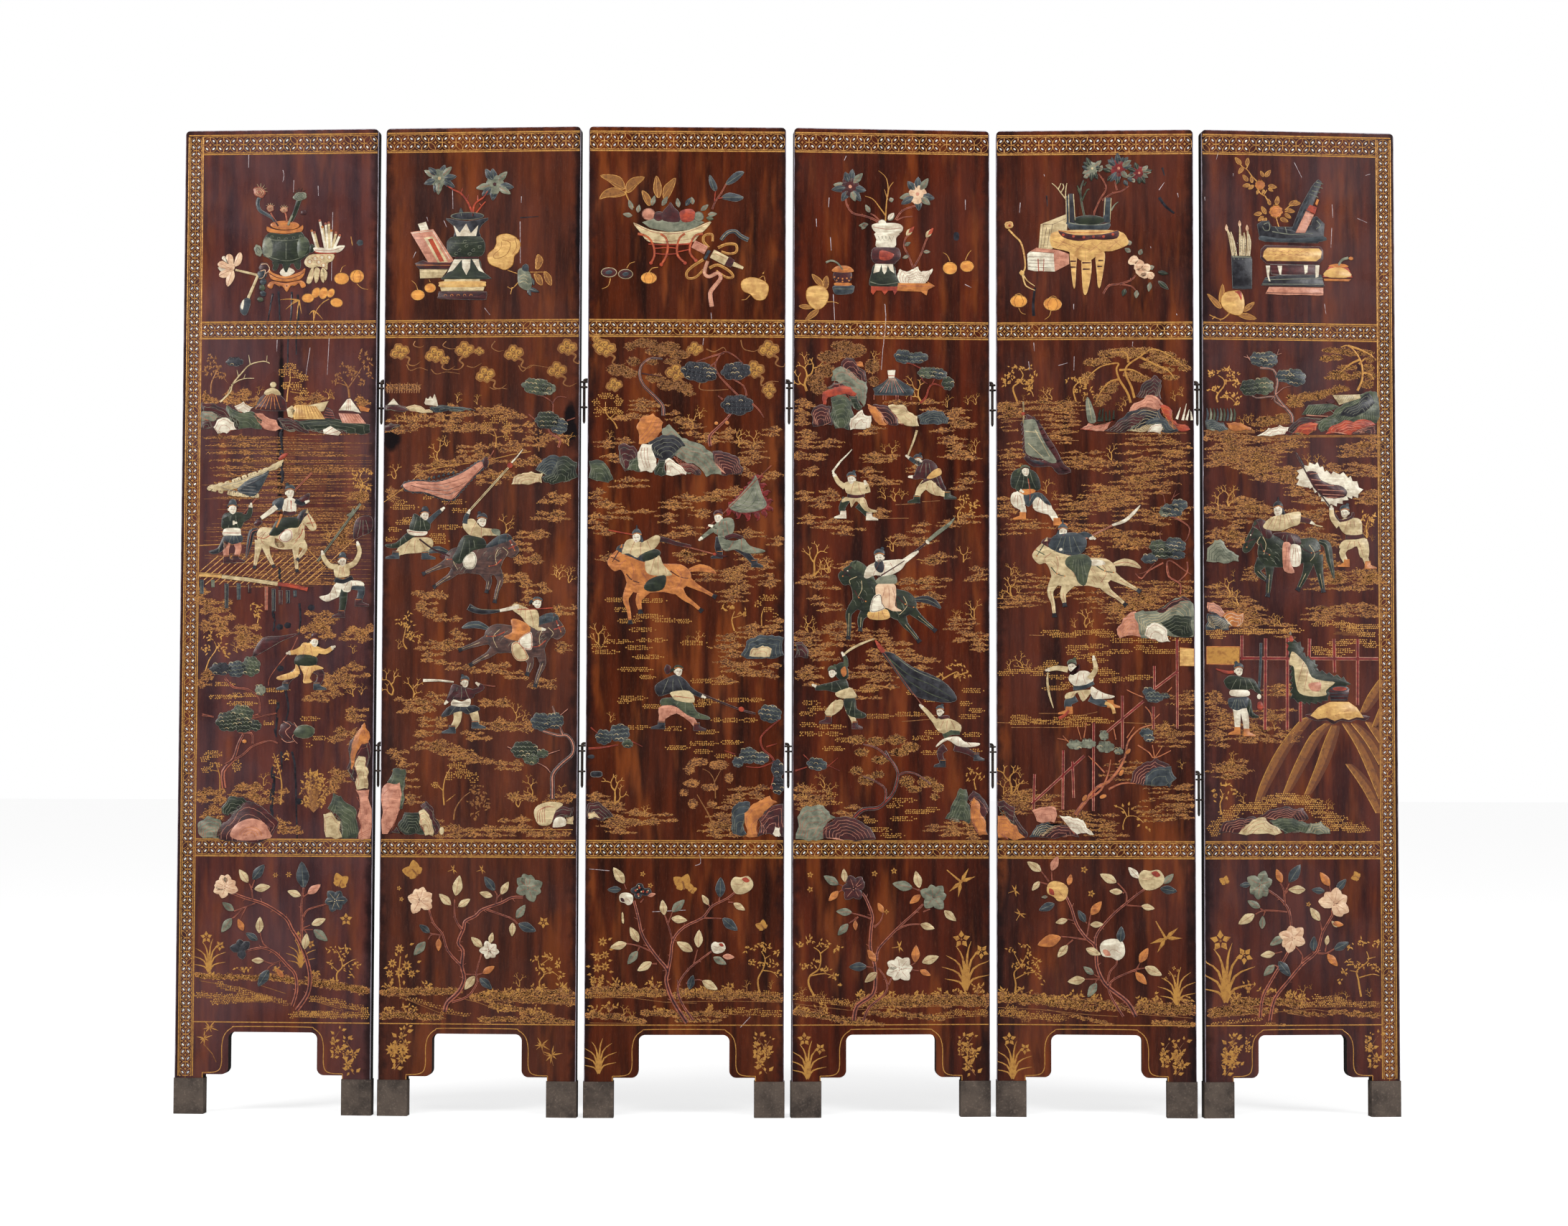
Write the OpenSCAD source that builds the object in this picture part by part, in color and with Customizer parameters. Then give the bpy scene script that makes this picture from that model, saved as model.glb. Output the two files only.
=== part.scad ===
// Six-leaf lacquer screen on bracket feet, with raised hardstone inlays.
// The leaves hang on iron ring eyes and loose drop pins. X runs along the
// screen, the decorated front faces -Y and the floor is Z = 0.

/* [Leaves] */
// Width of one leaf, edge to edge
leaf_w = 366; // [350:1:420]
// Height of the screen from the floor
leaf_h = 1830; // [1780:1:1960]
// Thickness of the timber core
core_t = 20; // [18:0.5:28]
// Thickness of the front lacquer with its ground
front_t = 2; // [1:0.25:4]
// Thickness of the back lacquer with its ground
back_t = 2; // [1:0.25:4]
// Radius of the two top corners of a leaf
corner_r = 9; // [4:1:20]
// Space between the edges of two leaves
leaf_gap = 14; // [13.5:0.5:20]
// Turn of leaf 1 about the vertical as the screen stands, right edge forward
turn_1 = 4; // [0:0.5:8]
// Turn of leaf 2
turn_2 = 4; // [0:0.5:8]
// Turn of leaf 3
turn_3 = -1; // [-8:0.5:0]
// Turn of leaf 4
turn_4 = -4; // [-8:0.5:0]
// Turn of leaf 5
turn_5 = 3; // [0:0.5:8]
// Turn of leaf 6
turn_6 = -5; // [-8:0.5:0]

/* [Timber] */
// Width of a stile, which is also the width of a leg
stile_w = 53; // [45:1:60]
// Height of the top rail
top_rail_h = 60; // [45:1:80]
// Height of the apron rail over the opening
apron_h = 80; // [60:1:110]
// Number of planks across a leaf
plank_count = 3; // [2:1:4]
// Thickness of the tongues on planks and rails
tongue_t = 6; // [4:0.5:8]
// Depth of a tongue in its groove
tongue_d = 7; // [5:0.5:10]
// Length of stile left solid above the groove at the top
groove_stop = 15; // [10:1:30]
// Glue line between neighbouring timbers
glue = 0.1; // [0.05:0.05:0.2]

/* [Feet and apron] */
// Height of the apron's underside over the floor
arch_z = 151; // [140:1:170]
// Height of the brackets' lower edge over the floor
bracket_z = 73; // [70:1:90]
// Reach of a bracket beside its leg
bracket_w = 47; // [35:1:60]
// Radius of a bracket's lower corner
bracket_r = 13; // [6:1:20]
// Radius of the opening's upper corners
arch_r = 12; // [6:1:18]
// Height of a metal foot cap
cap_h = 66; // [40:1:68]
// Sheet thickness of a foot cap's walls
cap_wall = 1.4; // [1:0.1:2]
// Sheet thickness of a foot cap's sole
cap_sole = 2; // [1:0.25:3]
// Play between a leg and its cap
cap_play = 0.1; // [0.05:0.05:0.3]
// Radius of a cap's upright edges
cap_edge_r = 2; // [1:0.25:3]

/* [Hinges] */
// Height of the upper drop pins' own eyes
upper_z = 1354; // [1250:1:1420]
// Height of the lower drop pins' own eyes
lower_z = 680; // [620:1:760]
// Height of the last joint's lower pin's own eye, set lower than the others
last_lower_z = 630; // [600:1:740]
// Diameter of an eye's wire
wire_d = 3.2; // [2.6:0.1:3.6]
// Outer diameter of an eye's ring
ring_d = 12.6; // [12:0.1:13]
// Depth of an eye's shank in the leaf's edge
shank_l = 25; // [18:1:35]
// Play round a shank in its hole
shank_play = 0.05; // [0.02:0.01:0.1]
// Drop from the pin's own eye to the first eye of the other leaf
first_drop = 9.5; // [7:0.5:14]
// Drop from the pin's own eye to the second eye of the other leaf
second_drop = 47; // [35:1:55]
// Diameter of a drop pin
pin_d = 5; // [4:0.1:5.2]
// Length of a drop pin from the top of its head to its tip
pin_l = 84; // [75:1:100]
// Reach of the pin's bent head from the pin's axis
pin_reach = 6.3; // [6:0.05:6.4]
// Bend radius of the pin's head, on its centre line
pin_bend = 3.2; // [2.8:0.1:3.4]
// Length of the taper at a pin's tip
pin_taper = 4; // [2:0.5:8]
// Clear space under a pin's head
pin_seat = 0.3; // [0.1:0.05:0.5]

/* [Inlays] */
// How far the stone inlays stand out from the lacquer
inlay_t = 2; // [1:0.1:2.2]

/* [Painted fields] */
// Height of the gilt line over the apron
line_z = 169; // [165:1:190]
// Height of the lower pattern band's lower edge
lower_band_z = 475; // [440:1:520]
// Drop from the top of a leaf to the upper pattern band's lower edge
upper_band_drop = 392; // [370:1:420]
// Height of a pattern band
band_h = 31; // [24:1:40]

/* [Hidden] */
$fn = 48;
leaf_count = 6;
turns = [turn_1, turn_2, turn_3, turn_4, turn_5, turn_6];
skin_front_y = -core_t / 2 - front_t;
skin_back_y = core_t / 2 + back_t;
pitch = leaf_w + leaf_gap;
inner_w = leaf_w - 2 * stile_w;
plank_w = inner_w / plank_count;
apron_top_z = arch_z + apron_h;
top_rail_z = leaf_h - top_rail_h;
cap_out = cap_wall + cap_play;
eps = 1;

// Line of the hinge axes: point 0 lies half a gap before the first leaf
function axis_x(n) = n == 0 ? 0 : axis_x(n - 1) + pitch * cos(turns[n - 1]);
function axis_y(n) = n == 0 ? 0 : axis_y(n - 1) - pitch * sin(turns[n - 1]);
// A point of leaf n's own plan, seen from above
function plan(n, x, y) = [
    axis_x(n - 1) + (x + leaf_gap / 2) * cos(turns[n - 1]) + y * sin(turns[n - 1]),
    axis_y(n - 1) - (x + leaf_gap / 2) * sin(turns[n - 1]) + y * cos(turns[n - 1])
];
// Corners of every leaf's caps, which reach furthest out
corners = [
    for (n = [1 : leaf_count], x = [-cap_out, leaf_w + cap_out],
         y = [skin_front_y - cap_out, skin_back_y + cap_out])
        plan(n, x, y)
];
middle = [
    (min([for (c = corners) c.x]) + max([for (c = corners) c.x])) / 2,
    (min([for (c = corners) c.y]) + max([for (c = corners) c.y])) / 2
];
// Heights of the pins' own eyes at joint k, lower one first
function stations(k) = [k == leaf_count - 1 ? last_lower_z : lower_z, upper_z];
// The pins hang on the leaf nearer the screen's middle
function pin_on_right(k) = k < leaf_count / 2;

// Lower edges of the three pictured fields
lower_field_z = line_z;
middle_field_z = lower_band_z + band_h;
upper_field_z = leaf_h - upper_band_drop + band_h;
// Leaf width and field heights that the pictures are drawn for
drawn_w = 366;
drawn_lower_h = 306;
drawn_middle_h = 932;
drawn_upper_h = 361;

// Colours of the stones
bark = "#8a4a34";
ivory = "#e6dcc0";
bone = "#cfc3a0";
jade = "#4c5a40";
sage = "#8a9078";
moss = "#5d6a58";
slate = "#3c4448";
steel = "#b9b7a8";
ink = "#23232a";
rose = "#c98472";
coral = "#9c3b30";
wine = "#4d2026";
apricot = "#c8843c";
skin = "#e9dfcb";

// Outlines as fractions of width and height. Down to the dome they are right halves.
vase = [[0.3, 0], [0.34, 0.05], [0.24, 0.12], [0.5, 0.45], [0.46, 0.66], [0.22, 0.82], [0.24, 0.92], [0.36, 1]];
beaker = [[0.34, 0], [0.38, 0.06], [0.26, 0.2], [0.24, 0.34], [0.34, 0.42], [0.34, 0.56], [0.24, 0.64], [0.3, 0.82], [0.5, 1]];
bowl = [[0.2, 0], [0.24, 0.14], [0.4, 0.4], [0.48, 0.8], [0.5, 1]];
censer = [[0.26, 0], [0.3, 0.24], [0.44, 0.34], [0.48, 0.6], [0.38, 0.8], [0.44, 1]];
slab = [[0.42, 0], [0.5, 0.3], [0.5, 0.7], [0.42, 1]];
roof = [[0.46, 0], [0.5, 0.12], [0.3, 0.5], [0.1, 1]];
dome = [[0.48, 0], [0.5, 0.4], [0.42, 0.68], [0.26, 0.88], [0.1, 1]];
crag = [[0, 0], [0.03, 0.34], [0.14, 0.42], [0.18, 0.74], [0.34, 0.84], [0.42, 1],
        [0.58, 0.94], [0.66, 0.66], [0.8, 0.58], [0.86, 0.3], [1, 0.2], [0.98, 0]];
flame = [[0, 0.1], [0, 1], [0.3, 0.94], [0.62, 1], [1, 0.82], [0.72, 0.74], [0.94, 0.5],
         [0.66, 0.48], [0.82, 0.22], [0.5, 0.28], [0.3, 0]];
stride = [[-0.5, 0], [-0.3, 0.02], [-0.24, 0.3], [0.04, 0.62], [0.24, 0.3], [0.34, 0.02],
          [0.5, 0], [0.46, 0.4], [0.3, 0.86], [0.24, 1], [-0.2, 1], [-0.4, 0.5]];
tunic = [[-0.3, 0], [0.34, 0], [0.24, 0.34], [0.3, 0.62], [0.56, 0.5], [0.66, 0.6], [0.3, 0.94],
         [0.12, 1], [-0.1, 1], [-0.34, 0.84], [-0.5, 1.1], [-0.6, 1.02], [-0.36, 0.6], [-0.2, 0.4]];
cap = [[-0.5, 0.1], [-0.36, 0], [0.4, 0], [0.5, 0.2], [0.26, 0.6], [0.06, 1], [-0.3, 0.6]];
gallop = [[-0.5, 0], [-0.46, 0.12], [-0.3, 0.28], [-0.2, 0.34], [0.1, 0.3], [0.26, 0.1], [0.34, 0.02],
          [0.4, 0.06], [0.3, 0.26], [0.42, 0.22], [0.5, 0.3], [0.34, 0.46], [0.36, 0.6], [0.5, 0.66],
          [0.52, 0.76], [0.4, 0.98], [0.32, 0.98], [0.2, 0.78], [-0.2, 0.72], [-0.34, 0.64],
          [-0.5, 0.5], [-0.42, 0.4], [-0.42, 0.26], [-0.52, 0.1]];

PANEL_PARTS = ["stiles", "planks", "rails", "front_lacquer", "back_lacquer", "inlays", "foot_caps", "eyes"];
function panel_node(n, part) = str("panel_", n, "_", part);
function pin_node(k, level) = str("pin_", k, k + 1, "_", level);

// ---- Placing ----

// Puts children drawn in leaf n's own frame (left edge X = 0) in the screen
module on_leaf(n) {
    translate([axis_x(n - 1) - middle.x, axis_y(n - 1) - middle.y, 0])
        rotate([0, 0, -turns[n - 1]])
            translate([leaf_gap / 2, 0, 0])
                children();
}

// Stands a 2D shape drawn in X and height up as a plate from y_front backward
module plate(y_front, t) {
    translate([0, y_front + t, 0])
        rotate([90, 0, 0])
            linear_extrude(t)
                children();
}

// Stretches a picture from its drawn size to the field between two heights
module in_field(bottom, top, drawn_h) {
    translate([0, 0, bottom])
        scale([leaf_w / drawn_w, 1, (top - bottom) / drawn_h])
            children();
}

// ---- Outlines in X and height ----

// The whole leaf as a block with rounded top corners
module block_2d() {
    translate([0, cap_sole])
        square([leaf_w, leaf_h - corner_r - cap_sole]);
    translate([corner_r, cap_sole])
        square([leaf_w - 2 * corner_r, leaf_h - cap_sole]);
    for (x = [corner_r, leaf_w - corner_r])
        translate([x, leaf_h - corner_r])
            circle(corner_r);
}

// One bracket, with its leg to the left and the apron above
module bracket_2d() {
    h = arch_z - bracket_z;
    translate([stile_w, bracket_z])
        difference() {
            union() {
                square([bracket_w, h]);
                translate([0, h - arch_r])
                    square([bracket_w + arch_r, arch_r]);
            }
            translate([bracket_w + arch_r, h - arch_r])
                circle(arch_r);
            translate([bracket_w - bracket_r, 0])
                difference() {
                    square(bracket_r);
                    translate([0, bracket_r])
                        circle(bracket_r);
                }
        }
}

module both_brackets_2d() {
    bracket_2d();
    translate([leaf_w, 0])
        mirror([1, 0])
            bracket_2d();
}

// The open space between the legs and under the apron
module opening_2d() {
    difference() {
        translate([stile_w, -eps])
            square([inner_w, arch_z + eps]);
        both_brackets_2d();
    }
}

module leaf_2d() {
    difference() {
        block_2d();
        opening_2d();
    }
}

// ---- Timber ----

// Blind holes for the eyes' shanks in a leaf's edges
module shank_holes(n) {
    for (side = [0, 1], z = eye_heights(n, side))
        translate([side * leaf_w, 0, z])
            rotate([0, side ? -90 : 90, 0])
                translate([0, 0, -eps])
                    cylinder(r = wire_d / 2 + shank_play, h = shank_l + shank_play + eps);
}

// Heights of the eyes on leaf n's left (0) or right (1) edge
function eye_heights(n, side) =
    let (k = n - 1 + side)
    k == 0 || k == leaf_count ? []
    : (pin_on_right(k) == (side == 0)) ? stations(k)
    : [for (z = stations(k), d = [first_drop, second_drop]) z - d];

module groove(x) {
    translate([x, -tongue_t / 2, arch_z])
        cube([tongue_d, tongue_t, leaf_h - groove_stop - arch_z]);
}

module stiles(n) {
    color("saddlebrown")
        difference() {
            plate(-core_t / 2, core_t)
                difference() {
                    block_2d();
                    translate([stile_w, 0])
                        square([inner_w, leaf_h + eps]);
                }
            groove(stile_w - tongue_d);
            groove(leaf_w - stile_w);
            shank_holes(n);
        }
}

// A board between the stiles, tongued on all sides that meet the frame
module plank(i) {
    x0 = stile_w + i * plank_w + glue / 2;
    z0 = apron_top_z + glue;
    h = top_rail_z - apron_top_z - 2 * glue;
    left = i == 0 ? tongue_d - glue : 0;
    right = i == plank_count - 1 ? tongue_d - glue : 0;
    translate([x0, -core_t / 2, z0])
        cube([plank_w - glue, core_t, h]);
    translate([x0 - left, -tongue_t / 2, z0])
        cube([plank_w - glue + left + right, tongue_t, h]);
    translate([x0, -tongue_t / 2, z0 - tongue_d])
        cube([plank_w - glue, tongue_t, h + 2 * tongue_d]);
}

module planks() {
    color("burlywood")
        for (i = [0 : plank_count - 1])
            plank(i);
}

// A rail with a groove for the planks and a tongue at each end
module rail(z, h, groove_on_top, tongue_h) {
    difference() {
        union() {
            translate([stile_w + glue, -core_t / 2, z])
                cube([inner_w - 2 * glue, core_t, h]);
            translate([stile_w - tongue_d + glue, -tongue_t / 2, z])
                cube([inner_w + 2 * tongue_d - 2 * glue, tongue_t, tongue_h]);
        }
        translate([0, -tongue_t / 2, groove_on_top ? z + h - tongue_d : z - eps])
            cube([leaf_w, tongue_t, tongue_d + eps]);
    }
}

module rails() {
    color("peru") {
        rail(arch_z, apron_h, true, apron_h - tongue_d);
        rail(top_rail_z, top_rail_h, false, top_rail_h - groove_stop);
        plate(-core_t / 2, core_t)
            translate([0, -glue])
                both_brackets_2d();
    }
}

// ---- Lacquer ----

module front_lacquer() {
    color("#5a2a18")
        plate(skin_front_y, front_t)
            leaf_2d();
}

module back_lacquer() {
    color("#1c1512")
        plate(core_t / 2, back_t)
            leaf_2d();
}

// ---- Feet ----

// Plan of a leg with its lacquer, grown all round, with rounded corners
module leg_plan(grow, r) {
    x0 = -grow;
    x1 = stile_w + grow;
    y0 = skin_front_y - grow;
    y1 = skin_back_y + grow;
    translate([x0 + r, y0])
        square([x1 - x0 - 2 * r, y1 - y0]);
    translate([x0, y0 + r])
        square([x1 - x0, y1 - y0 - 2 * r]);
    for (x = [x0 + r, x1 - r], y = [y0 + r, y1 - r])
        translate([x, y])
            circle(r);
}

module foot_cap() {
    difference() {
        linear_extrude(cap_h)
            leg_plan(cap_out, cap_edge_r);
        translate([0, 0, cap_sole])
            linear_extrude(cap_h)
                translate([-cap_play, skin_front_y - cap_play])
                    square([stile_w + 2 * cap_play, skin_back_y - skin_front_y + 2 * cap_play]);
    }
}

module foot_caps() {
    color("#5c5647")
        for (x = [0, leaf_w - stile_w])
            translate([x, 0, 0])
                foot_cap();
}

// ---- Hinges ----

// A ring eye at the origin of a joint's axis, its shank running to -X
module eye() {
    ring_r = (ring_d - wire_d) / 2;
    rotate_extrude()
        translate([ring_r, 0])
            circle(d = wire_d);
    translate([-ring_r, 0, 0])
        rotate([0, -90, 0])
            cylinder(d = wire_d, h = leaf_gap / 2 - ring_r + shank_l);
}

module eyes(n) {
    color("#3a3532")
        for (side = [0, 1], z = eye_heights(n, side))
            translate([side * leaf_w + (side ? 1 : -1) * leaf_gap / 2, 0, z])
                rotate([0, 0, side ? 0 : 180])
                    eye();
}

// Drop pin standing on its own eye, whose middle is the origin. Head to +X.
module pin() {
    head_z = wire_d / 2 + pin_seat + pin_d / 2;
    tip_z = head_z + pin_d / 2 - pin_l;
    translate([0, 0, tip_z])
        cylinder(d1 = pin_d / 2, d2 = pin_d, h = pin_taper);
    translate([0, 0, tip_z + pin_taper])
        cylinder(d = pin_d, h = head_z - pin_bend - tip_z - pin_taper);
    translate([pin_bend, 0, head_z - pin_bend])
        rotate([90, 0, 180])
            rotate_extrude(angle = 90)
                translate([pin_bend, 0])
                    circle(d = pin_d);
    translate([pin_bend, 0, head_z])
        rotate([0, 90, 0])
            cylinder(d = pin_d, h = pin_reach - pin_bend);
}

// Drop pin of joint k at the lower (0) or upper (1) station
module drop_pin(k, level) {
    n = pin_on_right(k) ? k + 1 : k;
    x = pin_on_right(k) ? -leaf_gap / 2 : leaf_w + leaf_gap / 2;
    color("#332f2d")
        on_leaf(n)
            translate([x, 0, stations(k)[level]])
                rotate([0, 0, pin_on_right(k) ? 0 : 180])
                    pin();
}

// ---- Inlays: outlines ----

// A stone leaf or petal, its stem at the origin and its tip up
module blade(l, w) {
    r = (l * l + w * w) / (4 * w);
    intersection() {
        translate([w / 2 - r, l / 2])
            circle(r);
        translate([r - w / 2, l / 2])
            circle(r);
    }
}

// A blossom seen from the front
module blossom(r, petals) {
    circle(r * 0.45);
    for (i = [0 : petals - 1])
        rotate(i * 360 / petals)
            translate([0, r * 0.55])
                circle(r * 0.42);
}

// An outline given as fractions of width and height
module cut(shape, w, h) {
    polygon([for (p = shape) [p.x * w, p.y * h]]);
}

// An outline whose right half is given, as fractions of width and height
module turned(profile, w, h) {
    last = len(profile) - 1;
    polygon(concat(
        [for (p = profile) [p.x * w, p.y * h]],
        [for (i = [last : -1 : 0]) [-profile[i].x * w, profile[i].y * h]]));
}

// A band of tapering width along a line of points
function side_of(pts, i, w) =
    let (a = pts[max(i - 1, 0)], b = pts[min(i + 1, len(pts) - 1)], d = b - a)
    pts[i] + w * [-d.y, d.x] / norm(d);
module ribbon(pts, w0, w1) {
    last = len(pts) - 1;
    polygon(concat(
        [for (i = [0 : last]) side_of(pts, i, (w0 + (w1 - w0) * i / last) / 2)],
        [for (i = [last : -1 : 0]) side_of(pts, i, -(w0 + (w1 - w0) * i / last) / 2)]));
}

// A low table or stand, its feet at height 0 and its middle at X = 0
module table_2d(w, h, top_h, leg_w) {
    translate([-w / 2, h - top_h])
        square([w, top_h]);
    for (x = [-w / 2 + leg_w / 2, w / 2 - 1.5 * leg_w])
        translate([x, 0])
            square([leg_w, h]);
    translate([-w / 2 + leg_w, top_h])
        square([w - 2 * leg_w, top_h]);
}

// ---- Inlays: setting ----

// One stone of one colour on the leaf, its outline's origin at x and z
module stone(c, x, z, turn = 0, flip = false) {
    color(c)
        plate(skin_front_y - inlay_t, inlay_t)
            translate([x, z])
                rotate(turn)
                    mirror([flip ? 1 : 0, 0])
                        children();
}

// A spray of stone leaves: each is x, z, length, width, turn, colour
module leaves(list) {
    for (s = list)
        stone(s[5], s[0], s[1], s[4])
            blade(s[2], s[3]);
}

// A camellia branch from a list of points
module branch(pts, w0 = 7, w1 = 2.5) {
    stone(bark, 0, 0)
        ribbon(pts, w0, w1);
}

// A pine: flat pads of needles over a thin bent trunk, its root at x and z
module pine(x, z, s = 1, flip = false) {
    stone(bark, x, z, 0, flip)
        ribbon([[0, 0], [6, 22], [-4, 44], [6, 66], [2, 84]] * s, 5 * s, 2.5 * s);
    for (p = [[-14, 84, 30], [12, 62, 26], [-16, 40, 24]])
        stone(p.x < 0 ? moss : jade, x + (flip ? -1 : 1) * p.x * s, z + p.y * s)
            scale([1, 0.36])
                blossom(p.z * s * 0.62, 7);
}

// A cluster of rocks cut from several stones: each is x, width, height, colour
module rocks(list, z) {
    for (r = list)
        stone(r[3], r[0], z)
            cut(crag, r[1], r[2]);
}

// A long flag on a slanting pole, its grip at x and z
module banner(x, z, c, turn, flip = false) {
    stone(ivory, x, z, turn, flip)
        translate([-1.4, -30])
            square([2.8, 140]);
    stone(c, x, z, turn, flip)
        translate([1.4, 30])
            cut(flame, 90, 62);
}

// A standing or striding soldier with an arm raised, his feet at x and z
module soldier(x, z, coat, trousers, s = 1, flip = false) {
    f = flip ? -1 : 1;
    stone(trousers, x, z, 0, flip)
        cut(stride, 60 * s, 44 * s);
    stone(coat, x, z + 38 * s, 0, flip)
        cut(tunic, 56 * s, 54 * s);
    stone(skin, x + f * 3 * s, z + 98 * s)
        circle(8.5 * s);
    stone(ink, x + f * 3 * s, z + 103 * s, 0, flip)
        cut(cap, 24 * s, 15 * s);
}

// A rider on a galloping horse, the horse's hooves at x and z
module rider(x, z, horse, coat, s = 1, flip = false) {
    f = flip ? -1 : 1;
    stone(horse, x, z, 0, flip)
        cut(gallop, 150 * s, 92 * s);
    stone(coat, x + f * 4 * s, z + 60 * s, 0, flip)
        cut(tunic, 62 * s, 62 * s);
    stone(skin, x + f * 8 * s, z + 128 * s)
        circle(9.5 * s);
    stone(ink, x + f * 8 * s, z + 134 * s, 0, flip)
        cut(cap, 27 * s, 16 * s);
}

// A spear, sword or halberd: a shaft with a blade at its tip
module weapon(x, z, l, turn, blade_l = 30, c = ivory) {
    stone(c, x, z, turn)
        translate([-1.5, 0])
            square([3, l]);
    stone(steel, x, z, turn)
        translate([0, l - 1])
            blade(blade_l, 7);
}

// ---- Inlays: the six leaves ----

// Each picture's heights are over its own field's lower edge

module still_life_1() {
    stone(bark, 196, 57) table_2d(72, 34, 6, 8);
    stone(sage, 190, 92) turned(censer, 84, 78);
    stone(apricot, 190, 170) turned(slab, 70, 16);
    stone(coral, 140, 230) blossom(15, 5);
    stone(coral, 218, 222) blossom(13, 5);
    stone(bark, 190, 185) ribbon([[0, 0], [-12, 22], [-46, 44]], 4, 2);
    stone(ivory, 257, 71) turned(bowl, 56, 54);
    stone(bone, 272, 126) turned(beaker, 60, 66);
    stone(rose, 88, 66) blossom(26, 7);
    leaves([[118, 12, 30, 18, 20, rose], [148, 30, 42, 15, -10, jade]]);
}

module still_life_2() {
    stone(wine, 145, 36) table_2d(90, 40, 8, 9);
    stone(jade, 153, 77) turned(beaker, 84, 124);
    stone(sage, 104, 264) blossom(30, 7);
    stone(sage, 206, 252) blossom(32, 7);
    stone(coral, 153, 201) ribbon([[0, 0], [-8, 30], [-34, 52]], 4, 2);
    stone(coral, 156, 201) ribbon([[0, 0], [14, 24], [38, 40]], 4, 2);
    stone(rose, 70, 106, 14) square([46, 70]);
    stone(bone, 64, 76) square([32, 28]);
    leaves([[268, 66, 34, 15, -40, jade], [254, 52, 26, 10, 60, bone]]);
}

module still_life_3() {
    stone(coral, 154, 101) table_2d(128, 40, 7, 10);
    stone(bone, 154, 142) turned(bowl, 138, 40);
    for (p = [[120, 193, 14], [146, 196, 16], [176, 194, 15], [198, 189, 10]])
        stone(apricot, p.x, p.y) circle(p.z);
    leaves([[236, 208, 54, 20, -50, jade], [250, 214, 44, 15, 10, jade],
            [262, 204, 40, 13, -80, sage]]);
    stone(bone, 192, 110, -8) square([92, 20]);
    for (p = [[34, 84, 9], [52, 90, 10], [70, 84, 9]])
        stone(wine, p.x, p.y) circle(p.z);
}

module still_life_4() {
    stone(bark, 168, 48) table_2d(52, 17, 5, 6);
    stone(bone, 170, 66) turned(vase, 66, 120);
    stone(wine, 103, 254) blossom(31, 8);
    stone(rose, 236, 244) blossom(34, 8);
    stone(coral, 165, 187) ribbon([[0, 0], [-12, 28], [-40, 48]], 4, 2);
    stone(coral, 172, 187) ribbon([[0, 0], [16, 26], [42, 38]], 4, 2);
    stone(apricot, 226, 49) table_2d(66, 22, 6, 8);
    stone(ivory, 195, 72) cut(crag, 62, 30);
    stone(jade, 90, 49) turned(censer, 46, 62);
    for (p = [[292, 98, 8], [308, 112, 8], [322, 94, 7]])
        stone(wine, p.x, p.y) circle(p.z);
}

module still_life_5() {
    stone(bone, 173, 54) table_2d(142, 118, 18, 9);
    stone(jade, 174, 175) turned(bowl, 78, 27);
    stone(bark, 174, 202) ribbon([[0, 0], [-20, 26], [-44, 36]], 4, 2);
    stone(bark, 178, 202) ribbon([[0, 0], [16, 30], [34, 60]], 4, 2);
    leaves([[128, 232, 34, 14, 60, sage], [150, 240, 30, 13, 20, jade],
            [214, 262, 34, 14, -20, sage], [206, 232, 30, 13, -70, jade]]);
    stone(rose, 82, 137, 8) square([34, 60]);
    stone(ivory, 58, 95) square([38, 40]);
    stone(coral, 270, 96) blossom(20, 6);
}

module still_life_6() {
    stone(ink, 172, 52) table_2d(116, 40, 14, 12);
    stone(bone, 172, 96) table_2d(116, 48, 14, 12);
    stone(jade, 170, 146) turned(bowl, 122, 46);
    stone(sage, 186, 194, -20) square([14, 88]);
    stone(rose, 120, 250) blossom(30, 7);
    stone(ivory, 75, 62) turned(beaker, 36, 60);
    stone(apricot, 258, 80) turned(vase, 56, 46);
}

// Riders and soldiers in the middle field, heights over its lower edge

module scene_1() {
    pine(310, 690, 1.1);
    rocks([[8, 90, 34, wine], [70, 100, 40, sage], [150, 110, 30, bone], [240, 110, 44, jade]], 760);
    banner(120, 600, bone, 12, true);
    soldier(106, 500, jade, ivory);
    rider(196, 500, bone, apricot, 0.9);
    stone(coral, 36, 468) square([204, 8]);
    soldier(300, 410, sage, ivory);
    weapon(262, 400, 190, 12);
    soldier(240, 262, apricot, ink);
    pine(60, 200, 1.2, true);
    rocks([[30, 90, 70, rose], [96, 80, 52, sage]], 4);
    rocks([[272, 84, 150, apricot], [252, 50, 70, rose]], 4);
}

module scene_2() {
    pine(320, 700, 1.1);
    rocks([[10, 60, 20, wine], [50, 80, 22, bone], [110, 100, 22, sage]], 790);
    rocks([[268, 94, 62, jade], [236, 60, 32, bone]], 640);
    banner(110, 574, rose, -50);
    soldier(66, 486, jade, bone);
    weapon(160, 580, 120, -40);
    rider(190, 450, bark, bone, 0.95);
    rider(200, 250, ink, sage, 0.9, true);
    soldier(90, 120, wine, bone, 1, true);
    rocks([[8, 70, 60, sage], [50, 60, 40, wine]], 4);
    rocks([[290, 70, 80, rose], [262, 50, 44, bone]], 4);
}

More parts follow.
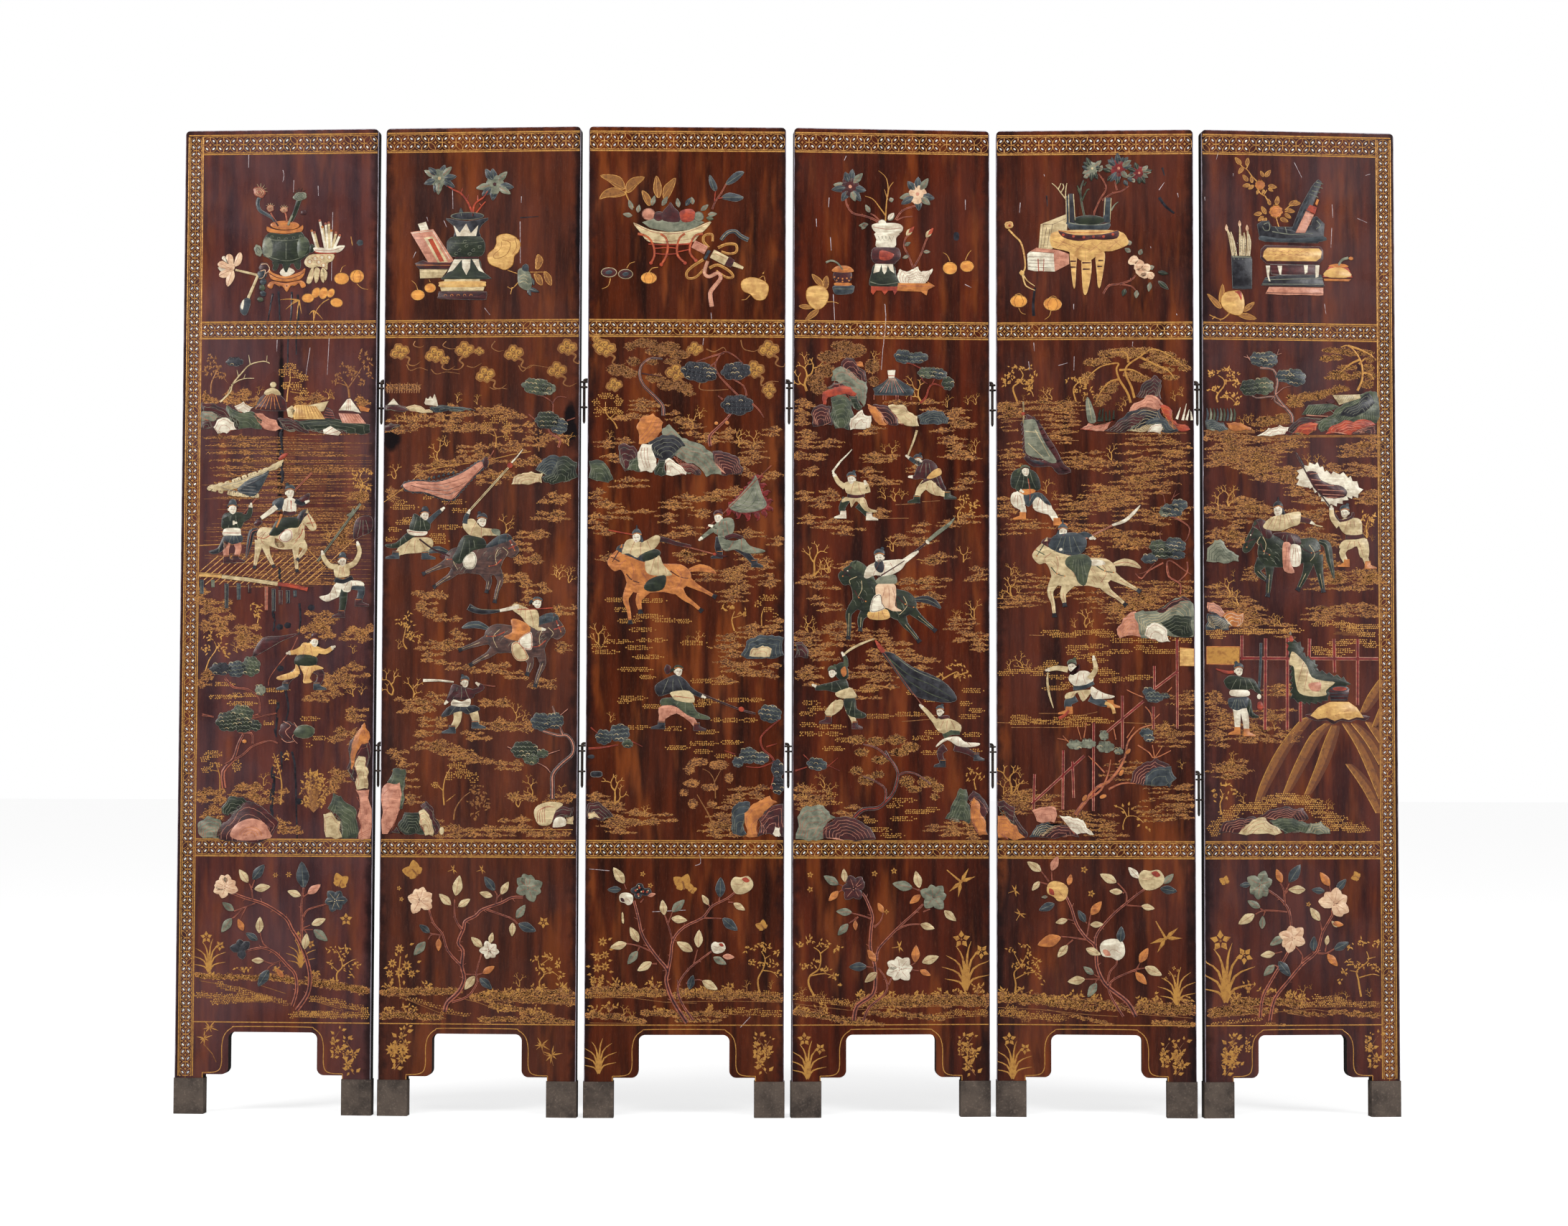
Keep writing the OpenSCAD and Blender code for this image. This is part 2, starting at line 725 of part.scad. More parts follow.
module scene_3() {
    rocks([[60, 80, 90, apricot], [110, 70, 60, bone], [160, 80, 74, sage], [220, 70, 40, wine]], 700);
    pine(286, 710, 1);
    banner(120, 560, sage, 20);
    soldier(100, 470, jade, bone);
    rider(226, 380, apricot, jade);
    weapon(250, 480, 120, 30);
    soldier(120, 230, sage, ink, 1, true);
    weapon(96, 240, 150, 30);
    pine(290, 180, 1.2, true);
    rocks([[230, 70, 60, rose], [286, 74, 90, sage]], 4);
}

module scene_4() {
    rocks([[26, 70, 48, wine], [52, 88, 140, sage], [106, 50, 40, apricot],
           [140, 60, 46, apricot], [186, 66, 46, bone], [232, 64, 36, bark]], 756);
    pavilion(184, 800);
    pine(244, 806, 1.05);
    soldier(110, 590, bone, jade, 1.05);
    weapon(80, 672, 30, -40, 24);
    soldier(244, 628, wine, bone, 1.05, true);
    weapon(206, 712, 30, -12, 30);
    rider(190, 380, jade, ivory);
    weapon(200, 460, 110, -52, 70, wine);
    soldier(110, 220, jade, bone);
    banner(250, 250, ink, -14);
    soldier(250, 140, apricot, ink, 1, true);
    rocks([[10, 70, 50, sage], [64, 60, 34, rose], [280, 80, 60, bone]], 4);
}

module scene_5() {
    rocks([[40, 70, 60, rose], [96, 80, 84, wine], [160, 70, 56, apricot], [214, 70, 40, bone]], 730);
    banner(90, 590, bone, 16);
    soldier(80, 490, sage, ink);
    rider(206, 430, bone, jade);
    weapon(226, 530, 90, -60, 60);
    rocks([[262, 60, 60, rose], [300, 60, 90, jade]], 330);
    stone(coral, 14, 300) square([150, 5]);
    stone(coral, 14, 282) square([150, 5]);
    soldier(140, 150, wine, bone);
    pine(290, 160, 1.2);
    rocks([[12, 80, 66, rose], [80, 70, 44, sage], [270, 86, 70, ivory]], 4);
}

module scene_6() {
    pine(80, 740, 1.1, true);
    rocks([[150, 60, 50, wine], [196, 70, 70, bone], [250, 60, 44, sage]], 740);
    banner(110, 560, bone, 18);
    soldier(92, 470, wine, bone);
    rider(210, 420, jade, apricot, 0.95, true);
    rocks([[12, 60, 90, sage], [56, 50, 50, rose]], 330);
    stone(coral, 120, 318) square([200, 5]);
    stone(coral, 120, 300) square([200, 5]);
    soldier(90, 180, jade, ink);
    tent(240, 120);
    stone(coral, 172, 70) circle(20);
    rocks([[12, 90, 50, sage], [280, 76, 56, rose]], 4);
}

// A small round-roofed pavilion, the middle of its floor at x and z
module pavilion(x, z) {
    for (i = [-2 : 2])
        stone(coral, x + i * 14, z) translate([-1.5, 0]) square([3, 16]);
    stone(slate, x, z + 14) turned(roof, 74, 32);
    stone(ivory, x, z + 45) turned(bowl, 16, 16);
}

// A round ribbed tent, the middle of its floor at x and z
module tent(x, z) {
    stone(apricot, x, z) turned(dome, 150, 120);
    stone(ivory, x, z + 120) turned(slab, 34, 14);
}

// A flowering camellia in the lower field, one arrangement a leaf
module camellia(n) {
    flip = n % 2 == 0;
    translate([flip ? drawn_w : 0, 0, 0])
        mirror([flip ? 1 : 0, 0, 0]) {
            branch([[206, 22], [222, 60], [214, 98], [190, 152], [150, 196], [104, 216]]);
            branch([[212, 24], [232, 66], [222, 126], [212, 176], [214, 236]], 7, 3);
            branch([[202, 92], [160, 112], [126, 118]], 5, 2.5);
            branch([[216, 190], [242, 206], [268, 214]], 4, 2);
            leaves([[124, 236, 30, 13, 20, bone], [142, 238, 34, 20, -20, slate],
                    [146, 226, 34, 12, -80, ivory], [112, 196, 24, 15, 80, slate],
                    [106, 178, 34, 14, 140, jade], [132, 174, 28, 12, 170, apricot],
                    [154, 152, 34, 13, 0, ivory], [140, 128, 26, 12, 60, slate],
                    [156, 96, 26, 12, 70, bone], [214, 240, 56, 16, 0, slate],
                    [222, 226, 32, 13, -50, rose], [210, 222, 26, 13, 70, ivory],
                    [226, 174, 32, 12, -66, bone], [226, 168, 38, 15, -120, jade],
                    [218, 160, 30, 13, 176, ivory], [168, 92, 36, 18, 160, slate]]);
            stone(n % 3 == 0 ? ivory : bone, 98, 226) blossom(24, 7);
            stone(n % 3 == 1 ? slate : rose, 272, 206) blossom(21, 6);
            stone(n % 3 == 2 ? rose : slate, 116, 116) blossom(19, 5);
        }
}

module inlays(n) {
    in_field(upper_field_z, leaf_h, drawn_upper_h) {
        if (n == 1) still_life_1();
        if (n == 2) still_life_2();
        if (n == 3) still_life_3();
        if (n == 4) still_life_4();
        if (n == 5) still_life_5();
        if (n == 6) still_life_6();
    }
    in_field(middle_field_z, leaf_h - upper_band_drop, drawn_middle_h) {
        if (n == 1) scene_1();
        if (n == 2) scene_2();
        if (n == 3) scene_3();
        if (n == 4) scene_4();
        if (n == 5) scene_5();
        if (n == 6) scene_6();
    }
    in_field(lower_field_z, lower_band_z, drawn_lower_h)
        camellia(n);
}

// ---- The nodes ----

for (n = [1 : leaf_count]) {
    on_leaf(n) stiles(n);
    on_leaf(n) planks();
    on_leaf(n) rails();
    on_leaf(n) front_lacquer();
    on_leaf(n) back_lacquer();
    on_leaf(n) inlays(n);
    on_leaf(n) foot_caps();
    on_leaf(n) eyes(n);
}
for (k = [1 : leaf_count - 1]) {
    drop_pin(k, 1);
    drop_pin(k, 0);
}
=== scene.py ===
"""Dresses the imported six-leaf lacquer screen in lacquer, gilding, pearl and cut stone.

Pictures are drawn in each leaf's own frame, in millimetres: X runs from the
leaf's left edge, Z up from the floor. A LeafPlane carries them onto the leaf.
"""

from __future__ import annotations

import logging
import math
import random
from dataclasses import dataclass, field
from enum import Enum

import bmesh
import bpy
from mathutils import Matrix, Vector


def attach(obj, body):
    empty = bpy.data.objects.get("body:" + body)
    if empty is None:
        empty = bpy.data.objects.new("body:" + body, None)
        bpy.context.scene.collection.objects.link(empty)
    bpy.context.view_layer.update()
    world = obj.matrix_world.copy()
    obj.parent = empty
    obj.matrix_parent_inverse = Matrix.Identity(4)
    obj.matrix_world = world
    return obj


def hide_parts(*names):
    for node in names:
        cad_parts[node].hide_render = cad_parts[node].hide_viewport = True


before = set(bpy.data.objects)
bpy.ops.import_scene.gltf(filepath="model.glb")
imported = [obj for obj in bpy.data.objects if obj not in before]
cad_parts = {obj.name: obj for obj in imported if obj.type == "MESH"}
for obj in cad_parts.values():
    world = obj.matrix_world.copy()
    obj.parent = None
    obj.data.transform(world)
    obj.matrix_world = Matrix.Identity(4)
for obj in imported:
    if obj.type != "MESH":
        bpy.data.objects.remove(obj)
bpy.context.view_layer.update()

logging.basicConfig(level=logging.INFO, format="%(message)s")
log = logging.getLogger("screen")

MM = 0.001
LEAF_W = 366.0
LEAF_H = 1830.0
INLAY_RISE = 1.9
EDGE_MARGIN = 1.5
BAND_TOPS = (1821.0, 1469.0, 506.0)
BAND_FEET = (1785.0, 1438.0, 475.0)
LINE_Z = 169.0
SIDE_BAND = 34.0
SIDE_MIDDLE = 20.0
SIDE_HALF = 13.5
SIDE_FOOT = 70.0
PLAIN_SIDE = 2.5
TOP_LINE_END = 6

Point = tuple[float, float]
Line = list[Point]
Colour = tuple[int, int, int]


class Tint(Enum):
    """The stones, gilding and paints of the pictures, as sRGB base and vein."""

    IVORY = ((222, 212, 190), (178, 162, 138))
    BONE = ((202, 182, 140), (158, 134, 94))
    ROSE = ((198, 138, 112), (156, 96, 74))
    APRICOT = ((194, 122, 60), (150, 84, 38))
    HONEY = ((210, 168, 100), (176, 128, 70))
    BLUSH = ((220, 188, 154), (192, 148, 114))
    UMBER = ((92, 64, 56), (54, 38, 38))
    CRIMSON = ((126, 34, 32), (92, 24, 26))
    # EDGE is a painted highlight round the rims of large dark stones, and the pale fold lines of banners.
    EDGE = ((146, 140, 132), (104, 100, 96))
    WASH = ((174, 116, 56), (78, 39, 22))
    AMBER = ((220, 152, 70), (184, 112, 46))
    DUST = ((136, 84, 40), (106, 60, 30))
    SHEEN = ((104, 56, 29), (88, 44, 25))
    SAGE = ((128, 128, 108), (84, 88, 72))
    MOSS = ((78, 84, 62), (44, 52, 40))
    JADE = ((48, 54, 40), (26, 32, 24))
    SLATE = ((66, 72, 76), (34, 40, 46))
    INK = ((32, 30, 34), (54, 54, 60))
    WINE = ((78, 36, 36), (46, 22, 26))
    CORAL = ((172, 70, 44), (120, 40, 30))
    PEARL = ((214, 210, 198), (168, 170, 176))
    GOLD = ((200, 146, 70), (152, 98, 42))
    DULL = ((156, 104, 54), (110, 66, 34))
    LINE = ((46, 22, 16), (30, 16, 14))
    SCRATCH = ((190, 176, 178), (120, 100, 104))
    BARK = ((168, 96, 72), (118, 60, 46))
    SOOT = ((22, 19, 24), (36, 34, 44))


# ---------------------------------------------------------------- outlines


def held(points: Line) -> Line:
    """Keeps an outline on the leaf's face."""
    return [(min(max(x, EDGE_MARGIN), LEAF_W - EDGE_MARGIN), z) for x, z in points]


def spline(points: Line, steps: int = 4, closed: bool = False) -> Line:
    """Runs a smooth line through points.

    Args:
        points: The points that the line passes.
        steps: Points made for each span.
        closed: Whether the line returns to its start.

    Returns:
        The line's points.
    """
    count = len(points)
    if count < 3:
        return list(points)
    spans = count if closed else count - 1
    line: Line = []
    for i in range(spans):
        if closed:
            a, b, c, d = (points[(i + k) % count] for k in (-1, 0, 1, 2))
        else:
            a, b = points[max(i - 1, 0)], points[i]
            c, d = points[i + 1], points[min(i + 2, count - 1)]
        for s in range(steps):
            t = s / steps
            line.append(
                tuple(
                    0.5
                    * (
                        2 * b[k]
                        + (c[k] - a[k]) * t
                        + (2 * a[k] - 5 * b[k] + 4 * c[k] - d[k]) * t * t
                        + (3 * b[k] - a[k] - 3 * c[k] + d[k]) * t**3
                    )
                    for k in (0, 1)
                )
            )
    if not closed:
        line.append(tuple(points[-1]))
    return line


def ribbon(points: Line, widths: list[float]) -> Line:
    """Gives the outline of a limb or band along points.

    Args:
        points: Its middle line.
        widths: Its whole width at each point, or at its two ends.

    Returns:
        A closed outline.
    """
    if len(widths) < len(points):
        w0, w1 = widths[0], widths[-1]
        last = len(points) - 1
        widths = [w0 + (w1 - w0) * i / last for i in range(last + 1)]
    line = spline(points, 3)
    span = (len(widths) - 1) / max(len(line) - 1, 1)
    left: Line = []
    right: Line = []
    for i, (x, z) in enumerate(line):
        a, b = line[max(i - 1, 0)], line[min(i + 1, len(line) - 1)]
        dx, dz = b[0] - a[0], b[1] - a[1]
        size = math.hypot(dx, dz) or 1.0
        at = i * span
        low = min(int(at), len(widths) - 2)
        half = (widths[low] + (widths[low + 1] - widths[low]) * (at - low)) / 2
        left.append((x - dz / size * half, z + dx / size * half))
        right.append((x + dz / size * half, z - dx / size * half))
    return left + right[::-1]


def ellipse(
    x: float, z: float, rx: float, rz: float = 0, turn: float = 0, n: int = 18
) -> Line:
    """Gives a turned ellipse, a circle where rz is 0."""
    rz = rz or rx
    c, s = math.cos(math.radians(turn)), math.sin(math.radians(turn))
    angles = (2 * math.pi * i / n for i in range(n))
    dots = ((rx * math.cos(a), rz * math.sin(a)) for a in angles)
    return [(x + p * c - q * s, z + p * s + q * c) for p, q in dots]


def place(shape: Line, x: float, z: float, turn: float = 0, size: float = 1) -> Line:
    """Moves an outline drawn about the origin to x and z, turned and sized."""
    c, s = math.cos(math.radians(turn)) * size, math.sin(math.radians(turn)) * size
    return [(x + p * c - q * s, z + p * s + q * c) for p, q in shape]


def lens(x: float, z: float, length: float, width: float, turn: float) -> Line:
    """Gives a leaf's outline from its stalk at x and z, pointing along turn."""
    half = [(0, 0), (0.16, 0.3), (0.42, 0.5), (0.72, 0.34), (1, 0)]
    side = [(length * a, width * b) for a, b in half]
    shape = side[:-1] + [(length, 0)] + [(a, -b) for a, b in side[-2:0:-1]]
    return place(shape, x, z, turn)


def scallop(x: float, z: float, rx: float, rz: float, lobes: int, turn: float = 0) -> Line:
    """Gives a cloud-like outline with rounded lobes."""
    line: Line = []
    for i in range(lobes * 4):
        a = 2 * math.pi * i / (lobes * 4)
        swell = 0.86 + 0.14 * abs(math.sin(lobes * a / 2))
        line.append((rx * swell * math.cos(a), rz * swell * math.sin(a)))
    return place(line, x, z, turn)


def jag(points: Line, seed: int, amount: float = 0.12) -> Line:
    """Breaks a closed outline's sides as rough rock.

    Args:
        points: The rock's corners.
        seed: Picks the breaks.
        amount: How far a break leaves its side, as a share of it.

    Returns:
        The broken outline.
    """
    rng = random.Random(seed)
    line = list(points)
    for _ in range(2):
        broken: Line = []
        for i, (x, z) in enumerate(line):
            p, q = line[(i + 1) % len(line)]
            shift = rng.uniform(-amount, amount)
            mid = rng.uniform(0.38, 0.62)
            broken.append((x, z))
            broken.append(
                (x + (p - x) * mid - (q - z) * shift, z + (q - z) * mid + (p - x) * shift)
            )
        line = broken
    return line


def area(line: Line) -> float:
    """Gives an outline's area, positive where it runs left round."""
    return 0.5 * sum(
        a[0] * b[1] - b[0] * a[1] for a, b in zip(line, line[1:] + line[:1])
    )


def inside(x: float, z: float, line: Line) -> bool:
    """Says whether a point lies inside an outline."""
    hit = False
    for (a, b), (c, d) in zip(line, line[1:] + line[:1]):
        if (b > z) != (d > z) and x < (c - a) * (z - b) / (d - b) + a:
            hit = not hit
    return hit


# ---------------------------------------------------------------- the leaf's frame


@dataclass
class LeafPlane:
    """Where a leaf's painted face stands.

    Attributes:
        number: The leaf, from 1 at the left.
        matrix: Takes X, Z and the rise off the face, in mm, into the frame.
        turn: How far the leaf is turned about the upright, in radians.
        origin: The face's lower left corner.
    """

    number: int
    matrix: Matrix = field(init=False)
    turn: float = field(init=False)
    origin: Vector = field(init=False)

    def __post_init__(self) -> None:
        """Reads the leaf's face off its lacquer node."""
        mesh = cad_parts[f"panel_{self.number}_front_lacquer"].data
        face = max((f for f in mesh.polygons if f.normal.y < -0.5), key=lambda f: f.area)
        out = face.normal.copy()
        out.z = 0
        out.normalize()
        across = Vector((-out.y, out.x, 0))
        depth = max(v.co.dot(out) for v in mesh.vertices)
        left = min(v.co.dot(across) for v in mesh.vertices)
        self.origin = out * depth + across * left
        self.turn = math.atan2(across.y, across.x)
        self.matrix = Matrix.Translation(self.origin) @ Matrix(
            (
                (across.x * MM, 0, out.x * MM, 0),
                (across.y * MM, 0, out.y * MM, 0),
                (0, MM, 0, 0),
                (0, 0, 0, 1),
            )
        )

    @property
    def body(self) -> str:
        """Names the body that the leaf's pieces ride on."""
        return f"panel_{self.number}"

    @property
    def inlays(self) -> str:
        """Names the CAD node that the leaf's stones stand for."""
        return f"panel_{self.number}_inlays"


# ---------------------------------------------------------------- finishes


def linear(colour: Colour) -> tuple[float, float, float, float]:
    """Turns an sRGB colour from 0 to 255 into a linear one with alpha."""
    parts = [c / 255 for c in colour]
    return tuple(
        c / 12.92 if c <= 0.04045 else ((c + 0.055) / 1.055) ** 2.4 for c in parts
    ) + (1.0,)


class Shop:
    """Builds one material's nodes."""

    def __init__(self, name: str) -> None:
        """Starts a material with its shader alone."""
        self.material = bpy.data.materials.new(name)
        self.material.use_nodes = True
        self.tree = self.material.node_tree
        self.shader = self.tree.nodes["Principled BSDF"]

    def add(self, kind: str, **values: object) -> bpy.types.Node:
        """Adds a node and sets its properties, or its sockets by name."""
        made = self.tree.nodes.new(f"ShaderNode{kind}")
        for name, value in values.items():
            if hasattr(made, name):
                setattr(made, name, value)
            else:
                self.feed(made.inputs[name.replace("_", " ").title()], value)
        return made

    def feed(self, socket: bpy.types.NodeSocket, value: object) -> None:
        """Links an output to a socket, or sets the socket's value."""
        if isinstance(value, bpy.types.NodeSocket):
            self.tree.links.new(value, socket)
        else:
            socket.default_value = value

    def place(self, shift: Vector | tuple = (0, 0, 0), turn: float = 0) -> bpy.types.NodeSocket:
        """Gives Object coordinates, shifted and turned about the upright."""
        spot = self.add("TexCoord").outputs["Object"]
        return self.add(
            "Mapping", Vector=spot, Location=tuple(shift), Rotation=(0, 0, turn)
        ).outputs[0]

    def scale(self, spot: bpy.types.NodeSocket, size: tuple) -> bpy.types.NodeSocket:
        """Scales coordinates, each axis by its own factor."""
        return self.add("Mapping", Vector=spot, Scale=size).outputs[0]

    def noise(
        self, spot: bpy.types.NodeSocket, scale: float, detail: float = 3
    ) -> bpy.types.NodeSocket:
        """Gives a noise from 0 to 1."""
        return self.add(
            "TexNoise", Vector=spot, Scale=scale, Detail=detail, Roughness=0.6
        ).outputs[0]

    def ramp(
        self, value: bpy.types.NodeSocket, low: float, high: float
    ) -> bpy.types.NodeSocket:
        """Stretches a value so that low gives 0 and high gives 1."""
        made = self.add("MapRange", interpolation_type="SMOOTHSTEP")
        for name, given in (("Value", value), ("From Min", low), ("From Max", high)):
            self.feed(made.inputs[name], given)
        return made.outputs[0]

    def mix(self, share: object, first: object, second: object) -> bpy.types.NodeSocket:
        """Mixes two colours."""
        made = self.add("Mix", data_type="RGBA")
        for index, value in ((0, share), (6, first), (7, second)):
            self.feed(made.inputs[index], value)
        return made.outputs[2]

    def maths(self, work: str, first: object, second: object = 0.0) -> bpy.types.NodeSocket:
        """Does sums on two values."""
        made = self.add("Math", operation=work)
        self.feed(made.inputs[0], first)
        self.feed(made.inputs[1], second)
        return made.outputs[0]

    def dress(
        self, colour: object, rough: object, bump: object = None, depth: float = 0.0002
    ) -> bpy.types.Material:
        """Feeds the shader and gives the finished material."""
        self.feed(self.shader.inputs["Base Color"], colour)
        self.feed(self.shader.inputs["Roughness"], rough)
        if bump is not None:
            made = self.add("Bump", Height=bump, Distance=depth, Strength=0.6)
            self.feed(self.shader.inputs["Normal"], made.outputs[0])
        return self.material


DARK_STONES = (Tint.JADE, Tint.MOSS, Tint.SLATE, Tint.INK, Tint.WINE, Tint.UMBER)
PAINTS = (Tint.GOLD, Tint.DULL, Tint.DUST, Tint.SHEEN, Tint.LINE, Tint.SCRATCH)


@dataclass(frozen=True)
class StoneFinish:
    """A cut stone, or the gilding and paint laid on with it.

    Attributes:
        tint: Which of the picture's materials it is.
    """

    tint: Tint

    def material(self) -> bpy.types.Material:
        """Makes the material, or finds it if it is made already."""
        name = self.tint.name.lower()
        found = bpy.data.materials.get(name)
        if found:
            return found
        if self.tint is Tint.WASH:
            return self.wash(name)
        return self.gilt(name) if self.is_gilt() else self.stone(name)

    def is_gilt(self) -> bool:
        """Says whether the finish is gold or paint rather than stone."""
        return self.tint in PAINTS

    def stone(self, name: str) -> bpy.types.Material:
        """Makes a mottled, veined stone, with pale streaks painted as its polish's sheen."""
        shop = Shop(name)
        base, vein = (linear(c) for c in self.tint.value)
        spot = shop.place()
        cloud = shop.ramp(shop.noise(spot, 70, 4), 0.35, 0.68)
        fleck = shop.ramp(shop.noise(spot, 420, 3), 0.45, 0.75)
        streak = shop.noise(shop.scale(spot, (40, 40, 190)), 1, 4)
        colour = shop.mix(cloud, base, vein)
        colour = shop.mix(shop.maths("MULTIPLY", fleck, 0.3), colour, vein)
        # Pale streaks painted as a sheen of light on the polished stone.
        pale = tuple(min(1.0, c * 1.5 + 0.02) for c in base[:3]) + (1.0,)
        shine = shop.maths("MULTIPLY", shop.ramp(streak, 0.5, 0.72), 0.55)
        colour = shop.mix(shine, colour, pale)
        rough = shop.maths("ADD", 0.3, shop.maths("MULTIPLY", cloud, 0.18))
        return shop.dress(colour, rough, shop.noise(spot, 300, 4), 0.0003)

    def wash(self, name: str) -> bpy.types.Material:
        """Makes a bank of gilt ticks, brushed on too finely to lay one by one."""
        shop = Shop(name)
        base, vein = (linear(c) for c in self.tint.value)
        spot = shop.place()
        tick = shop.noise(shop.scale(spot, (300, 300, 620)), 1, 2)
        patch = shop.maths("MULTIPLY", shop.noise(spot, 38, 3), 0.22)
        colour = shop.mix(shop.ramp(shop.maths("ADD", tick, patch), 0.6, 0.66), vein, base)
        return shop.dress(colour, 0.42)

    def gilt(self, name: str) -> bpy.types.Material:
        """Makes rubbed gold or paint that lets some lacquer through."""
        shop = Shop(name)
        base, vein = (linear(c) for c in self.tint.value)
        spot = shop.place()
        rub = shop.ramp(shop.noise(spot, 160, 5), 0.42, 0.72)
        patch = shop.ramp(shop.noise(spot, 14, 3), 0.4, 0.75)
        colour = shop.mix(rub, base, vein)
        colour = shop.mix(shop.maths("MULTIPLY", patch, 0.35), colour, vein)
        if self.tint in (Tint.GOLD, Tint.DULL):
            shop.shader.inputs["Metallic"].default_value = 0.25
        return shop.dress(colour, shop.maths("ADD", 0.38, shop.maths("MULTIPLY", rub, 0.2)))


@dataclass(frozen=True)
class LacquerFinish:
    """A leaf's old red-brown lacquer.

    Attributes:
        plane: The leaf that it lies on.
        ground: Its main colour.
        deep: The colour of its dark streaks.
        glow: How strong its orange streaks are.
        painted_sheen: How strongly a grey painted sheen, standing for reflected light, clouds its surface.
        blots: Dark repairs: X, Z, half width and half height in mm.
    """

    plane: LeafPlane
    ground: Colour
    deep: Colour
    glow: float
    painted_sheen: float
    blots: tuple[tuple[float, float, float, float], ...] = ()

    def material(self) -> bpy.types.Material:
        """Makes the streaked, worn lacquer in the leaf's own coordinates."""
        shop = Shop(f"lacquer_{self.plane.number}")
        back = Matrix.Rotation(-self.plane.turn, 4, "Z")
        spot = shop.place(-(back @ self.plane.origin), -self.plane.turn)
        seed = 3.7 * self.plane.number
        shifted = shop.add("VectorMath", operation="ADD")
        shop.feed(shifted.inputs[0], spot)
        shop.feed(shifted.inputs[1], (seed, seed, 0))
        other = shifted.outputs[0]
        streak = shop.ramp(shop.noise(shop.scale(other, (38, 1, 3.4)), 1, 4), 0.27, 0.76)
        broad = shop.ramp(shop.noise(shop.scale(other, (24, 1, 4.2)), 1, 3), 0.5, 0.72)
        cloud = shop.ramp(shop.noise(other, 6, 5), 0.3, 0.8)
        grain = shop.noise(shop.scale(other, (700, 1, 90)), 1, 3)
        colour = shop.mix(streak, linear(self.deep), linear(self.ground))
        glow = shop.maths("MULTIPLY", broad, self.glow)
        colour = shop.mix(glow, colour, linear((138, 68, 24)))
        pepper = shop.maths("MULTIPLY", shop.ramp(grain, 0.5, 0.8), 0.16)
        colour = shop.mix(pepper, colour, linear((128, 84, 66)))
        # A grey painted sheen, standing for reflected light, clouded over the leaf.
        colour = shop.mix(
            shop.maths("MULTIPLY", cloud, self.painted_sheen), colour, linear((92, 74, 82))
        )
        # Painted shade along the side edges where the leaves meet, with the dark repairs.
        colour = shop.mix(self.shadow(shop, spot, other), colour, linear((20, 13, 15)))
        colour = shop.mix(self.wear(shop, spot, other), colour, linear((160, 152, 162)))
        rough = shop.maths("ADD", 0.22, shop.maths("MULTIPLY", cloud, 0.14))
        shop.shader.inputs["Specular IOR Level"].default_value = 0.3
        return shop.dress(colour, rough, grain, 0.00008)

    def shadow(
        self, shop: Shop, spot: bpy.types.NodeSocket, other: bpy.types.NodeSocket
    ) -> bpy.types.NodeSocket:
        """Gives the painted shade along the leaf's side edges, where the leaves meet, and the dark repairs.
        """
        parts = shop.add("SeparateXYZ", Vector=spot)
        x, z = parts.outputs[0], parts.outputs[2]
        far = shop.maths("SUBTRACT", LEAF_W * MM, x)
        edge = shop.maths("MINIMUM", x, far)
        ragged = shop.maths("MULTIPLY", shop.noise(other, 40, 4), 0.034)
        dark = shop.ramp(shop.maths("SUBTRACT", ragged, edge), -0.002, 0.016)
        dark = shop.maths("MULTIPLY", dark, 0.75)
        for bx, bz, rx, rz in self.blots:
            dx = shop.maths("DIVIDE", shop.maths("SUBTRACT", x, bx * MM), rx * MM)
            dz = shop.maths("DIVIDE", shop.maths("SUBTRACT", z, bz * MM), rz * MM)
            gone = shop.maths(
                "ADD", shop.maths("MULTIPLY", dx, dx), shop.maths("MULTIPLY", dz, dz)
            )
            gone = shop.maths(
                "ADD", gone, shop.maths("MULTIPLY", shop.noise(other, 30, 4), 1.4)
            )
            dark = shop.maths("MAXIMUM", dark, shop.maths("SUBTRACT", 1.0, shop.ramp(gone, 0.9, 1.7)))
        return dark

    def wear(
        self, shop: Shop, spot: bpy.types.NodeSocket, other: bpy.types.NodeSocket
    ) -> bpy.types.NodeSocket:
        """Gives where the arrises are rubbed pale."""
        parts = shop.add("SeparateXYZ", Vector=spot)
        x, z = parts.outputs[0], parts.outputs[2]
        far = shop.maths("SUBTRACT", LEAF_W * MM, x)
        top = shop.maths("SUBTRACT", LEAF_H * MM, z)
        edge = shop.maths("MINIMUM", shop.maths("MINIMUM", x, far), top)
        rubbed = shop.maths("MULTIPLY", shop.noise(shop.scale(other, (1, 1, 0.35)), 90, 4), 0.0028)
        worn = shop.ramp(shop.maths("SUBTRACT", rubbed, edge), 0.0, 0.0007)
        return shop.maths("MULTIPLY", worn, 0.8)


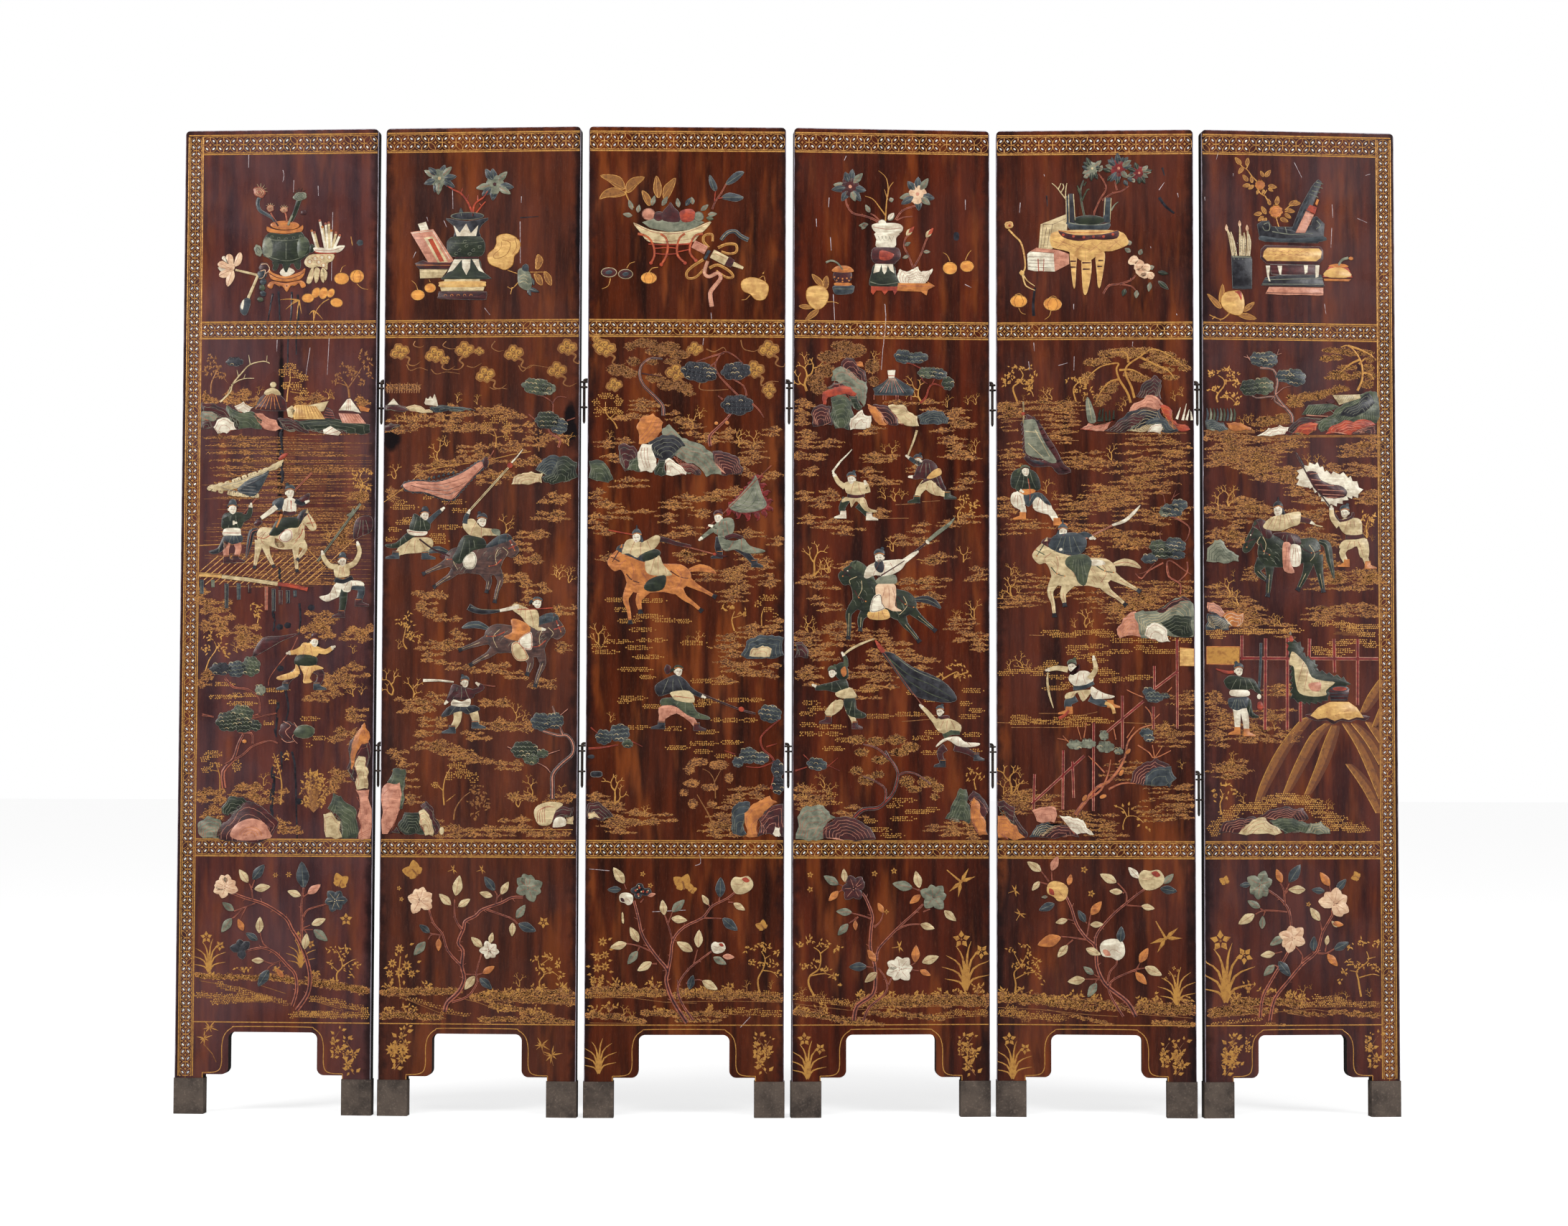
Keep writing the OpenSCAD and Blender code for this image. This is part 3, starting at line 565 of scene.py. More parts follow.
@dataclass(frozen=True)
class PlainFinish:
    """A plain finish of one colour with its own mottle.

    Attributes:
        name: The material's name.
        base: Its main colour.
        other: The colour that it shades to.
        rough: Its roughness.
        metal: How metallic it is.
        scale: How fine its mottle is.
        crackle: How strongly old cracks and rubbed patches show.
    """

    name: str
    base: Colour
    other: Colour
    rough: float
    metal: float = 0.0
    scale: float = 60.0
    crackle: float = 0.0

    def material(self) -> bpy.types.Material:
        """Makes the material, or finds it if it is made already."""
        found = bpy.data.materials.get(self.name)
        if found:
            return found
        shop = Shop(self.name)
        spot = shop.place()
        cloud = shop.ramp(shop.noise(spot, self.scale, 5), 0.35, 0.7)
        streak = shop.noise(shop.scale(spot, (120, 120, 9)), 1, 4)
        fine = shop.ramp(shop.noise(spot, self.scale * 12, 3), 0.5, 0.8)
        colour = shop.mix(cloud, linear(self.base), linear(self.other))
        pale = tuple(min(255, int(c * 1.5 + 16)) for c in self.base)
        colour = shop.mix(shop.maths("MULTIPLY", fine, 0.35), colour, linear(pale))
        if self.crackle:
            bent = shop.add("VectorMath", operation="MULTIPLY_ADD")
            shop.feed(bent.inputs[0], shop.add("TexNoise", Vector=spot, Scale=30.0).outputs["Color"])
            shop.feed(bent.inputs[1], (0.02, 0.02, 0.02))
            shop.feed(bent.inputs[2], spot)
            cells = shop.add("TexVoronoi", feature="DISTANCE_TO_EDGE", Vector=bent.outputs[0], Scale=30.0)
            crack = shop.maths("SUBTRACT", 1.0, shop.ramp(cells.outputs[0], 0.005, 0.035))
            crack = shop.maths("MULTIPLY", crack, shop.ramp(shop.noise(spot, 5, 2), 0.34, 0.56))
            rubbed = shop.ramp(shop.noise(shop.scale(spot, (30, 30, 3)), 1, 6), 0.46, 0.72)
            worn = shop.maths(
                "MAXIMUM", shop.maths("MULTIPLY", crack, 0.9), shop.maths("MULTIPLY", rubbed, 0.65)
            )
            colour = shop.mix(shop.maths("MULTIPLY", worn, self.crackle), colour, linear((112, 70, 50)))
        shop.shader.inputs["Metallic"].default_value = self.metal
        rough = shop.maths("ADD", self.rough, shop.maths("MULTIPLY", cloud, 0.16))
        return shop.dress(colour, rough, streak, 0.00015)


# ---------------------------------------------------------------- relief work

# Dark stones over this many square mm get a painted highlight line round their edge; a cut's sides take this
# share of its height.
EDGE_HIGHLIGHT_AREA = 120
SKIRT_SHARE = 0.7
# A shape's crown: its rim in mm by the shape's area over its girth, and the share left for it.
CROWN_BOUNDS = (0.9, 1.8, 4.0, 1e9)
CROWN_RIMS = (0.12, 0.3, 0.6, 0.9)
CROWN_SHARE = 0.3

def deselect() -> None:
    """Leaves object mode with nothing selected."""
    bpy.ops.object.select_all(action="DESELECT")


@dataclass
class Cut:
    """One flat-cut shape: its outline, material, foot and height in mm."""

    outline: Line
    tint: Tint
    base: float
    rise: float


@dataclass
class Relief:
    """One motif on a leaf: cut shapes, and strokes laid over them.

    Attributes:
        plane: The leaf that it lies on.
        name: The piece's name.
        seed: Picks its irregularities.
    """

    plane: LeafPlane
    name: str
    seed: int = 1
    cuts: list[Cut] = field(default_factory=list)
    points: list[tuple[float, float, float]] = field(default_factory=list)
    faces: list[tuple[int, ...]] = field(default_factory=list)
    tints: list[Tint] = field(default_factory=list)
    rng: random.Random = field(init=False)

    def __post_init__(self) -> None:
        """Starts the motif's own random draws."""
        self.rng = random.Random(self.seed * 101 + self.plane.number)

    # -- shapes

    def cut(self, tint: Tint, outline: Line, rise: float = 1.5, base: float = 0) -> Line:
        """Adds a cut shape and gives its outline back."""
        line = held(outline if area(outline) > 0 else outline[::-1])
        self.cuts.append(Cut(line, tint, base, min(rise, INLAY_RISE)))
        # Large dark stones get a pale line round their top edge: a painted highlight.
        if tint in DARK_STONES and abs(area(line)) > EDGE_HIGHLIGHT_AREA:
            self.stroke(Tint.EDGE, line + line[:1], 0.7, foot=0.72, high=0.12)
        return outline

    def smooth(self, tint: Tint, points: Line, rise: float = 1.5) -> Line:
        """Adds a cut shape with a smooth outline through points."""
        return self.cut(tint, spline(points, 3, closed=True), rise)

    def limb(
        self, tint: Tint, points: Line, widths: list[float], rise: float = 1.5
    ) -> Line:
        """Adds a cut limb, stem or band along points."""
        return self.cut(tint, ribbon(points, widths), rise)

    def _mesh(self, points: list, faces: list, tint: Tint) -> None:
        """Adds loose strokes to the motif."""
        start = len(self.points)
        self.points += points
        self.faces += [tuple(i + start for i in f) for f in faces]
        self.tints += [tint] * len(faces)

    def stroke(
        self,
        tint: Tint,
        points: Line,
        w0: float,
        w1: float | None = None,
        foot: float = 0.02,
        high: float = 0.22,
        steps: int = 1,
    ) -> None:
        """Lays a ridged stroke along points.

        Args:
            tint: Its material.
            points: Its middle line.
            w0: Its width at the start.
            w1: Its width at the end.
            foot: How far its rims lie off the face.
            high: How far its ridge stands over its rims.
            steps: Smoothing points for each span.
        """
        line = held(spline(points, steps) if steps > 1 else points)
        w1 = w0 if w1 is None else w1
        last = len(line) - 1
        made, faces = [], []
        for i, (x, z) in enumerate(line):
            a, b = line[max(i - 1, 0)], line[min(i + 1, last)]
            dx, dz = b[0] - a[0], b[1] - a[1]
            size = (math.hypot(dx, dz) or 1) / (w0 + (w1 - w0) * i / last) * 2
            made += [
                (x - dz / size, z + dx / size, foot),
                (x, z, foot + high),
                (x + dz / size, z - dx / size, foot),
            ]
            if i:
                k = 3 * i
                faces += [(k - 3, k - 2, k + 1, k), (k - 2, k - 1, k + 2, k + 1)]
        self._mesh(made, faces, tint)

    def fleck(
        self, tint: Tint, outline: Line, foot: float = 0.02, high: float = 0.25
    ) -> None:
        """Lays a small low pyramid on an outline."""
        line = outline if area(outline) > 0 else outline[::-1]
        if line != held(line):
            return
        n = len(line)
        mid = (sum(p[0] for p in line) / n, sum(p[1] for p in line) / n, foot + high)
        made = [(x, z, foot) for x, z in line] + [mid]
        self._mesh(made, [(i, (i + 1) % n, n) for i in range(n)], tint)

    def dot(self, tint: Tint, x: float, z: float, r: float, foot: float = 0.02) -> None:
        """Lays a round dot."""
        self.fleck(tint, ellipse(x, z, r, n=6), foot)

    def blade(
        self, tint: Tint, x: float, z: float, length: float, width: float, turn: float
    ) -> None:
        """Lays a small leaf from its stalk."""
        half = [(0, 0), (0.35, 0.5), (1, 0), (0.35, -0.5)]
        self.fleck(
            tint, place([(length * a, width * b) for a, b in half], x, z, turn)
        )

    # -- building

    def build(self, slot: str, replaced: str | None = None) -> bpy.types.Object:
        """Models the motif, sets it on its leaf and lets it ride there.

        Args:
            slot: Not used.
            replaced: The CAD node that it stands for, if any.

        Returns:
            The finished piece.
        """
        tints = list(dict.fromkeys([c.tint for c in self.cuts] + self.tints))
        parts = []
        if self.cuts:
            parts.append(self._carve(tints))
        if self.points:
            parts.append(self._lay(tints))
        deselect()
        for part in parts:
            part.select_set(True)
        piece = parts[0]
        bpy.context.view_layer.objects.active = piece
        if len(parts) > 1:
            bpy.ops.object.join()
        piece.name = piece.data.name = self.name
        piece.data.transform(self.plane.matrix)
        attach(piece, self.plane.body)
        if replaced:
            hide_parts(replaced)
        log.info("%s: %d faces", self.name, len(piece.data.polygons))
        return piece

    def _dress(self, piece: bpy.types.Object, tints: list[Tint]) -> None:
        """Gives a piece the motif's materials, in order."""
        piece.data.materials.clear()
        for tint in tints:
            piece.data.materials.append(StoneFinish(tint).material())

    def _lay(self, tints: list[Tint]) -> bpy.types.Object:
        """Makes the strokes into one mesh."""
        mesh = bpy.data.meshes.new(self.name)
        mesh.from_pydata(self.points, [], self.faces)
        piece = bpy.data.objects.new(self.name, mesh)
        bpy.context.scene.collection.objects.link(piece)
        self._dress(piece, tints)
        order = {tint: i for i, tint in enumerate(tints)}
        mesh.polygons.foreach_set("material_index", [order[t] for t in self.tints])
        return piece

    def _carve(self, tints: list[Tint]) -> bpy.types.Object:
        """Models the cut shapes: outlined discs, drawn up and crowned."""
        order = {tint: i for i, tint in enumerate(tints)}
        deselect()
        piece = None
        for number, cut in enumerate(self.cuts):
            bpy.ops.mesh.primitive_circle_add(
                vertices=len(cut.outline), radius=1, fill_type="NGON"
            )
            if piece is None:
                piece = bpy.context.active_object
                self._dress(piece, tints)
                bpy.ops.object.mode_set(mode="EDIT")
                layers = bmesh.from_edit_mesh(piece.data).faces.layers.int
                layers.new("cut")
                layers.new("kind")
            work = bmesh.from_edit_mesh(piece.data)
            which = work.faces.layers.int["cut"]
            face = next(f for f in work.faces if f.select)
            face[which] = number
            face.material_index = order[cut.tint]
            for vert, (x, z) in zip(face.verts, cut.outline):
                vert.co = (x, z, 0)
        bpy.ops.mesh.select_all(action="SELECT")
        bpy.ops.mesh.extrude_region_move(TRANSFORM_OT_translate={"value": (0, 0, SKIRT_SHARE)})
        work = bmesh.from_edit_mesh(piece.data)
        kind = work.faces.layers.int["kind"]
        for f in work.faces:
            width = f.calc_area() / f.calc_perimeter()
            f[kind] = next(k for k, b in enumerate(CROWN_BOUNDS) if width < b) + 1 if f.select else 0
        for number, rim in enumerate(CROWN_RIMS, 1):
            work = bmesh.from_edit_mesh(piece.data)
            kind = work.faces.layers.int["kind"]
            bpy.ops.mesh.select_all(action="DESELECT")
            chosen = [f for f in work.faces if f[kind] == number]
            for f in chosen:
                f.select_set(True)
            if chosen:
                bmesh.update_edit_mesh(piece.data)
                bpy.ops.mesh.inset(thickness=rim, depth=CROWN_SHARE, use_even_offset=False)
        work = bmesh.from_edit_mesh(piece.data)
        which = work.faces.layers.int["cut"]
        done = set()
        for f in work.faces:
            cut = self.cuts[f[which]]
            for vert in f.verts:
                if vert not in done:
                    done.add(vert)
                    vert.co.z = cut.base + vert.co.z * (cut.rise - cut.base)
        bmesh.update_edit_mesh(piece.data)
        bpy.ops.object.mode_set(mode="OBJECT")
        for name in ("cut", "kind"):
            piece.data.attributes.remove(piece.data.attributes[name])
        bpy.ops.object.shade_smooth_by_angle(angle=math.radians(40))
        return piece


# ---------------------------------------------------------------- borders


@dataclass
class Border:
    """A leaf's diaper bands: linked gilt coins with pearl chips, between lines.

    Attributes:
        plane: The leaf.
        unit: The pattern's repeat in mm.
    """

    plane: LeafPlane
    unit: float = 25.4

    def build(self) -> None:
        """Models the bands and the lines round the leaf's fields."""
        gilt = Relief(self.plane, f"gilt_bands_{self.plane.number}")
        pearl = Relief(self.plane, f"pearl_chips_{self.plane.number}")
        side = {1: 0, 6: 1}.get(self.plane.number)
        left = SIDE_BAND if side == 0 else PLAIN_SIDE
        right = LEAF_W - (SIDE_BAND if side == 1 else PLAIN_SIDE)
        for foot, top in zip(BAND_FEET, BAND_TOPS):
            self.band(gilt, pearl, (left, (foot + top) / 2), right - left, 0, (top - foot) / 2)
            outer = top if top == BAND_TOPS[0] else None
            for z in (foot, top):
                end0 = TOP_LINE_END if side == 0 and z == outer else left
                end1 = LEAF_W - TOP_LINE_END if side == 1 and z == outer else right
                gilt.stroke(Tint.GOLD, [(end0, z), (end1, z)], 2.2)
        gilt.stroke(Tint.GOLD, [(left, LINE_Z), (right, LINE_Z)], 1.8)
        if side is not None:
            self.side_band(gilt, pearl, side)
        self.opening(gilt)
        gilt.build("front_lacquer")
        pearl.build("inlay_stone")

    def side_band(self, gilt: Relief, pearl: Relief, side: int) -> None:
        """Runs the band that closes the screen's outer edge."""
        mid, half = SIDE_MIDDLE if side == 0 else LEAF_W - SIDE_MIDDLE, SIDE_HALF
        low, top = SIDE_FOOT, BAND_TOPS[0] - 3
        self.band(gilt, pearl, (mid, low), top - low, 90, half)
        for x in (mid - half, mid + half):
            gilt.stroke(Tint.GOLD, [(x, low), (x, top)], 2.0)

    def band(
        self, gilt: Relief, pearl: Relief, start: Point, length: float, turn: float, half: float
    ) -> None:
        """Repeats the pattern along a band from start, its middle line."""
        count = round(length / self.unit)
        step = length / count
        high = half - 3.4
        for k in range(count):
            for sx, sz in ((0, 1), (0, -1), (1, 1), (1, -1)):
                a = (k * step + (step if sx else 0), 0.0)
                b = (k * step + step / 2, high * sz)
                self.coin(gilt, pearl, a, b, start, turn)
            self.star(gilt, (k * step, 0), step, high, start, turn)
            self.rosette(gilt, (k * step + step / 2, 0), start, turn)
            self.rosette(gilt, (k * step, high), start, turn, True)
            self.rosette(gilt, (k * step, -high), start, turn, True)
        for z in (high + 0.6, -high - 0.6):
            line = place([(0, z), (length, z)], *start, turn)
            gilt.stroke(Tint.GOLD, line, 0.9)

    def coin(
        self, gilt: Relief, pearl: Relief, a: Point, b: Point, start: Point, turn: float
    ) -> None:
        """Lays one petal of the linked coins: two arcs and the chip between."""
        dx, dz = b[0] - a[0], b[1] - a[1]
        size = math.hypot(dx, dz)
        way = math.degrees(math.atan2(dz, dx))
        for bow in (0.29, -0.29):
            arc = [(size * t, size * bow * 4 * t * (1 - t) * 0.8) for t in (0, 0.25, 0.5, 0.75, 1)]
            gilt.stroke(Tint.GOLD, place(place(arc, *a, way), *start, turn), 0.75)
        mid = (a[0] + dx / 2, a[1] + dz / 2)
        rng = pearl.rng
        chip = ellipse(0, 0, rng.uniform(2.5, 3.1), rng.uniform(1.4, 1.8), n=8)
        chip = place(place(chip, *mid, way + rng.uniform(-8, 8)), *start, turn)
        if rng.random() < 0.96:
            pearl.fleck(Tint.PEARL, chip, 0.02, 0.3)

    def star(
        self, gilt: Relief, at: Point, step: float, high: float, start: Point, turn: float
    ) -> None:
        """Lays a star's four straight rays."""
        for dx, dz in ((step * 0.27, 0), (-step * 0.27, 0), (0, high * 0.62), (0, -high * 0.62)):
            line = place([at, (at[0] + dx, at[1] + dz)], *start, turn)
            gilt.stroke(Tint.GOLD, line, 1.1, 0.5)

    def rosette(
        self, gilt: Relief, at: Point, start: Point, turn: float, small: bool = False
    ) -> None:
        """Lays the little four-leaved flower between the coins."""
        size = 1.8 if small else 2.9
        for way in range(0, 360, 90):
            x, z = place([at], *start, turn)[0]
            gilt.blade(Tint.GOLD, x, z, size, size * 0.62, way + turn)

    def opening(self, gilt: Relief) -> None:
        """Follows the opening between the legs with a gilt line."""
        left = [
            (52, 76), (60, 76), (74, 77), (84, 82), (88, 96), (88, 126), (93, 146), (106, 158), (122, 161)
        ]
        right = [(LEAF_W - x, z) for x, z in left[::-1]]
        gilt.stroke(Tint.GOLD, left + right, 1.5, steps=3)
        for x in (52, LEAF_W - 52):
            gilt.stroke(Tint.GOLD, [(x, 76), (x, 67)], 1.5)


# ---------------------------------------------------------------- gilt landscape


class Mark(Enum):
    """How a gilt tree's crown is painted."""

    LEAF = "leaf"
    DOT = "dot"
    TICK = "tick"


# Lengths in mm: between a drift's points, between drifts; square mm for each tick; swellings.
MOSS_STEP = 2.6
DRIFT_PITCH = 9
MOSS_AREA = 12
BANK_SCALE = 1.5
CLOUD_SCALE = 1.9
# How thickly each leaf's banks are gilded.
LUSH = {1: 1.25, 2: 1.0, 3: 0.7, 4: 0.65, 5: 0.42, 6: 0.55}


@dataclass
class Gilding(Relief):
    """Gold painting: ground, trees, clouds and small life."""

    def moss(self, x0: float, z0: float, x1: float, z1: float, thick: float) -> None:
        """Paints a low drift of moss in short ticks.

        Args:
            x0: Where it starts.
            z0: Its height there.
            x1: Where it ends.
            z1: Its height there.
            thick: Its depth at its middle.
        """
        rng = self.rng
        steps = max(6, int(abs(x1 - x0) / MOSS_STEP))
        top, low = [], []
        for i in range(steps + 1):
            t = i / steps
            swell = math.sin(math.pi * min(max(t, 0.02), 0.98)) ** 0.7
            lump = 0.55 + 0.45 * math.sin(t * abs(x1 - x0) / 6.5 + self.seed)
            reach = thick * swell * lump
            x, z = x0 + (x1 - x0) * t, z0 + (z1 - z0) * t
            reach *= LUSH[self.plane.number]
            top.append((x, z + reach * rng.uniform(0.45, 0.85)))
            low.append((x, z - reach * rng.uniform(0.15, 0.5)))
        self.wash(top, low)
        for _ in range(int(abs(x1 - x0) * thick * LUSH[self.plane.number] / MOSS_AREA)):
            i = rng.randrange(steps)
            (x, high), (_, deep) = top[i], low[i]
            z = rng.uniform(deep - 1, high + 1)
            tint = Tint.GOLD if rng.random() < 0.3 else Tint.DULL
            self.blade(
                tint, x, z, rng.uniform(2.6, 4.4), rng.uniform(1.1, 1.7),
                rng.uniform(-42, 42) + rng.choice((0, 180))
            )

    def wash(self, top: Line, low: Line, tint: Tint = Tint.WASH, lift: float = 0.06) -> None:
        """Lays a flat bank of fine ticks between two lines drawn the same way."""
        top, low = held(top), held(low)
        if area(low + top[::-1]) < 0:
            top, low = low, top
        made = [(x, z, lift) for pair in zip(top, low) for x, z in pair]
        faces = [(2 * i, 2 * i + 1, 2 * i + 3, 2 * i + 2) for i in range(len(top) - 1)]
        self._mesh(made, faces, tint)

    def soot(self, x: float, z0: float, z1: float) -> None:
        """Lets a dark run trickle down from z0 to z1."""
        rng = self.rng
        z = z0
        while z > z1:
            deep = rng.uniform(8, 26)
            side = x + rng.uniform(-2.5, 2.5)
            run = [
                (side, z), (side + rng.uniform(-2, 2), z - deep * 0.5), (side + rng.uniform(-3, 3), z - deep)
            ]
            self.stroke(Tint.SOOT, run, rng.uniform(3, 7), rng.uniform(1.5, 5), foot=0.1, high=0.15, steps=3)
            z -= deep * rng.uniform(0.5, 1.1)

    def drift(self, x: float, z: float, width: float, rows: int = 3) -> None:
        """Paints several drifts of moss, staggered about x and z."""
        rng = self.rng
        for row in range(rows):
            long = width * rng.uniform(0.7, 1.1)
            mid = x + rng.uniform(-0.25, 0.25) * width
            high = z + (row - rows / 2) * DRIFT_PITCH + rng.uniform(-2, 2)
            self.moss(mid - long / 2, high, mid + long / 2, high + rng.uniform(-3, 3), rng.uniform(13, 20))

    def water(self, x0: float, x1: float, z0: float, z1: float, rows: int) -> None:
        """Paints still water in fine level lines."""
        rng = self.rng
        for row in range(rows):
            z = z0 + (z1 - z0) * (row + rng.random()) / rows
            a = rng.uniform(x0, x0 + (x1 - x0) * 0.6)
            b = min(x1, a + rng.uniform(0.25, 0.9) * (x1 - x0))
            deep = rng.uniform(0.6, 2.2)
            run = [(a + (b - a) * i / 12, z + rng.uniform(-0.4, 0.4)) for i in range(13)]
            wide = [deep * math.sin(math.pi * (i + 0.2) / 12.4) * rng.uniform(0.6, 1.2) for i in range(13)]
            self.wash(
                [(x, q + w) for (x, q), w in zip(run, wide)],
                [(x, q - w * 0.5) for (x, q), w in zip(run, wide)]
            )
            self.stroke(Tint.DULL, [(a, z), ((a + b) / 2, z + 0.3), (b, z)], 0.7, 0.4, high=0.1)

    def crown(self, mark: Mark, x: float, z: float, rx: float, rz: float, tint: Tint) -> None:
        """Paints one clump of a tree's crown."""
        rng = self.rng
        per = 18 if mark is Mark.LEAF else 9
        if mark is Mark.TICK:
            half = [math.pi * (1 - i / 12) for i in range(13)]
            reach = [rng.uniform(0.8, 1.12) for _ in half]
            self.wash(
                [(x + rx * k * math.cos(a), z + rz * k * math.sin(a)) for a, k in zip(half, reach)],
                [
                    (x + rx * k * math.cos(a), z - rz * k * math.sin(a) * rng.uniform(0.7, 1.1))
                    for a, k in zip(half, reach)
                ],
            )
        if mark is Mark.DOT:
            rows = max(1, round(2 * rz / 3.1))
            for row in range(rows):
                v = (row + 0.5) / rows * 2 - 1
                wide = rx * math.sqrt(1 - v * v)
                count = max(1, round(2 * wide / 4.2))
                for i in range(count):
                    if rng.random() < 0.1:
                        continue
                    px = x - wide + 2 * wide * (i + 0.25 + 0.5 * (row % 2)) / count + rng.uniform(-0.5, 0.5)
                    pz = z + v * rz + rng.uniform(-0.4, 0.4)
                    self.fleck(
                        tint,
                        ellipse(
                            px, pz, rng.uniform(1.4, 1.9), rng.uniform(0.95, 1.3), rng.uniform(-25, 25), 6
                        )
                    )
            return
        for _ in range(int(math.pi * rx * rz / per)):
            a, r = rng.uniform(0, 2 * math.pi), math.sqrt(rng.random())
            px, pz = x + rx * r * math.cos(a), z + rz * r * math.sin(a)
            if mark is Mark.LEAF:
                self.blade(tint, px, pz, rng.uniform(5, 8), rng.uniform(2.4, 3.4), rng.uniform(0, 360))
            else:
                self.blade(tint, px, pz, rng.uniform(2.8, 4.4), 1.3, rng.uniform(-40, 220))

    def tree(
        self,
        mark: Mark,
        limbs: list[Line],
        crowns: list[tuple[Point, float, float]],
        width: float = 4.0,
        tint: Tint = Tint.GOLD,
    ) -> None:
        """Paints a tree: its limbs, the first the trunk, and its crowns."""
        for i, limb in enumerate(limbs):
            wide = width if i == 0 else width * 0.6
            self.stroke(tint, limb, wide, wide * 0.35, steps=4)
        for spot, rx, rz in crowns:
            self.crown(mark, *spot, rx, rz, tint)

    def shrub(self, x: float, z: float, high: float, lean: float = 0.0) -> None:
        """Paints a small bare, forked shrub from its foot."""
        rng = self.rng

        def grow(px: float, pz: float, way: float, long: float, wide: float) -> None:
            qx = px + long * math.cos(way)
            qz = pz + long * math.sin(way)
            bend = rng.uniform(-0.2, 0.2) * long
            mid = ((px + qx) / 2 - bend * math.sin(way), (pz + qz) / 2 + bend * math.cos(way))
            self.stroke(Tint.GOLD, [(px, pz), mid, (qx, qz)], wide, wide * 0.6, steps=2)
            if long > high * 0.13:
                for turn in (-0.62, 0.55):
                    grow(
                        qx, qz, way + turn + rng.uniform(-0.3, 0.3), long * rng.uniform(0.55, 0.75),
                        wide * 0.7
                    )

        grow(x, z, math.pi / 2 + lean, high * 0.4, high * 0.07)
        grow(x, z, math.pi / 2 + lean + rng.choice((-0.7, 0.7)), high * 0.26, high * 0.05)

    def bush(self, x: float, z: float, wide: float, high: float) -> None:
        """Paints a leafy flowering bush standing at x and z."""
        rng = self.rng
        for _ in range(int(wide * high / 45)):
            px = x + rng.uniform(-0.5, 0.5) * wide
            pz = z + high * rng.uniform(0.15, 1)
            px = x + (px - x) * (1.1 - abs(pz - z - high * 0.5) / high)
            self.stroke(Tint.DULL, [(x, z), ((x + px) / 2, z + (pz - z) * 0.6), (px, pz)], 0.9, 0.5)
            self.blade(Tint.GOLD, px, pz, rng.uniform(6, 9), 3.6, rng.uniform(0, 360))
            self.blade(Tint.GOLD, px, pz, rng.uniform(4, 7), 2.8, rng.uniform(0, 360))

    def flower(self, x: float, z: float, r: float, petals: int = 5, turn: float = 0) -> None:
        """Paints an open flower from above."""
        for i in range(petals):
            way = turn + 360 * i / petals
            self.blade(
                Tint.GOLD, *place([(r * 0.2, 0)], x, z, way)[0], r * 0.82, r * (0.6 if petals < 6 else 0.42),
                way
            )
        self.dot(Tint.DULL, x, z, r * 0.12, 0.2)

    def orchid(self, x: float, z: float, high: float, blooms: bool = True) -> None:
        """Paints a tuft of long arching leaves, with or without flowers."""
        for way, long in (
            (102, 0.92), (84, 1), (118, 0.8), (68, 0.92), (134, 0.66), (52, 0.76), (150, 0.46), (34, 0.55),
            (93, 0.6)
        ):
            a = math.radians(way)
            tip = (x + high * long * math.cos(a), z + high * long * math.sin(a) * 0.92)
            mid = (x + (tip[0] - x) * 0.3, z + (tip[1] - z) * 0.72)
            self.stroke(Tint.GOLD, [(x, z), mid, tip], high * 0.068, 0.5, steps=3)
        if blooms:
            self.flower(x - high * 0.08, z + high * 0.95, high * 0.17, 5, 20)
            self.flower(x + high * 0.3, z + high * 0.72, high * 0.14, 5, 50)

    def butterfly(self, x: float, z: float, size: float, turn: float) -> None:
        """Paints a butterfly with open wings."""
        for way, long, wide in ((130, 1, 0.62), (60, 0.95, 0.6), (190, 0.6, 0.44), (-5, 0.62, 0.46)):
            wing = spline(lens(0, 0, long * size, wide * size * 1.3, way), 2, closed=True)
            self.fleck(Tint.GOLD, place(wing, x, z, turn), high=0.35)
        body = place([(0, -0.3 * size), (0, 0.35 * size)], x, z, turn)
        self.stroke(Tint.DULL, body, size * 0.16, size * 0.08, foot=0.2)
        for s in (-1, 1):
            horn = [(0, 0.3 * size), (s * 0.14 * size, 0.6 * size), (s * 0.4 * size, 0.7 * size)]
            self.stroke(Tint.GOLD, place(horn, x, z, turn), 0.7, 0.4, steps=2)

    def dragonfly(self, x: float, z: float, size: float, turn: float) -> None:
        """Paints a dragonfly."""
        self.stroke(Tint.GOLD, place([(0, 0), (-size, 0)], x, z, turn), size * 0.12, size * 0.05)
        self.dot(Tint.GOLD, x, z, size * 0.1)
        for way in (100, 60, -100, -60):
            self.blade(Tint.GOLD, x, z, size * 0.85, size * 0.2, turn + way)

    def bamboo(self, x: float, z: float, size: float, turn: float) -> None:
        """Paints a spray of pointed bamboo leaves."""
        for way in (0, 35, 70, 150, 180, 215, 250, 310):
            self.blade(Tint.GOLD, x, z, size * (0.7 + 0.3 * math.cos(way)), size * 0.15, turn + way)

    def sprig(self, x: float, z: float, size: float, flip: int = 1) -> None:
        """Paints a flowering sprig for a leg's corner."""
        stem = [
            (0, 0), (flip * 0.2 * size, 0.3 * size), (flip * 0.02 * size, 0.6 * size),
            (flip * 0.26 * size, size)
        ]
        stem = place(stem, x, z)
        self.stroke(Tint.DULL, stem, 1.2, 0.6, steps=3)
        self.flower(*stem[1], size * 0.15, 7, 20)
        self.flower(*stem[2], size * 0.13, 6)
        for i, (px, pz) in enumerate(spline(stem, 2)):
            way = 90 + (62 if i % 2 else -58) - flip * 14
            self.blade(Tint.GOLD, *place([(size * 0.09, 0)], px, pz, way)[0], size * 0.19, size * 0.115, way)
            self.blade(
                Tint.GOLD, *place([(size * 0.08, 0)], px, pz, way + 70)[0], size * 0.13, size * 0.08, way + 70
            )

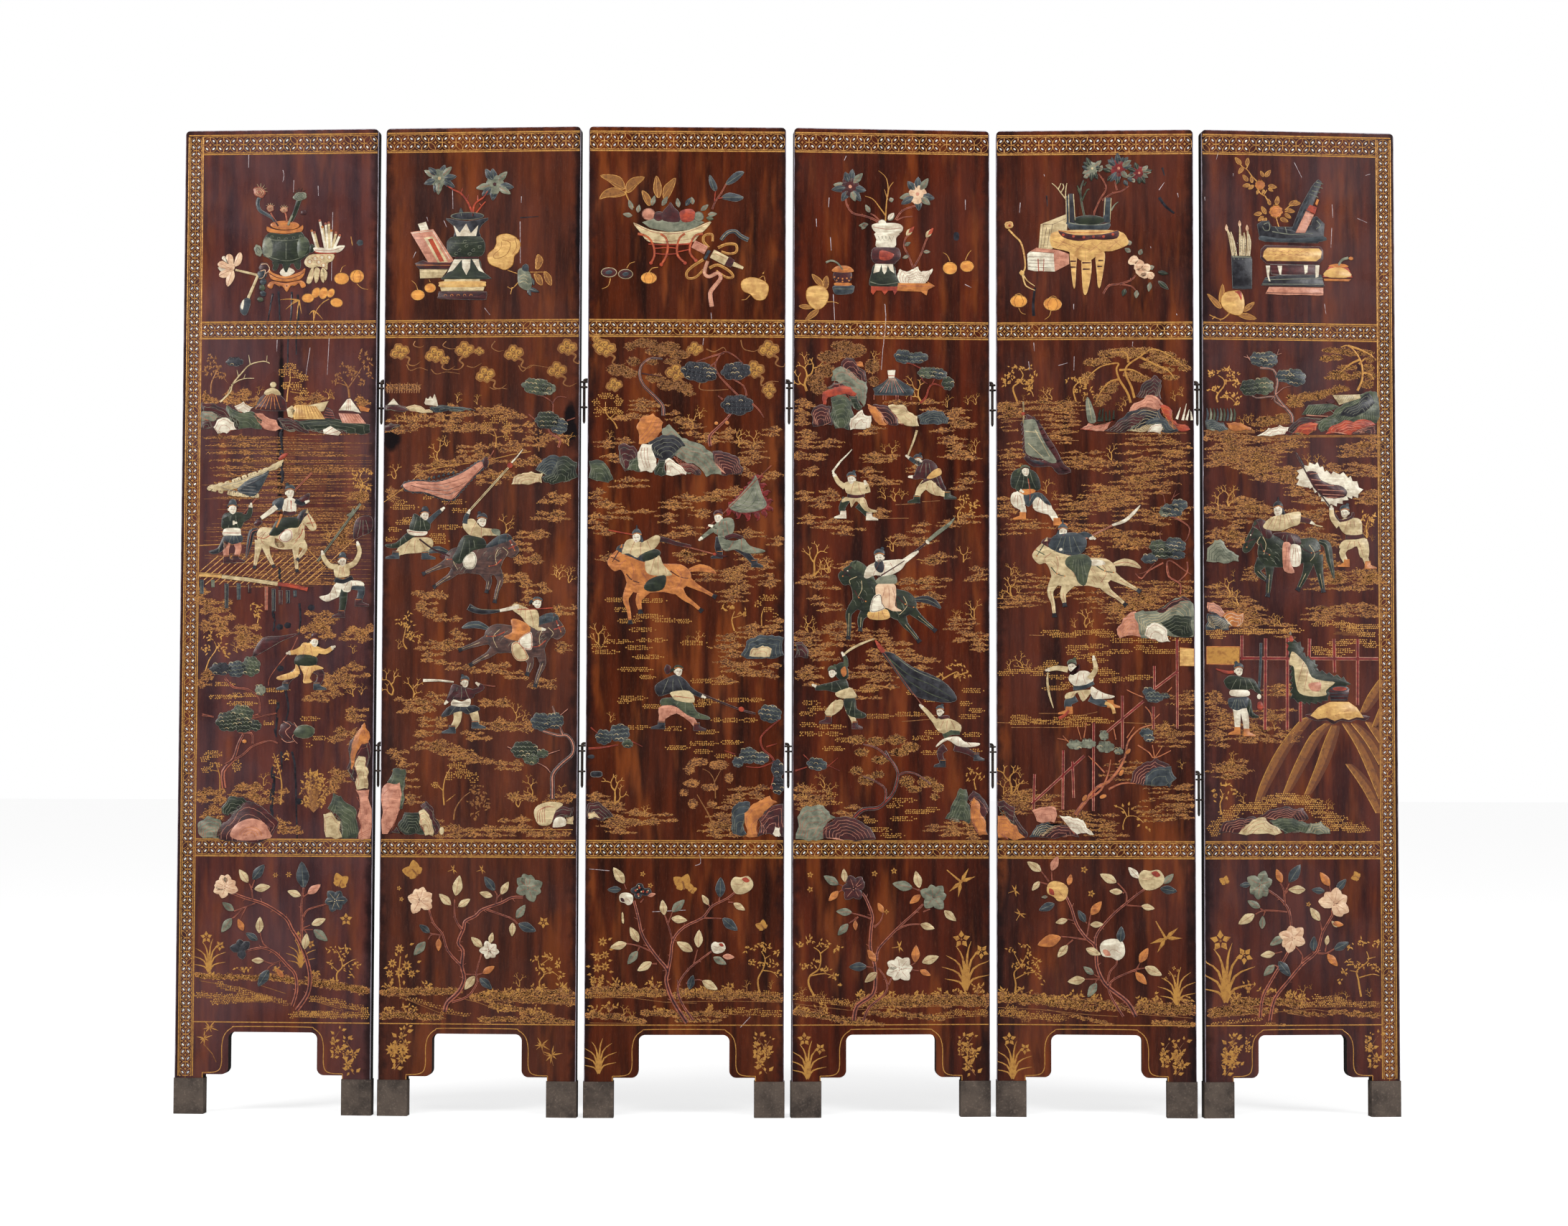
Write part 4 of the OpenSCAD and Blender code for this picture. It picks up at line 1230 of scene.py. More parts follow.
    def cloud(self, x: float, z: float, size: float, turn: float, tail: float = 1.0) -> None:
        """Paints a three-lobed cloud with a curling tail."""
        size *= CLOUD_SCALE
        heads = ((0.0, 0.42, 0.5), (-0.55, 0.0, 0.5), (0.5, -0.05, 0.52), (0.0, -0.42, 0.42))
        for dx, dz, r in heads:
            cx, cz = place([(dx * size, dz * size)], x, z, turn)[0]
            for share, tint, high in (
                (1.12, Tint.DULL, 0.16), (1.0, Tint.LINE, 0.22), (0.91, Tint.GOLD, 0.3)
            ):
                self.fleck(tint, scallop(cx, cz, r * size * share, r * size * share, 5, turn), high=high)
            curl = [
                (cx + r * size * k * 0.1 * math.cos(k), cz + r * size * k * 0.1 * math.sin(k))
                for k in (1, 2, 3, 4, 5, 6)
            ]
            self.stroke(Tint.LINE, curl, 1.2, 0.8, foot=0.3, high=0.08)
        if tail:
            line = [(0.3, -0.6), (0.9, -1.0), (0.5, -1.5), (1.2, -1.9), (2.2, -1.7)]
            line = [(px * size * tail, pz * size) for px, pz in line]
            self.stroke(Tint.DULL, place(line, x, z, turn), size * 0.26, 0.5, steps=4)


# ---------------------------------------------------------------- cut stone

# Heights off the face in mm: how far a scored line lies over its stone, and a head's layers.
OVER = 0.02
HEAD_BASE = 0.3
EAR_RISE = 1.7
SKIN_RISE = 1.8
FEATURE_RISE = 1.83
HAT_RISE = 1.9
HEAD_SCALE = 1.28
PAD_SCALE = 1.3

def graved(tint: Tint) -> Tint:
    """Picks the graver's line that shows on a stone: pale on dark ones, save umber."""
    return Tint.SAGE if tint in DARK_STONES and tint is not Tint.UMBER else Tint.BARK


@dataclass
class StoneWork(Relief):
    """Cut and carved stones let into the lacquer."""

    def score(
        self, points: Line, width: float = 0.7, tint: Tint = Tint.LINE, over: float = 1.72, steps: int = 1
    ) -> None:
        """Draws a graver's line over a stone."""
        self.stroke(tint, points, width, width * 0.6, foot=over, high=0.06, steps=steps)

    def rim(self, outline: Line, tint: Tint = Tint.LINE, width: float = 0.8) -> None:
        """Runs a thin line round a shape, on the lacquer."""
        self.stroke(tint, outline + outline[:1], width)

    def leaf(
        self, tint: Tint, x: float, z: float, length: float, width: float, turn: float, rise: float = 1.4
    ) -> None:
        """Cuts a leaf with a scored midrib."""
        self.cut(tint, spline(lens(x, z, length, width, turn), 2, closed=True), rise)
        rib = place([(length * 0.06, 0), (length * 0.85, 0)], x, z, turn)
        self.score(rib, 0.8, graved(tint), rise + OVER)

    def bloom(
        self, tint: Tint, x: float, z: float, r: float, petals: int = 6, turn: float = 0,
        heart: Tint | None = None
    ) -> None:
        """Cuts an open flower in two rings of petals."""
        for ring, (size, count) in enumerate(((1.0, petals), (0.58, max(petals - 1, 4)))):
            for i in range(count):
                way = turn + 360 * i / count + ring * 28
                long = r * size * (1 + 0.12 * math.sin(i * 2.3 + turn))
                half = [(0.12, 0.1), (0.5, 0.34), (0.86, 0.3), (1.0, 0.06)]
                shape = half + [(a, -b) for a, b in half[::-1]]
                shape = [(a * long, b * long * 1.25) for a, b in shape]
                self.cut(
                    tint, spline(place(shape, x, z, way), 2, closed=True), 1.25 + 0.4 * ring + 0.08 * (i % 2)
                )
        self.cut(heart or tint, ellipse(x, z, r * 0.2, n=8), 1.9)

    def branch(self, points: Line, w0: float, w1: float, thorns: bool = True) -> None:
        """Cuts a stem in two tones: a dark core between pale edges."""
        self.limb(Tint.BARK, points, [w0 + 0.6, w1 + 0.6], 1.0)
        self.score(points, w0 * 0.42, Tint.WINE, 1.02, steps=3)
        if thorns:
            for i in range(1, len(points) - 1):
                (px, pz), (qx, qz) = points[i], points[i + 1]
                way = math.degrees(math.atan2(qz - pz, qx - px)) + (55 if i % 2 else -55)
                self.stroke(
                    Tint.BARK, [(px, pz), place([(w0 * 1.3, 0)], px, pz, way)[0]], 1.6, 0.6, foot=0.3,
                    high=0.5
                )

    def rock(
        self, tint: Tint, points: Line, seed: int = 1, strata: int = 3, rise: float = 1.5,
        line: Tint | None = None
    ) -> None:
        """Cuts a rock with strata that follow its broken outline.

        Args:
            tint: Its stone.
            points: Its corners.
            seed: Picks the breaks.
            strata: How many scored strata it has.
            rise: Its height.
            line: The colour of the strata.
        """
        outline = jag(points, seed, 0.14)
        self.cut(tint, outline, rise)
        n = len(outline)
        mid = (sum(p[0] for p in outline) / n, min(p[1] for p in outline))
        tone = line or graved(tint)
        high = max(p[1] for p in outline)
        for k in range(strata):
            share = 0.86 - 0.66 * k / strata
            level = [
                (mid[0] + (x - mid[0]) * share, mid[1] + (z - mid[1]) * share)
                for x, z in outline
                if z > mid[1] + (high - mid[1]) * 0.12
            ]
            first = max(range(len(level)), key=lambda i: math.dist(level[i], level[i - 1]))
            level = level[first:] + level[:first]
            self.score(level, 0.8, tone, rise + OVER)

    def pad(self, tint: Tint, x: float, z: float, rx: float, rz: float, turn: float = 0) -> None:
        """Cuts a pine's pad of needles, carved in overlapping scales."""
        self.cut(tint, scallop(x, z, rx, rz, 7, turn), 1.2)
        edge = Tint.SLATE if tint is Tint.INK else Tint.SAGE
        rows = max(2, round(rz / 3.8))
        for row in range(rows):
            v = 0.72 - 1.44 * row / (rows - 1)
            wide = rx * math.sqrt(1 - v * v) * 0.88
            count = max(2, round(wide / 4))
            for i in range(count):
                u = -wide + 2 * wide * (i + 0.5 * (row % 2) + 0.25) / count
                px, pz = place([(u, v * rz)], x, z, turn)[0]
                arc = [(px + 3.6 * math.cos(a), pz + 3.0 * math.sin(a)) for a in (0.1, 0.8, 1.6, 2.3, 3.0)]
                # The scale arcs are pale lines; one in four is laid in bone as a painted highlight.
                tone = Tint.BONE if self.rng.random() < 0.25 else edge
                self.stroke(tone, arc, 1.3, 0.8, foot=1.3, high=0.4)
                self.stroke(Tint.INK, [(px, pz - 1.6), (px, pz + 1.8)], 1.4, 0.5, foot=1.3, high=0.2)

    def pine(
        self,
        limbs: list[Line],
        pads: list[tuple[Tint, Point, float, float]],
        width: float = 4.0,
        wood: Tint = Tint.BARK,
    ) -> None:
        """Cuts a pine: its limbs, the first the trunk, and its pads."""
        for i, limb in enumerate(limbs):
            wide = width if i == 0 else width * 0.55
            self.limb(wood, limb, [wide, wide * 0.5], 1.1)
            self.score(limb, wide * 0.3, Tint.WINE if wood is not Tint.WINE else Tint.ROSE, 1.14, steps=3)
        for i, (tint, spot, rx, rz) in enumerate(pads):
            self.pad(tint, *spot, rx * PAD_SCALE, rz * PAD_SCALE, (-8, 6, 0)[i % 3])


class Hat(Enum):
    """What a figure wears on its head."""

    BRIM = "brim"
    CAP = "cap"
    HELM = "helm"
    WRAP = "wrap"


@dataclass
class Troupe(StoneWork):
    """People, horses and banners, cut from several stones."""

    def cloth(
        self, tint: Tint, points: Line, rise: float = 1.5, trim: Tint | None = None, folds: int = 3
    ) -> None:
        """Cuts a garment with folds that fall from its top to its hem.

        Args:
            tint: Its stone.
            points: Its outline.
            rise: Its height.
            trim: The colour of its edging, if it has one.
            folds: How many folds are scored.
        """
        outline = spline(points, 3, closed=True)
        self.cut(tint, outline, rise)
        if trim:
            mx = sum(p[0] for p in outline) / len(outline)
            mz = sum(p[1] for p in outline) / len(outline)
            inner = [(mx + (x - mx) * 0.86, mz + (z - mz) * 0.88) for x, z in outline]
            self.score(inner + inner[:1], 1.3, trim, rise + OVER)
        if folds:
            low = min(p[1] for p in outline)
            high = max(p[1] for p in outline)
            left = min(p[0] for p in outline)
            right = max(p[0] for p in outline)
            for k in range(folds):
                t = (k + 0.7) / (folds + 0.4)
                foot = (left + (right - left) * t, low + (high - low) * 0.1)
                head = (left + (right - left) * (0.5 + (t - 0.5) * 0.45), low + (high - low) * 0.82)
                mid = ((foot[0] + head[0]) / 2 + self.rng.uniform(-1.5, 1.5), (foot[1] + head[1]) / 2)
                line = [p for p in spline([head, mid, foot], 4) if inside(*p, outline)]
                if len(line) > 2:
                    self.score(line, 0.9, graved(tint), rise + OVER)

    def head(
        self, x: float, z: float, hat: Hat, tint: Tint, face: int = 1, turn: float = 0, size: float = 1.0
    ) -> None:
        """Cuts a head with a calm, plain face and its hat.

        Args:
            x: The face's middle.
            z: Its height.
            hat: What the head wears.
            tint: The hat's stone.
            face: 1 looks right, -1 left, 0 forward.
            turn: The head's tilt in degrees.
            size: 1 is a face about 18 mm high.
        """
        size *= HEAD_SCALE

        def at(line: Line) -> Line:
            return place([(p * (face or 1), q) for p, q in line], x, z, turn, size)

        oval = [(-4.6, 4), (-5.4, 0), (-3.6, -4.6), (0.4, -7.2), (3.9, -5.2), (5.4, -1), (5.1, 4), (0, 6.6)]
        ear = [(-5.4, 1.6), (-7.2, 1.2), (-6.6, -2), (-5, -2)]
        self.cut(Tint.IVORY, spline(at(oval), 3, closed=True), SKIN_RISE, HEAD_BASE)
        self.cut(Tint.IVORY, spline(at(ear), 2, closed=True), EAR_RISE, HEAD_BASE)
        off = 1.0 if face else 0.0
        for s in (-1, 1):
            wide = 1.1 if s == 1 or not face else 1.5
            brow = [(off + s * 2.3 - wide, 2.0), (off + s * 2.3, 2.6), (off + s * 2.3 + wide, 1.9)]
            eye = [(off + s * 2.2 - wide, 0.3), (off + s * 2.2, 0.7), (off + s * 2.2 + wide, 0.2)]
            self.score(at(brow), 0.5 * size, Tint.LINE, FEATURE_RISE)
            self.score(at(eye), 0.8 * size, Tint.LINE, FEATURE_RISE)
        self.score(
            at([(off + 0.4, 0.8), (off + 1.0, -1.6), (off, -2.0)]), 0.45 * size, Tint.BARK, FEATURE_RISE
        )
        self.score(
            at([(off - 1.1, -3.7), (off, -4.0), (off + 1.2, -3.7)]), 0.8 * size, Tint.CORAL, FEATURE_RISE
        )
        shapes = {
            Hat.BRIM: [
                [(-9, 3.6), (-2, 6.2), (8.6, 3.4), (4, 8), (-5, 8.4)],
                [(-5, 7), (5, 7), (4, 13), (0, 15), (-4, 13)]
            ],
            Hat.CAP: [
                [(-6, 3), (0, 5), (6, 3), (6.4, 8), (2, 11.5), (-5, 10.5), (-7, 6)],
                [(-5, 10), (-1, 10.5), (-3, 14.5), (-6.5, 13)]
            ],
            Hat.HELM: [
                [(-6, 3), (0, 5.4), (6, 3), (5, 9), (0, 12.5), (-5, 9)],
                [(-1, 11.5), (1, 11.5), (0.7, 17), (-0.7, 17)], [(-6, 4), (-9.4, -5), (-5.6, -6), (-4.6, 3)]
            ],
            Hat.WRAP: [
                [(-6.4, 2.6), (0, 5), (6.4, 2.8), (7, 6.4), (2, 9.6), (-5, 9.2)],
                [(-6, 6), (-11, 4), (-12, -1), (-8, 1)]
            ],
        }
        for k, shape in enumerate(shapes[hat]):
            self.cut(tint, spline(at(shape), 3, closed=True), HAT_RISE - 0.06 * k, HEAD_BASE)
        band = Tint.APRICOT if tint in (Tint.WINE, Tint.INK, Tint.SLATE, Tint.JADE) else Tint.WINE
        self.score(at([(-6.4, 4.2), (0, 6.4), (6.4, 4)]), 1.3 * size, band, HAT_RISE, steps=3)

    def arm(
        self, sleeve: Tint, points: Line, width: float = 11, cuff: Tint = Tint.IVORY, hand: Tint = Tint.IVORY
    ) -> None:
        """Cuts an arm from its shoulder to the hand at its end."""
        self.limb(sleeve, points, [width, width * 0.62], 1.8)
        (ax, az), (bx, bz) = points[-2], points[-1]
        way = math.degrees(math.atan2(bz - az, bx - ax))
        band = place([(-1.5, 0), (2.6, 0)], bx, bz, way)
        self.limb(cuff, band, [width * 0.66, width * 0.6], 1.86)
        self.cut(hand, ellipse(*place([(4.6, 0)], bx, bz, way)[0], 3.2, 2.5, way, n=10), 1.88)

    def leg(self, tint: Tint, points: Line, width: float, boot: Tint, toe: int = 1) -> None:
        """Cuts a leg from hip to ankle, and its boot."""
        self.limb(tint, points, [width, width * 0.6], 1.3)
        x, z = points[-1]
        w = width * 0.36
        shape = [(-w, 7), (w, 7), (w * 1.1, 0), (w * 3.1, -4.5), (w * 3.2, -7.5), (-w * 1.1, -7.5)]
        self.cut(boot, place([(p * toe, q) for p, q in shape], x, z), 1.4)
        self.score(
            place([(-w * toe, 5), (w * toe, 5)], x, z), 1.0,
            Tint.APRICOT if boot is not Tint.IVORY else Tint.BARK, 1.42
        )

    def sash(self, tint: Tint, points: Line, width: float = 5) -> None:
        """Ties a sash along points."""
        self.limb(tint, points, [width, width * 0.8], 1.85)

    def pole(self, points: Line, width: float = 2.4, tint: Tint = Tint.BARK) -> None:
        """Cuts a pole or shaft, lined dark."""
        self.limb(tint, points, [width, width], 1.6)
        self.score(points, width * 0.3, Tint.LINE, 1.62)

    def halberd(self, foot: Point, tip: Point, blade: float = 26, head: Tint = Tint.SLATE) -> None:
        """Cuts a long weapon with a curved blade at its tip."""
        self.pole([foot, tip])
        way = math.degrees(math.atan2(tip[1] - foot[1], tip[0] - foot[0]))
        shape = [(0, -2), (blade * 0.5, -3.4), (blade, 2.8), (blade * 0.55, 2.2), (blade * 0.12, 4.2), (0, 2)]
        self.cut(head, spline(place(shape, *tip, way), 2, closed=True), 1.7)
        self.cut(Tint.CORAL, ellipse(*tip, 3.4, 2.8, way, n=10), 1.8)

    def horse(
        self, x: float, z: float, size: float, face: int, coat: Tint, mane: Tint, run: bool = False,
        turn: float = 0, under: Tint = Tint.CORAL, nod: float = 0, tail: Tint | None = None,
    ) -> None:
        """Cuts a horse in profile with its harness.

        Args:
            x: The middle of its body.
            z: The height of that.
            size: 1 is a body 110 mm long.
            face: 1 faces right, -1 left.
            coat: Its body's stone.
            mane: Its mane's.
            run: Whether it gallops.
            turn: How far its forehand is lifted, in degrees.
            under: The stone of its straps.
            nod: How far it hangs its head, in mm.
            tail: Its tail's stone, if it isn't the mane's.
        """

        def at(line: Line) -> Line:
            low = [(p, q - nod * max(0.0, p - 46) / 40) for p, q in line]
            return place([(p * face, q) for p, q in low], x, z, turn * face, size)

        dark = coat in DARK_STONES
        edge = Tint.BONE if dark else Tint.BARK
        hair = Tint.SAGE if dark else Tint.BARK
        if run:
            legs = [
                ([(-44, 2), (-67, -8), (-84, -14), (-100, -20)], 0),
                ([(20, -26), (28, -46), (23, -63)], 0),
                ([(-34, -14), (-50, -30), (-66, -38), (-80, -47)], 1),
                ([(42, -18), (51, -46), (43, -66), (38, -84)], 1),
            ]
            brush = [(-52, 18), (-70, 25), (-87, 24), (-100, 19)]
            body = [
                (-57, 0), (-54, 16), (-36, 26), (-8, 23), (26, 22), (43, 34), (58, 41), (70, 42), (84, 29),
                (92, 14), (88, 5), (77, -2), (67, 2), (58, -8), (52, -21), (38, -34), (12, -31), (-14, -26),
                (-34, -27), (-46, -16)
            ]
            crest = [(24, 22), (40, 36), (56, 45), (72, 46), (80, 36), (68, 30), (52, 26), (38, 22)]
            skull = [
                (69, 41), (71, 48), (75, 39)
            ], (79, 24), [(60, 20), (70, 10), (66, 3)], [(75, 33), (84, 12)], [(71, 16), (88, 22)]
            straps = [(56, -4), (44, -14), (30, -16)], [(-20, 12), (-38, 4), (-54, 4)]
            folds = [(50, 16), (44, 2), (46, -14)], [(-30, 16), (-42, 2), (-34, -18)]
        else:
            legs = [
                ([(-40, -2), (-45, -34), (-50, -60)], 0),
                ([(56, -8), (65, -22), (50, -43)], 0),
                ([(-28, -6), (-20, -34), (-8, -58)], 1),
                ([(44, -8), (44, -36), (47, -68)], 1),
            ]
            brush = [(-44, 22), (-58, 16), (-63, -10), (-70, -42)]
            body = [
                (-46, 6), (-43, 21), (-33, 28), (-10, 26), (20, 27), (42, 36), (54, 56), (68, 62), (80, 50),
                (91, 30), (87, 20), (77, 20), (66, 32), (63, 24), (64, 4), (51, -18), (22, -23), (2, -21),
                (-20, -14), (-36, -16)
            ]
            crest = [(38, 32), (52, 60), (66, 68), (74, 60), (64, 50), (56, 36), (48, 26)]
            skull = [
                (65, 60), (70, 70), (73, 58)
            ], (77, 46), [(60, 36), (66, 28), (62, 22)], [(70, 58), (84, 28)], [(68, 36), (88, 38)]
            straps = [(60, 24), (54, 8), (44, -2)], [(-14, 10), (-30, 2), (-45, 6)]
            folds = [(56, 34), (50, 18), (54, 2)], [(-26, 16), (-36, 0), (-28, -12)]
        self.cut(tail or mane, ribbon(at(brush), [w * size for w in (6, 13, 11, 2)]), 1.3)
        self.score(at(brush), 1.1, hair, 1.32, steps=3)
        for line, near in legs:
            self.cut(
                coat, ribbon(at(line), [w * size for w in (22, 11, 6.5, 5.6)[: len(line)]]), 1.15 + 0.2 * near
            )
            self.score(at([line[1], line[-1]]), 0.8, edge, 1.2 + 0.2 * near)
            (ax, az), (bx, bz) = at(line[-2:])
            way = math.degrees(math.atan2(bz - az, bx - ax))
            hoof = [(-1, -3), (6.5, -4.4), (7, 4.4), (-1, 3)]
            self.cut(Tint.BONE if coat is Tint.INK else Tint.INK, place(hoof, bx, bz, way, size), 1.4)
        outline = spline(at(body), 3, closed=True)
        self.cut(coat, outline, 1.5)
        self.rim(outline, edge, 0.7)
        self.cut(mane, spline(at(crest), 2, closed=True), 1.65)
        for i in range(5):
            self.score(at([crest[1 + i // 2], crest[-1 - i // 2]]), 0.7, hair, 1.67)
        ear, eye, cheek, bridle, band = skull
        self.cut(coat, at(ear), 1.75)
        for _ in range(26):
            p, q = self.rng.uniform(-48, 60), self.rng.uniform(-22, 24)
            lock = at([(p, q), (p - 5, q - 3), (p - 8, q - 8)])
            if all(inside(*spot, outline) for spot in lock):
                self.score(lock, 0.7, hair, 1.53)
        for fold in (*folds, cheek):
            self.score(at(fold), 1.1, edge, 1.54, steps=3)
        self.dot(Tint.IVORY if dark else Tint.INK, *at([eye])[0], 1.5 * size, 1.56)
        for strap in (*straps, bridle, band):
            self.score(at(strap), 2.0 * size, under, 1.56, steps=3)
            for spot in at(strap)[1:]:
                self.dot(Tint.APRICOT, *spot, 1.4 * size, 1.6)

    def fringe(self, tint: Tint, outline: Line, reach: float = 4.0, pitch: float = 6.0) -> None:
        """Cuts a toothed edging that stands out all round a cloth."""
        line = outline if area(outline) > 0 else outline[::-1]
        line = spline(line, 8, closed=True)
        teeth, run = [], 0.0
        for i, (x, z) in enumerate(line):
            (ax, az), (bx, bz) = line[i - 1], line[(i + 1) % len(line)]
            run += math.hypot(x - ax, z - az)
            if run >= pitch / 2:
                run = 0.0
                long = math.hypot(bx - ax, bz - az) or 1
                out = reach if len(teeth) % 2 else 0.8
                dx, dz = (bx - ax) / long * out, (bz - az) / long * out
                teeth.append((x + dz + dx * 0.6, z - dx + dz * 0.6))
        self.cut(tint, teeth, 1.2)

    def banner(
        self, field_: Tint, outline: Line, fringe: Tint, along: Line, reach: float, count: int = 9
    ) -> None:
        """Cuts a banner with flame-like tongues along one side.

        Args:
            field_: Its cloth's stone.
            outline: Its cloth's outline.
            fringe: The tongues' stone.
            along: The side that the tongues leave.
            reach: How far they stand out.
            count: How many there are.
        """
        line = spline(along, 8)
        for i in range(count):
            at = (i + 0.5) / count * (len(line) - 1)
            (ax, az), (bx, bz) = line[int(at)], line[min(int(at) + 1, len(line) - 1)]
            way = math.degrees(math.atan2(bz - az, bx - ax)) - 90
            long = reach * self.rng.uniform(0.8, 1.15)
            tongue = [
                (-2, -4), (long * 0.4, -4.5), (long * 0.72, -0.5), (long, -3.6), (long * 0.82, 3),
                (long * 0.4, 4.5), (-2, 4)
            ]
            self.cut(fringe, spline(place(tongue, ax, az, way), 2, closed=True), 1.2)
            self.score(
                place([(0, 0), (long * 0.5, 0.5), (long * 0.8, -0.6)], ax, az, way), 0.9, Tint.WINE, 1.22
            )
        self.cut(field_, spline(outline, 3, closed=True), 1.55)
        mx, mz = (sum(p[k] for p in outline) / len(outline) for k in (0, 1))
        for share in (0.25, 0.5, 0.75):
            fold = [(mx + (x - mx) * share, mz + (z - mz) * share) for x, z in along]
            self.score(fold, 0.9, Tint.EDGE, 1.57, steps=3)


# ---------------------------------------------------------------- studio


@dataclass(frozen=True)
class Studio:
    """The photograph's white studio: floor, backdrop, lamps and camera.

    Attributes:
        eye: Where the camera stands.
        yaw: Its turn about the upright, in radians.
        pitch: How far it looks up.
        roll: Its roll.
        lens: Its focal length in mm on a 36 mm frame.
        white: How bright the room lights the screen, and the floor looks.
        glare: How bright the room looks in shines.
    """

    eye: tuple[float, float, float] = (-0.0175, -5.5, 0.6637)
    yaw: float = -0.0017
    pitch: float = 0.0479
    roll: float = 0.00246
    lens: float = 68.1
    white: float = 0.55
    glare: float = 0.08

    def build(self) -> None:
        """Sets up all of it."""
        self.world()
        self.floor()
        self.lamps()
        self.camera()

    def camera(self) -> None:
        """Places the camera that was fitted to the photograph."""
        deselect()
        bpy.ops.object.camera_add(location=self.eye)
        camera = bpy.context.active_object
        camera.name = "camera"
        look = Matrix.Rotation(self.yaw, 3, "Z") @ Matrix.Rotation(math.pi / 2 + self.pitch, 3, "X")
        look = look @ Matrix.Rotation(self.roll, 3, "Z")
        camera.rotation_euler = look.to_euler()
        camera.data.lens = self.lens
        camera.data.sensor_width = 36.0
        bpy.context.scene.camera = camera

    def world(self) -> None:
        """Lights the room white, shows it as pure white, and keeps it dark in shines."""
        world = bpy.data.worlds.new("studio")
        bpy.context.scene.world = world
        world.use_nodes = True
        tree = world.node_tree
        back = tree.nodes["Background"]
        back.inputs["Strength"].default_value = self.white
        dark = tree.nodes.new("ShaderNodeBackground")
        dark.inputs["Color"].default_value = (1, 1, 1, 1)
        dark.inputs["Strength"].default_value = self.glare
        seen = tree.nodes.new("ShaderNodeBackground")
        seen.inputs["Color"].default_value = (1, 1, 1, 1)
        back.inputs["Color"].default_value = (1, 1, 1, 1)
        path = tree.nodes.new("ShaderNodeLightPath")
        mix = tree.nodes.new("ShaderNodeMixShader")
        shine = tree.nodes.new("ShaderNodeMixShader")
        tree.links.new(path.outputs["Is Glossy Ray"], shine.inputs[0])
        tree.links.new(back.outputs[0], shine.inputs[1])
        tree.links.new(dark.outputs[0], shine.inputs[2])
        tree.links.new(path.outputs["Is Camera Ray"], mix.inputs[0])
        tree.links.new(shine.outputs[0], mix.inputs[1])
        tree.links.new(seen.outputs[0], mix.inputs[2])
        tree.links.new(mix.outputs[0], tree.nodes["World Output"].inputs[0])

    def floor(self) -> None:
        """Lays the white floor, which keeps the screen's soft shadow."""
        deselect()
        bpy.ops.mesh.primitive_plane_add(size=60, location=(0, 8, 0))
        floor = bpy.context.active_object
        floor.name = "floor"
        shop = Shop("floor_paper")
        path = shop.add("LightPath")
        seen = path.outputs["Is Camera Ray"]
        shade = shop.mix(path.outputs["Is Glossy Ray"], (0.8, 0.8, 0.8, 1), (0.1, 0.1, 0.1, 1))
        shop.feed(shop.shader.inputs["Base Color"], shade)
        shop.feed(shop.shader.inputs["Roughness"], 1.0)
        shop.feed(shop.shader.inputs["Emission Color"], (1, 1, 1, 1))
        shop.feed(shop.shader.inputs["Emission Strength"], shop.maths("MULTIPLY", seen, self.white))
        floor.data.materials.append(shop.material)

    def lamps(self) -> None:
        """Hangs two large soft lamps before the screen and one over it."""
        for name, place_, size, power in (
            ("lamp_left", (-4.9, -3.3, 2.9), 2.0, 150),
            ("lamp_right", (4.7, -3.5, 2.7), 2.0, 130),
            ("lamp_top", (0.2, -1.9, 4.6), 3.0, 70),
        ):
            deselect()
            bpy.ops.object.light_add(type="AREA", location=place_)
            lamp = bpy.context.active_object
            lamp.name = name
            lamp.data.size = size
            lamp.data.energy = power
            aim = Vector((0, 0, 0.95)) - Vector(place_)
            lamp.rotation_euler = aim.to_track_quat("-Z", "Y").to_euler()


# ---------------------------------------------------------------- the screen


@dataclass
class Screen:
    """The six leaves with all that lies on them."""

    planes: list[LeafPlane] = field(default_factory=list)

    def build(self) -> None:
        """Dresses the CAD's nodes and lays every picture on its leaf."""
        self.planes = [LeafPlane(n) for n in range(1, 7)]
        self.dress()
        for plane in self.planes:
            Border(plane).build()
            for picture in PICTURES[plane.number]:
                picture(plane)

    def dress(self) -> None:
        """Gives the carried-over CAD nodes their finishes."""
        # Each leaf: its ground, its dark streaks, its orange streaks, and a grey painted sheen standing for
        # reflected light, strongest on the outer leaves.
        grounds = {
            1: ((94, 46, 36), (48, 26, 28), 0.35, 0.3),
            2: ((94, 43, 23), (44, 22, 17), 0.4, 0.08),
            3: ((90, 35, 11), (34, 13, 7), 0.6, 0.02),
            4: ((90, 33, 12), (36, 13, 8), 0.5, 0.03),
            5: ((92, 39, 20), (38, 17, 13), 0.5, 0.08),
            6: ((90, 42, 30), (42, 23, 24), 0.35, 0.2),
        }
        blots = {
            1: ((186, 1250, 7, 260),), 2: ((368, 1640, 14, 170), (14, 1250, 22, 30), (350, 1270, 18, 60))
        }
        back = PlainFinish("old_black", (42, 31, 30), (24, 18, 20), 0.36, scale=9, crackle=0.42)
        timber = PlainFinish("leaf_wood", (36, 25, 22), (22, 16, 16), 0.5, scale=14)
        caps = PlainFinish("foot_bronze", (98, 85, 75), (60, 50, 44), 0.46, 0.2, 22)
        iron = PlainFinish("forged_iron", (92, 78, 70), (56, 46, 42), 0.5, 0.3, 90)
        for name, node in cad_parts.items():
            finish = timber
            if name.endswith("front_lacquer"):
                plane = self.planes[int(name.split("_")[1]) - 1]
                ground = grounds[plane.number]
                made = LacquerFinish(plane, *ground, blots=blots.get(plane.number, ())).material()
            else:
                if name.endswith("back_lacquer"):
                    finish = back
                elif "foot" in name:
                    finish = caps
                elif "pin" in name or "eye" in name:
                    finish = iron
                made = finish.material()
            if not node.material_slots:
                node.data.materials.append(made)
            for slot in node.material_slots:
                slot.material = made
        log.info("dressed %d nodes", len(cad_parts))


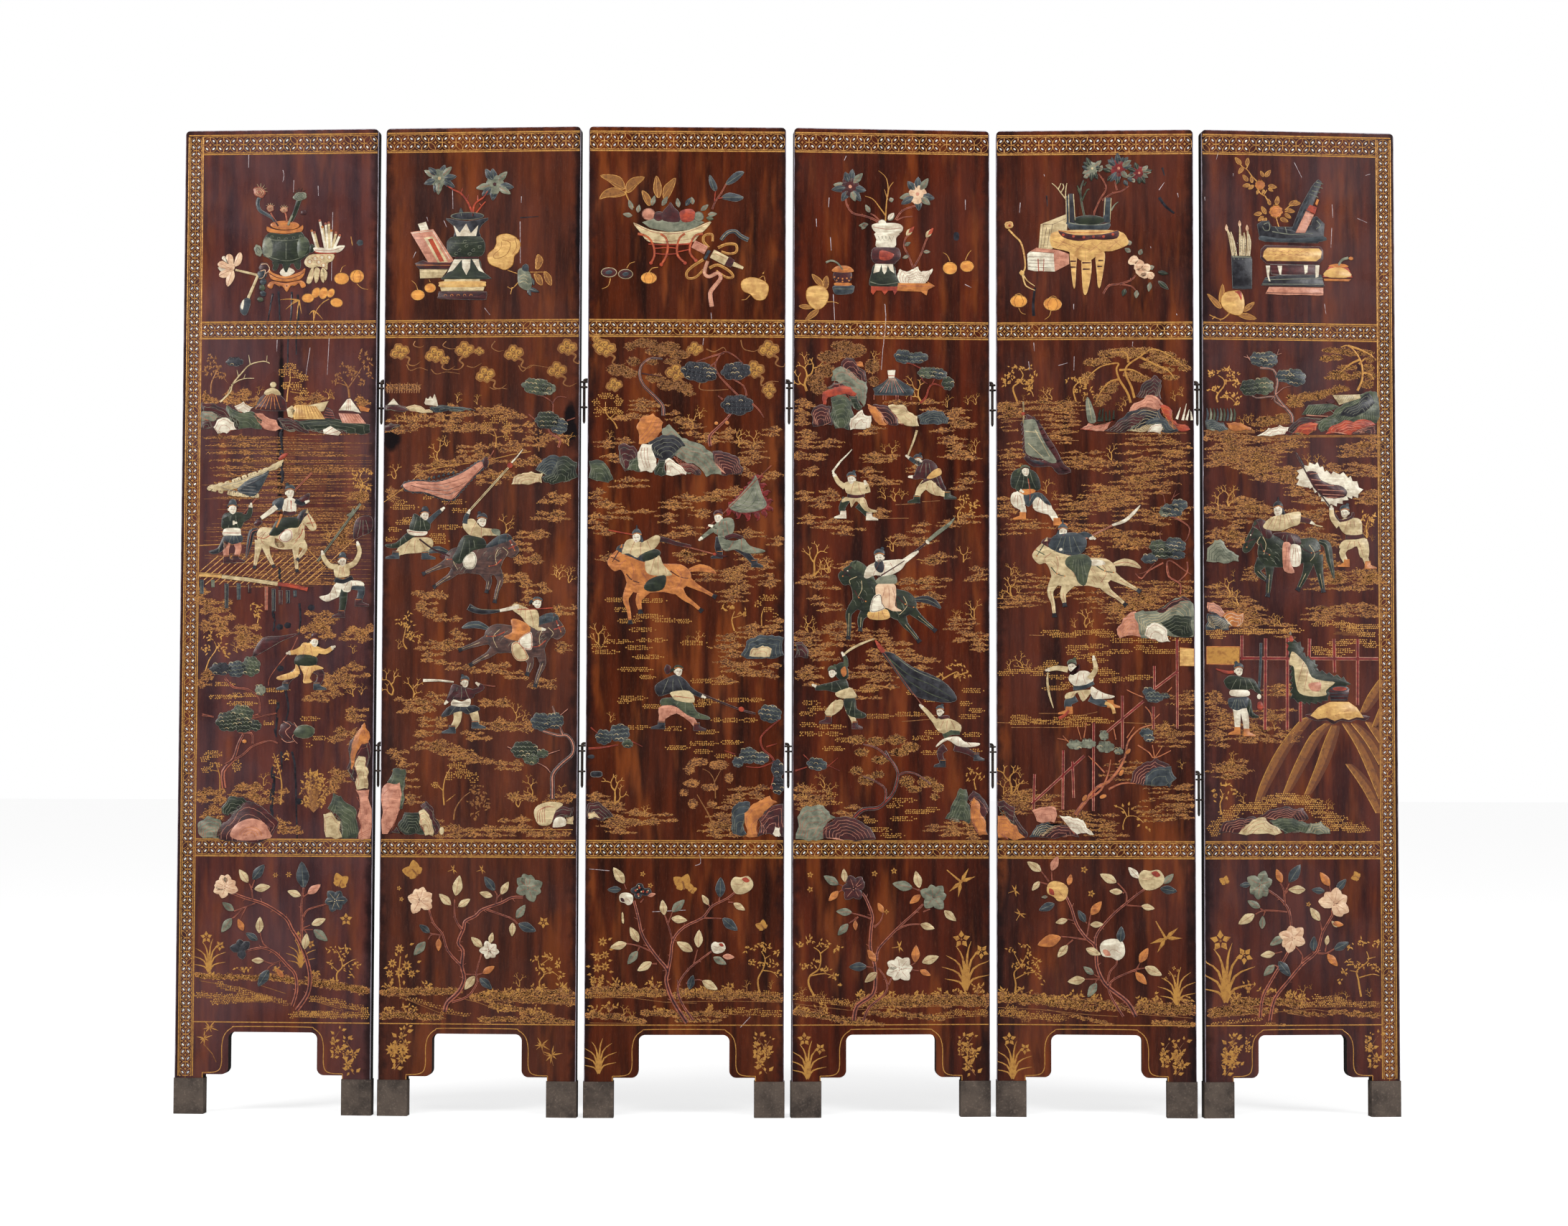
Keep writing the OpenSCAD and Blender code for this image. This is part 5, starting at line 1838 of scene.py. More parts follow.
@dataclass
class Treasures(Troupe):
    """Vases, books, fruit and flowers of the upper pictures."""

    def fungus(
        self, tint: Tint, x: float, z: float, rx: float, rz: float, turn: float = 0, line: Tint = Tint.BONE
    ) -> None:
        """Cuts the head of a sacred fungus with its rings and whiskers."""
        self.cut(tint, scallop(x, z, rx, rz, 5, turn), 1.7)
        for share in (0.7, 0.38):
            ring = scallop(x, z, rx * share, rz * share, 5, turn)
            self.score(ring + ring[:1], 0.9, line, 1.72)
        for k in range(5):
            way = turn + 50 + 20 * k
            base = place([(rx * 0.7, 0)], x, z, way)[0]
            self.stroke(
                line, [base, place([(rz * 0.75, 0)], *base, way + (k - 2) * 14)[0]], 1.3, 0.5, 0.3, 0.5
            )

    def fruit(self, tint: Tint, x: float, z: float, r: float, squash: float = 0.9, turn: float = 0) -> None:
        """Cuts a fruit with its edge line."""
        self.cut(tint, ellipse(x, z, r, r * squash, turn, 16), 1.5)
        edge = ellipse(x, z, r * 0.93, r * squash * 0.92, turn, 16)
        self.score(edge + edge[:1], 0.7, over=1.52)

    def gilt_fruit(
        self, x: float, z: float, r: float, squash: float = 0.9, turn: float = 0, lobed: bool = False
    ) -> None:
        """Paints a gilt fruit in outline and wash."""
        self.fleck(Tint.AMBER, ellipse(x, z, r, r * squash, turn, 16), 0.02, 0.5)
        edge = ellipse(x, z, r, r * squash, turn, 16)
        self.stroke(Tint.GOLD, edge + edge[:1], 1.3, high=0.3)
        if lobed:
            for k in (-0.45, 0.45):
                rib = [(r * k * 0.6, r * squash * 0.9), (r * k * 1.3, 0), (r * k * 0.8, -r * squash * 0.9)]
                self.stroke(Tint.DULL, place(rib, x, z, turn), 0.8, 0.6, 0.35, 0.3, 3)

    def painted(self, points: Line) -> None:
        """Paints a gilt leaf or petal with its edge and vein."""
        outline = spline(points, 3, closed=True)
        self.fleck(Tint.DULL, outline, 0.02, 0.25)
        self.stroke(Tint.GOLD, outline + outline[:1], 1.2)
        far = len(points) // 2
        self.stroke(Tint.GOLD, [points[0], points[far]], 0.9, 0.4, 0.25, 0.15)

    def swirl(self, tint: Tint, points: Line, w0: float, w1: float, rise: float = 1.3) -> None:
        """Cuts a ribbon's loop along points."""
        self.limb(tint, points, [w0, w1], rise)
        self.score(points, 0.8, Tint.BONE if tint is not Tint.BONE else Tint.BARK, rise + OVER, steps=3)

    def crack(self, points: Line, width: float = 1.0, tint: Tint = Tint.SCRATCH) -> None:
        """Marks a crack or chip that shows pale, or a dark run."""
        rng = self.rng
        line = [(x + rng.uniform(-0.5, 0.5), z) for x, z in spline(points, 5)]
        self.stroke(tint, line, width, width * 0.5, high=0.08)

    def posy(
        self, leafy: Tint, petal: Tint, x: float, z: float, reach: float, heart: Tint, count: int = 8
    ) -> None:
        """Cuts an open flower among broad leaves that stand out all round it."""
        for k in range(count):
            turn = 360 * k / count + 14 * math.sin(2.4 * k + x)
            long = reach * (0.74 + 0.1 * math.sin(1.7 * k + z))
            spot = place([(reach * 0.26, 0)], x, z, turn)[0]
            self.leaf(
                Tint.SAGE if k % 3 == 1 else leafy, *spot, long, reach * 0.4, turn, 1.3 + 0.08 * (k % 2)
            )
        self.bloom(petal, x, z, reach * 0.56, 7, 10, heart)


@dataclass
class Camellia(Treasures):
    """The bushes of the lowest fields: thorned stems, veined leaves, petals."""

    def foliage(self, tint: Tint, *leaves: tuple[Point, Point]) -> None:
        """Cuts leaves, each from the joint on its twig to its tip."""
        for (x0, z0), (x1, z1) in leaves:
            long = math.hypot(x1 - x0, z1 - z0)
            self.leaf(tint, x0, z0, long, long * 0.5, math.degrees(math.atan2(z1 - z0, x1 - x0)), 1.6)

    def stems(self, *runs: tuple[float, Line]) -> None:
        """Cuts stems of a given width, tapering and thorned where stout."""
        for width, run in runs:
            self.branch(run, width, width * 0.55, width > 3.4)

    def petals(self, tint: Tint, x: float, z: float, r: float, turns: tuple[float, ...], heart: Tint) -> None:
        """Cuts an open flower from single petals laid round its heart."""
        for k, turn in enumerate(turns):
            long = r * (1.05 - 0.12 * (k % 2))
            tip = place(
                [
                    (0, -r * 0.22), (long * 0.6, -r * 0.42), (long, -r * 0.1), (long, r * 0.12),
                    (long * 0.6, r * 0.4), (0, r * 0.22)
                ],
                x, z, turn
            )
            outline = spline(tip, 2, closed=True)
            self.cut(tint, outline, 1.5 + 0.08 * (k % 3))
            self.score(
                [place([(r * 0.25, 0)], x, z, turn)[0], place([(long * 0.8, 0)], x, z, turn)[0]], 0.7, heart,
                1.7
            )
        for k in range(3):
            self.dot(heart, *place([(r * 0.12, 0)], x, z, 120 * k)[0], 1.1, 1.72)

    def bud(self, tint: Tint, x: float, z: float, rx: float, turn: float, tip: Tint = Tint.CORAL) -> None:
        """Cuts a fat bud with its folded shoulder and stained tip."""
        body = place(
            [
                (-rx, 0), (-rx * 0.7, -rx * 0.7), (0, -rx * 0.86), (rx * 0.8, -rx * 0.56), (rx * 1.05, 0),
                (rx * 0.7, rx * 0.66), (0, rx * 0.66), (-rx * 0.5, rx * 0.8), (-rx * 0.9, rx * 0.5)
            ],
            x, z, turn
        )
        self.smooth(tint, body, 1.6)
        self.smooth(
            tip,
            place(
                [(rx * 0.05, rx * 0.5), (rx * 0.5, rx * 0.62), (rx * 0.8, rx * 0.2), (rx * 0.4, rx * 0.1)], x,
                z, turn
            ),
            1.72
        )
        self.score(
            place([(-rx * 0.7, rx * 0.2), (0, 0), (rx * 0.3, rx * 0.4)], x, z, turn), 0.7, Tint.BARK, 1.62,
            steps=3
        )


def undergrowth(gilt: Gilding, banks: list[tuple[Mark, Point, Point, float]]) -> None:
    """Paints a meadow's banks of moss: each from one spot to another, of a thickness."""
    for mark, (x0, z0), (x1, z1), thick in banks:
        if mark is Mark.DOT:
            gilt.stroke(Tint.DULL, [(x0, z0 - thick * 0.7), (x1, z1 - thick * 0.7)], 0.9, 0.4, high=0.1)
        thick *= BANK_SCALE
        count = max(2, round(abs(x1 - x0) / (thick * 0.9)))
        for k in range(count + 1):
            share = k / count
            spot = x0 + (x1 - x0) * share, z0 + (z1 - z0) * share + gilt.rng.uniform(-0.2, 0.3) * thick
            gilt.crown(
                mark, *spot, thick * 0.95, thick * gilt.rng.uniform(0.42, 0.66),
                Tint.DULL if k % 2 else Tint.GOLD
            )


# ---------------------------------------------------------------- leaf 1


# The censer with fungus, incense cup, lotus and fruit.


def censer_1(plane: LeafPlane) -> None:
    """Cuts leaf 1's censer."""
    work = Treasures(plane, "censer_1", 11)
    work.limb(
        Tint.SLATE, [(178, 1648), (167, 1663), (155, 1671), (142, 1679), (138, 1693), (141, 1702)], [4, 7]
    )
    work.fungus(Tint.BARK, 141, 1713, 13, 10, -35)
    work.limb(Tint.BARK, [(178, 1648), (167, 1666), (163, 1674)], [3, 3])
    work.fungus(Tint.BARK, 162, 1682, 7.5, 7, 0)
    work.limb(Tint.BARK, [(194, 1655), (192, 1668), (190, 1674)], [3, 3])
    work.fungus(Tint.BARK, 188, 1679, 8, 6, 0)
    work.limb(Tint.JADE, [(196, 1649), (202, 1660), (209, 1674), (214, 1690), (217, 1699)], [6, 9])
    work.limb(Tint.SAGE, [(196, 1650), (199, 1658), (204, 1669)], [4, 4], 1.85)
    work.fungus(Tint.SAGE, 218, 1704, 14, 8.5, 10, Tint.JADE)
    work.cut(Tint.WINE, scallop(225, 1674, 6, 5, 4), 1.6)
    work.cut(Tint.APRICOT, ellipse(190, 1650, 27.5, 8.4, -2, 26), 1.5)
    rim = ellipse(190, 1651, 24, 5.4, -2, 22)
    work.score(rim + rim[:1], 1.0, Tint.BARK, 1.53)
    work.smooth(
        Tint.APRICOT,
        [
            (156, 1648), (157, 1639), (169, 1636), (190, 1634), (211, 1636), (223, 1639), (224, 1650),
            (213, 1643), (190, 1640), (168, 1643)
        ],
        1.8
    )
    work.smooth(
        Tint.JADE,
        [
            (163, 1636), (182, 1633), (200, 1633), (220, 1637), (228, 1627), (238, 1611), (235, 1595),
            (224, 1587), (213, 1580), (193, 1577), (173, 1580), (160, 1589), (150, 1594), (148, 1611),
            (152, 1627)
        ],
        1.7
    )
    work.smooth(
        Tint.SAGE, [(151, 1625), (163, 1627), (168, 1608), (163, 1589), (151, 1595), (148, 1610)], 1.85
    )
    work.smooth(
        Tint.MOSS, [(219, 1628), (232, 1625), (237, 1610), (228, 1592), (218, 1587), (213, 1608)], 1.85
    )
    for line in (
        [(154, 1628), (166, 1623), (190, 1621), (214, 1623), (229, 1628)],
        [(151, 1595), (166, 1589), (193, 1583), (216, 1587), (234, 1596)], [(168, 1619), (166, 1592)],
        [(193, 1617), (193, 1586)], [(214, 1619), (217, 1591)]
    ):
        work.score(line, 1.1, Tint.SAGE, 1.72, steps=3)
    for x0, z0 in ((166, 1628), (179, 1625), (193, 1624), (207, 1626), (220, 1629)):
        work.score(ellipse(x0, z0, 2.6, n=8), 0.7, Tint.SAGE, 1.72)
    for foot in (
        [(167, 1581), (179, 1580), (178, 1572), (174, 1565), (168, 1567), (169, 1575)],
        [(187, 1579), (201, 1579), (198, 1569), (194, 1561), (189, 1567)],
        [(208, 1580), (219, 1585), (221, 1575), (218, 1567), (212, 1569)]
    ):
        work.smooth(Tint.JADE, foot, 1.75)
    work.cut(Tint.SAGE, scallop(140, 1603, 7.6, 12, 6, 20), 1.7)
    work.score(ellipse(140, 1603, 3.4, 6, 20, 9), 1.1, Tint.JADE, 1.72)
    work.cut(Tint.JADE, scallop(241, 1606, 5.6, 8.5, 5, -10), 1.6)
    work.cut(Tint.IVORY, spline([(181, 1561), (193, 1572), (210, 1563), (193, 1553)], 3, closed=True), 1.35)
    work.smooth(
        Tint.APRICOT,
        [
            (160, 1569), (168, 1561), (193, 1554), (219, 1562), (229, 1569), (228, 1559), (219, 1548),
            (193, 1544), (168, 1548), (161, 1558)
        ],
        1.5
    )
    work.score(
        [(161, 1560), (176, 1552), (193, 1549), (213, 1553), (227, 1561)], 1.6, Tint.WINE, 1.52, steps=3
    )
    work.smooth(
        Tint.APRICOT,
        [
            (158, 1536), (167, 1545), (193, 1541), (222, 1546), (231, 1536), (223, 1532), (218, 1541),
            (210, 1536), (202, 1536), (195, 1525), (187, 1535), (179, 1536), (171, 1540), (166, 1531)
        ],
        1.6
    )
    work.score([(168, 1543), (193, 1539), (221, 1543)], 1.2, Tint.BARK, 1.62, steps=3)
    for spot in ((182, 1534), (195, 1536), (207, 1535)):
        work.dot(Tint.WINE, *spot, 1.6, 1.62)
    work.build("inlay_stone", plane.inlays)


def incense_cup_1(plane: LeafPlane) -> None:
    """Cuts leaf 1's incense cup."""
    work = Treasures(plane, "incense_cup_1", 12)
    for i, (x0, z0) in enumerate(
        (
            (241, 1639), (246, 1636), (256, 1658), (261, 1646), (267, 1652), (273, 1654), (278, 1639),
            (287, 1635), (294, 1630)
        )
    ):
        foot = (252, 1603) if i < 2 else (263, 1603)
        work.limb(
            Tint.BONE if i % 2 else Tint.IVORY, [(foot[0] + i * 2.4, foot[1]), (x0, z0)], [5, 4.2],
            1.3 + 0.1 * (i % 3)
        )
        work.cut(Tint.APRICOT if i % 3 == 0 else Tint.BARK, ellipse(x0, z0, 2.6, n=8), 1.75)
    work.smooth(
        Tint.IVORY,
        [(245, 1608), (275, 1606), (294, 1611), (304, 1610), (294, 1599), (275, 1597), (250, 1599)], 1.7
    )
    work.score([(248, 1603), (275, 1601), (301, 1608)], 1.2, Tint.BARK, 1.72, steps=3)
    work.smooth(Tint.CORAL, [(250, 1603), (286, 1602), (284, 1595), (252, 1596)], 1.5)
    work.smooth(
        Tint.BONE,
        [
            (228, 1583), (238, 1594), (259, 1595), (283, 1595), (281, 1583), (272, 1578), (271, 1566),
            (263, 1570), (253, 1572), (241, 1569), (230, 1574)
        ],
        1.5
    )
    for x0, z0 in ((238, 1581), (248, 1587), (261, 1589), (275, 1589), (255, 1580), (264, 1574)):
        ring = ellipse(x0, z0, 4.6, 4, n=10)
        work.score(ring + ring[:1], 1.0, Tint.BARK, 1.52)
        work.cut(Tint.IVORY, ellipse(x0, z0, 2.0, 3, 20, 8), 1.8)
    for petal in (
        [(244, 1572), (236, 1558), (232, 1542), (240, 1541), (246, 1558)],
        [(249, 1570), (246, 1558), (249, 1541), (255, 1548), (257, 1566)],
        [(260, 1567), (258, 1552), (264, 1541), (267, 1555), (266, 1566)],
        [(261, 1570), (271, 1561), (268, 1545), (263, 1558)]
    ):
        work.smooth(Tint.BONE, petal, 1.7)
    work.score([(246, 1567), (241, 1545)], 0.8, Tint.BARK, 1.72)
    work.score([(258, 1566), (255, 1548)], 0.8, Tint.BARK, 1.72)
    work.build("inlay_stone", plane.inlays)


def lotus_1(plane: LeafPlane) -> None:
    """Cuts leaf 1's lotus."""
    work = Treasures(plane, "lotus_1", 13)
    work.limb(Tint.BONE, [(97, 1567), (114, 1563), (139, 1557)], [3.6, 4.4], 1.2)
    work.limb(Tint.BONE, [(140, 1556), (134, 1542), (122, 1514)], [4.5, 5.4], 1.4)
    for tint, petal in (
        (Tint.BLUSH, [(95, 1574), (98, 1592), (106, 1600), (110, 1592), (106, 1578)]),
        (Tint.IVORY, [(73, 1586), (72, 1592), (78, 1592), (82, 1580), (89, 1575)]),
        (Tint.BLUSH, [(84, 1577), (79, 1592), (85, 1597), (92, 1592), (93, 1575)]),
        (Tint.BLUSH, [(65, 1581), (73, 1584), (87, 1575), (89, 1569), (73, 1570), (64, 1575)]),
        (Tint.IVORY, [(64, 1572), (76, 1572), (89, 1567), (72, 1563)]),
        (Tint.BLUSH, [(92, 1569), (72, 1566), (66, 1556), (76, 1552), (87, 1558)]),
        (Tint.BLUSH, [(92, 1567), (80, 1552), (82, 1536), (90, 1542), (96, 1555)]),
        (Tint.BLUSH, [(76, 1575), (90, 1581), (96, 1575), (93, 1566), (81, 1564)]),
    ):
        work.smooth(tint, petal, 1.5 + 0.05 * len(work.cuts) % 0.3)
        work.score([petal[len(petal) // 2], petal[0]], 0.6, Tint.BARK, 1.85)
    work.cut(Tint.WINE, scallop(152, 1570, 10, 11, 6, 30), 1.5)
    work.cut(Tint.SLATE, scallop(148, 1558, 9, 9, 6, 10), 1.6)
    for ring in (
        [(146, 1577), (157, 1577), (162, 1567), (154, 1559)],
        [(145, 1564), (154, 1566), (151, 1553), (143, 1550)]
    ):
        work.score(ring, 1.4, Tint.BLUSH, 1.62, steps=3)
    for k, spot in enumerate(((150, 1544), (148, 1533), (150, 1522), (145, 1511))):
        work.cut(
            (Tint.SLATE, Tint.MOSS)[k % 2], scallop(*spot, 6.6 - k * 0.6, 6.4, 5, 25 * k), 1.5 + 0.1 * (k % 2)
        )
    work.smooth(
        Tint.SLATE,
        [(111, 1508), (119, 1514), (126, 1511), (125, 1498), (118, 1482), (109, 1486), (107, 1498)], 1.7
    )
    work.smooth(Tint.IVORY, [(110, 1506), (115, 1511), (113, 1493), (108, 1495)], 1.85)
    work.build("inlay_stone", plane.inlays)


def gilt_fruit_1(plane: LeafPlane) -> None:
    """Cuts leaf 1's gilt fruit."""
    work = Treasures(plane, "gilt_fruit_1", 14)
    work.gilt_fruit(298, 1549, 13.4, 0.78)
    work.gilt_fruit(327, 1553, 12.6, 0.92, lobed=True)
    work.stroke(Tint.GOLD, [(296, 1561), (299, 1570), (306, 1574)], 1.4, 0.6, steps=3)
    work.stroke(Tint.GOLD, [(327, 1539), (336, 1531), (348, 1528)], 1.2, 0.6, steps=3)
    for spot, r, turn in (
        ((235, 1513), 11, 0), ((250, 1523), 9.6, 60), ((264, 1522), 10.6, 80), ((278, 1522), 8.4, 60),
        ((289, 1504), 11, -10)
    ):
        work.gilt_fruit(*spot, r, 0.72, turn)
    work.stroke(Tint.GOLD, [(275, 1511), (263, 1504), (251, 1489), (246, 1470)], 1.5, 1, steps=4)
    for tip in (
        (182, 1510), (193, 1492), (214, 1473), (223, 1484), (238, 1482), (263, 1473), (246, 1465), (204, 1504)
    ):
        root = (218, 1509) if tip[0] < 238 else (246, 1489)
        work.stroke(
            Tint.GOLD, [root, ((root[0] + tip[0]) / 2, (root[1] + tip[1]) / 2 + 2), tip], 3.2, 0.5, steps=3
        )
    work.fleck(Tint.SLATE, scallop(332, 1616, 6.5, 6, 5), 0.02, 0.3)
    work.stroke(Tint.GOLD, [(315, 1628), (318, 1611)], 1.6, 1)
    for run in (
        [(168, 1522), (164, 1498), (159, 1468)], [(179, 1526), (181, 1501), (182, 1468)],
        [(204, 1525), (204, 1489), (199, 1442), (198, 1394), (198, 1379)],
        [(216, 1520), (217, 1482), (214, 1442), (214, 1407)]
    ):
        work.crack(run, 4.4, Tint.SOOT)
    for run in (
        [(185, 1754), (187, 1743), (185, 1732)], [(206, 1735), (205, 1712)], [(167, 1520), (161, 1482)],
        [(204, 1520), (202, 1467)], [(280, 1674), (279, 1545)], [(276, 1438), (273, 1369)],
        [(120, 1785), (120, 1759)], [(252, 1724), (253, 1705)], [(178, 1435), (177, 1413)],
        [(240, 1420), (233, 1369)]
    ):
        work.crack(run, 1.1)
    work.build("inlay_stone")


# The rocky shore with tents, and the gilt trees behind it.


def far_trees_1(plane: LeafPlane) -> None:
    """Gilds leaf 1's far trees."""
    gilt = Gilding(plane, "far_trees_1", 20)
    gilt.tree(
        Mark.LEAF, [[(53, 1335), (54, 1354), (59, 1367), (65, 1379)], [(59, 1365), (74, 1367), (85, 1354)]],
        [
            ((55, 1401), 13, 7), ((45, 1382), 8, 8), ((62, 1384), 14, 7), ((73, 1370), 10, 7),
            ((46, 1376), 9, 5)
        ],
        3, Tint.DULL
    )
    gilt.tree(
        Mark.DOT,
        [
            [(197, 1319), (199, 1341), (203, 1360), (202, 1379)], [(200, 1345), (189, 1354)],
            [(203, 1338), (224, 1335), (236, 1341)]
        ],
        [
            ((202, 1385), 13, 7), ((188, 1373), 10, 8), ((211, 1371), 15, 8), ((227, 1363), 11, 8),
            ((196, 1349), 10, 7), ((214, 1348), 12, 8), ((230, 1335), 9, 10)
        ],
        2.5
    )
    gilt.tree(
        Mark.LEAF,
        [
            [(315, 1326), (312, 1345), (304, 1357)], [(313, 1345), (326, 1363), (338, 1382)],
            [(311, 1348), (292, 1354)]
        ],
        [
            ((313, 1382), 16, 8), ((292, 1363), 10, 10), ((320, 1370), 14, 7), ((337, 1406), 12, 6),
            ((349, 1390), 8, 12), ((335, 1357), 9, 8), ((354, 1370), 5, 10)
        ],
        4, Tint.DULL
    )
    gilt.shrub(275, 1323, 22)
    gilt.shrub(286, 1323, 16, 0.4)
    gilt.shrub(121, 1326, 20)
    gilt.shrub(143, 1332, 18, -0.3)
    for spot, breadth in (
        ((90, 1330), 60), ((115, 1323), 50), ((239, 1323), 60), ((339, 1323), 30), ((46, 1326), 20)
    ):
        gilt.drift(*spot, breadth, 2)
    gilt.build("front_lacquer")


def shore_1(plane: LeafPlane) -> None:
    """Cuts leaf 1's shore."""
    work = Treasures(plane, "shore_1", 21)
    work.limb(
        Tint.BONE, [(71, 1319), (90, 1338), (94, 1352), (111, 1373), (127, 1389), (152, 1395), (164, 1391)],
        [3.2, 1.6], 1.1
    )
    work.limb(Tint.BONE, [(92, 1351), (107, 1360), (121, 1363), (135, 1363)], [2, 1.2], 1.1)
    for a, b in (
        ((90, 1348), (85, 1335)), ((127, 1389), (124, 1407)), ((158, 1395), (159, 1406)),
        ((105, 1367), (102, 1379)), ((115, 1362), (118, 1371))
    ):
        work.stroke(Tint.BONE, [a, b], 1.8, 0.8, 0.2, 0.6)
    work.pad(Tint.INK, 98, 1394, 17, 8)
    work.rock(
        Tint.MOSS, [(84, 1313), (103, 1302), (131, 1301), (152, 1285), (150, 1268), (106, 1268), (90, 1285)],
        3
    )
    work.rock(
        Tint.WINE,
        [
            (36, 1318), (56, 1316), (81, 1305), (103, 1288), (108, 1269), (100, 1268), (90, 1288), (68, 1297),
            (50, 1302), (36, 1304)
        ],
        4, 2
    )
    work.rock(Tint.SAGE, [(36, 1301), (56, 1301), (68, 1291), (59, 1283), (36, 1283)], 5, 2)
    work.rock(Tint.WINE, [(36, 1282), (51, 1286), (59, 1268), (36, 1268)], 6, 2)
    work.rock(
        Tint.IVORY, [(59, 1272), (67, 1286), (82, 1290), (98, 1281), (103, 1268), (84, 1260), (67, 1260)], 7,
        2, 1.8
    )
    work.rock(Tint.IVORY, [(98, 1311), (115, 1320), (135, 1309), (126, 1300), (106, 1301)], 8, 2, 1.7)
    work.rock(Tint.ROSE, [(131, 1298), (152, 1297), (177, 1285), (190, 1268), (156, 1268), (140, 1286)], 9, 2)
    work.rock(
        Tint.WINE, [(180, 1287), (205, 1286), (230, 1272), (240, 1261), (215, 1266), (191, 1268)], 10, 3
    )
    work.rock(
        Tint.JADE,
        [
            (211, 1285), (264, 1285), (289, 1286), (354, 1275), (355, 1261), (308, 1262), (292, 1268),
            (264, 1266), (233, 1266), (221, 1277)
        ],
        11, 3
    )
    work.smooth(
        Tint.WINE,
        [
            (141, 1313), (149, 1329), (165, 1335), (180, 1334), (193, 1323), (196, 1310), (193, 1302),
            (141, 1305)
        ],
        1.5
    )
    for k in range(6):
        work.score([(162 + k * 2.6, 1334), (138 + k * 9.4, 1305)], 1.5, Tint.APRICOT, 1.52)
    work.smooth(
        Tint.BONE,
        [
            (154, 1334), (158, 1341), (169, 1345), (180, 1341), (186, 1332), (177, 1331), (169, 1334),
            (161, 1331)
        ],
        1.7
    )
    work.fruit(Tint.BONE, 171, 1351, 6.4)
    for tint, tent, lines in (
        (Tint.HONEY, [(205, 1304), (214, 1313), (253, 1311), (270, 1286), (211, 1286)], 9),
        (Tint.BONE, [(197, 1305), (207, 1312), (214, 1302), (208, 1288), (200, 1291)], 0),
        (Tint.BONE, [(230, 1310), (276, 1320), (267, 1301), (260, 1300), (252, 1310)], 0),
        (Tint.WINE, [(266, 1288), (273, 1308), (283, 1302), (289, 1285)], 4),
        (Tint.ROSE, [(295, 1297), (333, 1295), (347, 1277), (302, 1278)], 8),
        (Tint.APRICOT, [(331, 1312), (354, 1305), (351, 1299), (336, 1301)], 0),
        (Tint.IVORY, [(295, 1302), (311, 1323), (317, 1324), (337, 1297), (320, 1301), (308, 1302)], 3),
        (Tint.IVORY, [(266, 1266), (280, 1274), (300, 1261), (295, 1255), (280, 1257), (267, 1259)], 2),
    ):
        work.cut(tint, tent, 1.6)
        for k in range(lines):
            t = (k + 0.5) / lines
            a, b = tent[-1], tent[-2]
            foot = (a[0] + (b[0] - a[0]) * t, a[1] + (b[1] - a[1]) * t + 1)
            c, d = (tent[1], tent[2]) if len(tent) > 4 else (tent[0], tent[1])
            work.score(
                [(c[0] + (d[0] - c[0]) * t, c[1] + (d[1] - c[1]) * t - 1), foot], 1.1,
                Tint.DULL if tint is Tint.HONEY else Tint.BARK, 1.62
            )
    work.build("inlay_stone", plane.inlays)


def water_1(plane: LeafPlane) -> None:
    """Gilds leaf 1's water."""
    gilt = Gilding(plane, "water_1", 22)
    gilt.water(36, 358, 972, 1258, 120)
    for k in range(9):
        gilt.moss(40 + 4 * k, 1252 - 14 * k, 150 + 22 * (k % 4), 1250 - 14 * k, 8)
    gilt.tree(
        Mark.LEAF, [[(336, 1147), (341, 1166), (336, 1178), (344, 1191)], [(341, 1166), (352, 1172)]],
        [
            ((344, 1189), 12, 5), ((325, 1181), 8, 8), ((353, 1183), 6, 6), ((333, 1164), 9, 8),
            ((350, 1159), 9, 8)
        ],
        3
    )
    gilt.shrub(281, 1056, 34)
    for spot, breadth in (((303, 1065), 60), ((315, 1096), 50), ((337, 1137), 40), ((333, 1153), 30)):
        gilt.drift(*spot, breadth, 3)
    for k in range(19):
        x0 = 8 + k * 13
        near, far = max(37, x0), min(x0 + 62, 268)
        gilt.stroke(Tint.GOLD, [(near, 978 + (near - x0) * 0.85), (far, 978 + (far - x0) * 0.85)], 1.5)
    gilt.soot(187, 1290, 1180)
    gilt.soot(187, 1010, 975)
    gilt.stroke(Tint.GOLD, [(34, 1051), (141, 1056), (234, 1049), (270, 1012)], 1.6)
    gilt.stroke(Tint.GOLD, [(235, 982), (270, 1009), (301, 1038), (328, 1062), (360, 1078)], 1.4)
    gilt.build("front_lacquer")


# The bannerman, the rider and the spearman.


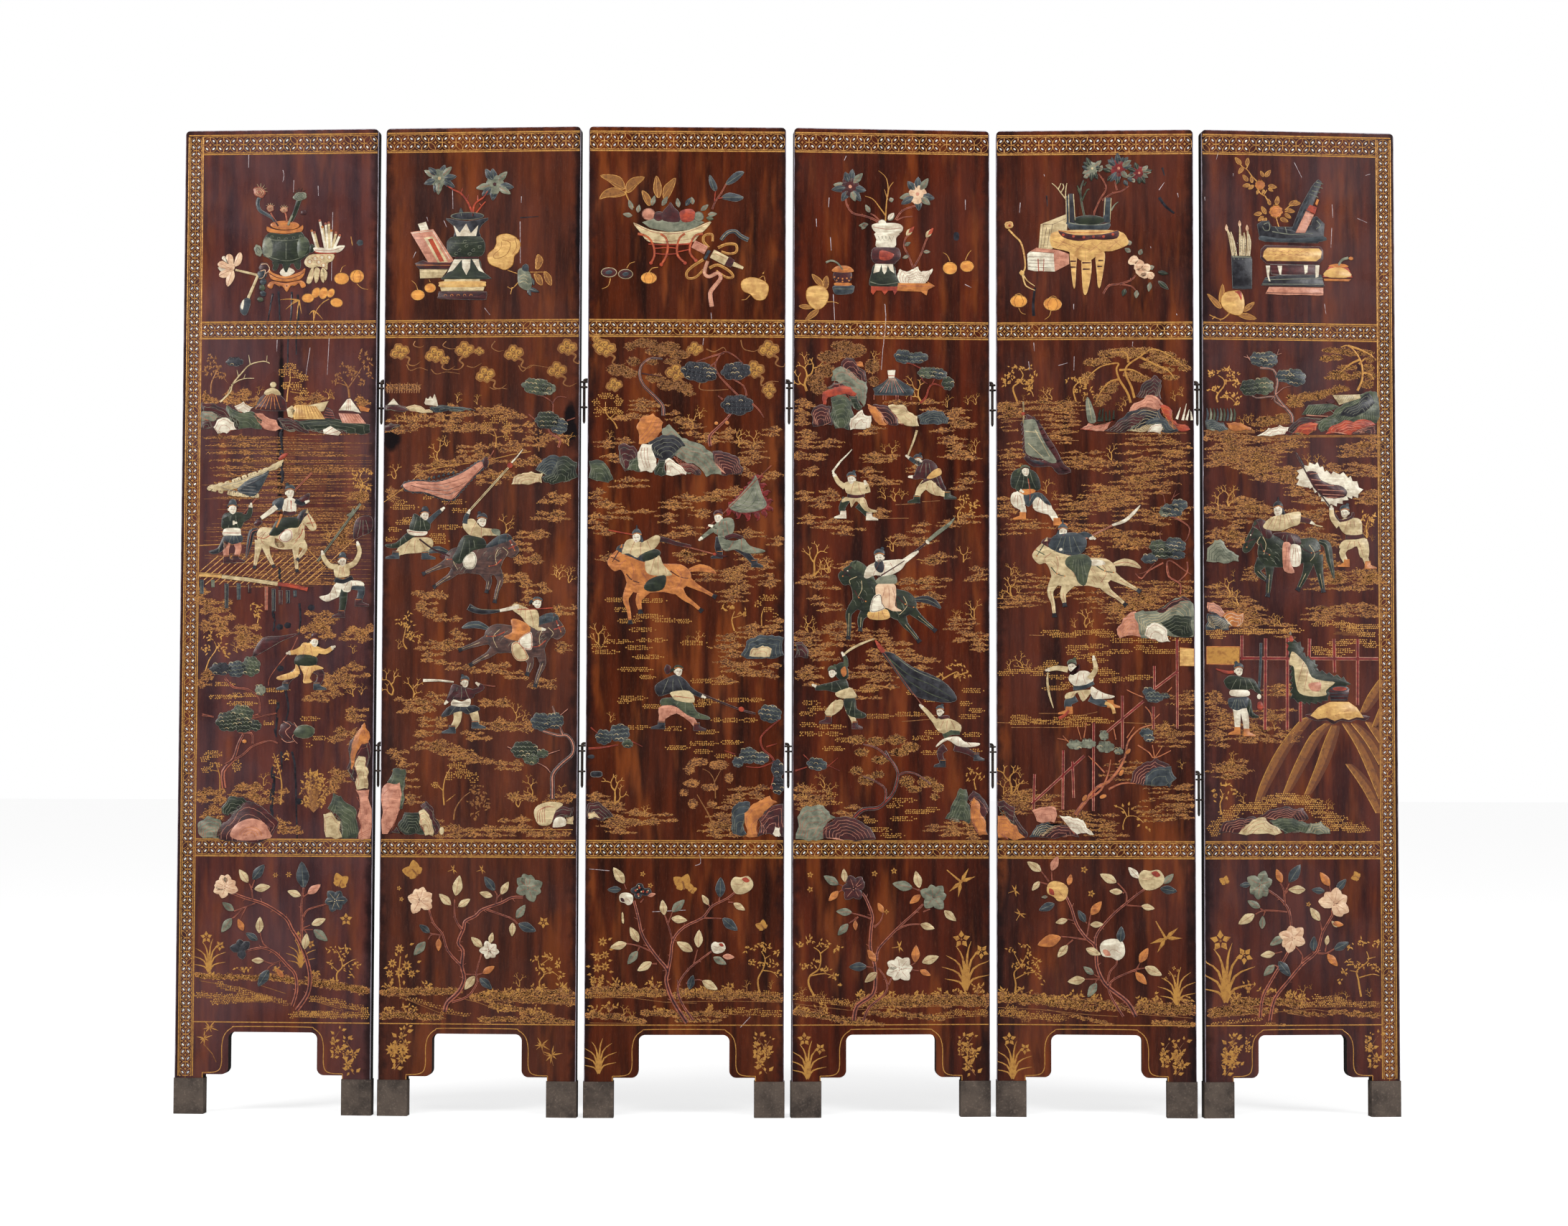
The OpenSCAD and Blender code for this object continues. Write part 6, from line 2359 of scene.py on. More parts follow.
def bannerman_1(plane: LeafPlane) -> None:
    """Cuts leaf 1's bannerman."""
    work = Treasures(plane, "bannerman_1", 23)
    work.banner(
        Tint.SLATE,
        [
            (106, 1156), (128, 1175), (153, 1184), (165, 1191), (159, 1175), (147, 1153), (136, 1142),
            (116, 1147)
        ],
        Tint.BONE,
        [(144, 1142), (116, 1144), (91, 1147), (52, 1159), (91, 1170), (122, 1181), (153, 1191), (190, 1208)],
        9, 22
    )
    work.smooth(
        Tint.BONE,
        [
            (49, 1159), (69, 1166), (103, 1170), (131, 1181), (159, 1194), (192, 1211), (181, 1194),
            (165, 1189), (134, 1175), (106, 1158), (75, 1153)
        ],
        1.3
    )
    work.score([(113, 1155), (134, 1167), (159, 1180)], 2.5, Tint.INK, 1.57, steps=3)
    work.smooth(Tint.CORAL, [(182, 1213), (190, 1221), (201, 1223), (196, 1216), (187, 1210)], 1.4)
    work.pole([(107, 1096), (131, 1126), (142, 1139)])
    work.leg(Tint.ROSE, [(88, 1059), (85, 1043), (87, 1026)], 15, Tint.WINE)
    work.leg(Tint.ROSE, [(104, 1060), (109, 1045), (104, 1027)], 15, Tint.WINE)
    work.cloth(
        Tint.INK, [(88, 1074), (79, 1065), (70, 1046), (53, 1040), (63, 1035), (81, 1042), (91, 1056)], 1.3
    )
    work.cloth(Tint.SLATE, [(87, 1071), (113, 1071), (116, 1059), (101, 1053), (85, 1059)], 1.5)
    work.cloth(
        Tint.JADE,
        [(79, 1107), (91, 1112), (113, 1112), (122, 1106), (119, 1096), (111, 1082), (91, 1081), (77, 1084)],
        1.6, folds=2
    )
    work.smooth(
        Tint.IVORY, [(82, 1082), (96, 1084), (111, 1083), (113, 1073), (112, 1069), (94, 1069), (79, 1070)],
        1.8
    )
    work.score([(80, 1074), (112, 1074)], 1.2, Tint.CORAL, 1.82)
    work.arm(Tint.JADE, [(116, 1100), (128, 1107), (131, 1123)], 12)
    work.arm(Tint.JADE, [(83, 1103), (90, 1093), (99, 1093)], 13)
    work.head(97, 1118, Hat.BRIM, Tint.SLATE, 1)
    work.build("inlay_stone", plane.inlays)


def rider_1(plane: LeafPlane) -> None:
    """Cuts leaf 1's rider."""
    work = Treasures(plane, "rider_1", 24)
    work.pole([(214, 1153), (246, 1186)], 3.4, Tint.BARK)
    work.horse(181, 1062, 0.82, 1, Tint.BONE, Tint.INK)
    work.smooth(Tint.APRICOT, [(177, 1065), (191, 1059), (197, 1048), (185, 1045), (177, 1053)], 1.5)
    work.smooth(
        Tint.JADE,
        [
            (184, 1100), (212, 1103), (225, 1098), (222, 1084), (203, 1082), (191, 1074), (181, 1068),
            (166, 1070), (172, 1082)
        ],
        1.7
    )
    work.cloth(
        Tint.IVORY, [(188, 1059), (185, 1068), (197, 1081), (209, 1079), (211, 1065), (200, 1056)], 1.85,
        Tint.CORAL, 0
    )
    work.cloth(
        Tint.IVORY,
        [(192, 1134), (203, 1140), (215, 1136), (217, 1125), (215, 1112), (194, 1112), (191, 1125)], 1.7,
        folds=2
    )
    work.sash(Tint.WINE, [(193, 1112), (205, 1110), (216, 1112)], 8)
    work.limb(Tint.APRICOT, [(190, 1109), (186, 1098), (180, 1084)], [5, 4], 1.86)
    work.smooth(
        Tint.SLATE, [(175, 1134), (190, 1140), (195, 1133), (189, 1118), (178, 1117), (172, 1126)], 1.75
    )
    work.arm(Tint.IVORY, [(180, 1123), (166, 1112), (153, 1103)], 11, Tint.IVORY, Tint.WINE)
    work.smooth(Tint.WINE, [(138, 1092), (146, 1100), (153, 1095), (149, 1089), (141, 1087)], 1.6)
    work.arm(Tint.INK, [(215, 1134), (228, 1128), (235, 1131)], 9)
    work.smooth(Tint.WINE, [(222, 1136), (234, 1145), (242, 1147), (240, 1136), (231, 1131)], 1.6)
    work.score([(208, 1134), (207, 1118)], 1.6, Tint.CORAL, 1.72)
    work.head(205, 1148, Hat.CAP, Tint.SLATE, 1, size=1.05)
    work.build("inlay_stone", plane.inlays)


def spearman_1(plane: LeafPlane) -> None:
    """Cuts leaf 1's spearman."""
    work = Treasures(plane, "spearman_1", 25)
    work.pole([(258, 1021), (338, 1128)], 4, Tint.SAGE)
    work.smooth(Tint.SAGE, [(312, 1107), (320, 1112), (324, 1120), (327, 1109), (320, 1103)], 1.8)
    work.arm(Tint.BONE, [(297, 1010), (281, 1013), (270, 1027), (268, 1034)], 11)
    work.arm(Tint.BONE, [(312, 1010), (328, 1018), (337, 1037), (334, 1051)], 11)
    work.leg(Tint.JADE, [(307, 970), (307, 946), (304, 924)], 16, Tint.WINE, -1)
    work.leg(Tint.SLATE, [(324, 977), (341, 970), (336, 945)], 17, Tint.WINE)
    work.cloth(
        Tint.IVORY,
        [(300, 984), (290, 977), (280, 960), (262, 955), (275, 946), (290, 951), (300, 957), (304, 974)], 1.5
    )
    work.cloth(
        Tint.IVORY, [(298, 984), (317, 985), (340, 984), (346, 975), (324, 975), (320, 965), (307, 965)], 1.6
    )
    work.sash(Tint.INK, [(291, 987), (307, 983), (324, 991)], 9)
    work.cloth(
        Tint.BONE, [(291, 1009), (303, 1015), (315, 1012), (319, 1002), (316, 993), (294, 991), (289, 1002)],
        1.75, folds=2
    )
    work.head(305, 1020, Hat.BRIM, Tint.SLATE, 0, size=0.95)
    work.score([(305, 1009), (305, 996)], 1.0, Tint.BARK, 1.78)
    work.cloth(Tint.WINE, [(326, 1063), (327, 1090), (337, 1103), (359, 1103), (359, 1078), (340, 1068)], 1.3)
    work.rim([(326, 1063), (327, 1090), (337, 1103), (359, 1103)], Tint.BONE)
    work.build("inlay_stone", plane.inlays)


# The bridge, the yellow soldier, the pines and the rocks.


def garden_gilt_1(plane: LeafPlane) -> None:
    """Gilds leaf 1's garden gilt."""
    gilt = Gilding(plane, "garden_gilt_1", 26)
    for spot, breadth in (
        ((68, 940), 50), ((75, 909), 50), ((122, 892), 60), ((270, 919), 60), ((288, 804), 60),
        ((331, 821), 50), ((271, 777), 60), ((129, 875), 50), ((52, 807), 30), ((332, 739), 40),
        ((305, 702), 30), ((70, 590), 60), ((121, 600), 60), ((171, 586), 60), ((70, 559), 50),
        ((305, 627), 40), ((254, 895), 60), ((45, 957), 30), ((331, 889), 60), ((339, 695), 30),
        ((292, 607), 30), ((205, 532), 50)
    ):
        gilt.drift(*spot, breadth, 3)
    for a, b in (
        ((86, 793), 24), ((84, 769), 34), ((126, 773), 34), ((184, 782), 26), ((118, 757), 30),
        ((177, 760), 10)
    ):
        gilt.crown(Mark.DOT, *a, b, 4.2, Tint.GOLD)
    for spot, rx in (((246, 729), 20), ((265, 693), 16), ((170, 721), 13), ((245, 680), 7)):
        gilt.crown(Mark.DOT, *spot, rx, 4.5, Tint.GOLD)
    gilt.tree(
        Mark.LEAF, [[(49, 817), (56, 838), (69, 858), (65, 872)], [(69, 858), (79, 872)]],
        [((59, 882), 13, 6), ((49, 858), 9, 9), ((79, 862), 10, 9), ((92, 848), 7, 7), ((79, 882), 6, 5)], 2.6
    )
    gilt.tree(
        Mark.LEAF, [[(146, 906), (148, 923), (141, 935)]],
        [((136, 938), 9, 5), ((151, 935), 9, 6), ((142, 923), 10, 6)], 2
    )
    gilt.tree(
        Mark.DOT, [[(79, 595), (78, 624), (70, 648)], [(77, 631), (60, 634)]],
        [((66, 663), 18, 7), ((50, 654), 9, 6), ((53, 634), 10, 6), ((110, 641), 9, 12), ((70, 643), 13, 5)],
        2.4
    )
    gilt.tree(
        Mark.LEAF, [[(193, 570), (195, 607), (188, 641), (179, 665)], [(194, 617), (176, 624)]],
        [((201, 661), 8, 7), ((184, 648), 6, 10), ((188, 634), 7, 7)], 3
    )
    for spot, high, lean in (
        ((109, 851), 22, 0.2), ((326, 850), 20, 0), ((328, 770), 30, 0.1), ((161, 605), 26, 0),
        ((342, 773), 22, -0.3)
    ):
        gilt.shrub(*spot, high, lean)
    gilt.bush(255, 556, 46, 76)
    gilt.soot(176, 960, 905)
    gilt.soot(184, 760, 700)
    gilt.soot(178, 640, 560)
    gilt.build("front_lacquer")


def bridge_1(plane: LeafPlane) -> None:
    """Cuts leaf 1's bridge."""
    work = Treasures(plane, "bridge_1", 27)
    for k, (spot, tint) in enumerate(
        (
            ((40, 987), Tint.SLATE), ((61, 987), Tint.SAGE), ((87, 980), Tint.INK), ((110, 980), Tint.SLATE),
            ((130, 980), Tint.WINE), ((162, 974), Tint.BARK), ((176, 970), Tint.INK), ((189, 967), Tint.WINE),
            ((203, 967), Tint.INK), ((216, 967), Tint.SLATE)
        )
    ):
        x0, z0 = spot
        long = (26, 14, 46, 30, 18, 44, 42, 26, 24, 12)[k]
        work.limb(tint, [(x0, z0), (x0 + 0.6, z0 - long)], [7, 6], 1.2)
        work.score([(x0 - 1, z0 - 2), (x0 - 0.6, z0 - long + 2)], 0.9, Tint.SAGE, 1.22)
    for tint, line in (
        (Tint.HONEY, [(35, 997), (78, 994)]), (Tint.BONE, [(78, 993), (129, 987), (184, 979)]),
        (Tint.CORAL, [(184, 979), (213, 975), (240, 969)])
    ):
        work.limb(tint, line, [7.6, 7.6], 1.7)
    work.score([(35, 999), (78, 996), (129, 991), (184, 982), (240, 973)], 0.9, Tint.LINE, 1.72)
    work.smooth(Tint.WINE, [(138, 845), (156, 878), (190, 882), (222, 886), (190, 872), (166, 858)], 1.3)
    work.rim([(138, 845), (156, 878), (190, 882), (222, 886), (190, 872), (166, 858)], Tint.BONE)
    work.build("inlay_stone", plane.inlays)


def yellow_soldier_1(plane: LeafPlane) -> None:
    """Cuts leaf 1's yellow soldier."""
    work = Treasures(plane, "yellow_soldier_1", 28)
    work.leg(Tint.WINE, [(224, 817), (207, 804), (200, 790)], 15, Tint.SLATE, -1)
    work.leg(Tint.WINE, [(251, 824), (267, 811), (259, 790)], 16, Tint.SLATE)
    work.cloth(Tint.HONEY, [(220, 831), (214, 817), (185, 807), (187, 801), (210, 802), (227, 812)], 1.5)
    work.cloth(
        Tint.HONEY,
        [(227, 829), (254, 829), (272, 822), (254, 817), (246, 804), (251, 797), (234, 795), (234, 811)], 1.6
    )
    work.smooth(Tint.JADE, [(224, 848), (256, 845), (257, 829), (237, 826), (217, 831)], 1.8)
    work.cloth(
        Tint.HONEY, [(234, 870), (254, 867), (264, 855), (254, 841), (237, 841), (220, 848), (227, 862)],
        1.75, folds=2
    )
    work.arm(Tint.HONEY, [(237, 862), (220, 853), (208, 851)], 12)
    work.arm(Tint.HONEY, [(257, 858), (274, 853), (287, 860)], 12)
    work.smooth(Tint.SLATE, [(240, 872), (254, 858), (264, 868), (257, 860), (245, 860)], 1.7)
    work.head(254, 870, Hat.BRIM, Tint.WINE, 1, size=0.95)
    work.stroke(
        Tint.BARK, [(222, 880), (212, 858), (200, 845), (183, 824), (170, 804), (168, 790)], 2.2, 1.2, 0.3,
        0.8, 3
    )
    work.build("inlay_stone", plane.inlays)


def pines_1(plane: LeafPlane) -> None:
    """Cuts leaf 1's pines."""
    work = Treasures(plane, "pines_1", 29)
    work.pine(
        [
            [(87, 600), (85, 631), (104, 654), (113, 682), (122, 700)],
            [(88, 644), (120, 661), (140, 678), (171, 688), (187, 683)],
            [(86, 804), (103, 787), (130, 783), (150, 766), (152, 739)], [(150, 736), (130, 729), (184, 739)],
            [(44, 736), (66, 732)], [(140, 682), (137, 702), (113, 702)]
        ],
        [
            (Tint.MOSS, (135, 826), 14, 15), (Tint.SLATE, (108, 821), 15, 12), (Tint.INK, (79, 821), 17, 9),
            (Tint.MOSS, (120, 739), 17, 12), (Tint.JADE, (95, 724), 20, 15), (Tint.JADE, (122, 717), 13, 12),
            (Tint.JADE, (144, 716), 9, 8), (Tint.SAGE, (153, 782), 8, 8)
        ],
        8.5
    )
    work.cut(Tint.WINE, scallop(206, 705, 17, 19, 7, 10), 1.4)
    for ring in (
        [(197, 724), (211, 716), (201, 705), (211, 692)], [(217, 722), (224, 709), (214, 695), (224, 683)],
        [(194, 692), (204, 685), (218, 687)]
    ):
        work.score(ring, 1.4, Tint.ROSE, 1.42, steps=3)
    work.smooth(Tint.MOSS, [(216, 700), (224, 714), (241, 717), (255, 710), (251, 697), (234, 693)], 1.7)
    work.rim(
        spline([(216, 700), (224, 714), (241, 717), (255, 710), (251, 697), (234, 693)], 2, closed=True),
        Tint.BONE, 1.4
    )
    work.fruit(Tint.APRICOT, 124, 687, 4.5)
    work.build("inlay_stone", plane.inlays)


def rocks_1(plane: LeafPlane) -> None:
    """Cuts leaf 1's rocks."""
    work = Treasures(plane, "rocks_1", 30)
    work.rock(Tint.JADE, [(84, 566), (95, 583), (121, 583), (131, 575), (111, 559), (94, 549), (84, 556)], 1)
    work.rock(
        Tint.WINE,
        [(74, 508), (86, 536), (111, 566), (134, 576), (158, 566), (171, 554), (190, 537), (177, 510)], 2, 4,
        line=Tint.ROSE
    )
    work.rock(Tint.SAGE, [(40, 537), (57, 549), (81, 541), (84, 519), (79, 507), (49, 507), (39, 522)], 3, 4)
    work.smooth(
        Tint.ROSE,
        [
            (99, 512), (104, 527), (119, 539), (141, 545), (163, 537), (173, 522), (175, 508), (131, 503),
            (111, 505)
        ],
        1.8
    )
    for k in (0.75, 0.5, 0.28):
        work.score(ellipse(138, 512, 28 * k, 22 * k, 0, 16)[:9], 1.2, Tint.APRICOT, 1.82)
    work.rock(
        Tint.WINE, [(317, 637), (322, 685), (335, 704), (355, 695), (357, 648), (339, 610), (326, 617)], 4, 2
    )
    work.rock(
        Tint.APRICOT,
        [
            (324, 637), (325, 671), (339, 709), (349, 722), (358, 705), (357, 685), (345, 682), (334, 661),
            (329, 632)
        ],
        5, 1, 1.7
    )
    work.rock(Tint.BONE, [(331, 641), (339, 661), (352, 658), (358, 631), (356, 600), (336, 598)], 6, 2, 1.8)
    work.rock(Tint.ROSE, [(334, 598), (359, 598), (362, 508), (340, 507), (338, 549)], 7, 3, 1.7)
    work.rock(
        Tint.MOSS,
        [
            (282, 563), (292, 592), (306, 586), (323, 570), (336, 556), (336, 508), (309, 508), (308, 539),
            (292, 556)
        ],
        8, 5
    )
    work.rock(Tint.BONE, [(274, 553), (289, 556), (306, 539), (310, 510), (279, 510)], 9, 1, 1.8)
    work.build("inlay_stone", plane.inlays)


def runs_1(plane: LeafPlane) -> None:
    """Lays the dark runs and spots on leaf 1's lacquer."""
    work = Treasures(plane, "runs_1", 31)
    for run in (
        [(225, 943), (227, 906), (223, 885)], [(200, 783), (206, 749), (201, 722)],
        [(214, 668), (220, 634), (223, 566), (225, 505)], [(194, 668), (195, 634)]
    ):
        work.crack(run, 4.5, Tint.SOOT)
    for spot in ((188, 899), (203, 902), (247, 935), (190, 822), (228, 576)):
        work.fleck(Tint.SOOT, scallop(*spot, 7, 6, 5), 0.02, 0.1)
    work.build("inlay_stone")


# ---------------------------------------------------------------- leaf 2


# The beaker vase with peonies, the book, tray, gourd and bird.


def vase_2(plane: LeafPlane) -> None:
    """Cuts leaf 2's vase."""
    work = Treasures(plane, "vase_2", 41)
    work.limb(
        Tint.CORAL, [(165, 1663), (160, 1678), (152, 1694), (141, 1707), (127, 1714), (115, 1722)],
        [4.4, 2.4], 1.3
    )
    work.limb(Tint.CORAL, [(165, 1663), (165, 1678), (170, 1689), (184, 1699), (192, 1711)], [4, 2.4], 1.4)
    work.limb(Tint.CORAL, [(170, 1669), (181, 1683), (188, 1691)], [3, 1.6], 1.4)
    for a, b in (
        ((152, 1694), (156, 1704)), ((141, 1707), (145, 1717)), ((173, 1692), (173, 1703)),
        ((190, 1707), (191, 1718)), ((181, 1682), (176, 1688))
    ):
        work.stroke(Tint.CORAL, [a, b], 2.4, 1, 0.3, 0.7)
    work.posy(Tint.SLATE, Tint.SAGE, 101, 1735, 30, Tint.BONE, 9)
    work.posy(Tint.SLATE, Tint.SAGE, 205, 1723, 33, Tint.WINE, 8)
    work.leaf(Tint.SLATE, 143, 1663, 17, 7, 95)
    work.cut(Tint.INK, ellipse(154, 1664, 31, 6.6, 0, 26), 1.4)
    edge = ellipse(154, 1664, 31, 6.6, 0, 26)
    work.score(edge + edge[:1], 1.2, Tint.SAGE, 1.42)
    work.smooth(
        Tint.INK,
        [
            (114, 1660), (153, 1654), (193, 1660), (181, 1647), (176, 1635), (176, 1624), (132, 1624),
            (131, 1635), (127, 1647)
        ],
        1.5
    )
    work.cut(
        Tint.IVORY,
        [(134, 1626), (128, 1648), (140, 1633), (152, 1650), (161, 1632), (175, 1647), (171, 1626)], 1.75
    )
    work.smooth(
        Tint.JADE,
        [
            (131, 1626), (118, 1619), (116, 1608), (119, 1595), (131, 1588), (175, 1588), (186, 1597),
            (187, 1613), (180, 1624), (172, 1626)
        ],
        1.75
    )
    work.score([(121, 1614), (140, 1613), (166, 1614), (185, 1616)], 0.8, Tint.SAGE, 1.77, 3)
    for x0, z0 in (
        (128, 1606), (140, 1600), (153, 1608), (166, 1600), (178, 1606), (134, 1594), (159, 1593), (150, 1616)
    ):
        work.score(ellipse(x0, z0, 3.4, 2.4, 20, 8), 0.8, Tint.SAGE, 1.78)
    work.cut(Tint.WINE, [(133, 1588), (175, 1588), (176, 1584), (132, 1584)], 1.6)
    work.smooth(
        Tint.JADE,
        [
            (133, 1584), (175, 1584), (182, 1562), (196, 1550), (193, 1546), (112, 1546), (110, 1550),
            (125, 1566)
        ],
        1.5
    )
    work.cut(Tint.IVORY, [(130, 1583), (145, 1583), (128, 1562), (117, 1558), (124, 1572)], 1.75)
    work.cut(Tint.IVORY, [(144, 1583), (161, 1583), (160, 1566), (153, 1553), (145, 1567)], 1.78)
    work.cut(Tint.IVORY, [(163, 1583), (176, 1583), (180, 1567), (187, 1557), (176, 1561)], 1.75)
    work.cut(Tint.BONE, [(112, 1546), (178, 1546), (179, 1541), (111, 1541)], 1.4)
    work.smooth(
        Tint.HONEY, [(102, 1537), (109, 1542), (182, 1542), (189, 1537), (182, 1531), (109, 1531)], 1.7
    )
    work.cut(Tint.BONE, [(104, 1531), (187, 1531), (185, 1524), (106, 1524)], 1.5)
    work.smooth(
        Tint.WINE,
        [
            (102, 1521), (109, 1523), (184, 1522), (191, 1519), (190, 1510), (182, 1507), (106, 1510),
            (101, 1515)
        ],
        1.4
    )
    for k in range(5):
        work.score(place(ellipse(114, 1515, 2.6, n=7)[:5], 12.0 * k, 0), 1.2, Tint.APRICOT, 1.42)
    work.build("inlay_stone", plane.inlays)


def book_2(plane: LeafPlane) -> None:
    """Cuts leaf 2's book."""
    work = Treasures(plane, "book_2", 42)
    work.cut(Tint.IVORY, [(61, 1650), (76, 1654), (82, 1638), (67, 1635)], 1.3)
    work.cut(Tint.ROSE, [(47, 1635), (90, 1640), (129, 1581), (123, 1577), (81, 1578)], 1.6)
    work.score([(51, 1633), (89, 1637), (121, 1584)], 1.4, Tint.IVORY, 1.62)
    work.cut(Tint.BONE, [(72, 1624), (89, 1627), (119, 1578), (99, 1577)], 1.75)
    work.cut(Tint.CORAL, [(80, 1621), (89, 1623), (112, 1579), (103, 1578)], 1.85)
    work.cut(Tint.WINE, [(56, 1576), (71, 1582), (81, 1578), (128, 1577), (122, 1566), (64, 1566)], 1.5)
    work.score([(58, 1573), (123, 1572)], 1.2, Tint.APRICOT, 1.52)
    work.cut(Tint.BONE, [(65, 1565), (118, 1564), (107, 1549), (66, 1548)], 1.6)
    work.build("inlay_stone", plane.inlays)


def bird_2(plane: LeafPlane) -> None:
    """Cuts leaf 2's bird."""
    work = Treasures(plane, "bird_2", 43)
    work.smooth(
        Tint.SAGE,
        [
            (250, 1562), (258, 1566), (271, 1558), (276, 1541), (273, 1526), (262, 1525), (251, 1534),
            (249, 1550)
        ],
        1.7
    )
    work.smooth(Tint.SLATE, [(258, 1569), (264, 1573), (269, 1569), (268, 1559), (258, 1561)], 1.8)
    work.leaf(Tint.SLATE, 276, 1547, 15, 6, -75)
    work.leaf(Tint.SLATE, 269, 1528, 22, 8, -20)
    work.leaf(Tint.SLATE, 268, 1526, 14, 7, -65)
    for k in range(3):
        work.score(place([(253, 1550), (261, 1553), (269, 1548)], 0, -6.0 * k), 0.8, Tint.BONE, 1.72, steps=3)
    work.gilt_fruit(62, 1517, 12.2, 0.76)
    work.gilt_fruit(85, 1530, 10, 0.82)
    work.stroke(Tint.GOLD, [(62, 1526), (58, 1537), (50, 1544)], 1.3, 0.7, steps=3)
    work.stroke(Tint.GOLD, [(85, 1541), (83, 1546)], 1.3, 0.7)
    pear = spline(
        [
            (210, 1625), (226, 1630), (242, 1625), (253, 1613), (250, 1597), (242, 1588), (239, 1572),
            (226, 1563), (214, 1567), (196, 1575), (193, 1591), (204, 1602), (209, 1613)
        ],
        3, closed=True
    )
    work.cut(Tint.HONEY, pear, 0.9)
    work.stroke(Tint.GOLD, pear + pear[:1], 1.6, high=1.1)
    for ring in (
        [
            (220, 1619), (235, 1613), (232, 1597), (223, 1588), (207, 1584), (204, 1591), (217, 1603),
            (218, 1616)
        ],
        [(243, 1622), (247, 1606), (239, 1591)]
    ):
        work.score(ring, 1.2, Tint.DULL, 0.92, steps=3)
    work.stroke(Tint.GOLD, [(230, 1562), (250, 1555)], 1.6, 1.2)
    work.stroke(Tint.GOLD, [(272, 1558), (287, 1558), (304, 1558)], 1.6, 1)
    work.stroke(Tint.GOLD, [(250, 1539), (239, 1528), (230, 1531)], 1.8, 1, steps=3)
    work.stroke(Tint.GOLD, [(239, 1530), (236, 1517)], 1.5, 1)
    for leaf in (
        [(283, 1564), (283, 1581), (287, 1591), (296, 1581), (291, 1567)],
        [(280, 1555), (293, 1550), (295, 1534), (285, 1539)],
        [(299, 1559), (311, 1550), (312, 1533), (301, 1542)]
    ):
        work.painted(leaf)
    work.crack([(253, 1660), (270, 1661), (288, 1662)], 2.4, Tint.SOOT)
    for run in (
        [(253, 1653), (254, 1575)], [(255, 1700), (255, 1688)], [(126, 1713), (127, 1678)],
        [(78, 1663), (80, 1655)], [(58, 1598), (52, 1586)], [(110, 1656), (115, 1644)],
        [(187, 1492), (198, 1479)]
    ):
        work.crack(run, 1.1)
    work.build("inlay_stone")


# The clouds, the low shore, the pine and the rocks at the right.


def clouds_2(plane: LeafPlane) -> None:
    """Gilds leaf 2's clouds."""
    gilt = Gilding(plane, "clouds_2", 44)
    for spot, turn, flip in (
        ((29, 1411), 20, 1), ((95, 1405), 15, 1), ((114, 1395), 40, 0), ((151, 1414), 10, -1),
        ((178, 1411), 0, 0), ((243, 1407), 15, 1), ((343, 1417), 10, 1), ((324, 1375), 10, 1),
        ((190, 1367), 20, 1)
    ):
        gilt.cloud(*spot, 9.4 if flip else 5, turn, flip * 0.8)
    for line in (
        [(58, 1431), (55, 1423), (66, 1419), (74, 1422)],
        [(116, 1430), (110, 1422), (123, 1416), (139, 1417)],
        [(208, 1430), (201, 1419), (212, 1411), (224, 1412)],
        [(42, 1387), (49, 1376), (66, 1381), (82, 1376)], [(88, 1378), (98, 1369), (117, 1373), (142, 1369)],
        [(155, 1384), (168, 1381), (183, 1389)], [(252, 1384), (260, 1373), (275, 1384), (307, 1380)],
        [(198, 1344), (206, 1340), (219, 1342), (231, 1340)]
    ):
        gilt.stroke(Tint.DULL, line, 2, 0.6, steps=4)
    gilt.build("front_lacquer")


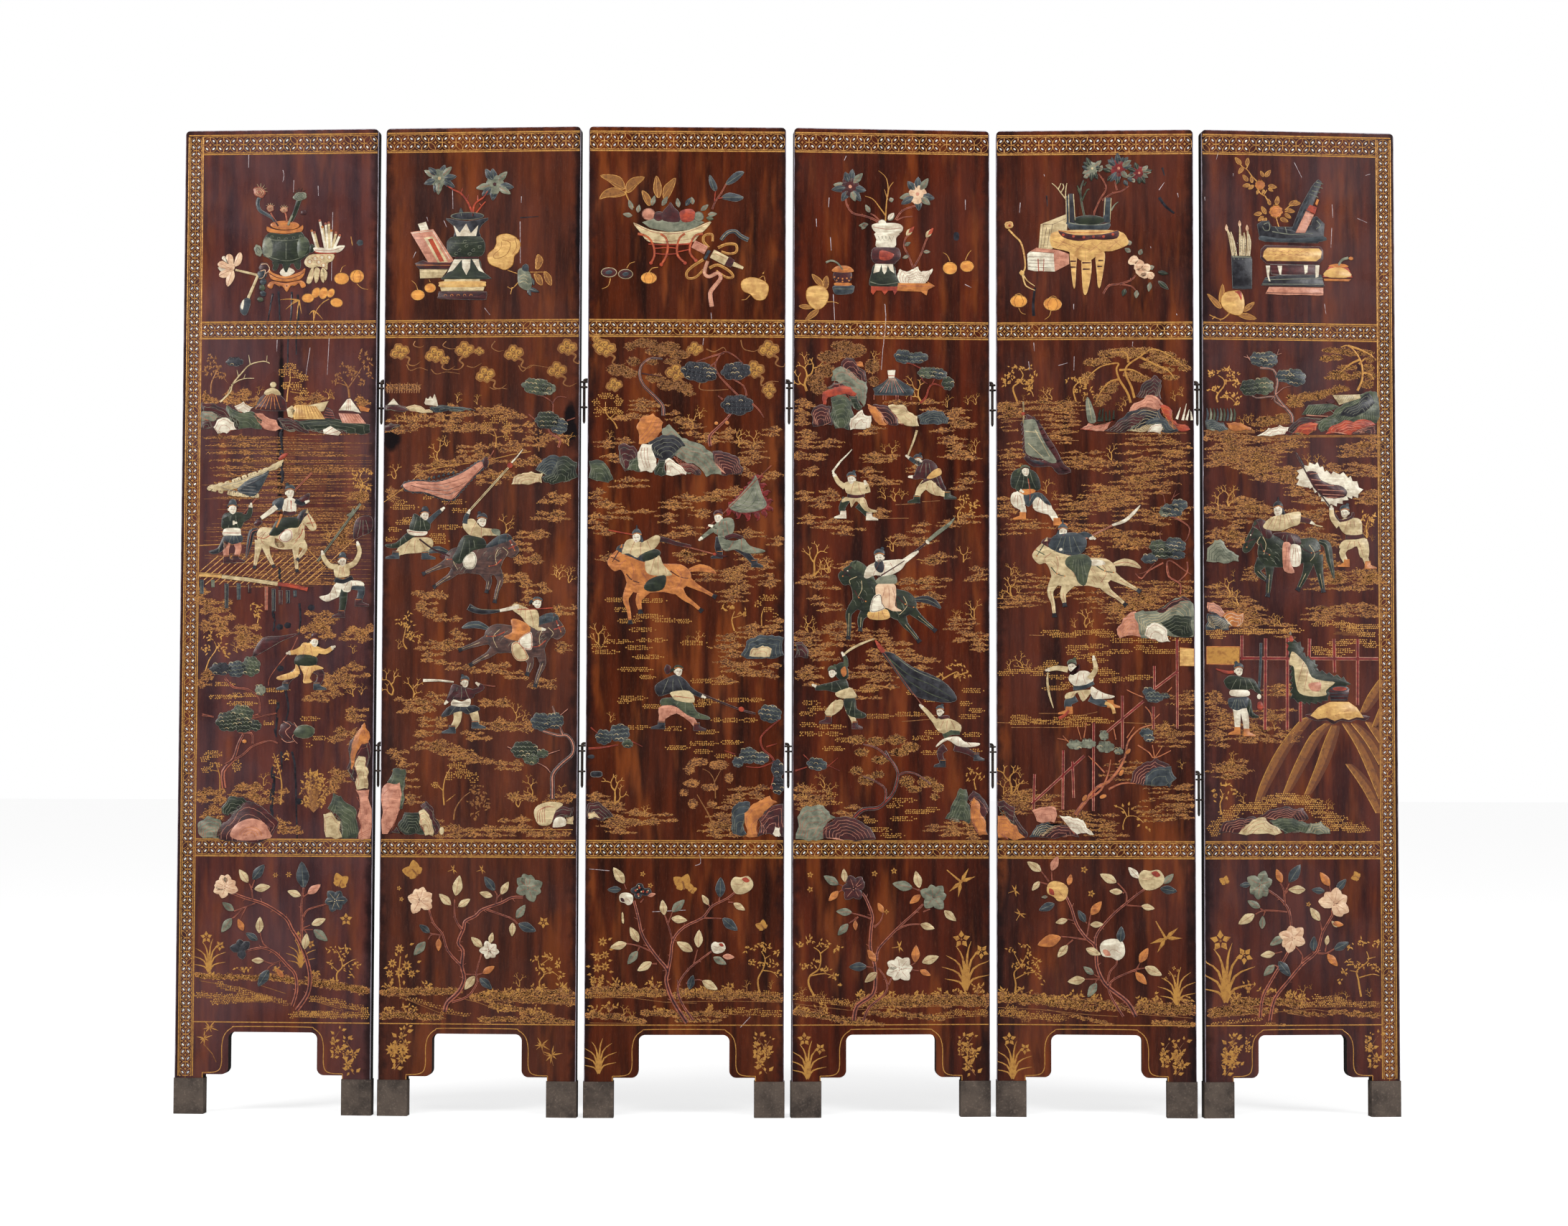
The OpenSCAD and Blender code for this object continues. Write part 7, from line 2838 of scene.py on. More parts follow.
def far_bank_2(plane: LeafPlane) -> None:
    """Gilds leaf 2's far bank."""
    gilt = Gilding(plane, "far_bank_2", 45)
    for k in range(14):
        x0 = 6 + k * 4.6
        gilt.stroke(Tint.DULL, [(x0, 1334), (x0 + 1, 1346 + 9 * math.sin(k * 1.7))], 1.6, 0.6)
        gilt.crown(Mark.TICK, x0, 1344, 3, 8, Tint.DULL)
    for spot, breadth in (
        ((61, 1290), 90), ((45, 1271), 90), ((124, 1303), 60), ((187, 1303), 80), ((235, 1297), 60),
        ((172, 1271), 100), ((244, 1271), 60), ((108, 1284), 70), ((163, 1231), 60), ((125, 1206), 60),
        ((100, 1196), 60), ((188, 1215), 80), ((235, 1234), 60), ((283, 1246), 60), ((71, 1187), 40),
        ((188, 1177), 60), ((226, 1187), 60), ((325, 1140), 60), ((299, 1109), 70), ((284, 1074), 70),
        ((268, 1052), 50), ((265, 1027), 60), ((24, 1149), 30), ((340, 1253), 30), ((283, 1206), 60)
    ):
        gilt.drift(*spot, breadth, 2)
    for spot, high in (
        ((138, 1315), 22), ((175, 1312), 20), ((22, 1174), 34), ((39, 1284), 24), ((26, 1278), 20),
        ((58, 1281), 20)
    ):
        gilt.shrub(*spot, high)
    gilt.tree(
        Mark.DOT,
        [[(210, 1231), (211, 1250), (207, 1262)], [(208, 1253), (197, 1259)], [(210, 1250), (226, 1253)]],
        [
            ((216, 1284), 17, 8), ((194, 1275), 11, 8), ((232, 1271), 8, 9), ((188, 1262), 8, 5),
            ((232, 1253), 8, 10)
        ],
        2.6
    )
    gilt.tree(
        Mark.LEAF, [[(291, 1224), (289, 1240), (279, 1250)], [(290, 1240), (302, 1246)]],
        [((279, 1259), 14, 8), ((270, 1246), 8, 6), ((302, 1246), 10, 8)], 2.8, Tint.DULL
    )
    gilt.shrub(103, 1207, 40, 0.1)
    gilt.shrub(118, 1234, 26, 0.4)
    gilt.shrub(346, 1234, 26)
    for spot, rx in (
        ((31, 1131), 14), ((84, 1140), 11), ((132, 1131), 24), ((40, 1121), 28), ((145, 1115), 18),
        ((40, 1093), 18), ((22, 1080), 13), ((123, 1084), 26), ((104, 1068), 18), ((107, 1058), 18),
        ((15, 1062), 12), ((47, 1098), 12)
    ):
        gilt.crown(Mark.DOT, *spot, rx, 5, Tint.GOLD)
    gilt.shrub(230, 1073, 34)
    gilt.shrub(326, 990, 30)
    gilt.stroke(Tint.GOLD, [(2, 1131), (46, 1162), (74, 1187), (125, 1198), (163, 1203)], 1.3, steps=3)
    gilt.stroke(Tint.GOLD, [(201, 1209), (239, 1218), (276, 1224)], 1.3)
    gilt.build("front_lacquer")


def shore_2(plane: LeafPlane) -> None:
    """Cuts leaf 2's shore."""
    work = Treasures(plane, "shore_2", 46)
    work.rock(Tint.WINE, [(2, 1311), (16, 1313), (38, 1309), (49, 1303), (2, 1303)], 1, 1)
    work.rock(Tint.BONE, [(40, 1307), (70, 1309), (92, 1300), (92, 1297), (50, 1300)], 2, 1)
    work.rock(Tint.SLATE, [(86, 1307), (108, 1311), (143, 1307), (171, 1300), (143, 1299), (95, 1298)], 3, 2)
    work.cut(Tint.IVORY, [(7, 1312), (18, 1324), (28, 1312)], 1.6)
    work.cut(
        Tint.IVORY,
        [
            (76, 1315), (79, 1325), (83, 1322), (87, 1328), (91, 1323), (95, 1332), (98, 1325), (102, 1309),
            (78, 1312)
        ],
        1.7
    )
    work.rock(Tint.WINE, [(1, 1273), (13, 1278), (32, 1273), (13, 1265), (1, 1265)], 4, 1)
    work.pine(
        [
            [(327, 1231), (330, 1246), (311, 1259), (308, 1271)],
            [(316, 1290), (317, 1306), (315, 1315), (301, 1325), (288, 1328)],
            [(315, 1312), (325, 1325), (342, 1324)], [(343, 1281), (358, 1286)], [(271, 1293), (286, 1281)]
        ],
        [
            (Tint.MOSS, (288, 1344), 24, 12), (Tint.SAGE, (307, 1340), 12, 9),
            (Tint.JADE, (306, 1282), 18, 13), (Tint.SLATE, (328, 1271), 13, 12)
        ],
        4.4
    )
    work.rock(
        Tint.SLATE,
        [(285, 1190), (299, 1209), (318, 1217), (330, 1212), (331, 1187), (312, 1177), (296, 1187)], 5, 5
    )
    work.rock(
        Tint.JADE,
        [
            (324, 1209), (340, 1215), (362, 1203), (364, 1177), (343, 1168), (318, 1163), (302, 1167),
            (297, 1176), (315, 1184)
        ],
        6, 4, 1.7
    )
    work.rock(
        Tint.BONE,
        [(240, 1163), (245, 1177), (258, 1182), (277, 1187), (299, 1184), (297, 1165), (271, 1162)], 7, 3, 1.6
    )
    work.build("inlay_stone", plane.inlays)


# The running bannerman, two galloping riders and a swordsman.


def bannerman_2(plane: LeafPlane) -> None:
    """Cuts leaf 2's bannerman."""
    work = Treasures(plane, "bannerman_2", 47)
    work.fringe(
        Tint.INK,
        [
            (37, 1163), (62, 1170), (100, 1168), (131, 1177), (157, 1190), (182, 1206), (188, 1196),
            (163, 1171), (144, 1149), (129, 1135), (103, 1140), (78, 1149), (49, 1151)
        ],
        3.4
    )
    work.banner(
        Tint.ROSE,
        [
            (37, 1163), (62, 1170), (100, 1168), (131, 1177), (157, 1190), (182, 1206), (188, 1196),
            (163, 1171), (144, 1149), (129, 1135), (103, 1140), (78, 1149), (49, 1151)
        ],
        Tint.INK, [(141, 1146), (125, 1135), (94, 1143), (62, 1151)], 8, 6
    )
    for line in (
        [(52, 1162), (94, 1152), (132, 1156), (157, 1168)], [(87, 1143), (125, 1146), (151, 1156)],
        [(62, 1165), (109, 1163), (157, 1177)]
    ):
        work.score(line, 1.0, Tint.WINE, 1.57, steps=3)
    for k in range(6):
        work.cut(
            Tint.SLATE,
            place([(-3, -2), (3, -2), (1.5, 4), (-1, 2)], *place([(86, 1174)], k * 9.0, k * 2.2)[0]), 1.6
        )
    work.smooth(Tint.WINE, [(185, 1206), (193, 1214), (197, 1203), (191, 1192)], 1.6)
    work.pole([(116, 1124), (132, 1138), (188, 1199), (207, 1226)], 1.8)
    work.leg(Tint.BONE, [(53, 1055), (38, 1043), (25, 1033)], 17, Tint.SLATE, -1)
    work.leg(Tint.BONE, [(72, 1049), (82, 1043), (80, 1032)], 17, Tint.SLATE)
    work.cloth(
        Tint.BONE,
        [(47, 1062), (63, 1065), (91, 1063), (93, 1046), (73, 1037), (47, 1035), (32, 1033), (28, 1044)], 1.4
    )
    work.cloth(
        Tint.JADE, [(47, 1074), (60, 1068), (47, 1057), (28, 1046), (9, 1047), (6, 1052), (25, 1055)], 1.5
    )
    work.cloth(
        Tint.JADE, [(59, 1109), (72, 1102), (88, 1093), (85, 1077), (56, 1076), (50, 1084), (55, 1099)], 1.7
    )
    work.smooth(Tint.IVORY, [(46, 1080), (63, 1077), (83, 1076), (80, 1069), (63, 1068), (49, 1071)], 1.85)
    work.score([(49, 1076), (82, 1073)], 1.2, Tint.CORAL, 1.87)
    work.arm(Tint.SLATE, [(85, 1093), (97, 1105), (110, 1116)], 10)
    work.pole([(69, 1062), (95, 1043), (126, 1030)], 3.4, Tint.WINE)
    work.smooth(Tint.WINE, [(107, 1030), (114, 1033), (118, 1029), (114, 1024)], 1.7)
    work.head(79, 1105, Hat.BRIM, Tint.INK, 1, size=0.95)
    work.build("inlay_stone", plane.inlays)


def rider_2a(plane: LeafPlane) -> None:
    """Cuts leaf 2's first rider."""
    work = Treasures(plane, "rider_2a", 48)
    work.pole([(161, 1113), (236, 1196)], 3.8, Tint.BONE)
    work.cut(Tint.CORAL, ellipse(237, 1198, 5.4, n=12), 1.85)
    work.limb(Tint.IVORY, [(240, 1203), (251, 1215), (261, 1228)], [3.4, 1], 1.6)
    work.limb(Tint.IVORY, [(117, 1027), (145, 1037), (170, 1040)], [3, 3], 1)
    work.horse(171, 1024, 0.92, 1, Tint.UMBER, Tint.SLATE, run=True, turn=4)
    work.cloth(
        Tint.JADE,
        [
            (154, 1068), (170, 1068), (189, 1062), (193, 1046), (170, 1040), (158, 1027), (145, 1015),
            (130, 1024), (139, 1043), (145, 1058)
        ],
        1.8
    )
    work.cloth(
        Tint.IVORY, [(158, 1033), (170, 1038), (177, 1024), (171, 1007), (155, 1008), (150, 1021)], 1.86,
        Tint.SAGE, 0
    )
    work.cloth(
        Tint.BONE,
        [
            (154, 1096), (170, 1099), (183, 1084), (208, 1080), (219, 1073), (214, 1068), (189, 1068),
            (183, 1062), (164, 1068), (150, 1084)
        ],
        1.7
    )
    work.arm(Tint.SLATE, [(154, 1090), (156, 1102), (160, 1110)], 10)
    work.smooth(Tint.SAGE, [(203, 1080), (218, 1079), (219, 1068), (207, 1071)], 1.8)
    work.head(186, 1094, Hat.CAP, Tint.INK, 1, size=1.05)
    work.build("inlay_stone", plane.inlays)


def rider_2b(plane: LeafPlane) -> None:
    """Cuts leaf 2's second rider."""
    work = Treasures(plane, "rider_2b", 49)
    work.horse(250, 878, 1, 1, Tint.UMBER, Tint.SLATE, run=True)
    work.smooth(
        Tint.APRICOT, [(241, 912), (256, 912), (278, 898), (270, 878), (250, 873), (227, 881), (243, 890)],
        1.75
    )
    work.cloth(
        Tint.IVORY, [(270, 888), (280, 888), (282, 865), (277, 856), (260, 861), (255, 875)], 1.8, Tint.CORAL,
        0
    )
    work.cloth(
        Tint.BONE, [(243, 868), (256, 871), (274, 846), (270, 837), (253, 837), (243, 851)], 1.85, Tint.CORAL,
        0
    )
    work.cloth(
        Tint.BONE,
        [
            (259, 939), (276, 932), (290, 929), (294, 905), (287, 895), (270, 905), (259, 919), (242, 932),
            (247, 942)
        ],
        1.75
    )
    work.arm(Tint.BONE, [(287, 912), (289, 897), (299, 895)], 10)
    work.limb(Tint.IVORY, [(256, 937), (235, 932), (220, 929)], [8, 5], 1.8)
    work.limb(Tint.INK, [(220, 929), (205, 927), (188, 927), (174, 930), (162, 936)], [4, 12], 1.6)
    work.score([(220, 930), (188, 931), (166, 935)], 1.1, Tint.SAGE, 1.62)
    work.limb(Tint.CORAL, [(253, 931), (283, 932), (319, 934)], [1.8, 1.8], 1.85)
    work.head(290, 942, Hat.WRAP, Tint.SLATE, 1)
    work.build("inlay_stone", plane.inlays)


def swordsman_2(plane: LeafPlane) -> None:
    """Cuts leaf 2's swordsman."""
    work = Treasures(plane, "swordsman_2", 50)
    work.leg(Tint.BONE, [(143, 743), (142, 726), (133, 710)], 17, Tint.SLATE, -1)
    work.leg(Tint.BONE, [(172, 743), (177, 727), (176, 719)], 17, Tint.SLATE)
    work.cloth(
        Tint.INK,
        [(131, 754), (165, 754), (176, 753), (184, 746), (162, 738), (148, 743), (121, 734), (113, 736)], 1.5
    )
    work.cloth(
        Tint.WINE,
        [(134, 793), (151, 788), (172, 783), (175, 777), (167, 766), (135, 765), (123, 763), (128, 780)], 1.7
    )
    work.smooth(Tint.IVORY, [(135, 765), (150, 761), (166, 767), (165, 753), (152, 751), (131, 754)], 1.85)
    work.score([(133, 758), (165, 759)], 1.2, Tint.WINE, 1.87)
    work.arm(Tint.WINE, [(141, 780), (131, 770), (123, 761)], 10)
    work.arm(Tint.WINE, [(162, 777), (175, 780), (189, 787), (182, 792)], 10)
    work.limb(Tint.IVORY, [(135, 797), (107, 800), (78, 800)], [3, 5.4], 1.7)
    work.score([(134, 797), (81, 800)], 0.8, Tint.SAGE, 1.72)
    work.pole([(189, 792), (213, 789)], 2.4)
    work.head(156, 795, Hat.CAP, Tint.SLATE, 1, size=0.9)
    work.build("inlay_stone", plane.inlays)


# The lower garden: moss, gilt trees, the pine and the rocks.


def garden_gilt_2(plane: LeafPlane) -> None:
    """Gilds leaf 2's garden gilt."""
    gilt = Gilding(plane, "garden_gilt_2", 51)
    for spot, breadth in (
        ((95, 963), 60), ((92, 939), 60), ((113, 919), 60), ((100, 868), 60), ((147, 888), 40),
        ((134, 868), 40), ((90, 848), 40), ((134, 831), 60), ((209, 824), 70), ((243, 814), 60),
        ((305, 797), 50), ((259, 993), 60), ((276, 973), 60), ((269, 949), 50), ((331, 932), 50),
        ((338, 865), 30), ((100, 770), 60), ((56, 763), 60), ((84, 749), 80), ((84, 726), 60),
        ((84, 705), 50), ((115, 685), 80), ((142, 672), 80), ((176, 655), 80), ((231, 648), 60),
        ((203, 763), 60), ((210, 719), 80), ((183, 702), 60), ((254, 719), 50), ((33, 665), 40),
        ((51, 644), 40), ((58, 614), 40), ((61, 583), 40), ((109, 539), 50), ((126, 523), 60),
        ((265, 590), 50), ((333, 587), 60), ((262, 539), 70), ((211, 524), 120), ((300, 523), 90)
    ):
        gilt.drift(*spot, breadth, 2)
    gilt.tree(
        Mark.LEAF, [[(47, 858), (40, 871), (43, 888), (46, 909)], [(41, 885), (59, 888), (69, 892)]],
        [((48, 922), 5, 6), ((34, 909), 9, 5), ((50, 902), 9, 8), ((52, 881), 10, 9), ((69, 881), 5, 10)], 2.6
    )
    for spot, high, lean in (
        ((32, 858), 22, 0), ((20, 773), 48, 0.1), ((60, 768), 42, 0.1), ((251, 726), 34, 0),
        ((264, 726), 24, -0.4), ((331, 986), 28, 0), ((348, 980), 30, 0), ((282, 587), 38, 0.1),
        ((257, 567), 34, 0.3), ((337, 594), 20, 0)
    ):
        gilt.shrub(*spot, high, lean)
    gilt.tree(
        Mark.DOT,
        [
            [(119, 570), (117, 597), (121, 621), (132, 641)], [(117, 597), (100, 611)],
            [(123, 577), (140, 590)]
        ],
        [
            ((142, 643), 18, 7), ((153, 628), 16, 9), ((173, 621), 10, 10), ((129, 624), 10, 8),
            ((102, 607), 8, 6)
        ],
        2.8
    )
    gilt.tree(
        Mark.LEAF, [[(137, 543), (140, 563), (153, 583), (167, 594)]],
        [
            ((177, 600), 15, 8), ((191, 583), 14, 9), ((174, 573), 14, 8), ((177, 553), 8, 7),
            ((198, 567), 8, 8)
        ],
        3, Tint.DULL
    )
    gilt.stroke(Tint.GOLD, [(164, 524), (245, 526), (358, 526)], 1.3)
    gilt.build("front_lacquer")


def pine_2(plane: LeafPlane) -> None:
    """Cuts leaf 2's pine."""
    work = Treasures(plane, "pine_2", 52)
    work.pine(
        [
            [
                (320, 583), (320, 607), (321, 628), (338, 648), (357, 665), (357, 685), (346, 699),
                (329, 699), (302, 707)
            ],
            [(316, 631), (307, 641), (287, 651)], [(312, 665), (333, 672)], [(339, 699), (319, 753)],
            [(329, 732), (348, 748)], [(236, 678), (255, 670)]
        ],
        [
            (Tint.SLATE, (298, 724), 15, 13), (Tint.SLATE, (324, 726), 13, 12),
            (Tint.JADE, (268, 672), 20, 13), (Tint.MOSS, (280, 655), 12, 8), (Tint.MOSS, (301, 665), 9, 6)
        ],
        8, Tint.WINE
    )
    work.build("inlay_stone", plane.inlays)


def rocks_2(plane: LeafPlane) -> None:
    """Cuts leaf 2's rocks."""
    work = Treasures(plane, "rocks_2", 53)
    work.rock(Tint.MOSS, [(13, 612), (23, 636), (46, 636), (46, 607), (41, 563), (34, 561), (37, 607)], 1, 3)
    work.rock(
        Tint.ROSE, [(3, 600), (17, 611), (36, 612), (38, 573), (31, 546), (14, 517), (4, 517)], 2, 2, 1.7
    )
    work.rock(Tint.JADE, [(33, 533), (46, 556), (72, 556), (82, 536), (82, 516), (47, 516)], 3, 5)
    work.rock(Tint.WINE, [(75, 570), (85, 577), (99, 563), (111, 533), (104, 516), (96, 539)], 4, 2)
    work.rock(Tint.BONE, [(72, 558), (82, 563), (96, 543), (99, 514), (84, 514)], 5, 3, 1.7)
    work.rock(Tint.WINE, [(18, 517), (31, 531), (43, 516)], 8, 1)
    work.cut(Tint.BONE, ellipse(115, 523, 4.4, 7.4, 0, 10), 1.5)
    work.smooth(
        Tint.BONE, [(286, 556), (293, 570), (316, 577), (340, 573), (327, 560), (317, 536), (295, 535)], 1.6
    )
    for k in range(4):
        work.score(
            [(293 + k * 4.6, 539), (294 + k * 4.2, 560 + 2.0 * k), (313 + k * 4, 570 - k)], 1.1, Tint.BARK,
            1.62, steps=3
        )
    work.rock(
        Tint.WINE, [(315, 546), (323, 560), (340, 568), (359, 567), (357, 553), (337, 550), (317, 538)], 6, 2
    )
    work.smooth(Tint.IVORY, [(321, 533), (325, 546), (334, 550), (345, 545), (344, 533), (324, 530)], 1.75)
    work.rock(Tint.BONE, [(346, 548), (359, 551), (359, 536), (346, 537)], 7, 1)
    work.build("inlay_stone", plane.inlays)


# ---------------------------------------------------------------- leaf 3


# The boat-shaped bowl of fruit, the tied scroll and gilt fruit.


def fruit_bowl_3(plane: LeafPlane) -> None:
    """Cuts leaf 3's fruit bowl."""
    work = Treasures(plane, "fruit_bowl_3", 61)
    for spot, turn, long, tint in (
        ((81, 1674), 110, 20, Tint.SAGE), ((81, 1663), 170, 18, Tint.SAGE), ((91, 1669), 80, 15, Tint.SAGE),
        ((117, 1682), 75, 20, Tint.SAGE), ((136, 1682), 60, 20, Tint.SAGE), ((167, 1679), 100, 18, Tint.SAGE),
        ((180, 1682), 60, 18, Tint.SLATE), ((193, 1685), 100, 14, Tint.SAGE),
        ((208, 1673), 40, 18, Tint.SAGE), ((221, 1666), 5, 17, Tint.SAGE), ((218, 1660), -10, 14, Tint.MOSS)
    ):
        work.leaf(tint, *spot, long, 9, turn, 1.3)
    work.fruit(Tint.ROSE, 111, 1666, 12.5, 0.9)
    work.fruit(Tint.WINE, 130, 1662, 10, 0.9, 20)
    work.smooth(
        Tint.WINE,
        [(138, 1654), (136, 1668), (147, 1682), (152, 1688), (158, 1679), (168, 1669), (168, 1652)], 1.6
    )
    work.smooth(
        Tint.CORAL, [(168, 1669), (180, 1676), (193, 1675), (198, 1666), (193, 1654), (174, 1652)], 1.65
    )
    work.fruit(Tint.SAGE, 204, 1662, 9.5, 1)
    work.cut(
        Tint.SAGE,
        [
            (99, 1651), (124, 1659), (161, 1655), (193, 1657), (215, 1652), (193, 1638), (149, 1633),
            (114, 1640)
        ],
        1.2
    )
    work.smooth(
        Tint.BONE,
        [
            (83, 1650), (114, 1637), (149, 1633), (186, 1637), (225, 1653), (221, 1643), (204, 1626),
            (190, 1613), (149, 1611), (111, 1615), (96, 1632)
        ],
        1.7
    )
    work.score(
        [(85, 1648), (114, 1634), (149, 1629), (190, 1635), (222, 1650)], 1.2, Tint.BARK, 1.72, steps=3
    )
    work.score([(105, 1619), (149, 1615), (193, 1621)], 0.9, Tint.BARK, 1.72, steps=3)
    work.build("inlay_stone", plane.inlays)


def bowl_stand_3(plane: LeafPlane) -> None:
    """Cuts leaf 3's bowl stand."""
    work = Treasures(plane, "bowl_stand_3", 62)
    for leg in (
        [(91, 1629), (102, 1627), (114, 1619), (121, 1604), (122, 1588), (116, 1575)],
        [(133, 1629), (143, 1622), (147, 1607), (144, 1588), (135, 1572)],
        [(179, 1630), (169, 1622), (164, 1604), (166, 1588), (179, 1575)],
        [(212, 1630), (199, 1627), (190, 1613), (188, 1594), (199, 1580)]
    ):
        work.limb(Tint.CORAL, leg, [5, 4], 1.8)
        work.score(leg, 0.9, Tint.APRICOT, 1.82, steps=3)
        work.cut(Tint.CORAL, ellipse(*leg[-1], 3.4, n=9), 1.86)
    for bar in (
        [(121, 1602), (149, 1604), (165, 1602)], [(122, 1593), (144, 1591), (166, 1593)],
        [(166, 1610), (190, 1613)], [(166, 1596), (190, 1601)], [(136, 1610), (162, 1610)],
        [(111, 1610), (149, 1609), (190, 1611)]
    ):
        work.limb(Tint.CORAL, bar, [2.2, 2.2], 1.4)
    work.build("inlay_stone", plane.inlays)


def scroll_3(plane: LeafPlane) -> None:
    """Cuts leaf 3's scroll."""
    work = Treasures(plane, "scroll_3", 63)
    work.limb(Tint.ROSE, [(194, 1611), (218, 1599)], [15, 16], 1.5)
    work.limb(Tint.BONE, [(229, 1593), (256, 1579)], [17, 17], 1.55)
    work.limb(Tint.WINE, [(257, 1580), (267, 1574)], [17, 15], 1.6)
    work.limb(Tint.BONE, [(268, 1574), (287, 1566)], [9, 5], 1.5)
    work.limb(Tint.SLATE, [(215, 1582), (220, 1591), (224, 1599)], [5, 6], 1.7)
    work.score([(199, 1615), (218, 1604)], 0.9, Tint.CORAL, 1.52)
    work.score([(234, 1594), (256, 1583)], 0.9, Tint.CORAL, 1.57)
    work.swirl(Tint.SLATE, [(246, 1619), (257, 1632), (271, 1635), (282, 1626), (296, 1619)], 6, 8)
    work.swirl(
        Tint.ROSE,
        [
            (221, 1579), (215, 1557), (224, 1550), (240, 1557), (245, 1547), (234, 1532), (226, 1519),
            (229, 1494)
        ],
        6, 8
    )
    for loop in (
        [(223, 1604), (213, 1616), (215, 1627), (229, 1629), (230, 1616)],
        [(240, 1604), (256, 1611), (273, 1610), (274, 1597), (262, 1593), (246, 1597)],
        [(213, 1582), (193, 1569), (182, 1557), (185, 1547), (199, 1549), (213, 1563)],
        [(224, 1566), (240, 1572), (262, 1560), (268, 1550), (256, 1549), (237, 1561)]
    ):
        work.stroke(Tint.GOLD, loop, 5.4, 4, 0.1, 0.6, 4)
        work.stroke(Tint.DULL, loop, 1.4, 1, 0.75, 0.2, 4)
    work.build("inlay_stone", plane.inlays)


def sprays_3(plane: LeafPlane) -> None:
    """Cuts leaf 3's sprays."""
    work = Treasures(plane, "sprays_3", 64)
    work.branch([(229, 1676), (235, 1691), (246, 1707), (255, 1724)], 3, 2, False)
    work.limb(Tint.CORAL, [(233, 1690), (235, 1710)], [2, 1.6])
    work.limb(Tint.CORAL, [(240, 1696), (249, 1698)], [2, 1.6])
    for leaf in (
        [(233, 1710), (224, 1723), (224, 1740), (233, 1729), (238, 1716)],
        [(254, 1723), (261, 1735), (274, 1746), (288, 1746), (277, 1732), (265, 1724)],
        [(246, 1698), (261, 1707), (287, 1699), (274, 1691), (255, 1694)]
    ):
        work.smooth(Tint.SLATE, leaf, 1.4)
        work.score([leaf[0], leaf[len(leaf) // 2]], 0.9, Tint.SAGE, 1.42)
    work.stroke(Tint.GOLD, [(67, 1710), (73, 1694), (84, 1678)], 2.6, 1.6, steps=3)
    for leaf in (
        [(67, 1713), (51, 1716), (37, 1727), (21, 1738), (45, 1739), (61, 1732)],
        [(70, 1707), (70, 1723), (82, 1734), (103, 1735), (89, 1720), (79, 1709)],
        [(69, 1704), (51, 1698), (33, 1698), (20, 1694), (29, 1709), (48, 1715)],
        [(111, 1682), (102, 1694), (99, 1710), (111, 1702), (116, 1688)],
        [(127, 1698), (120, 1713), (125, 1738), (134, 1720), (133, 1701)],
        [(138, 1698), (139, 1716), (148, 1726), (161, 1734), (156, 1713), (145, 1694)]
    ):
        work.painted(leaf)
    work.build("inlay_stone", plane.inlays)


def gilt_fruit_3(plane: LeafPlane) -> None:
    """Cuts leaf 3's gilt fruit."""
    work = Treasures(plane, "gilt_fruit_3", 65)
    for spot, rx in (((38, 1557), 14), ((69, 1554), 13)):
        work.cut(Tint.WINE, ellipse(*spot, rx, 8.4, 0, 16), 0.9)
        ring = ellipse(*spot, rx, 8.4, 0, 16)
        work.stroke(Tint.BONE, ring + ring[:1], 1.8, high=1.0)
        work.cut(Tint.SLATE, ellipse(*spot, rx * 0.5, 4, 10, 10), 1.1)
    work.stroke(Tint.GOLD, [(71, 1565), (77, 1574), (86, 1577)], 1.6, 0.8, steps=3)
    work.stroke(Tint.GOLD, [(41, 1546), (37, 1532), (25, 1526)], 1.6, 0.8, steps=3)
    work.gilt_fruit(112, 1547, 14, 0.72, lobed=True)
    work.stroke(Tint.GOLD, [(112, 1557), (118, 1565), (129, 1567)], 2, 1, steps=3)
    pear = spline(
        [
            (284, 1541), (300, 1549), (322, 1544), (334, 1532), (328, 1510), (312, 1507), (300, 1518),
            (286, 1525)
        ],
        3, closed=True
    )
    work.cut(Tint.HONEY, pear, 0.8)
    work.stroke(Tint.GOLD, pear + pear[:1], 1.4, high=0.9)
    work.stroke(Tint.GOLD, [(317, 1547), (325, 1552), (328, 1541)], 1.4, 0.8, steps=3)
    work.blade(Tint.GOLD, 323, 1555, 6, 3, 60)
    work.stroke(Tint.GOLD, [(300, 1516), (292, 1508), (284, 1507)], 1.6, 0.8, steps=3)
    for run in ([(228, 1483), (229, 1466)], [(214, 1435), (213, 1422)]):
        work.crack(run, 1.1)
    work.build("inlay_stone")


# Clouds, the red-stemmed gilt tree, the ink pine and the island.


def clouds_3(plane: LeafPlane) -> None:
    """Gilds leaf 3's clouds."""
    gilt = Gilding(plane, "clouds_3", 66)
    for spot, turn, flip in (
        ((33, 1415), 10, 1), ((15, 1427), 0, 0), ((198, 1415), 10, 0), ((163, 1371), 0, 1),
        ((49, 1347), 15, 0), ((335, 1415), 10, 1), ((308, 1377), 10, 1), ((336, 1339), 90, 0)
    ):
        gilt.cloud(*spot, 10 if flip else 8, turn, flip * 0.8)
    for line in (
        [(219, 1415), (234, 1410), (250, 1418), (256, 1411)],
        [(283, 1432), (288, 1416), (306, 1411), (316, 1415)],
        [(208, 1353), (207, 1341), (225, 1338), (260, 1340)],
        [(322, 1366), (321, 1347), (335, 1355), (353, 1355)]
    ):
        gilt.stroke(Tint.DULL, line, 2.2, 0.8, steps=4)
    gilt.build("front_lacquer")


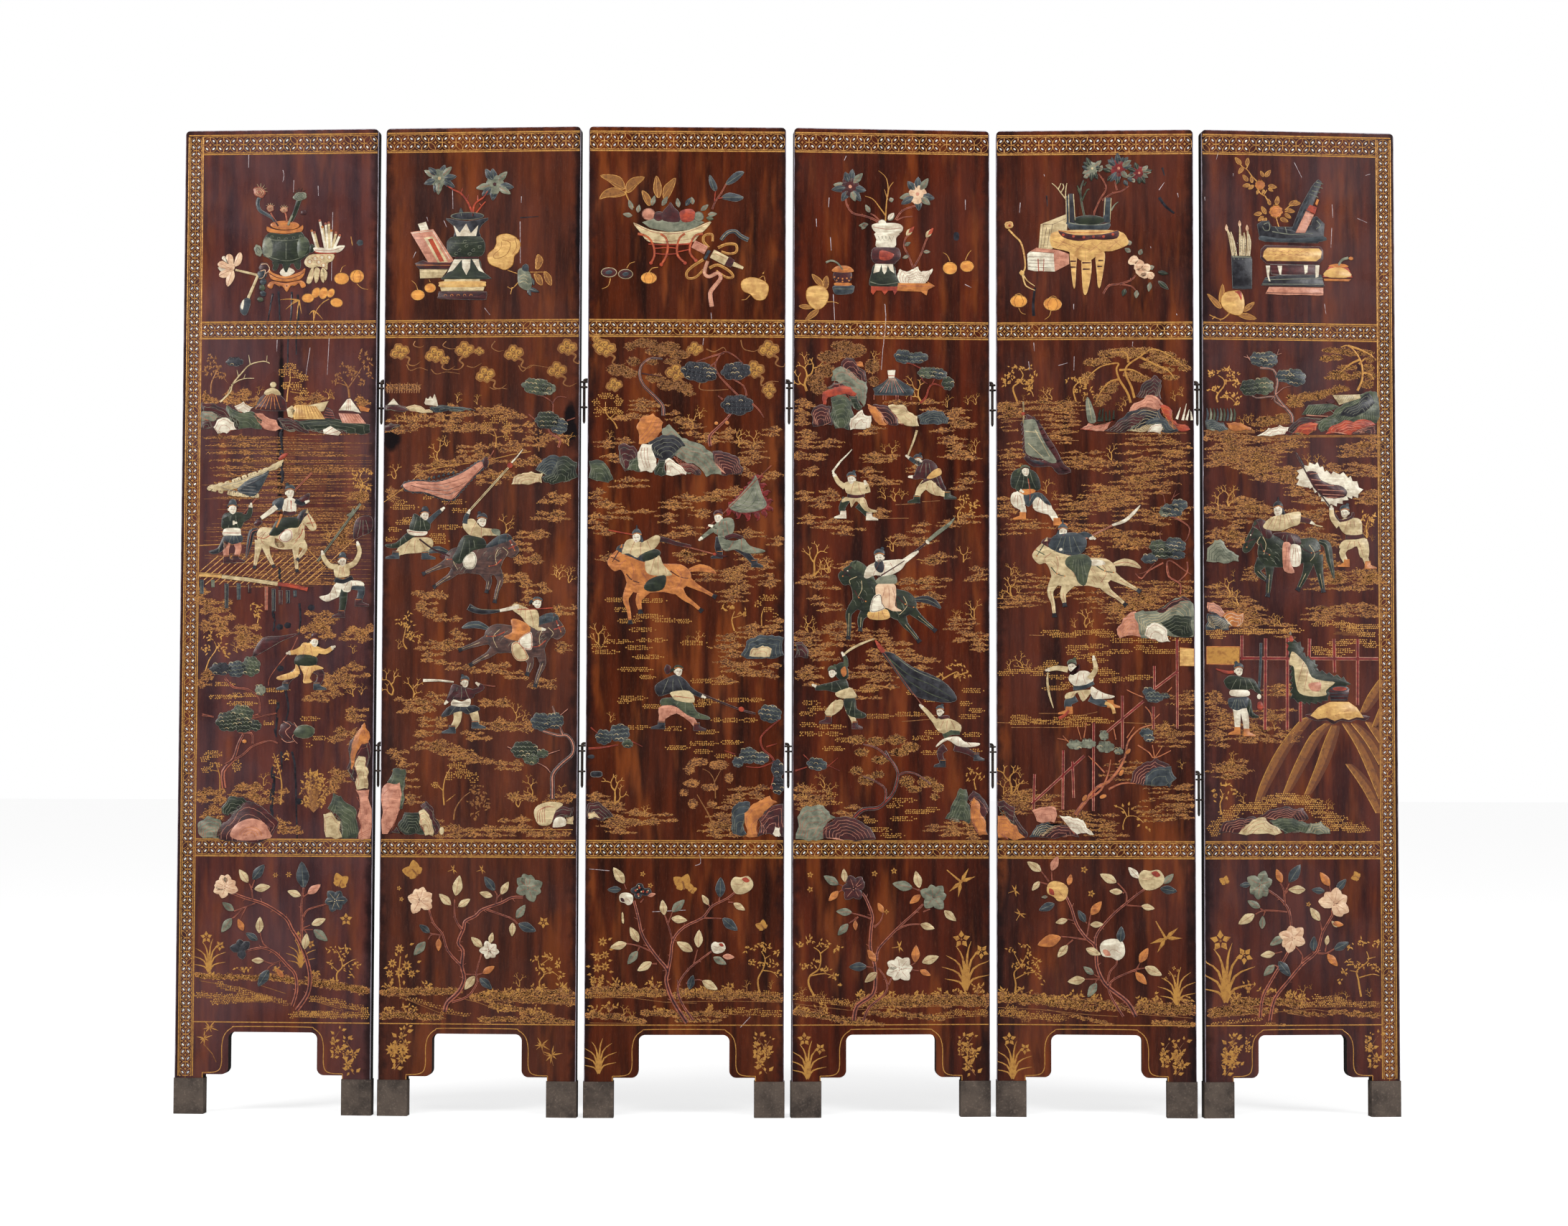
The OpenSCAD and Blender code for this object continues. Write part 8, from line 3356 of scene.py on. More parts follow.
def far_bank_3(plane: LeafPlane) -> None:
    """Gilds leaf 3's far bank."""
    gilt = Gilding(plane, "far_bank_3", 67)
    for spot, rx, rz in (
        ((106, 1425), 22, 9), ((150, 1419), 20, 9), ((78, 1419), 10, 8), ((131, 1410), 24, 9),
        ((169, 1404), 20, 8), ((84, 1391), 12, 9), ((56, 1375), 22, 11), ((78, 1369), 15, 9),
        ((119, 1391), 10, 8), ((156, 1391), 16, 6), ((125, 1360), 18, 8), ((150, 1347), 20, 10),
        ((175, 1344), 18, 10), ((188, 1332), 12, 5)
    ):
        gilt.crown(Mark.TICK, *spot, rx, rz, Tint.DULL)
        gilt.crown(Mark.TICK, *spot, rx, rz, Tint.DULL)
    gilt.tree(
        Mark.DOT,
        [
            [(55, 1266), (49, 1278), (35, 1294), (33, 1316)], [(41, 1285), (54, 1297)],
            [(35, 1297), (19, 1310)]
        ],
        [
            ((38, 1327), 20, 6), ((16, 1316), 8, 8), ((58, 1316), 9, 8), ((41, 1300), 20, 6),
            ((19, 1297), 8, 10), ((60, 1294), 7, 7)
        ],
        2.8
    )
    for spot, breadth in (
        ((100, 1310), 60), ((116, 1316), 60), ((82, 1291), 60), ((163, 1291), 40), ((70, 1247), 40),
        ((51, 1216), 40), ((38, 1241), 40), ((188, 1285), 60), ((201, 1266), 60), ((241, 1253), 60),
        ((257, 1260), 40), ((288, 1209), 50), ((304, 1222), 60), ((307, 1241), 60), ((288, 1191), 40),
        ((79, 1169), 80), ((23, 1147), 50), ((33, 1128), 60), ((70, 1109), 90), ((17, 1103), 50),
        ((151, 1103), 50), ((195, 1141), 90), ((176, 1131), 60), ((242, 1147), 60), ((273, 1153), 40),
        ((220, 1115), 50), ((152, 1069), 60), ((180, 1081), 60), ((24, 1081), 50), ((308, 1075), 60),
        ((345, 1062), 30), ((33, 1031), 40), ((195, 1031), 60), ((177, 1037), 40), ((308, 1034), 60),
        ((336, 1022), 50), ((335, 1184), 60), ((347, 1266), 40)
    ):
        gilt.drift(*spot, breadth, 2)
    for spot, high in (
        ((193, 1266), 36), ((279, 1234), 36), ((307, 1234), 34), ((41, 1247), 20), ((207, 1285), 24)
    ):
        gilt.shrub(*spot, high)
    gilt.build("front_lacquer")


def trees_3(plane: LeafPlane) -> None:
    """Cuts leaf 3's trees."""
    work = Treasures(plane, "trees_3", 68)
    work.limb(
        Tint.WINE,
        [
            (140, 1291), (138, 1310), (122, 1328), (103, 1347), (96, 1366), (100, 1385), (116, 1397),
            (138, 1396)
        ],
        [6, 2], 1.3
    )
    work.score(
        [(140, 1291), (138, 1310), (122, 1328), (103, 1347), (96, 1366), (100, 1385), (116, 1397)], 1.2,
        Tint.ROSE, 1.32, steps=3
    )
    work.limb(Tint.WINE, [(100, 1369), (119, 1366), (138, 1363)], [2.6, 1.2], 1.2)
    work.pine(
        [
            [(227, 1234), (226, 1253), (241, 1269), (257, 1285), (268, 1300)],
            [(279, 1328), (257, 1350), (241, 1369), (236, 1388), (252, 1410), (275, 1400), (291, 1382)],
            [(252, 1408), (225, 1400), (200, 1391)], [(294, 1328), (288, 1347), (266, 1360)],
            [(304, 1314), (316, 1303), (326, 1288)], [(250, 1321), (241, 1328)], [(238, 1391), (225, 1382)]
        ],
        [(Tint.INK, (206, 1372), 27, 15), (Tint.INK, (274, 1374), 22, 13), (Tint.INK, (277, 1311), 24, 15)],
        6.5
    )
    work.fruit(Tint.APRICOT, 238, 1277, 4)
    work.fruit(Tint.APRICOT, 258, 1278, 4.4)
    work.build("inlay_stone", plane.inlays)


def island_3(plane: LeafPlane) -> None:
    """Cuts leaf 3's island."""
    work = Treasures(plane, "island_3", 69)
    work.rock(
        Tint.APRICOT,
        [(95, 1238), (91, 1266), (97, 1285), (121, 1295), (140, 1278), (138, 1263), (113, 1241)], 1, 0, 1.7
    )
    for k in range(3):
        work.score(
            [(95 + 5 * k, 1247 - 2 * k), (113 + 6 * k, 1269 - 3 * k), (122 + 6 * k, 1288 - 4 * k)], 1.2,
            Tint.BARK, 1.72, steps=3
        )
    work.rock(
        Tint.WINE, [(58, 1234), (70, 1238), (85, 1234), (93, 1219), (82, 1203), (70, 1187), (60, 1209)], 2, 3
    )
    work.rock(Tint.MOSS, [(70, 1189), (79, 1209), (95, 1214), (96, 1186)], 3, 2)
    work.rock(
        Tint.SAGE,
        [
            (138, 1266), (151, 1275), (165, 1260), (188, 1244), (220, 1228), (245, 1203), (257, 1181),
            (220, 1177), (195, 1203), (163, 1216), (138, 1241)
        ],
        4, 5
    )
    work.rock(
        Tint.INK, [(113, 1241), (138, 1255), (166, 1252), (182, 1234), (163, 1219), (145, 1209), (126, 1213)],
        5, 4, 1.65
    )
    work.rock(
        Tint.WINE,
        [(232, 1225), (257, 1222), (279, 1213), (288, 1194), (285, 1183), (248, 1181), (235, 1203)], 6, 5,
        1.6, Tint.ROSE
    )
    work.rock(Tint.WINE, [(163, 1203), (192, 1203), (210, 1187), (209, 1181), (176, 1181)], 7, 2)
    work.rock(Tint.JADE, [(123, 1191), (132, 1209), (145, 1209), (146, 1181), (125, 1181)], 8, 2)
    work.rock(
        Tint.IVORY,
        [(93, 1222), (101, 1238), (121, 1239), (124, 1216), (128, 1197), (120, 1185), (98, 1186), (94, 1203)],
        9, 0, 1.8
    )
    for k in range(3):
        work.score(
            [(101 + 5 * k, 1231), (99 + 6 * k, 1216), (106 + 5 * k, 1194)], 1.0, Tint.BARK, 1.82, steps=3
        )
    work.rock(
        Tint.IVORY, [(143, 1206), (151, 1213), (163, 1203), (184, 1186), (182, 1181), (146, 1181)], 10, 2,
        1.75
    )
    work.rock(Tint.MOSS, [(3, 1206), (20, 1208), (42, 1187), (48, 1172), (39, 1166), (3, 1175)], 11, 3)
    work.build("inlay_stone", plane.inlays)


# The flag bearer, the rider on the orange horse and the spearman.


def bearer_3(plane: LeafPlane) -> None:
    """Cuts leaf 3's bearer."""
    work = Treasures(plane, "bearer_3", 70)
    work.pole([(220, 1081), (264, 1122), (310, 1169), (340, 1199)], 1.8)
    work.fringe(
        Tint.CRIMSON,
        [
            (261, 1122), (276, 1137), (304, 1169), (312, 1180), (323, 1147), (332, 1125), (314, 1114),
            (282, 1111)
        ],
        4.6, 7
    )
    work.banner(
        Tint.SAGE,
        [
            (261, 1122), (276, 1137), (304, 1169), (312, 1180), (323, 1147), (332, 1125), (314, 1114),
            (282, 1111)
        ],
        Tint.CRIMSON, [(257, 1119), (289, 1109), (320, 1111), (335, 1125), (323, 1153), (315, 1180)], 12, 10
    )
    for line in ([(267, 1120), (289, 1128), (307, 1156)], [(276, 1114), (304, 1125), (315, 1153)]):
        work.score(line, 1.0, Tint.MOSS, 1.57, steps=3)
    work.leg(Tint.INK, [(245, 1065), (242, 1047), (245, 1034)], 14, Tint.INK, -1)
    work.leg(Tint.INK, [(273, 1050), (292, 1037), (309, 1018)], 14, Tint.INK)
    work.cloth(
        Tint.SAGE,
        [
            (242, 1069), (255, 1062), (273, 1059), (289, 1064), (301, 1050), (328, 1042), (323, 1037),
            (295, 1036), (276, 1043), (255, 1040), (245, 1053)
        ],
        1.6
    )
    work.cloth(
        Tint.SAGE,
        [
            (236, 1089), (251, 1100), (267, 1101), (272, 1090), (270, 1075), (258, 1064), (242, 1069),
            (231, 1078)
        ],
        1.7
    )
    work.sash(Tint.WINE, [(255, 1064), (270, 1069), (286, 1064)], 8)
    work.arm(Tint.SAGE, [(239, 1084), (226, 1075), (212, 1064)], 10)
    work.arm(Tint.SAGE, [(258, 1087), (242, 1083), (231, 1086)], 9)
    work.head(242, 1101, Hat.CAP, Tint.WINE, -1, size=0.95)
    work.build("inlay_stone", plane.inlays)


def rider_3(plane: LeafPlane) -> None:
    """Cuts leaf 3's rider."""
    work = Treasures(plane, "rider_3", 71)
    work.halberd(*((152, 1056), (236, 1034)), 24, Tint.WINE)
    work.horse(
        132, 993, 1.05, -1, Tint.APRICOT, Tint.SLATE, run=True, turn=8, under=Tint.WINE, tail=Tint.APRICOT
    )
    work.smooth(Tint.JADE, [(143, 996), (147, 984), (140, 968), (118, 964), (105, 971), (115, 987)], 1.8)
    work.cloth(
        Tint.BONE, [(111, 1034), (133, 1032), (141, 1015), (158, 996), (140, 993), (115, 996), (107, 1009)],
        1.8
    )
    work.smooth(Tint.JADE, [(102, 1034), (124, 1043), (136, 1037), (127, 1026), (105, 1020)], 1.85)
    work.cloth(
        Tint.BONE,
        [
            (71, 1056), (83, 1062), (102, 1056), (127, 1069), (136, 1062), (124, 1043), (102, 1034),
            (93, 1026), (77, 1034), (64, 1034)
        ],
        1.75
    )
    work.limb(Tint.WINE, [(135, 1062), (149, 1059), (164, 1054), (192, 1048)], [9, 5], 1.8)
    work.limb(Tint.CORAL, [(39, 1078), (83, 1070)], [2.4, 2.4], 1.6)
    work.head(92, 1064, Hat.HELM, Tint.SLATE, -1, size=1.05)
    work.build("inlay_stone", plane.inlays)


def spearman_3(plane: LeafPlane) -> None:
    """Cuts leaf 3's spearman."""
    work = Treasures(plane, "spearman_3", 72)
    work.pole([(147, 804), (221, 772), (282, 748), (312, 740)], 2.6, Tint.WINE)
    work.cut(Tint.CORAL, ellipse(286, 748, 5.6, 4.6, -20, 12), 1.8)
    work.leg(Tint.ROSE, [(154, 753), (142, 740), (139, 719)], 17, Tint.INK, -1)
    work.leg(Tint.ROSE, [(177, 743), (191, 733), (204, 716)], 15, Tint.WINE)
    work.cloth(
        Tint.ROSE, [(134, 750), (157, 755), (181, 743), (201, 729), (194, 723), (167, 740), (140, 728)], 1.4
    )
    work.cloth(
        Tint.MOSS,
        [
            (140, 767), (167, 768), (194, 760), (204, 743), (226, 734), (225, 729), (194, 733), (174, 746),
            (164, 755), (139, 755)
        ],
        1.6
    )
    work.cloth(
        Tint.INK,
        [(127, 790), (147, 804), (167, 811), (184, 800), (194, 784), (181, 777), (154, 777), (134, 772)], 1.7
    )
    work.smooth(Tint.BONE, [(156, 780), (191, 782), (199, 760), (167, 763), (159, 770)], 1.82)
    work.score([(162, 772), (196, 768)], 1.2, Tint.CORAL, 1.84)
    work.arm(Tint.INK, [(177, 797), (197, 780), (214, 772)], 10)
    work.cut(Tint.WINE, scallop(150, 821, 6, 9, 5), 1.5)
    work.head(170, 817, Hat.WRAP, Tint.JADE, 1, size=0.95)
    work.build("inlay_stone", plane.inlays)


# The lower garden: dotted gilt drifts, pines and rocks.


def garden_gilt_3(plane: LeafPlane) -> None:
    """Gilds leaf 3's garden gilt."""
    gilt = Gilding(plane, "garden_gilt_3", 73)
    for spot, rx in (
        ((52, 949), 20), ((119, 948), 30), ((65, 931), 16), ((113, 919), 28), ((79, 910), 24),
        ((146, 912), 26), ((103, 894), 26), ((180, 910), 14), ((120, 875), 30), ((59, 872), 28),
        ((197, 870), 26), ((22, 863), 16), ((96, 861), 26), ((36, 853), 26), ((113, 844), 30),
        ((90, 821), 34), ((113, 807), 16), ((214, 800), 24), ((248, 797), 22), ((86, 768), 28),
        ((70, 762), 14), ((124, 753), 22), ((228, 763), 26), ((282, 765), 26), ((315, 765), 14),
        ((258, 728), 30), ((97, 714), 26), ((161, 712), 22), ((302, 728), 14), ((221, 706), 24),
        ((168, 677), 24), ((215, 685), 30), ((268, 687), 22), ((215, 670), 18), ((255, 662), 20),
        ((211, 756), 18)
    ):
        gilt.crown(Mark.DOT, *spot, rx, 4.6, Tint.GOLD)
    for spot, breadth in (
        ((257, 1000), 90), ((298, 1007), 60), ((281, 980), 60), ((341, 990), 40), ((281, 960), 60),
        ((315, 895), 60), ((342, 905), 50), ((264, 878), 50), ((264, 858), 60), ((275, 831), 60),
        ((298, 824), 50), ((335, 824), 40), ((254, 811), 40), ((30, 584), 50), ((47, 567), 50),
        ((74, 550), 60), ((121, 547), 80), ((64, 536), 60), ((282, 594), 40), ((316, 597), 50),
        ((269, 570), 50), ((255, 547), 60), ((266, 530), 60), ((235, 530), 40)
    ):
        gilt.drift(*spot, breadth, 3)
    for spot, high, lean in (
        ((22, 868), 42, 0), ((32, 868), 26, -0.3), ((204, 872), 24, -0.4), ((54, 574), 60, 0),
        ((109, 550), 24, 0), ((46, 723), 22, 0), ((187, 872), 14, 0)
    ):
        gilt.shrub(*spot, high, lean)
    gilt.tree(
        Mark.LEAF, [[(273, 892), (268, 912), (273, 929)], [(269, 916), (288, 922)]],
        [((269, 936), 8, 6), ((252, 936), 8, 5), ((289, 926), 8, 7)], 3
    )
    gilt.tree(
        Mark.DOT, [[(323, 902), (323, 922), (328, 936)]],
        [((335, 954), 17, 6), ((315, 943), 8, 7), ((335, 932), 10, 5), ((348, 922), 6, 5)], 2.4
    )
    gilt.tree(
        Mark.TICK,
        [
            [(235, 533), (225, 557), (215, 574), (205, 591)],
            [(239, 584), (237, 614), (228, 631), (215, 638)], [(237, 614), (248, 635)],
            [(222, 567), (239, 570)]
        ],
        [
            ((208, 651), 18, 8), ((191, 638), 10, 12), ((245, 645), 18, 9), ((264, 621), 8, 10),
            ((195, 611), 15, 8), ((228, 604), 16, 7), ((181, 594), 8, 8), ((198, 574), 9, 10),
            ((232, 574), 10, 5)
        ],
        3.4, Tint.DULL
    )
    gilt.build("front_lacquer")


def pines_3(plane: LeafPlane) -> None:
    """Cuts leaf 3's pines."""
    work = Treasures(plane, "pines_3", 74)
    work.pine(
        [[(5, 675), (30, 677), (60, 682)], [(9, 714), (23, 702)], [(84, 689), (104, 679)]],
        [(Tint.SLATE, (33, 696), 12, 11), (Tint.SLATE, (62, 704), 15, 13), (Tint.MOSS, (77, 684), 8, 6)], 4,
        Tint.CORAL
    )
    work.pine(
        [
            [(341, 601), (349, 635), (344, 658), (326, 675), (322, 696), (336, 712), (356, 729)],
            [(346, 651), (319, 641), (295, 643)], [(332, 679), (352, 685)], [(275, 665), (255, 672)]
        ],
        [
            (Tint.SLATE, (339, 740), 17, 13), (Tint.SLATE, (299, 663), 13, 12),
            (Tint.SLATE, (322, 658), 12, 9), (Tint.SLATE, (280, 650), 8, 7), (Tint.INK, (353, 638), 9, 14),
            (Tint.INK, (354, 609), 9, 14)
        ],
        4.4, Tint.CORAL
    )
    work.build("inlay_stone", plane.inlays)


def rocks_3(plane: LeafPlane) -> None:
    """Cuts leaf 3's rocks."""
    work = Treasures(plane, "rocks_3", 75)
    work.rock(
        Tint.SLATE, [(285, 848), (295, 872), (315, 883), (342, 885), (364, 880), (364, 848), (332, 843)], 1, 3
    )
    work.rock(Tint.BONE, [(300, 846), (306, 861), (325, 866), (342, 860), (338, 844), (318, 844)], 2, 2, 1.8)
    work.rock(Tint.WINE, [(5, 574), (24, 577), (41, 563), (51, 550), (31, 543), (5, 547)], 3, 3)
    work.rock(Tint.BONE, [(6, 557), (17, 560), (29, 547), (6, 546)], 4, 1, 1.7)
    work.rock(
        Tint.SLATE, [(271, 567), (282, 577), (302, 577), (292, 547), (296, 519), (272, 519), (269, 543)], 5, 3
    )
    work.rock(
        Tint.APRICOT,
        [(292, 557), (316, 577), (339, 589), (353, 577), (329, 560), (316, 540), (316, 514), (296, 514)], 6,
        2, 1.75
    )
    work.rock(Tint.WINE, [(319, 547), (336, 567), (363, 574), (363, 514), (316, 514)], 7, 3, 1.6, Tint.ROSE)
    work.rock(Tint.IVORY, [(344, 519), (348, 533), (358, 531), (360, 516), (350, 514)], 8, 0, 1.8)
    work.cut(Tint.INK, scallop(20, 628, 12, 6, 4), 0.9)
    work.cut(Tint.INK, scallop(10, 660, 7, 4, 3), 0.9)
    work.build("inlay_stone", plane.inlays)


# ---------------------------------------------------------------- leaf 4


# The lobed vase with roses, the rock tray, box and peach.


def rose_vase_4(plane: LeafPlane) -> None:
    """Cuts leaf 4's rose vase."""
    work = Treasures(plane, "rose_vase_4", 81)
    work.branch(
        [(161, 1654), (146, 1662), (129, 1667), (111, 1671), (100, 1684), (97, 1700), (101, 1714)], 3.4, 2.4
    )
    work.branch([(190, 1660), (201, 1676), (217, 1684), (233, 1689), (242, 1696)], 3.2, 2)
    work.branch([(161, 1657), (151, 1667), (143, 1671)], 2, 1.4, False)
    work.branch([(192, 1659), (204, 1665), (222, 1667)], 2, 1, False)
    work.posy(Tint.SLATE, Tint.WINE, 105, 1721, 32, Tint.ROSE, 9)
    work.posy(Tint.SLATE, Tint.BLUSH, 231, 1709, 33, Tint.ROSE, 8)
    for spot, turn, long in (
        ((142, 1673), 120, 17), ((139, 1651), 190, 18), ((134, 1653), 240, 14), ((176, 1659), 40, 16),
        ((178, 1696), 20, 9)
    ):
        work.leaf(Tint.SAGE, *spot, long, 9, turn, 1.3)
    work.leaf(Tint.IVORY, 176, 1660, 17, 10, 50)
    work.fruit(Tint.IVORY, 165, 1654, 8, 0.8)
    for blade in (
        [(171, 1657), (173, 1692), (176, 1717), (172, 1739), (158, 1752)],
        [(172, 1667), (161, 1682), (148, 1698), (133, 1704)], [(175, 1704), (178, 1720), (186, 1731)],
        [(175, 1698), (169, 1717)]
    ):
        work.stroke(Tint.GOLD, blade, 2.6, 0.8, steps=4)
    work.smooth(
        Tint.IVORY,
        [
            (145, 1648), (154, 1653), (175, 1654), (195, 1653), (204, 1646), (198, 1635), (175, 1632),
            (153, 1636)
        ],
        1.6
    )
    work.score([(148, 1646), (175, 1642), (201, 1645)], 1.2, Tint.BARK, 1.62, steps=4)
    work.smooth(
        Tint.IVORY, [(153, 1636), (196, 1635), (191, 1626), (188, 1608), (155, 1608), (154, 1623)], 1.65
    )
    for k in range(4):
        work.score(place([(157, 1629), (162, 1620), (166, 1629)], k * 6.8, 0), 0.9, Tint.SAGE, 1.67)
    work.smooth(
        Tint.WINE,
        [
            (153, 1608), (190, 1608), (198, 1601), (199, 1590), (192, 1582), (185, 1577), (156, 1577),
            (146, 1585), (145, 1598)
        ],
        1.75
    )
    work.smooth(Tint.CORAL, [(160, 1602), (176, 1601), (188, 1595), (179, 1584), (160, 1585)], 1.85)
    work.smooth(
        Tint.JADE,
        [
            (152, 1576), (185, 1576), (191, 1554), (198, 1541), (188, 1535), (148, 1535), (141, 1541),
            (145, 1559)
        ],
        1.6
    )
    work.cut(Tint.IVORY, [(152, 1577), (164, 1577), (160, 1562), (148, 1559)], 1.75)
    work.cut(Tint.IVORY, [(163, 1577), (176, 1577), (173, 1562), (169, 1557), (165, 1563)], 1.78)
    work.cut(Tint.IVORY, [(174, 1577), (185, 1577), (188, 1559), (179, 1565)], 1.75)
    work.score([(143, 1543), (166, 1538), (196, 1543)], 1.4, Tint.SAGE, 1.62, steps=3)
    work.cut(
        Tint.CORAL,
        [
            (144, 1535), (194, 1535), (193, 1526), (188, 1519), (185, 1527), (176, 1527), (170, 1519),
            (164, 1527), (154, 1527), (148, 1519), (144, 1524)
        ],
        1.5
    )
    work.build("inlay_stone", plane.inlays)


def rock_tray_4(plane: LeafPlane) -> None:
    """Cuts leaf 4's rock tray."""
    work = Treasures(plane, "rock_tray_4", 82)
    work.branch([(223, 1570), (215, 1592), (206, 1610), (209, 1626), (215, 1632)], 3, 2.4, False)
    work.branch([(224, 1571), (237, 1595), (245, 1617), (250, 1628)], 3, 2.4, False)
    for spot, turn in (((214, 1635), 50), ((251, 1632), 55)):
        work.leaf(Tint.BONE, *place([(-4, -4)], *spot, 0)[0], 19, 10, turn, 1.6)
        work.leaf(Tint.CORAL, *spot, 17, 7, turn, 1.8)
    for spot, turn in (((207, 1612), 30), ((215, 1593), 200), ((242, 1601), 0)):
        work.leaf(Tint.SAGE, *spot, 13, 7, turn, 1.4)
    work.rock(
        Tint.IVORY,
        [
            (198, 1568), (210, 1563), (223, 1568), (232, 1573), (238, 1563), (259, 1570), (254, 1557),
            (245, 1541), (199, 1541), (193, 1554)
        ],
        3, 4
    )
    work.cut(
        Tint.APRICOT,
        [
            (194, 1542), (251, 1542), (248, 1546), (264, 1537), (251, 1530), (248, 1519), (238, 1526),
            (193, 1527)
        ],
        1.7
    )
    work.score([(194, 1537), (248, 1536), (262, 1537)], 1.2, Tint.BARK, 1.72)
    work.build("inlay_stone", plane.inlays)


def box_4(plane: LeafPlane) -> None:
    """Cuts leaf 4's box."""
    work = Treasures(plane, "box_4", 83)
    work.cut(Tint.WINE, ellipse(91, 1554, 17.4, 15.6, 0, 20), 1.5)
    work.smooth(Tint.APRICOT, [(71, 1562), (79, 1571), (91, 1573), (104, 1571), (112, 1562), (91, 1559)], 1.7)
    work.smooth(Tint.APRICOT, [(76, 1540), (91, 1541), (107, 1540), (105, 1535), (79, 1535)], 1.7)
    for x0, z0 in (
        (76, 1551), (83, 1549), (91, 1548), (99, 1549), (107, 1551), (80, 1545), (91, 1543), (103, 1545)
    ):
        work.dot(Tint.APRICOT, x0, z0, 1.7, 1.52)
    work.smooth(Tint.SLATE, [(76, 1535), (110, 1536), (112, 1529), (107, 1521), (80, 1519), (74, 1526)], 1.6)
    work.score([(76, 1529), (110, 1529)], 1.2, Tint.SAGE, 1.62)
    work.limb(Tint.SAGE, [(91, 1565), (82, 1577), (70, 1582), (60, 1578)], [2.6, 4], 1.8)
    work.build("inlay_stone", plane.inlays)


def gilt_fruit_4(plane: LeafPlane) -> None:
    """Cuts leaf 4's gilt fruit."""
    work = Treasures(plane, "gilt_fruit_4", 84)
    work.gilt_fruit(292, 1571, 12.8, 0.86)
    work.gilt_fruit(324, 1575, 12.2, 0.82)
    work.stroke(Tint.GOLD, [(292, 1584), (287, 1595), (279, 1600)], 1.7, 0.8, steps=3)
    work.stroke(Tint.GOLD, [(321, 1587), (326, 1598), (332, 1605)], 1.7, 0.8, steps=3)
    pear = spline(
        [(26, 1529), (40, 1534), (55, 1533), (65, 1519), (60, 1501), (46, 1490), (32, 1496), (24, 1512)], 3,
        closed=True
    )
    work.cut(Tint.HONEY, pear, 0.8)
    work.stroke(Tint.GOLD, pear + pear[:1], 1.4, high=0.9)
    for leaf in (
        [(52, 1534), (41, 1541), (34, 1556), (49, 1548), (55, 1538)],
        [(55, 1534), (55, 1545), (62, 1553), (65, 1541), (62, 1530)],
        [(38, 1494), (22, 1491), (10, 1496), (22, 1499)], [(46, 1490), (41, 1479), (22, 1469), (32, 1485)]
    ):
        work.painted(leaf)
    work.stroke(Tint.GOLD, [(58, 1504), (72, 1505), (84, 1502)], 2, 1, steps=3)
    for run in (
        [(170, 1502), (172, 1476), (168, 1429), (163, 1379)], [(66, 1700), (65, 1682)],
        [(321, 1700), (321, 1681)], [(68, 1626), (70, 1601)], [(74, 1519), (77, 1466)],
        [(42, 1660), (43, 1645)], [(98, 1779), (94, 1770)], [(320, 1541), (332, 1535)]
    ):
        work.crack(run, 1.4)
    work.fleck(Tint.SOOT, scallop(304, 1631, 6, 9, 4), 0.02, 0.1)
    work.build("inlay_stone")


# The high rock, the pavilion and the pine.


def far_bank_4(plane: LeafPlane) -> None:
    """Gilds leaf 4's far bank."""
    gilt = Gilding(plane, "far_bank_4", 86)
    for spot, rx, rz in (
        ((91, 1423), 22, 10), ((119, 1416), 18, 10), ((66, 1401), 22, 12), ((59, 1376), 18, 14),
        ((41, 1357), 16, 12), ((50, 1341), 18, 10), ((147, 1385), 14, 14), ((150, 1357), 10, 10),
        ((97, 1407), 30, 8)
    ):
        gilt.crown(Mark.TICK, *spot, rx, rz, Tint.DULL)
        gilt.crown(Mark.TICK, *spot, rx, rz, Tint.DULL)
    for spot, breadth in (
        ((25, 1319), 40), ((18, 1301), 40), ((18, 1282), 40), ((34, 1263), 50), ((25, 1244), 50),
        ((40, 1222), 80), ((75, 1244), 50), ((27, 1191), 40), ((146, 1222), 70), ((171, 1216), 60),
        ((65, 1153), 40), ((24, 1147), 50), ((65, 1134), 60), ((159, 1175), 80), ((140, 1188), 50),
        ((33, 1100), 60), ((74, 1094), 80), ((102, 1084), 60), ((158, 1113), 40), ((269, 1316), 60),
        ((309, 1307), 60), ((328, 1282), 60), ((303, 1288), 60), ((284, 1263), 60), ((303, 1244), 50),
        ((321, 1222), 50), ((296, 1228), 40), ((315, 1169), 60), ((321, 1185), 40), ((330, 1106), 60),
        ((283, 1097), 60), ((243, 1087), 40), ((252, 1062), 60), ((277, 1034), 60), ((246, 1028), 50),
        ((199, 1066), 60), ((102, 1019), 50), ((147, 1269), 60), ((197, 1319), 60), ((231, 1197), 40)
    ):
        gilt.drift(*spot, breadth, 2)
    gilt.tree(
        Mark.LEAF, [[(308, 1100), (307, 1113), (318, 1131), (316, 1144)]],
        [
            ((318, 1142), 10, 7), ((335, 1128), 10, 6), ((312, 1122), 8, 6), ((327, 1113), 10, 6),
            ((340, 1131), 6, 8)
        ],
        2.6
    )
    for spot, high, lean in (
        ((25, 1338), 68, 0), ((22, 1388), 28, 0.2), ((150, 1391), 28, 0), ((184, 1222), 26, 0),
        ((171, 1225), 18, 0.3), ((190, 1134), 30, 0), ((171, 1138), 24, 0.3), ((202, 1138), 24, -0.4),
        ((237, 1322), 50, 0.2), ((287, 1310), 24, 0), ((340, 1316), 22, 0), ((325, 1316), 20, 0),
        ((340, 1225), 30, 0), ((334, 1222), 20, 0.4), ((39, 995), 62, 0), ((64, 1000), 34, 0),
        ((186, 1041), 34, 0), ((317, 1022), 34, 0)
    ):
        gilt.shrub(*spot, high, lean)
    for run in ([(240, 1134), (273, 1136)], [(190, 1128), (227, 1130)], [(155, 1102), (215, 1103)]):
        gilt.stroke(Tint.DULL, run, 1.2)
    gilt.build("front_lacquer")


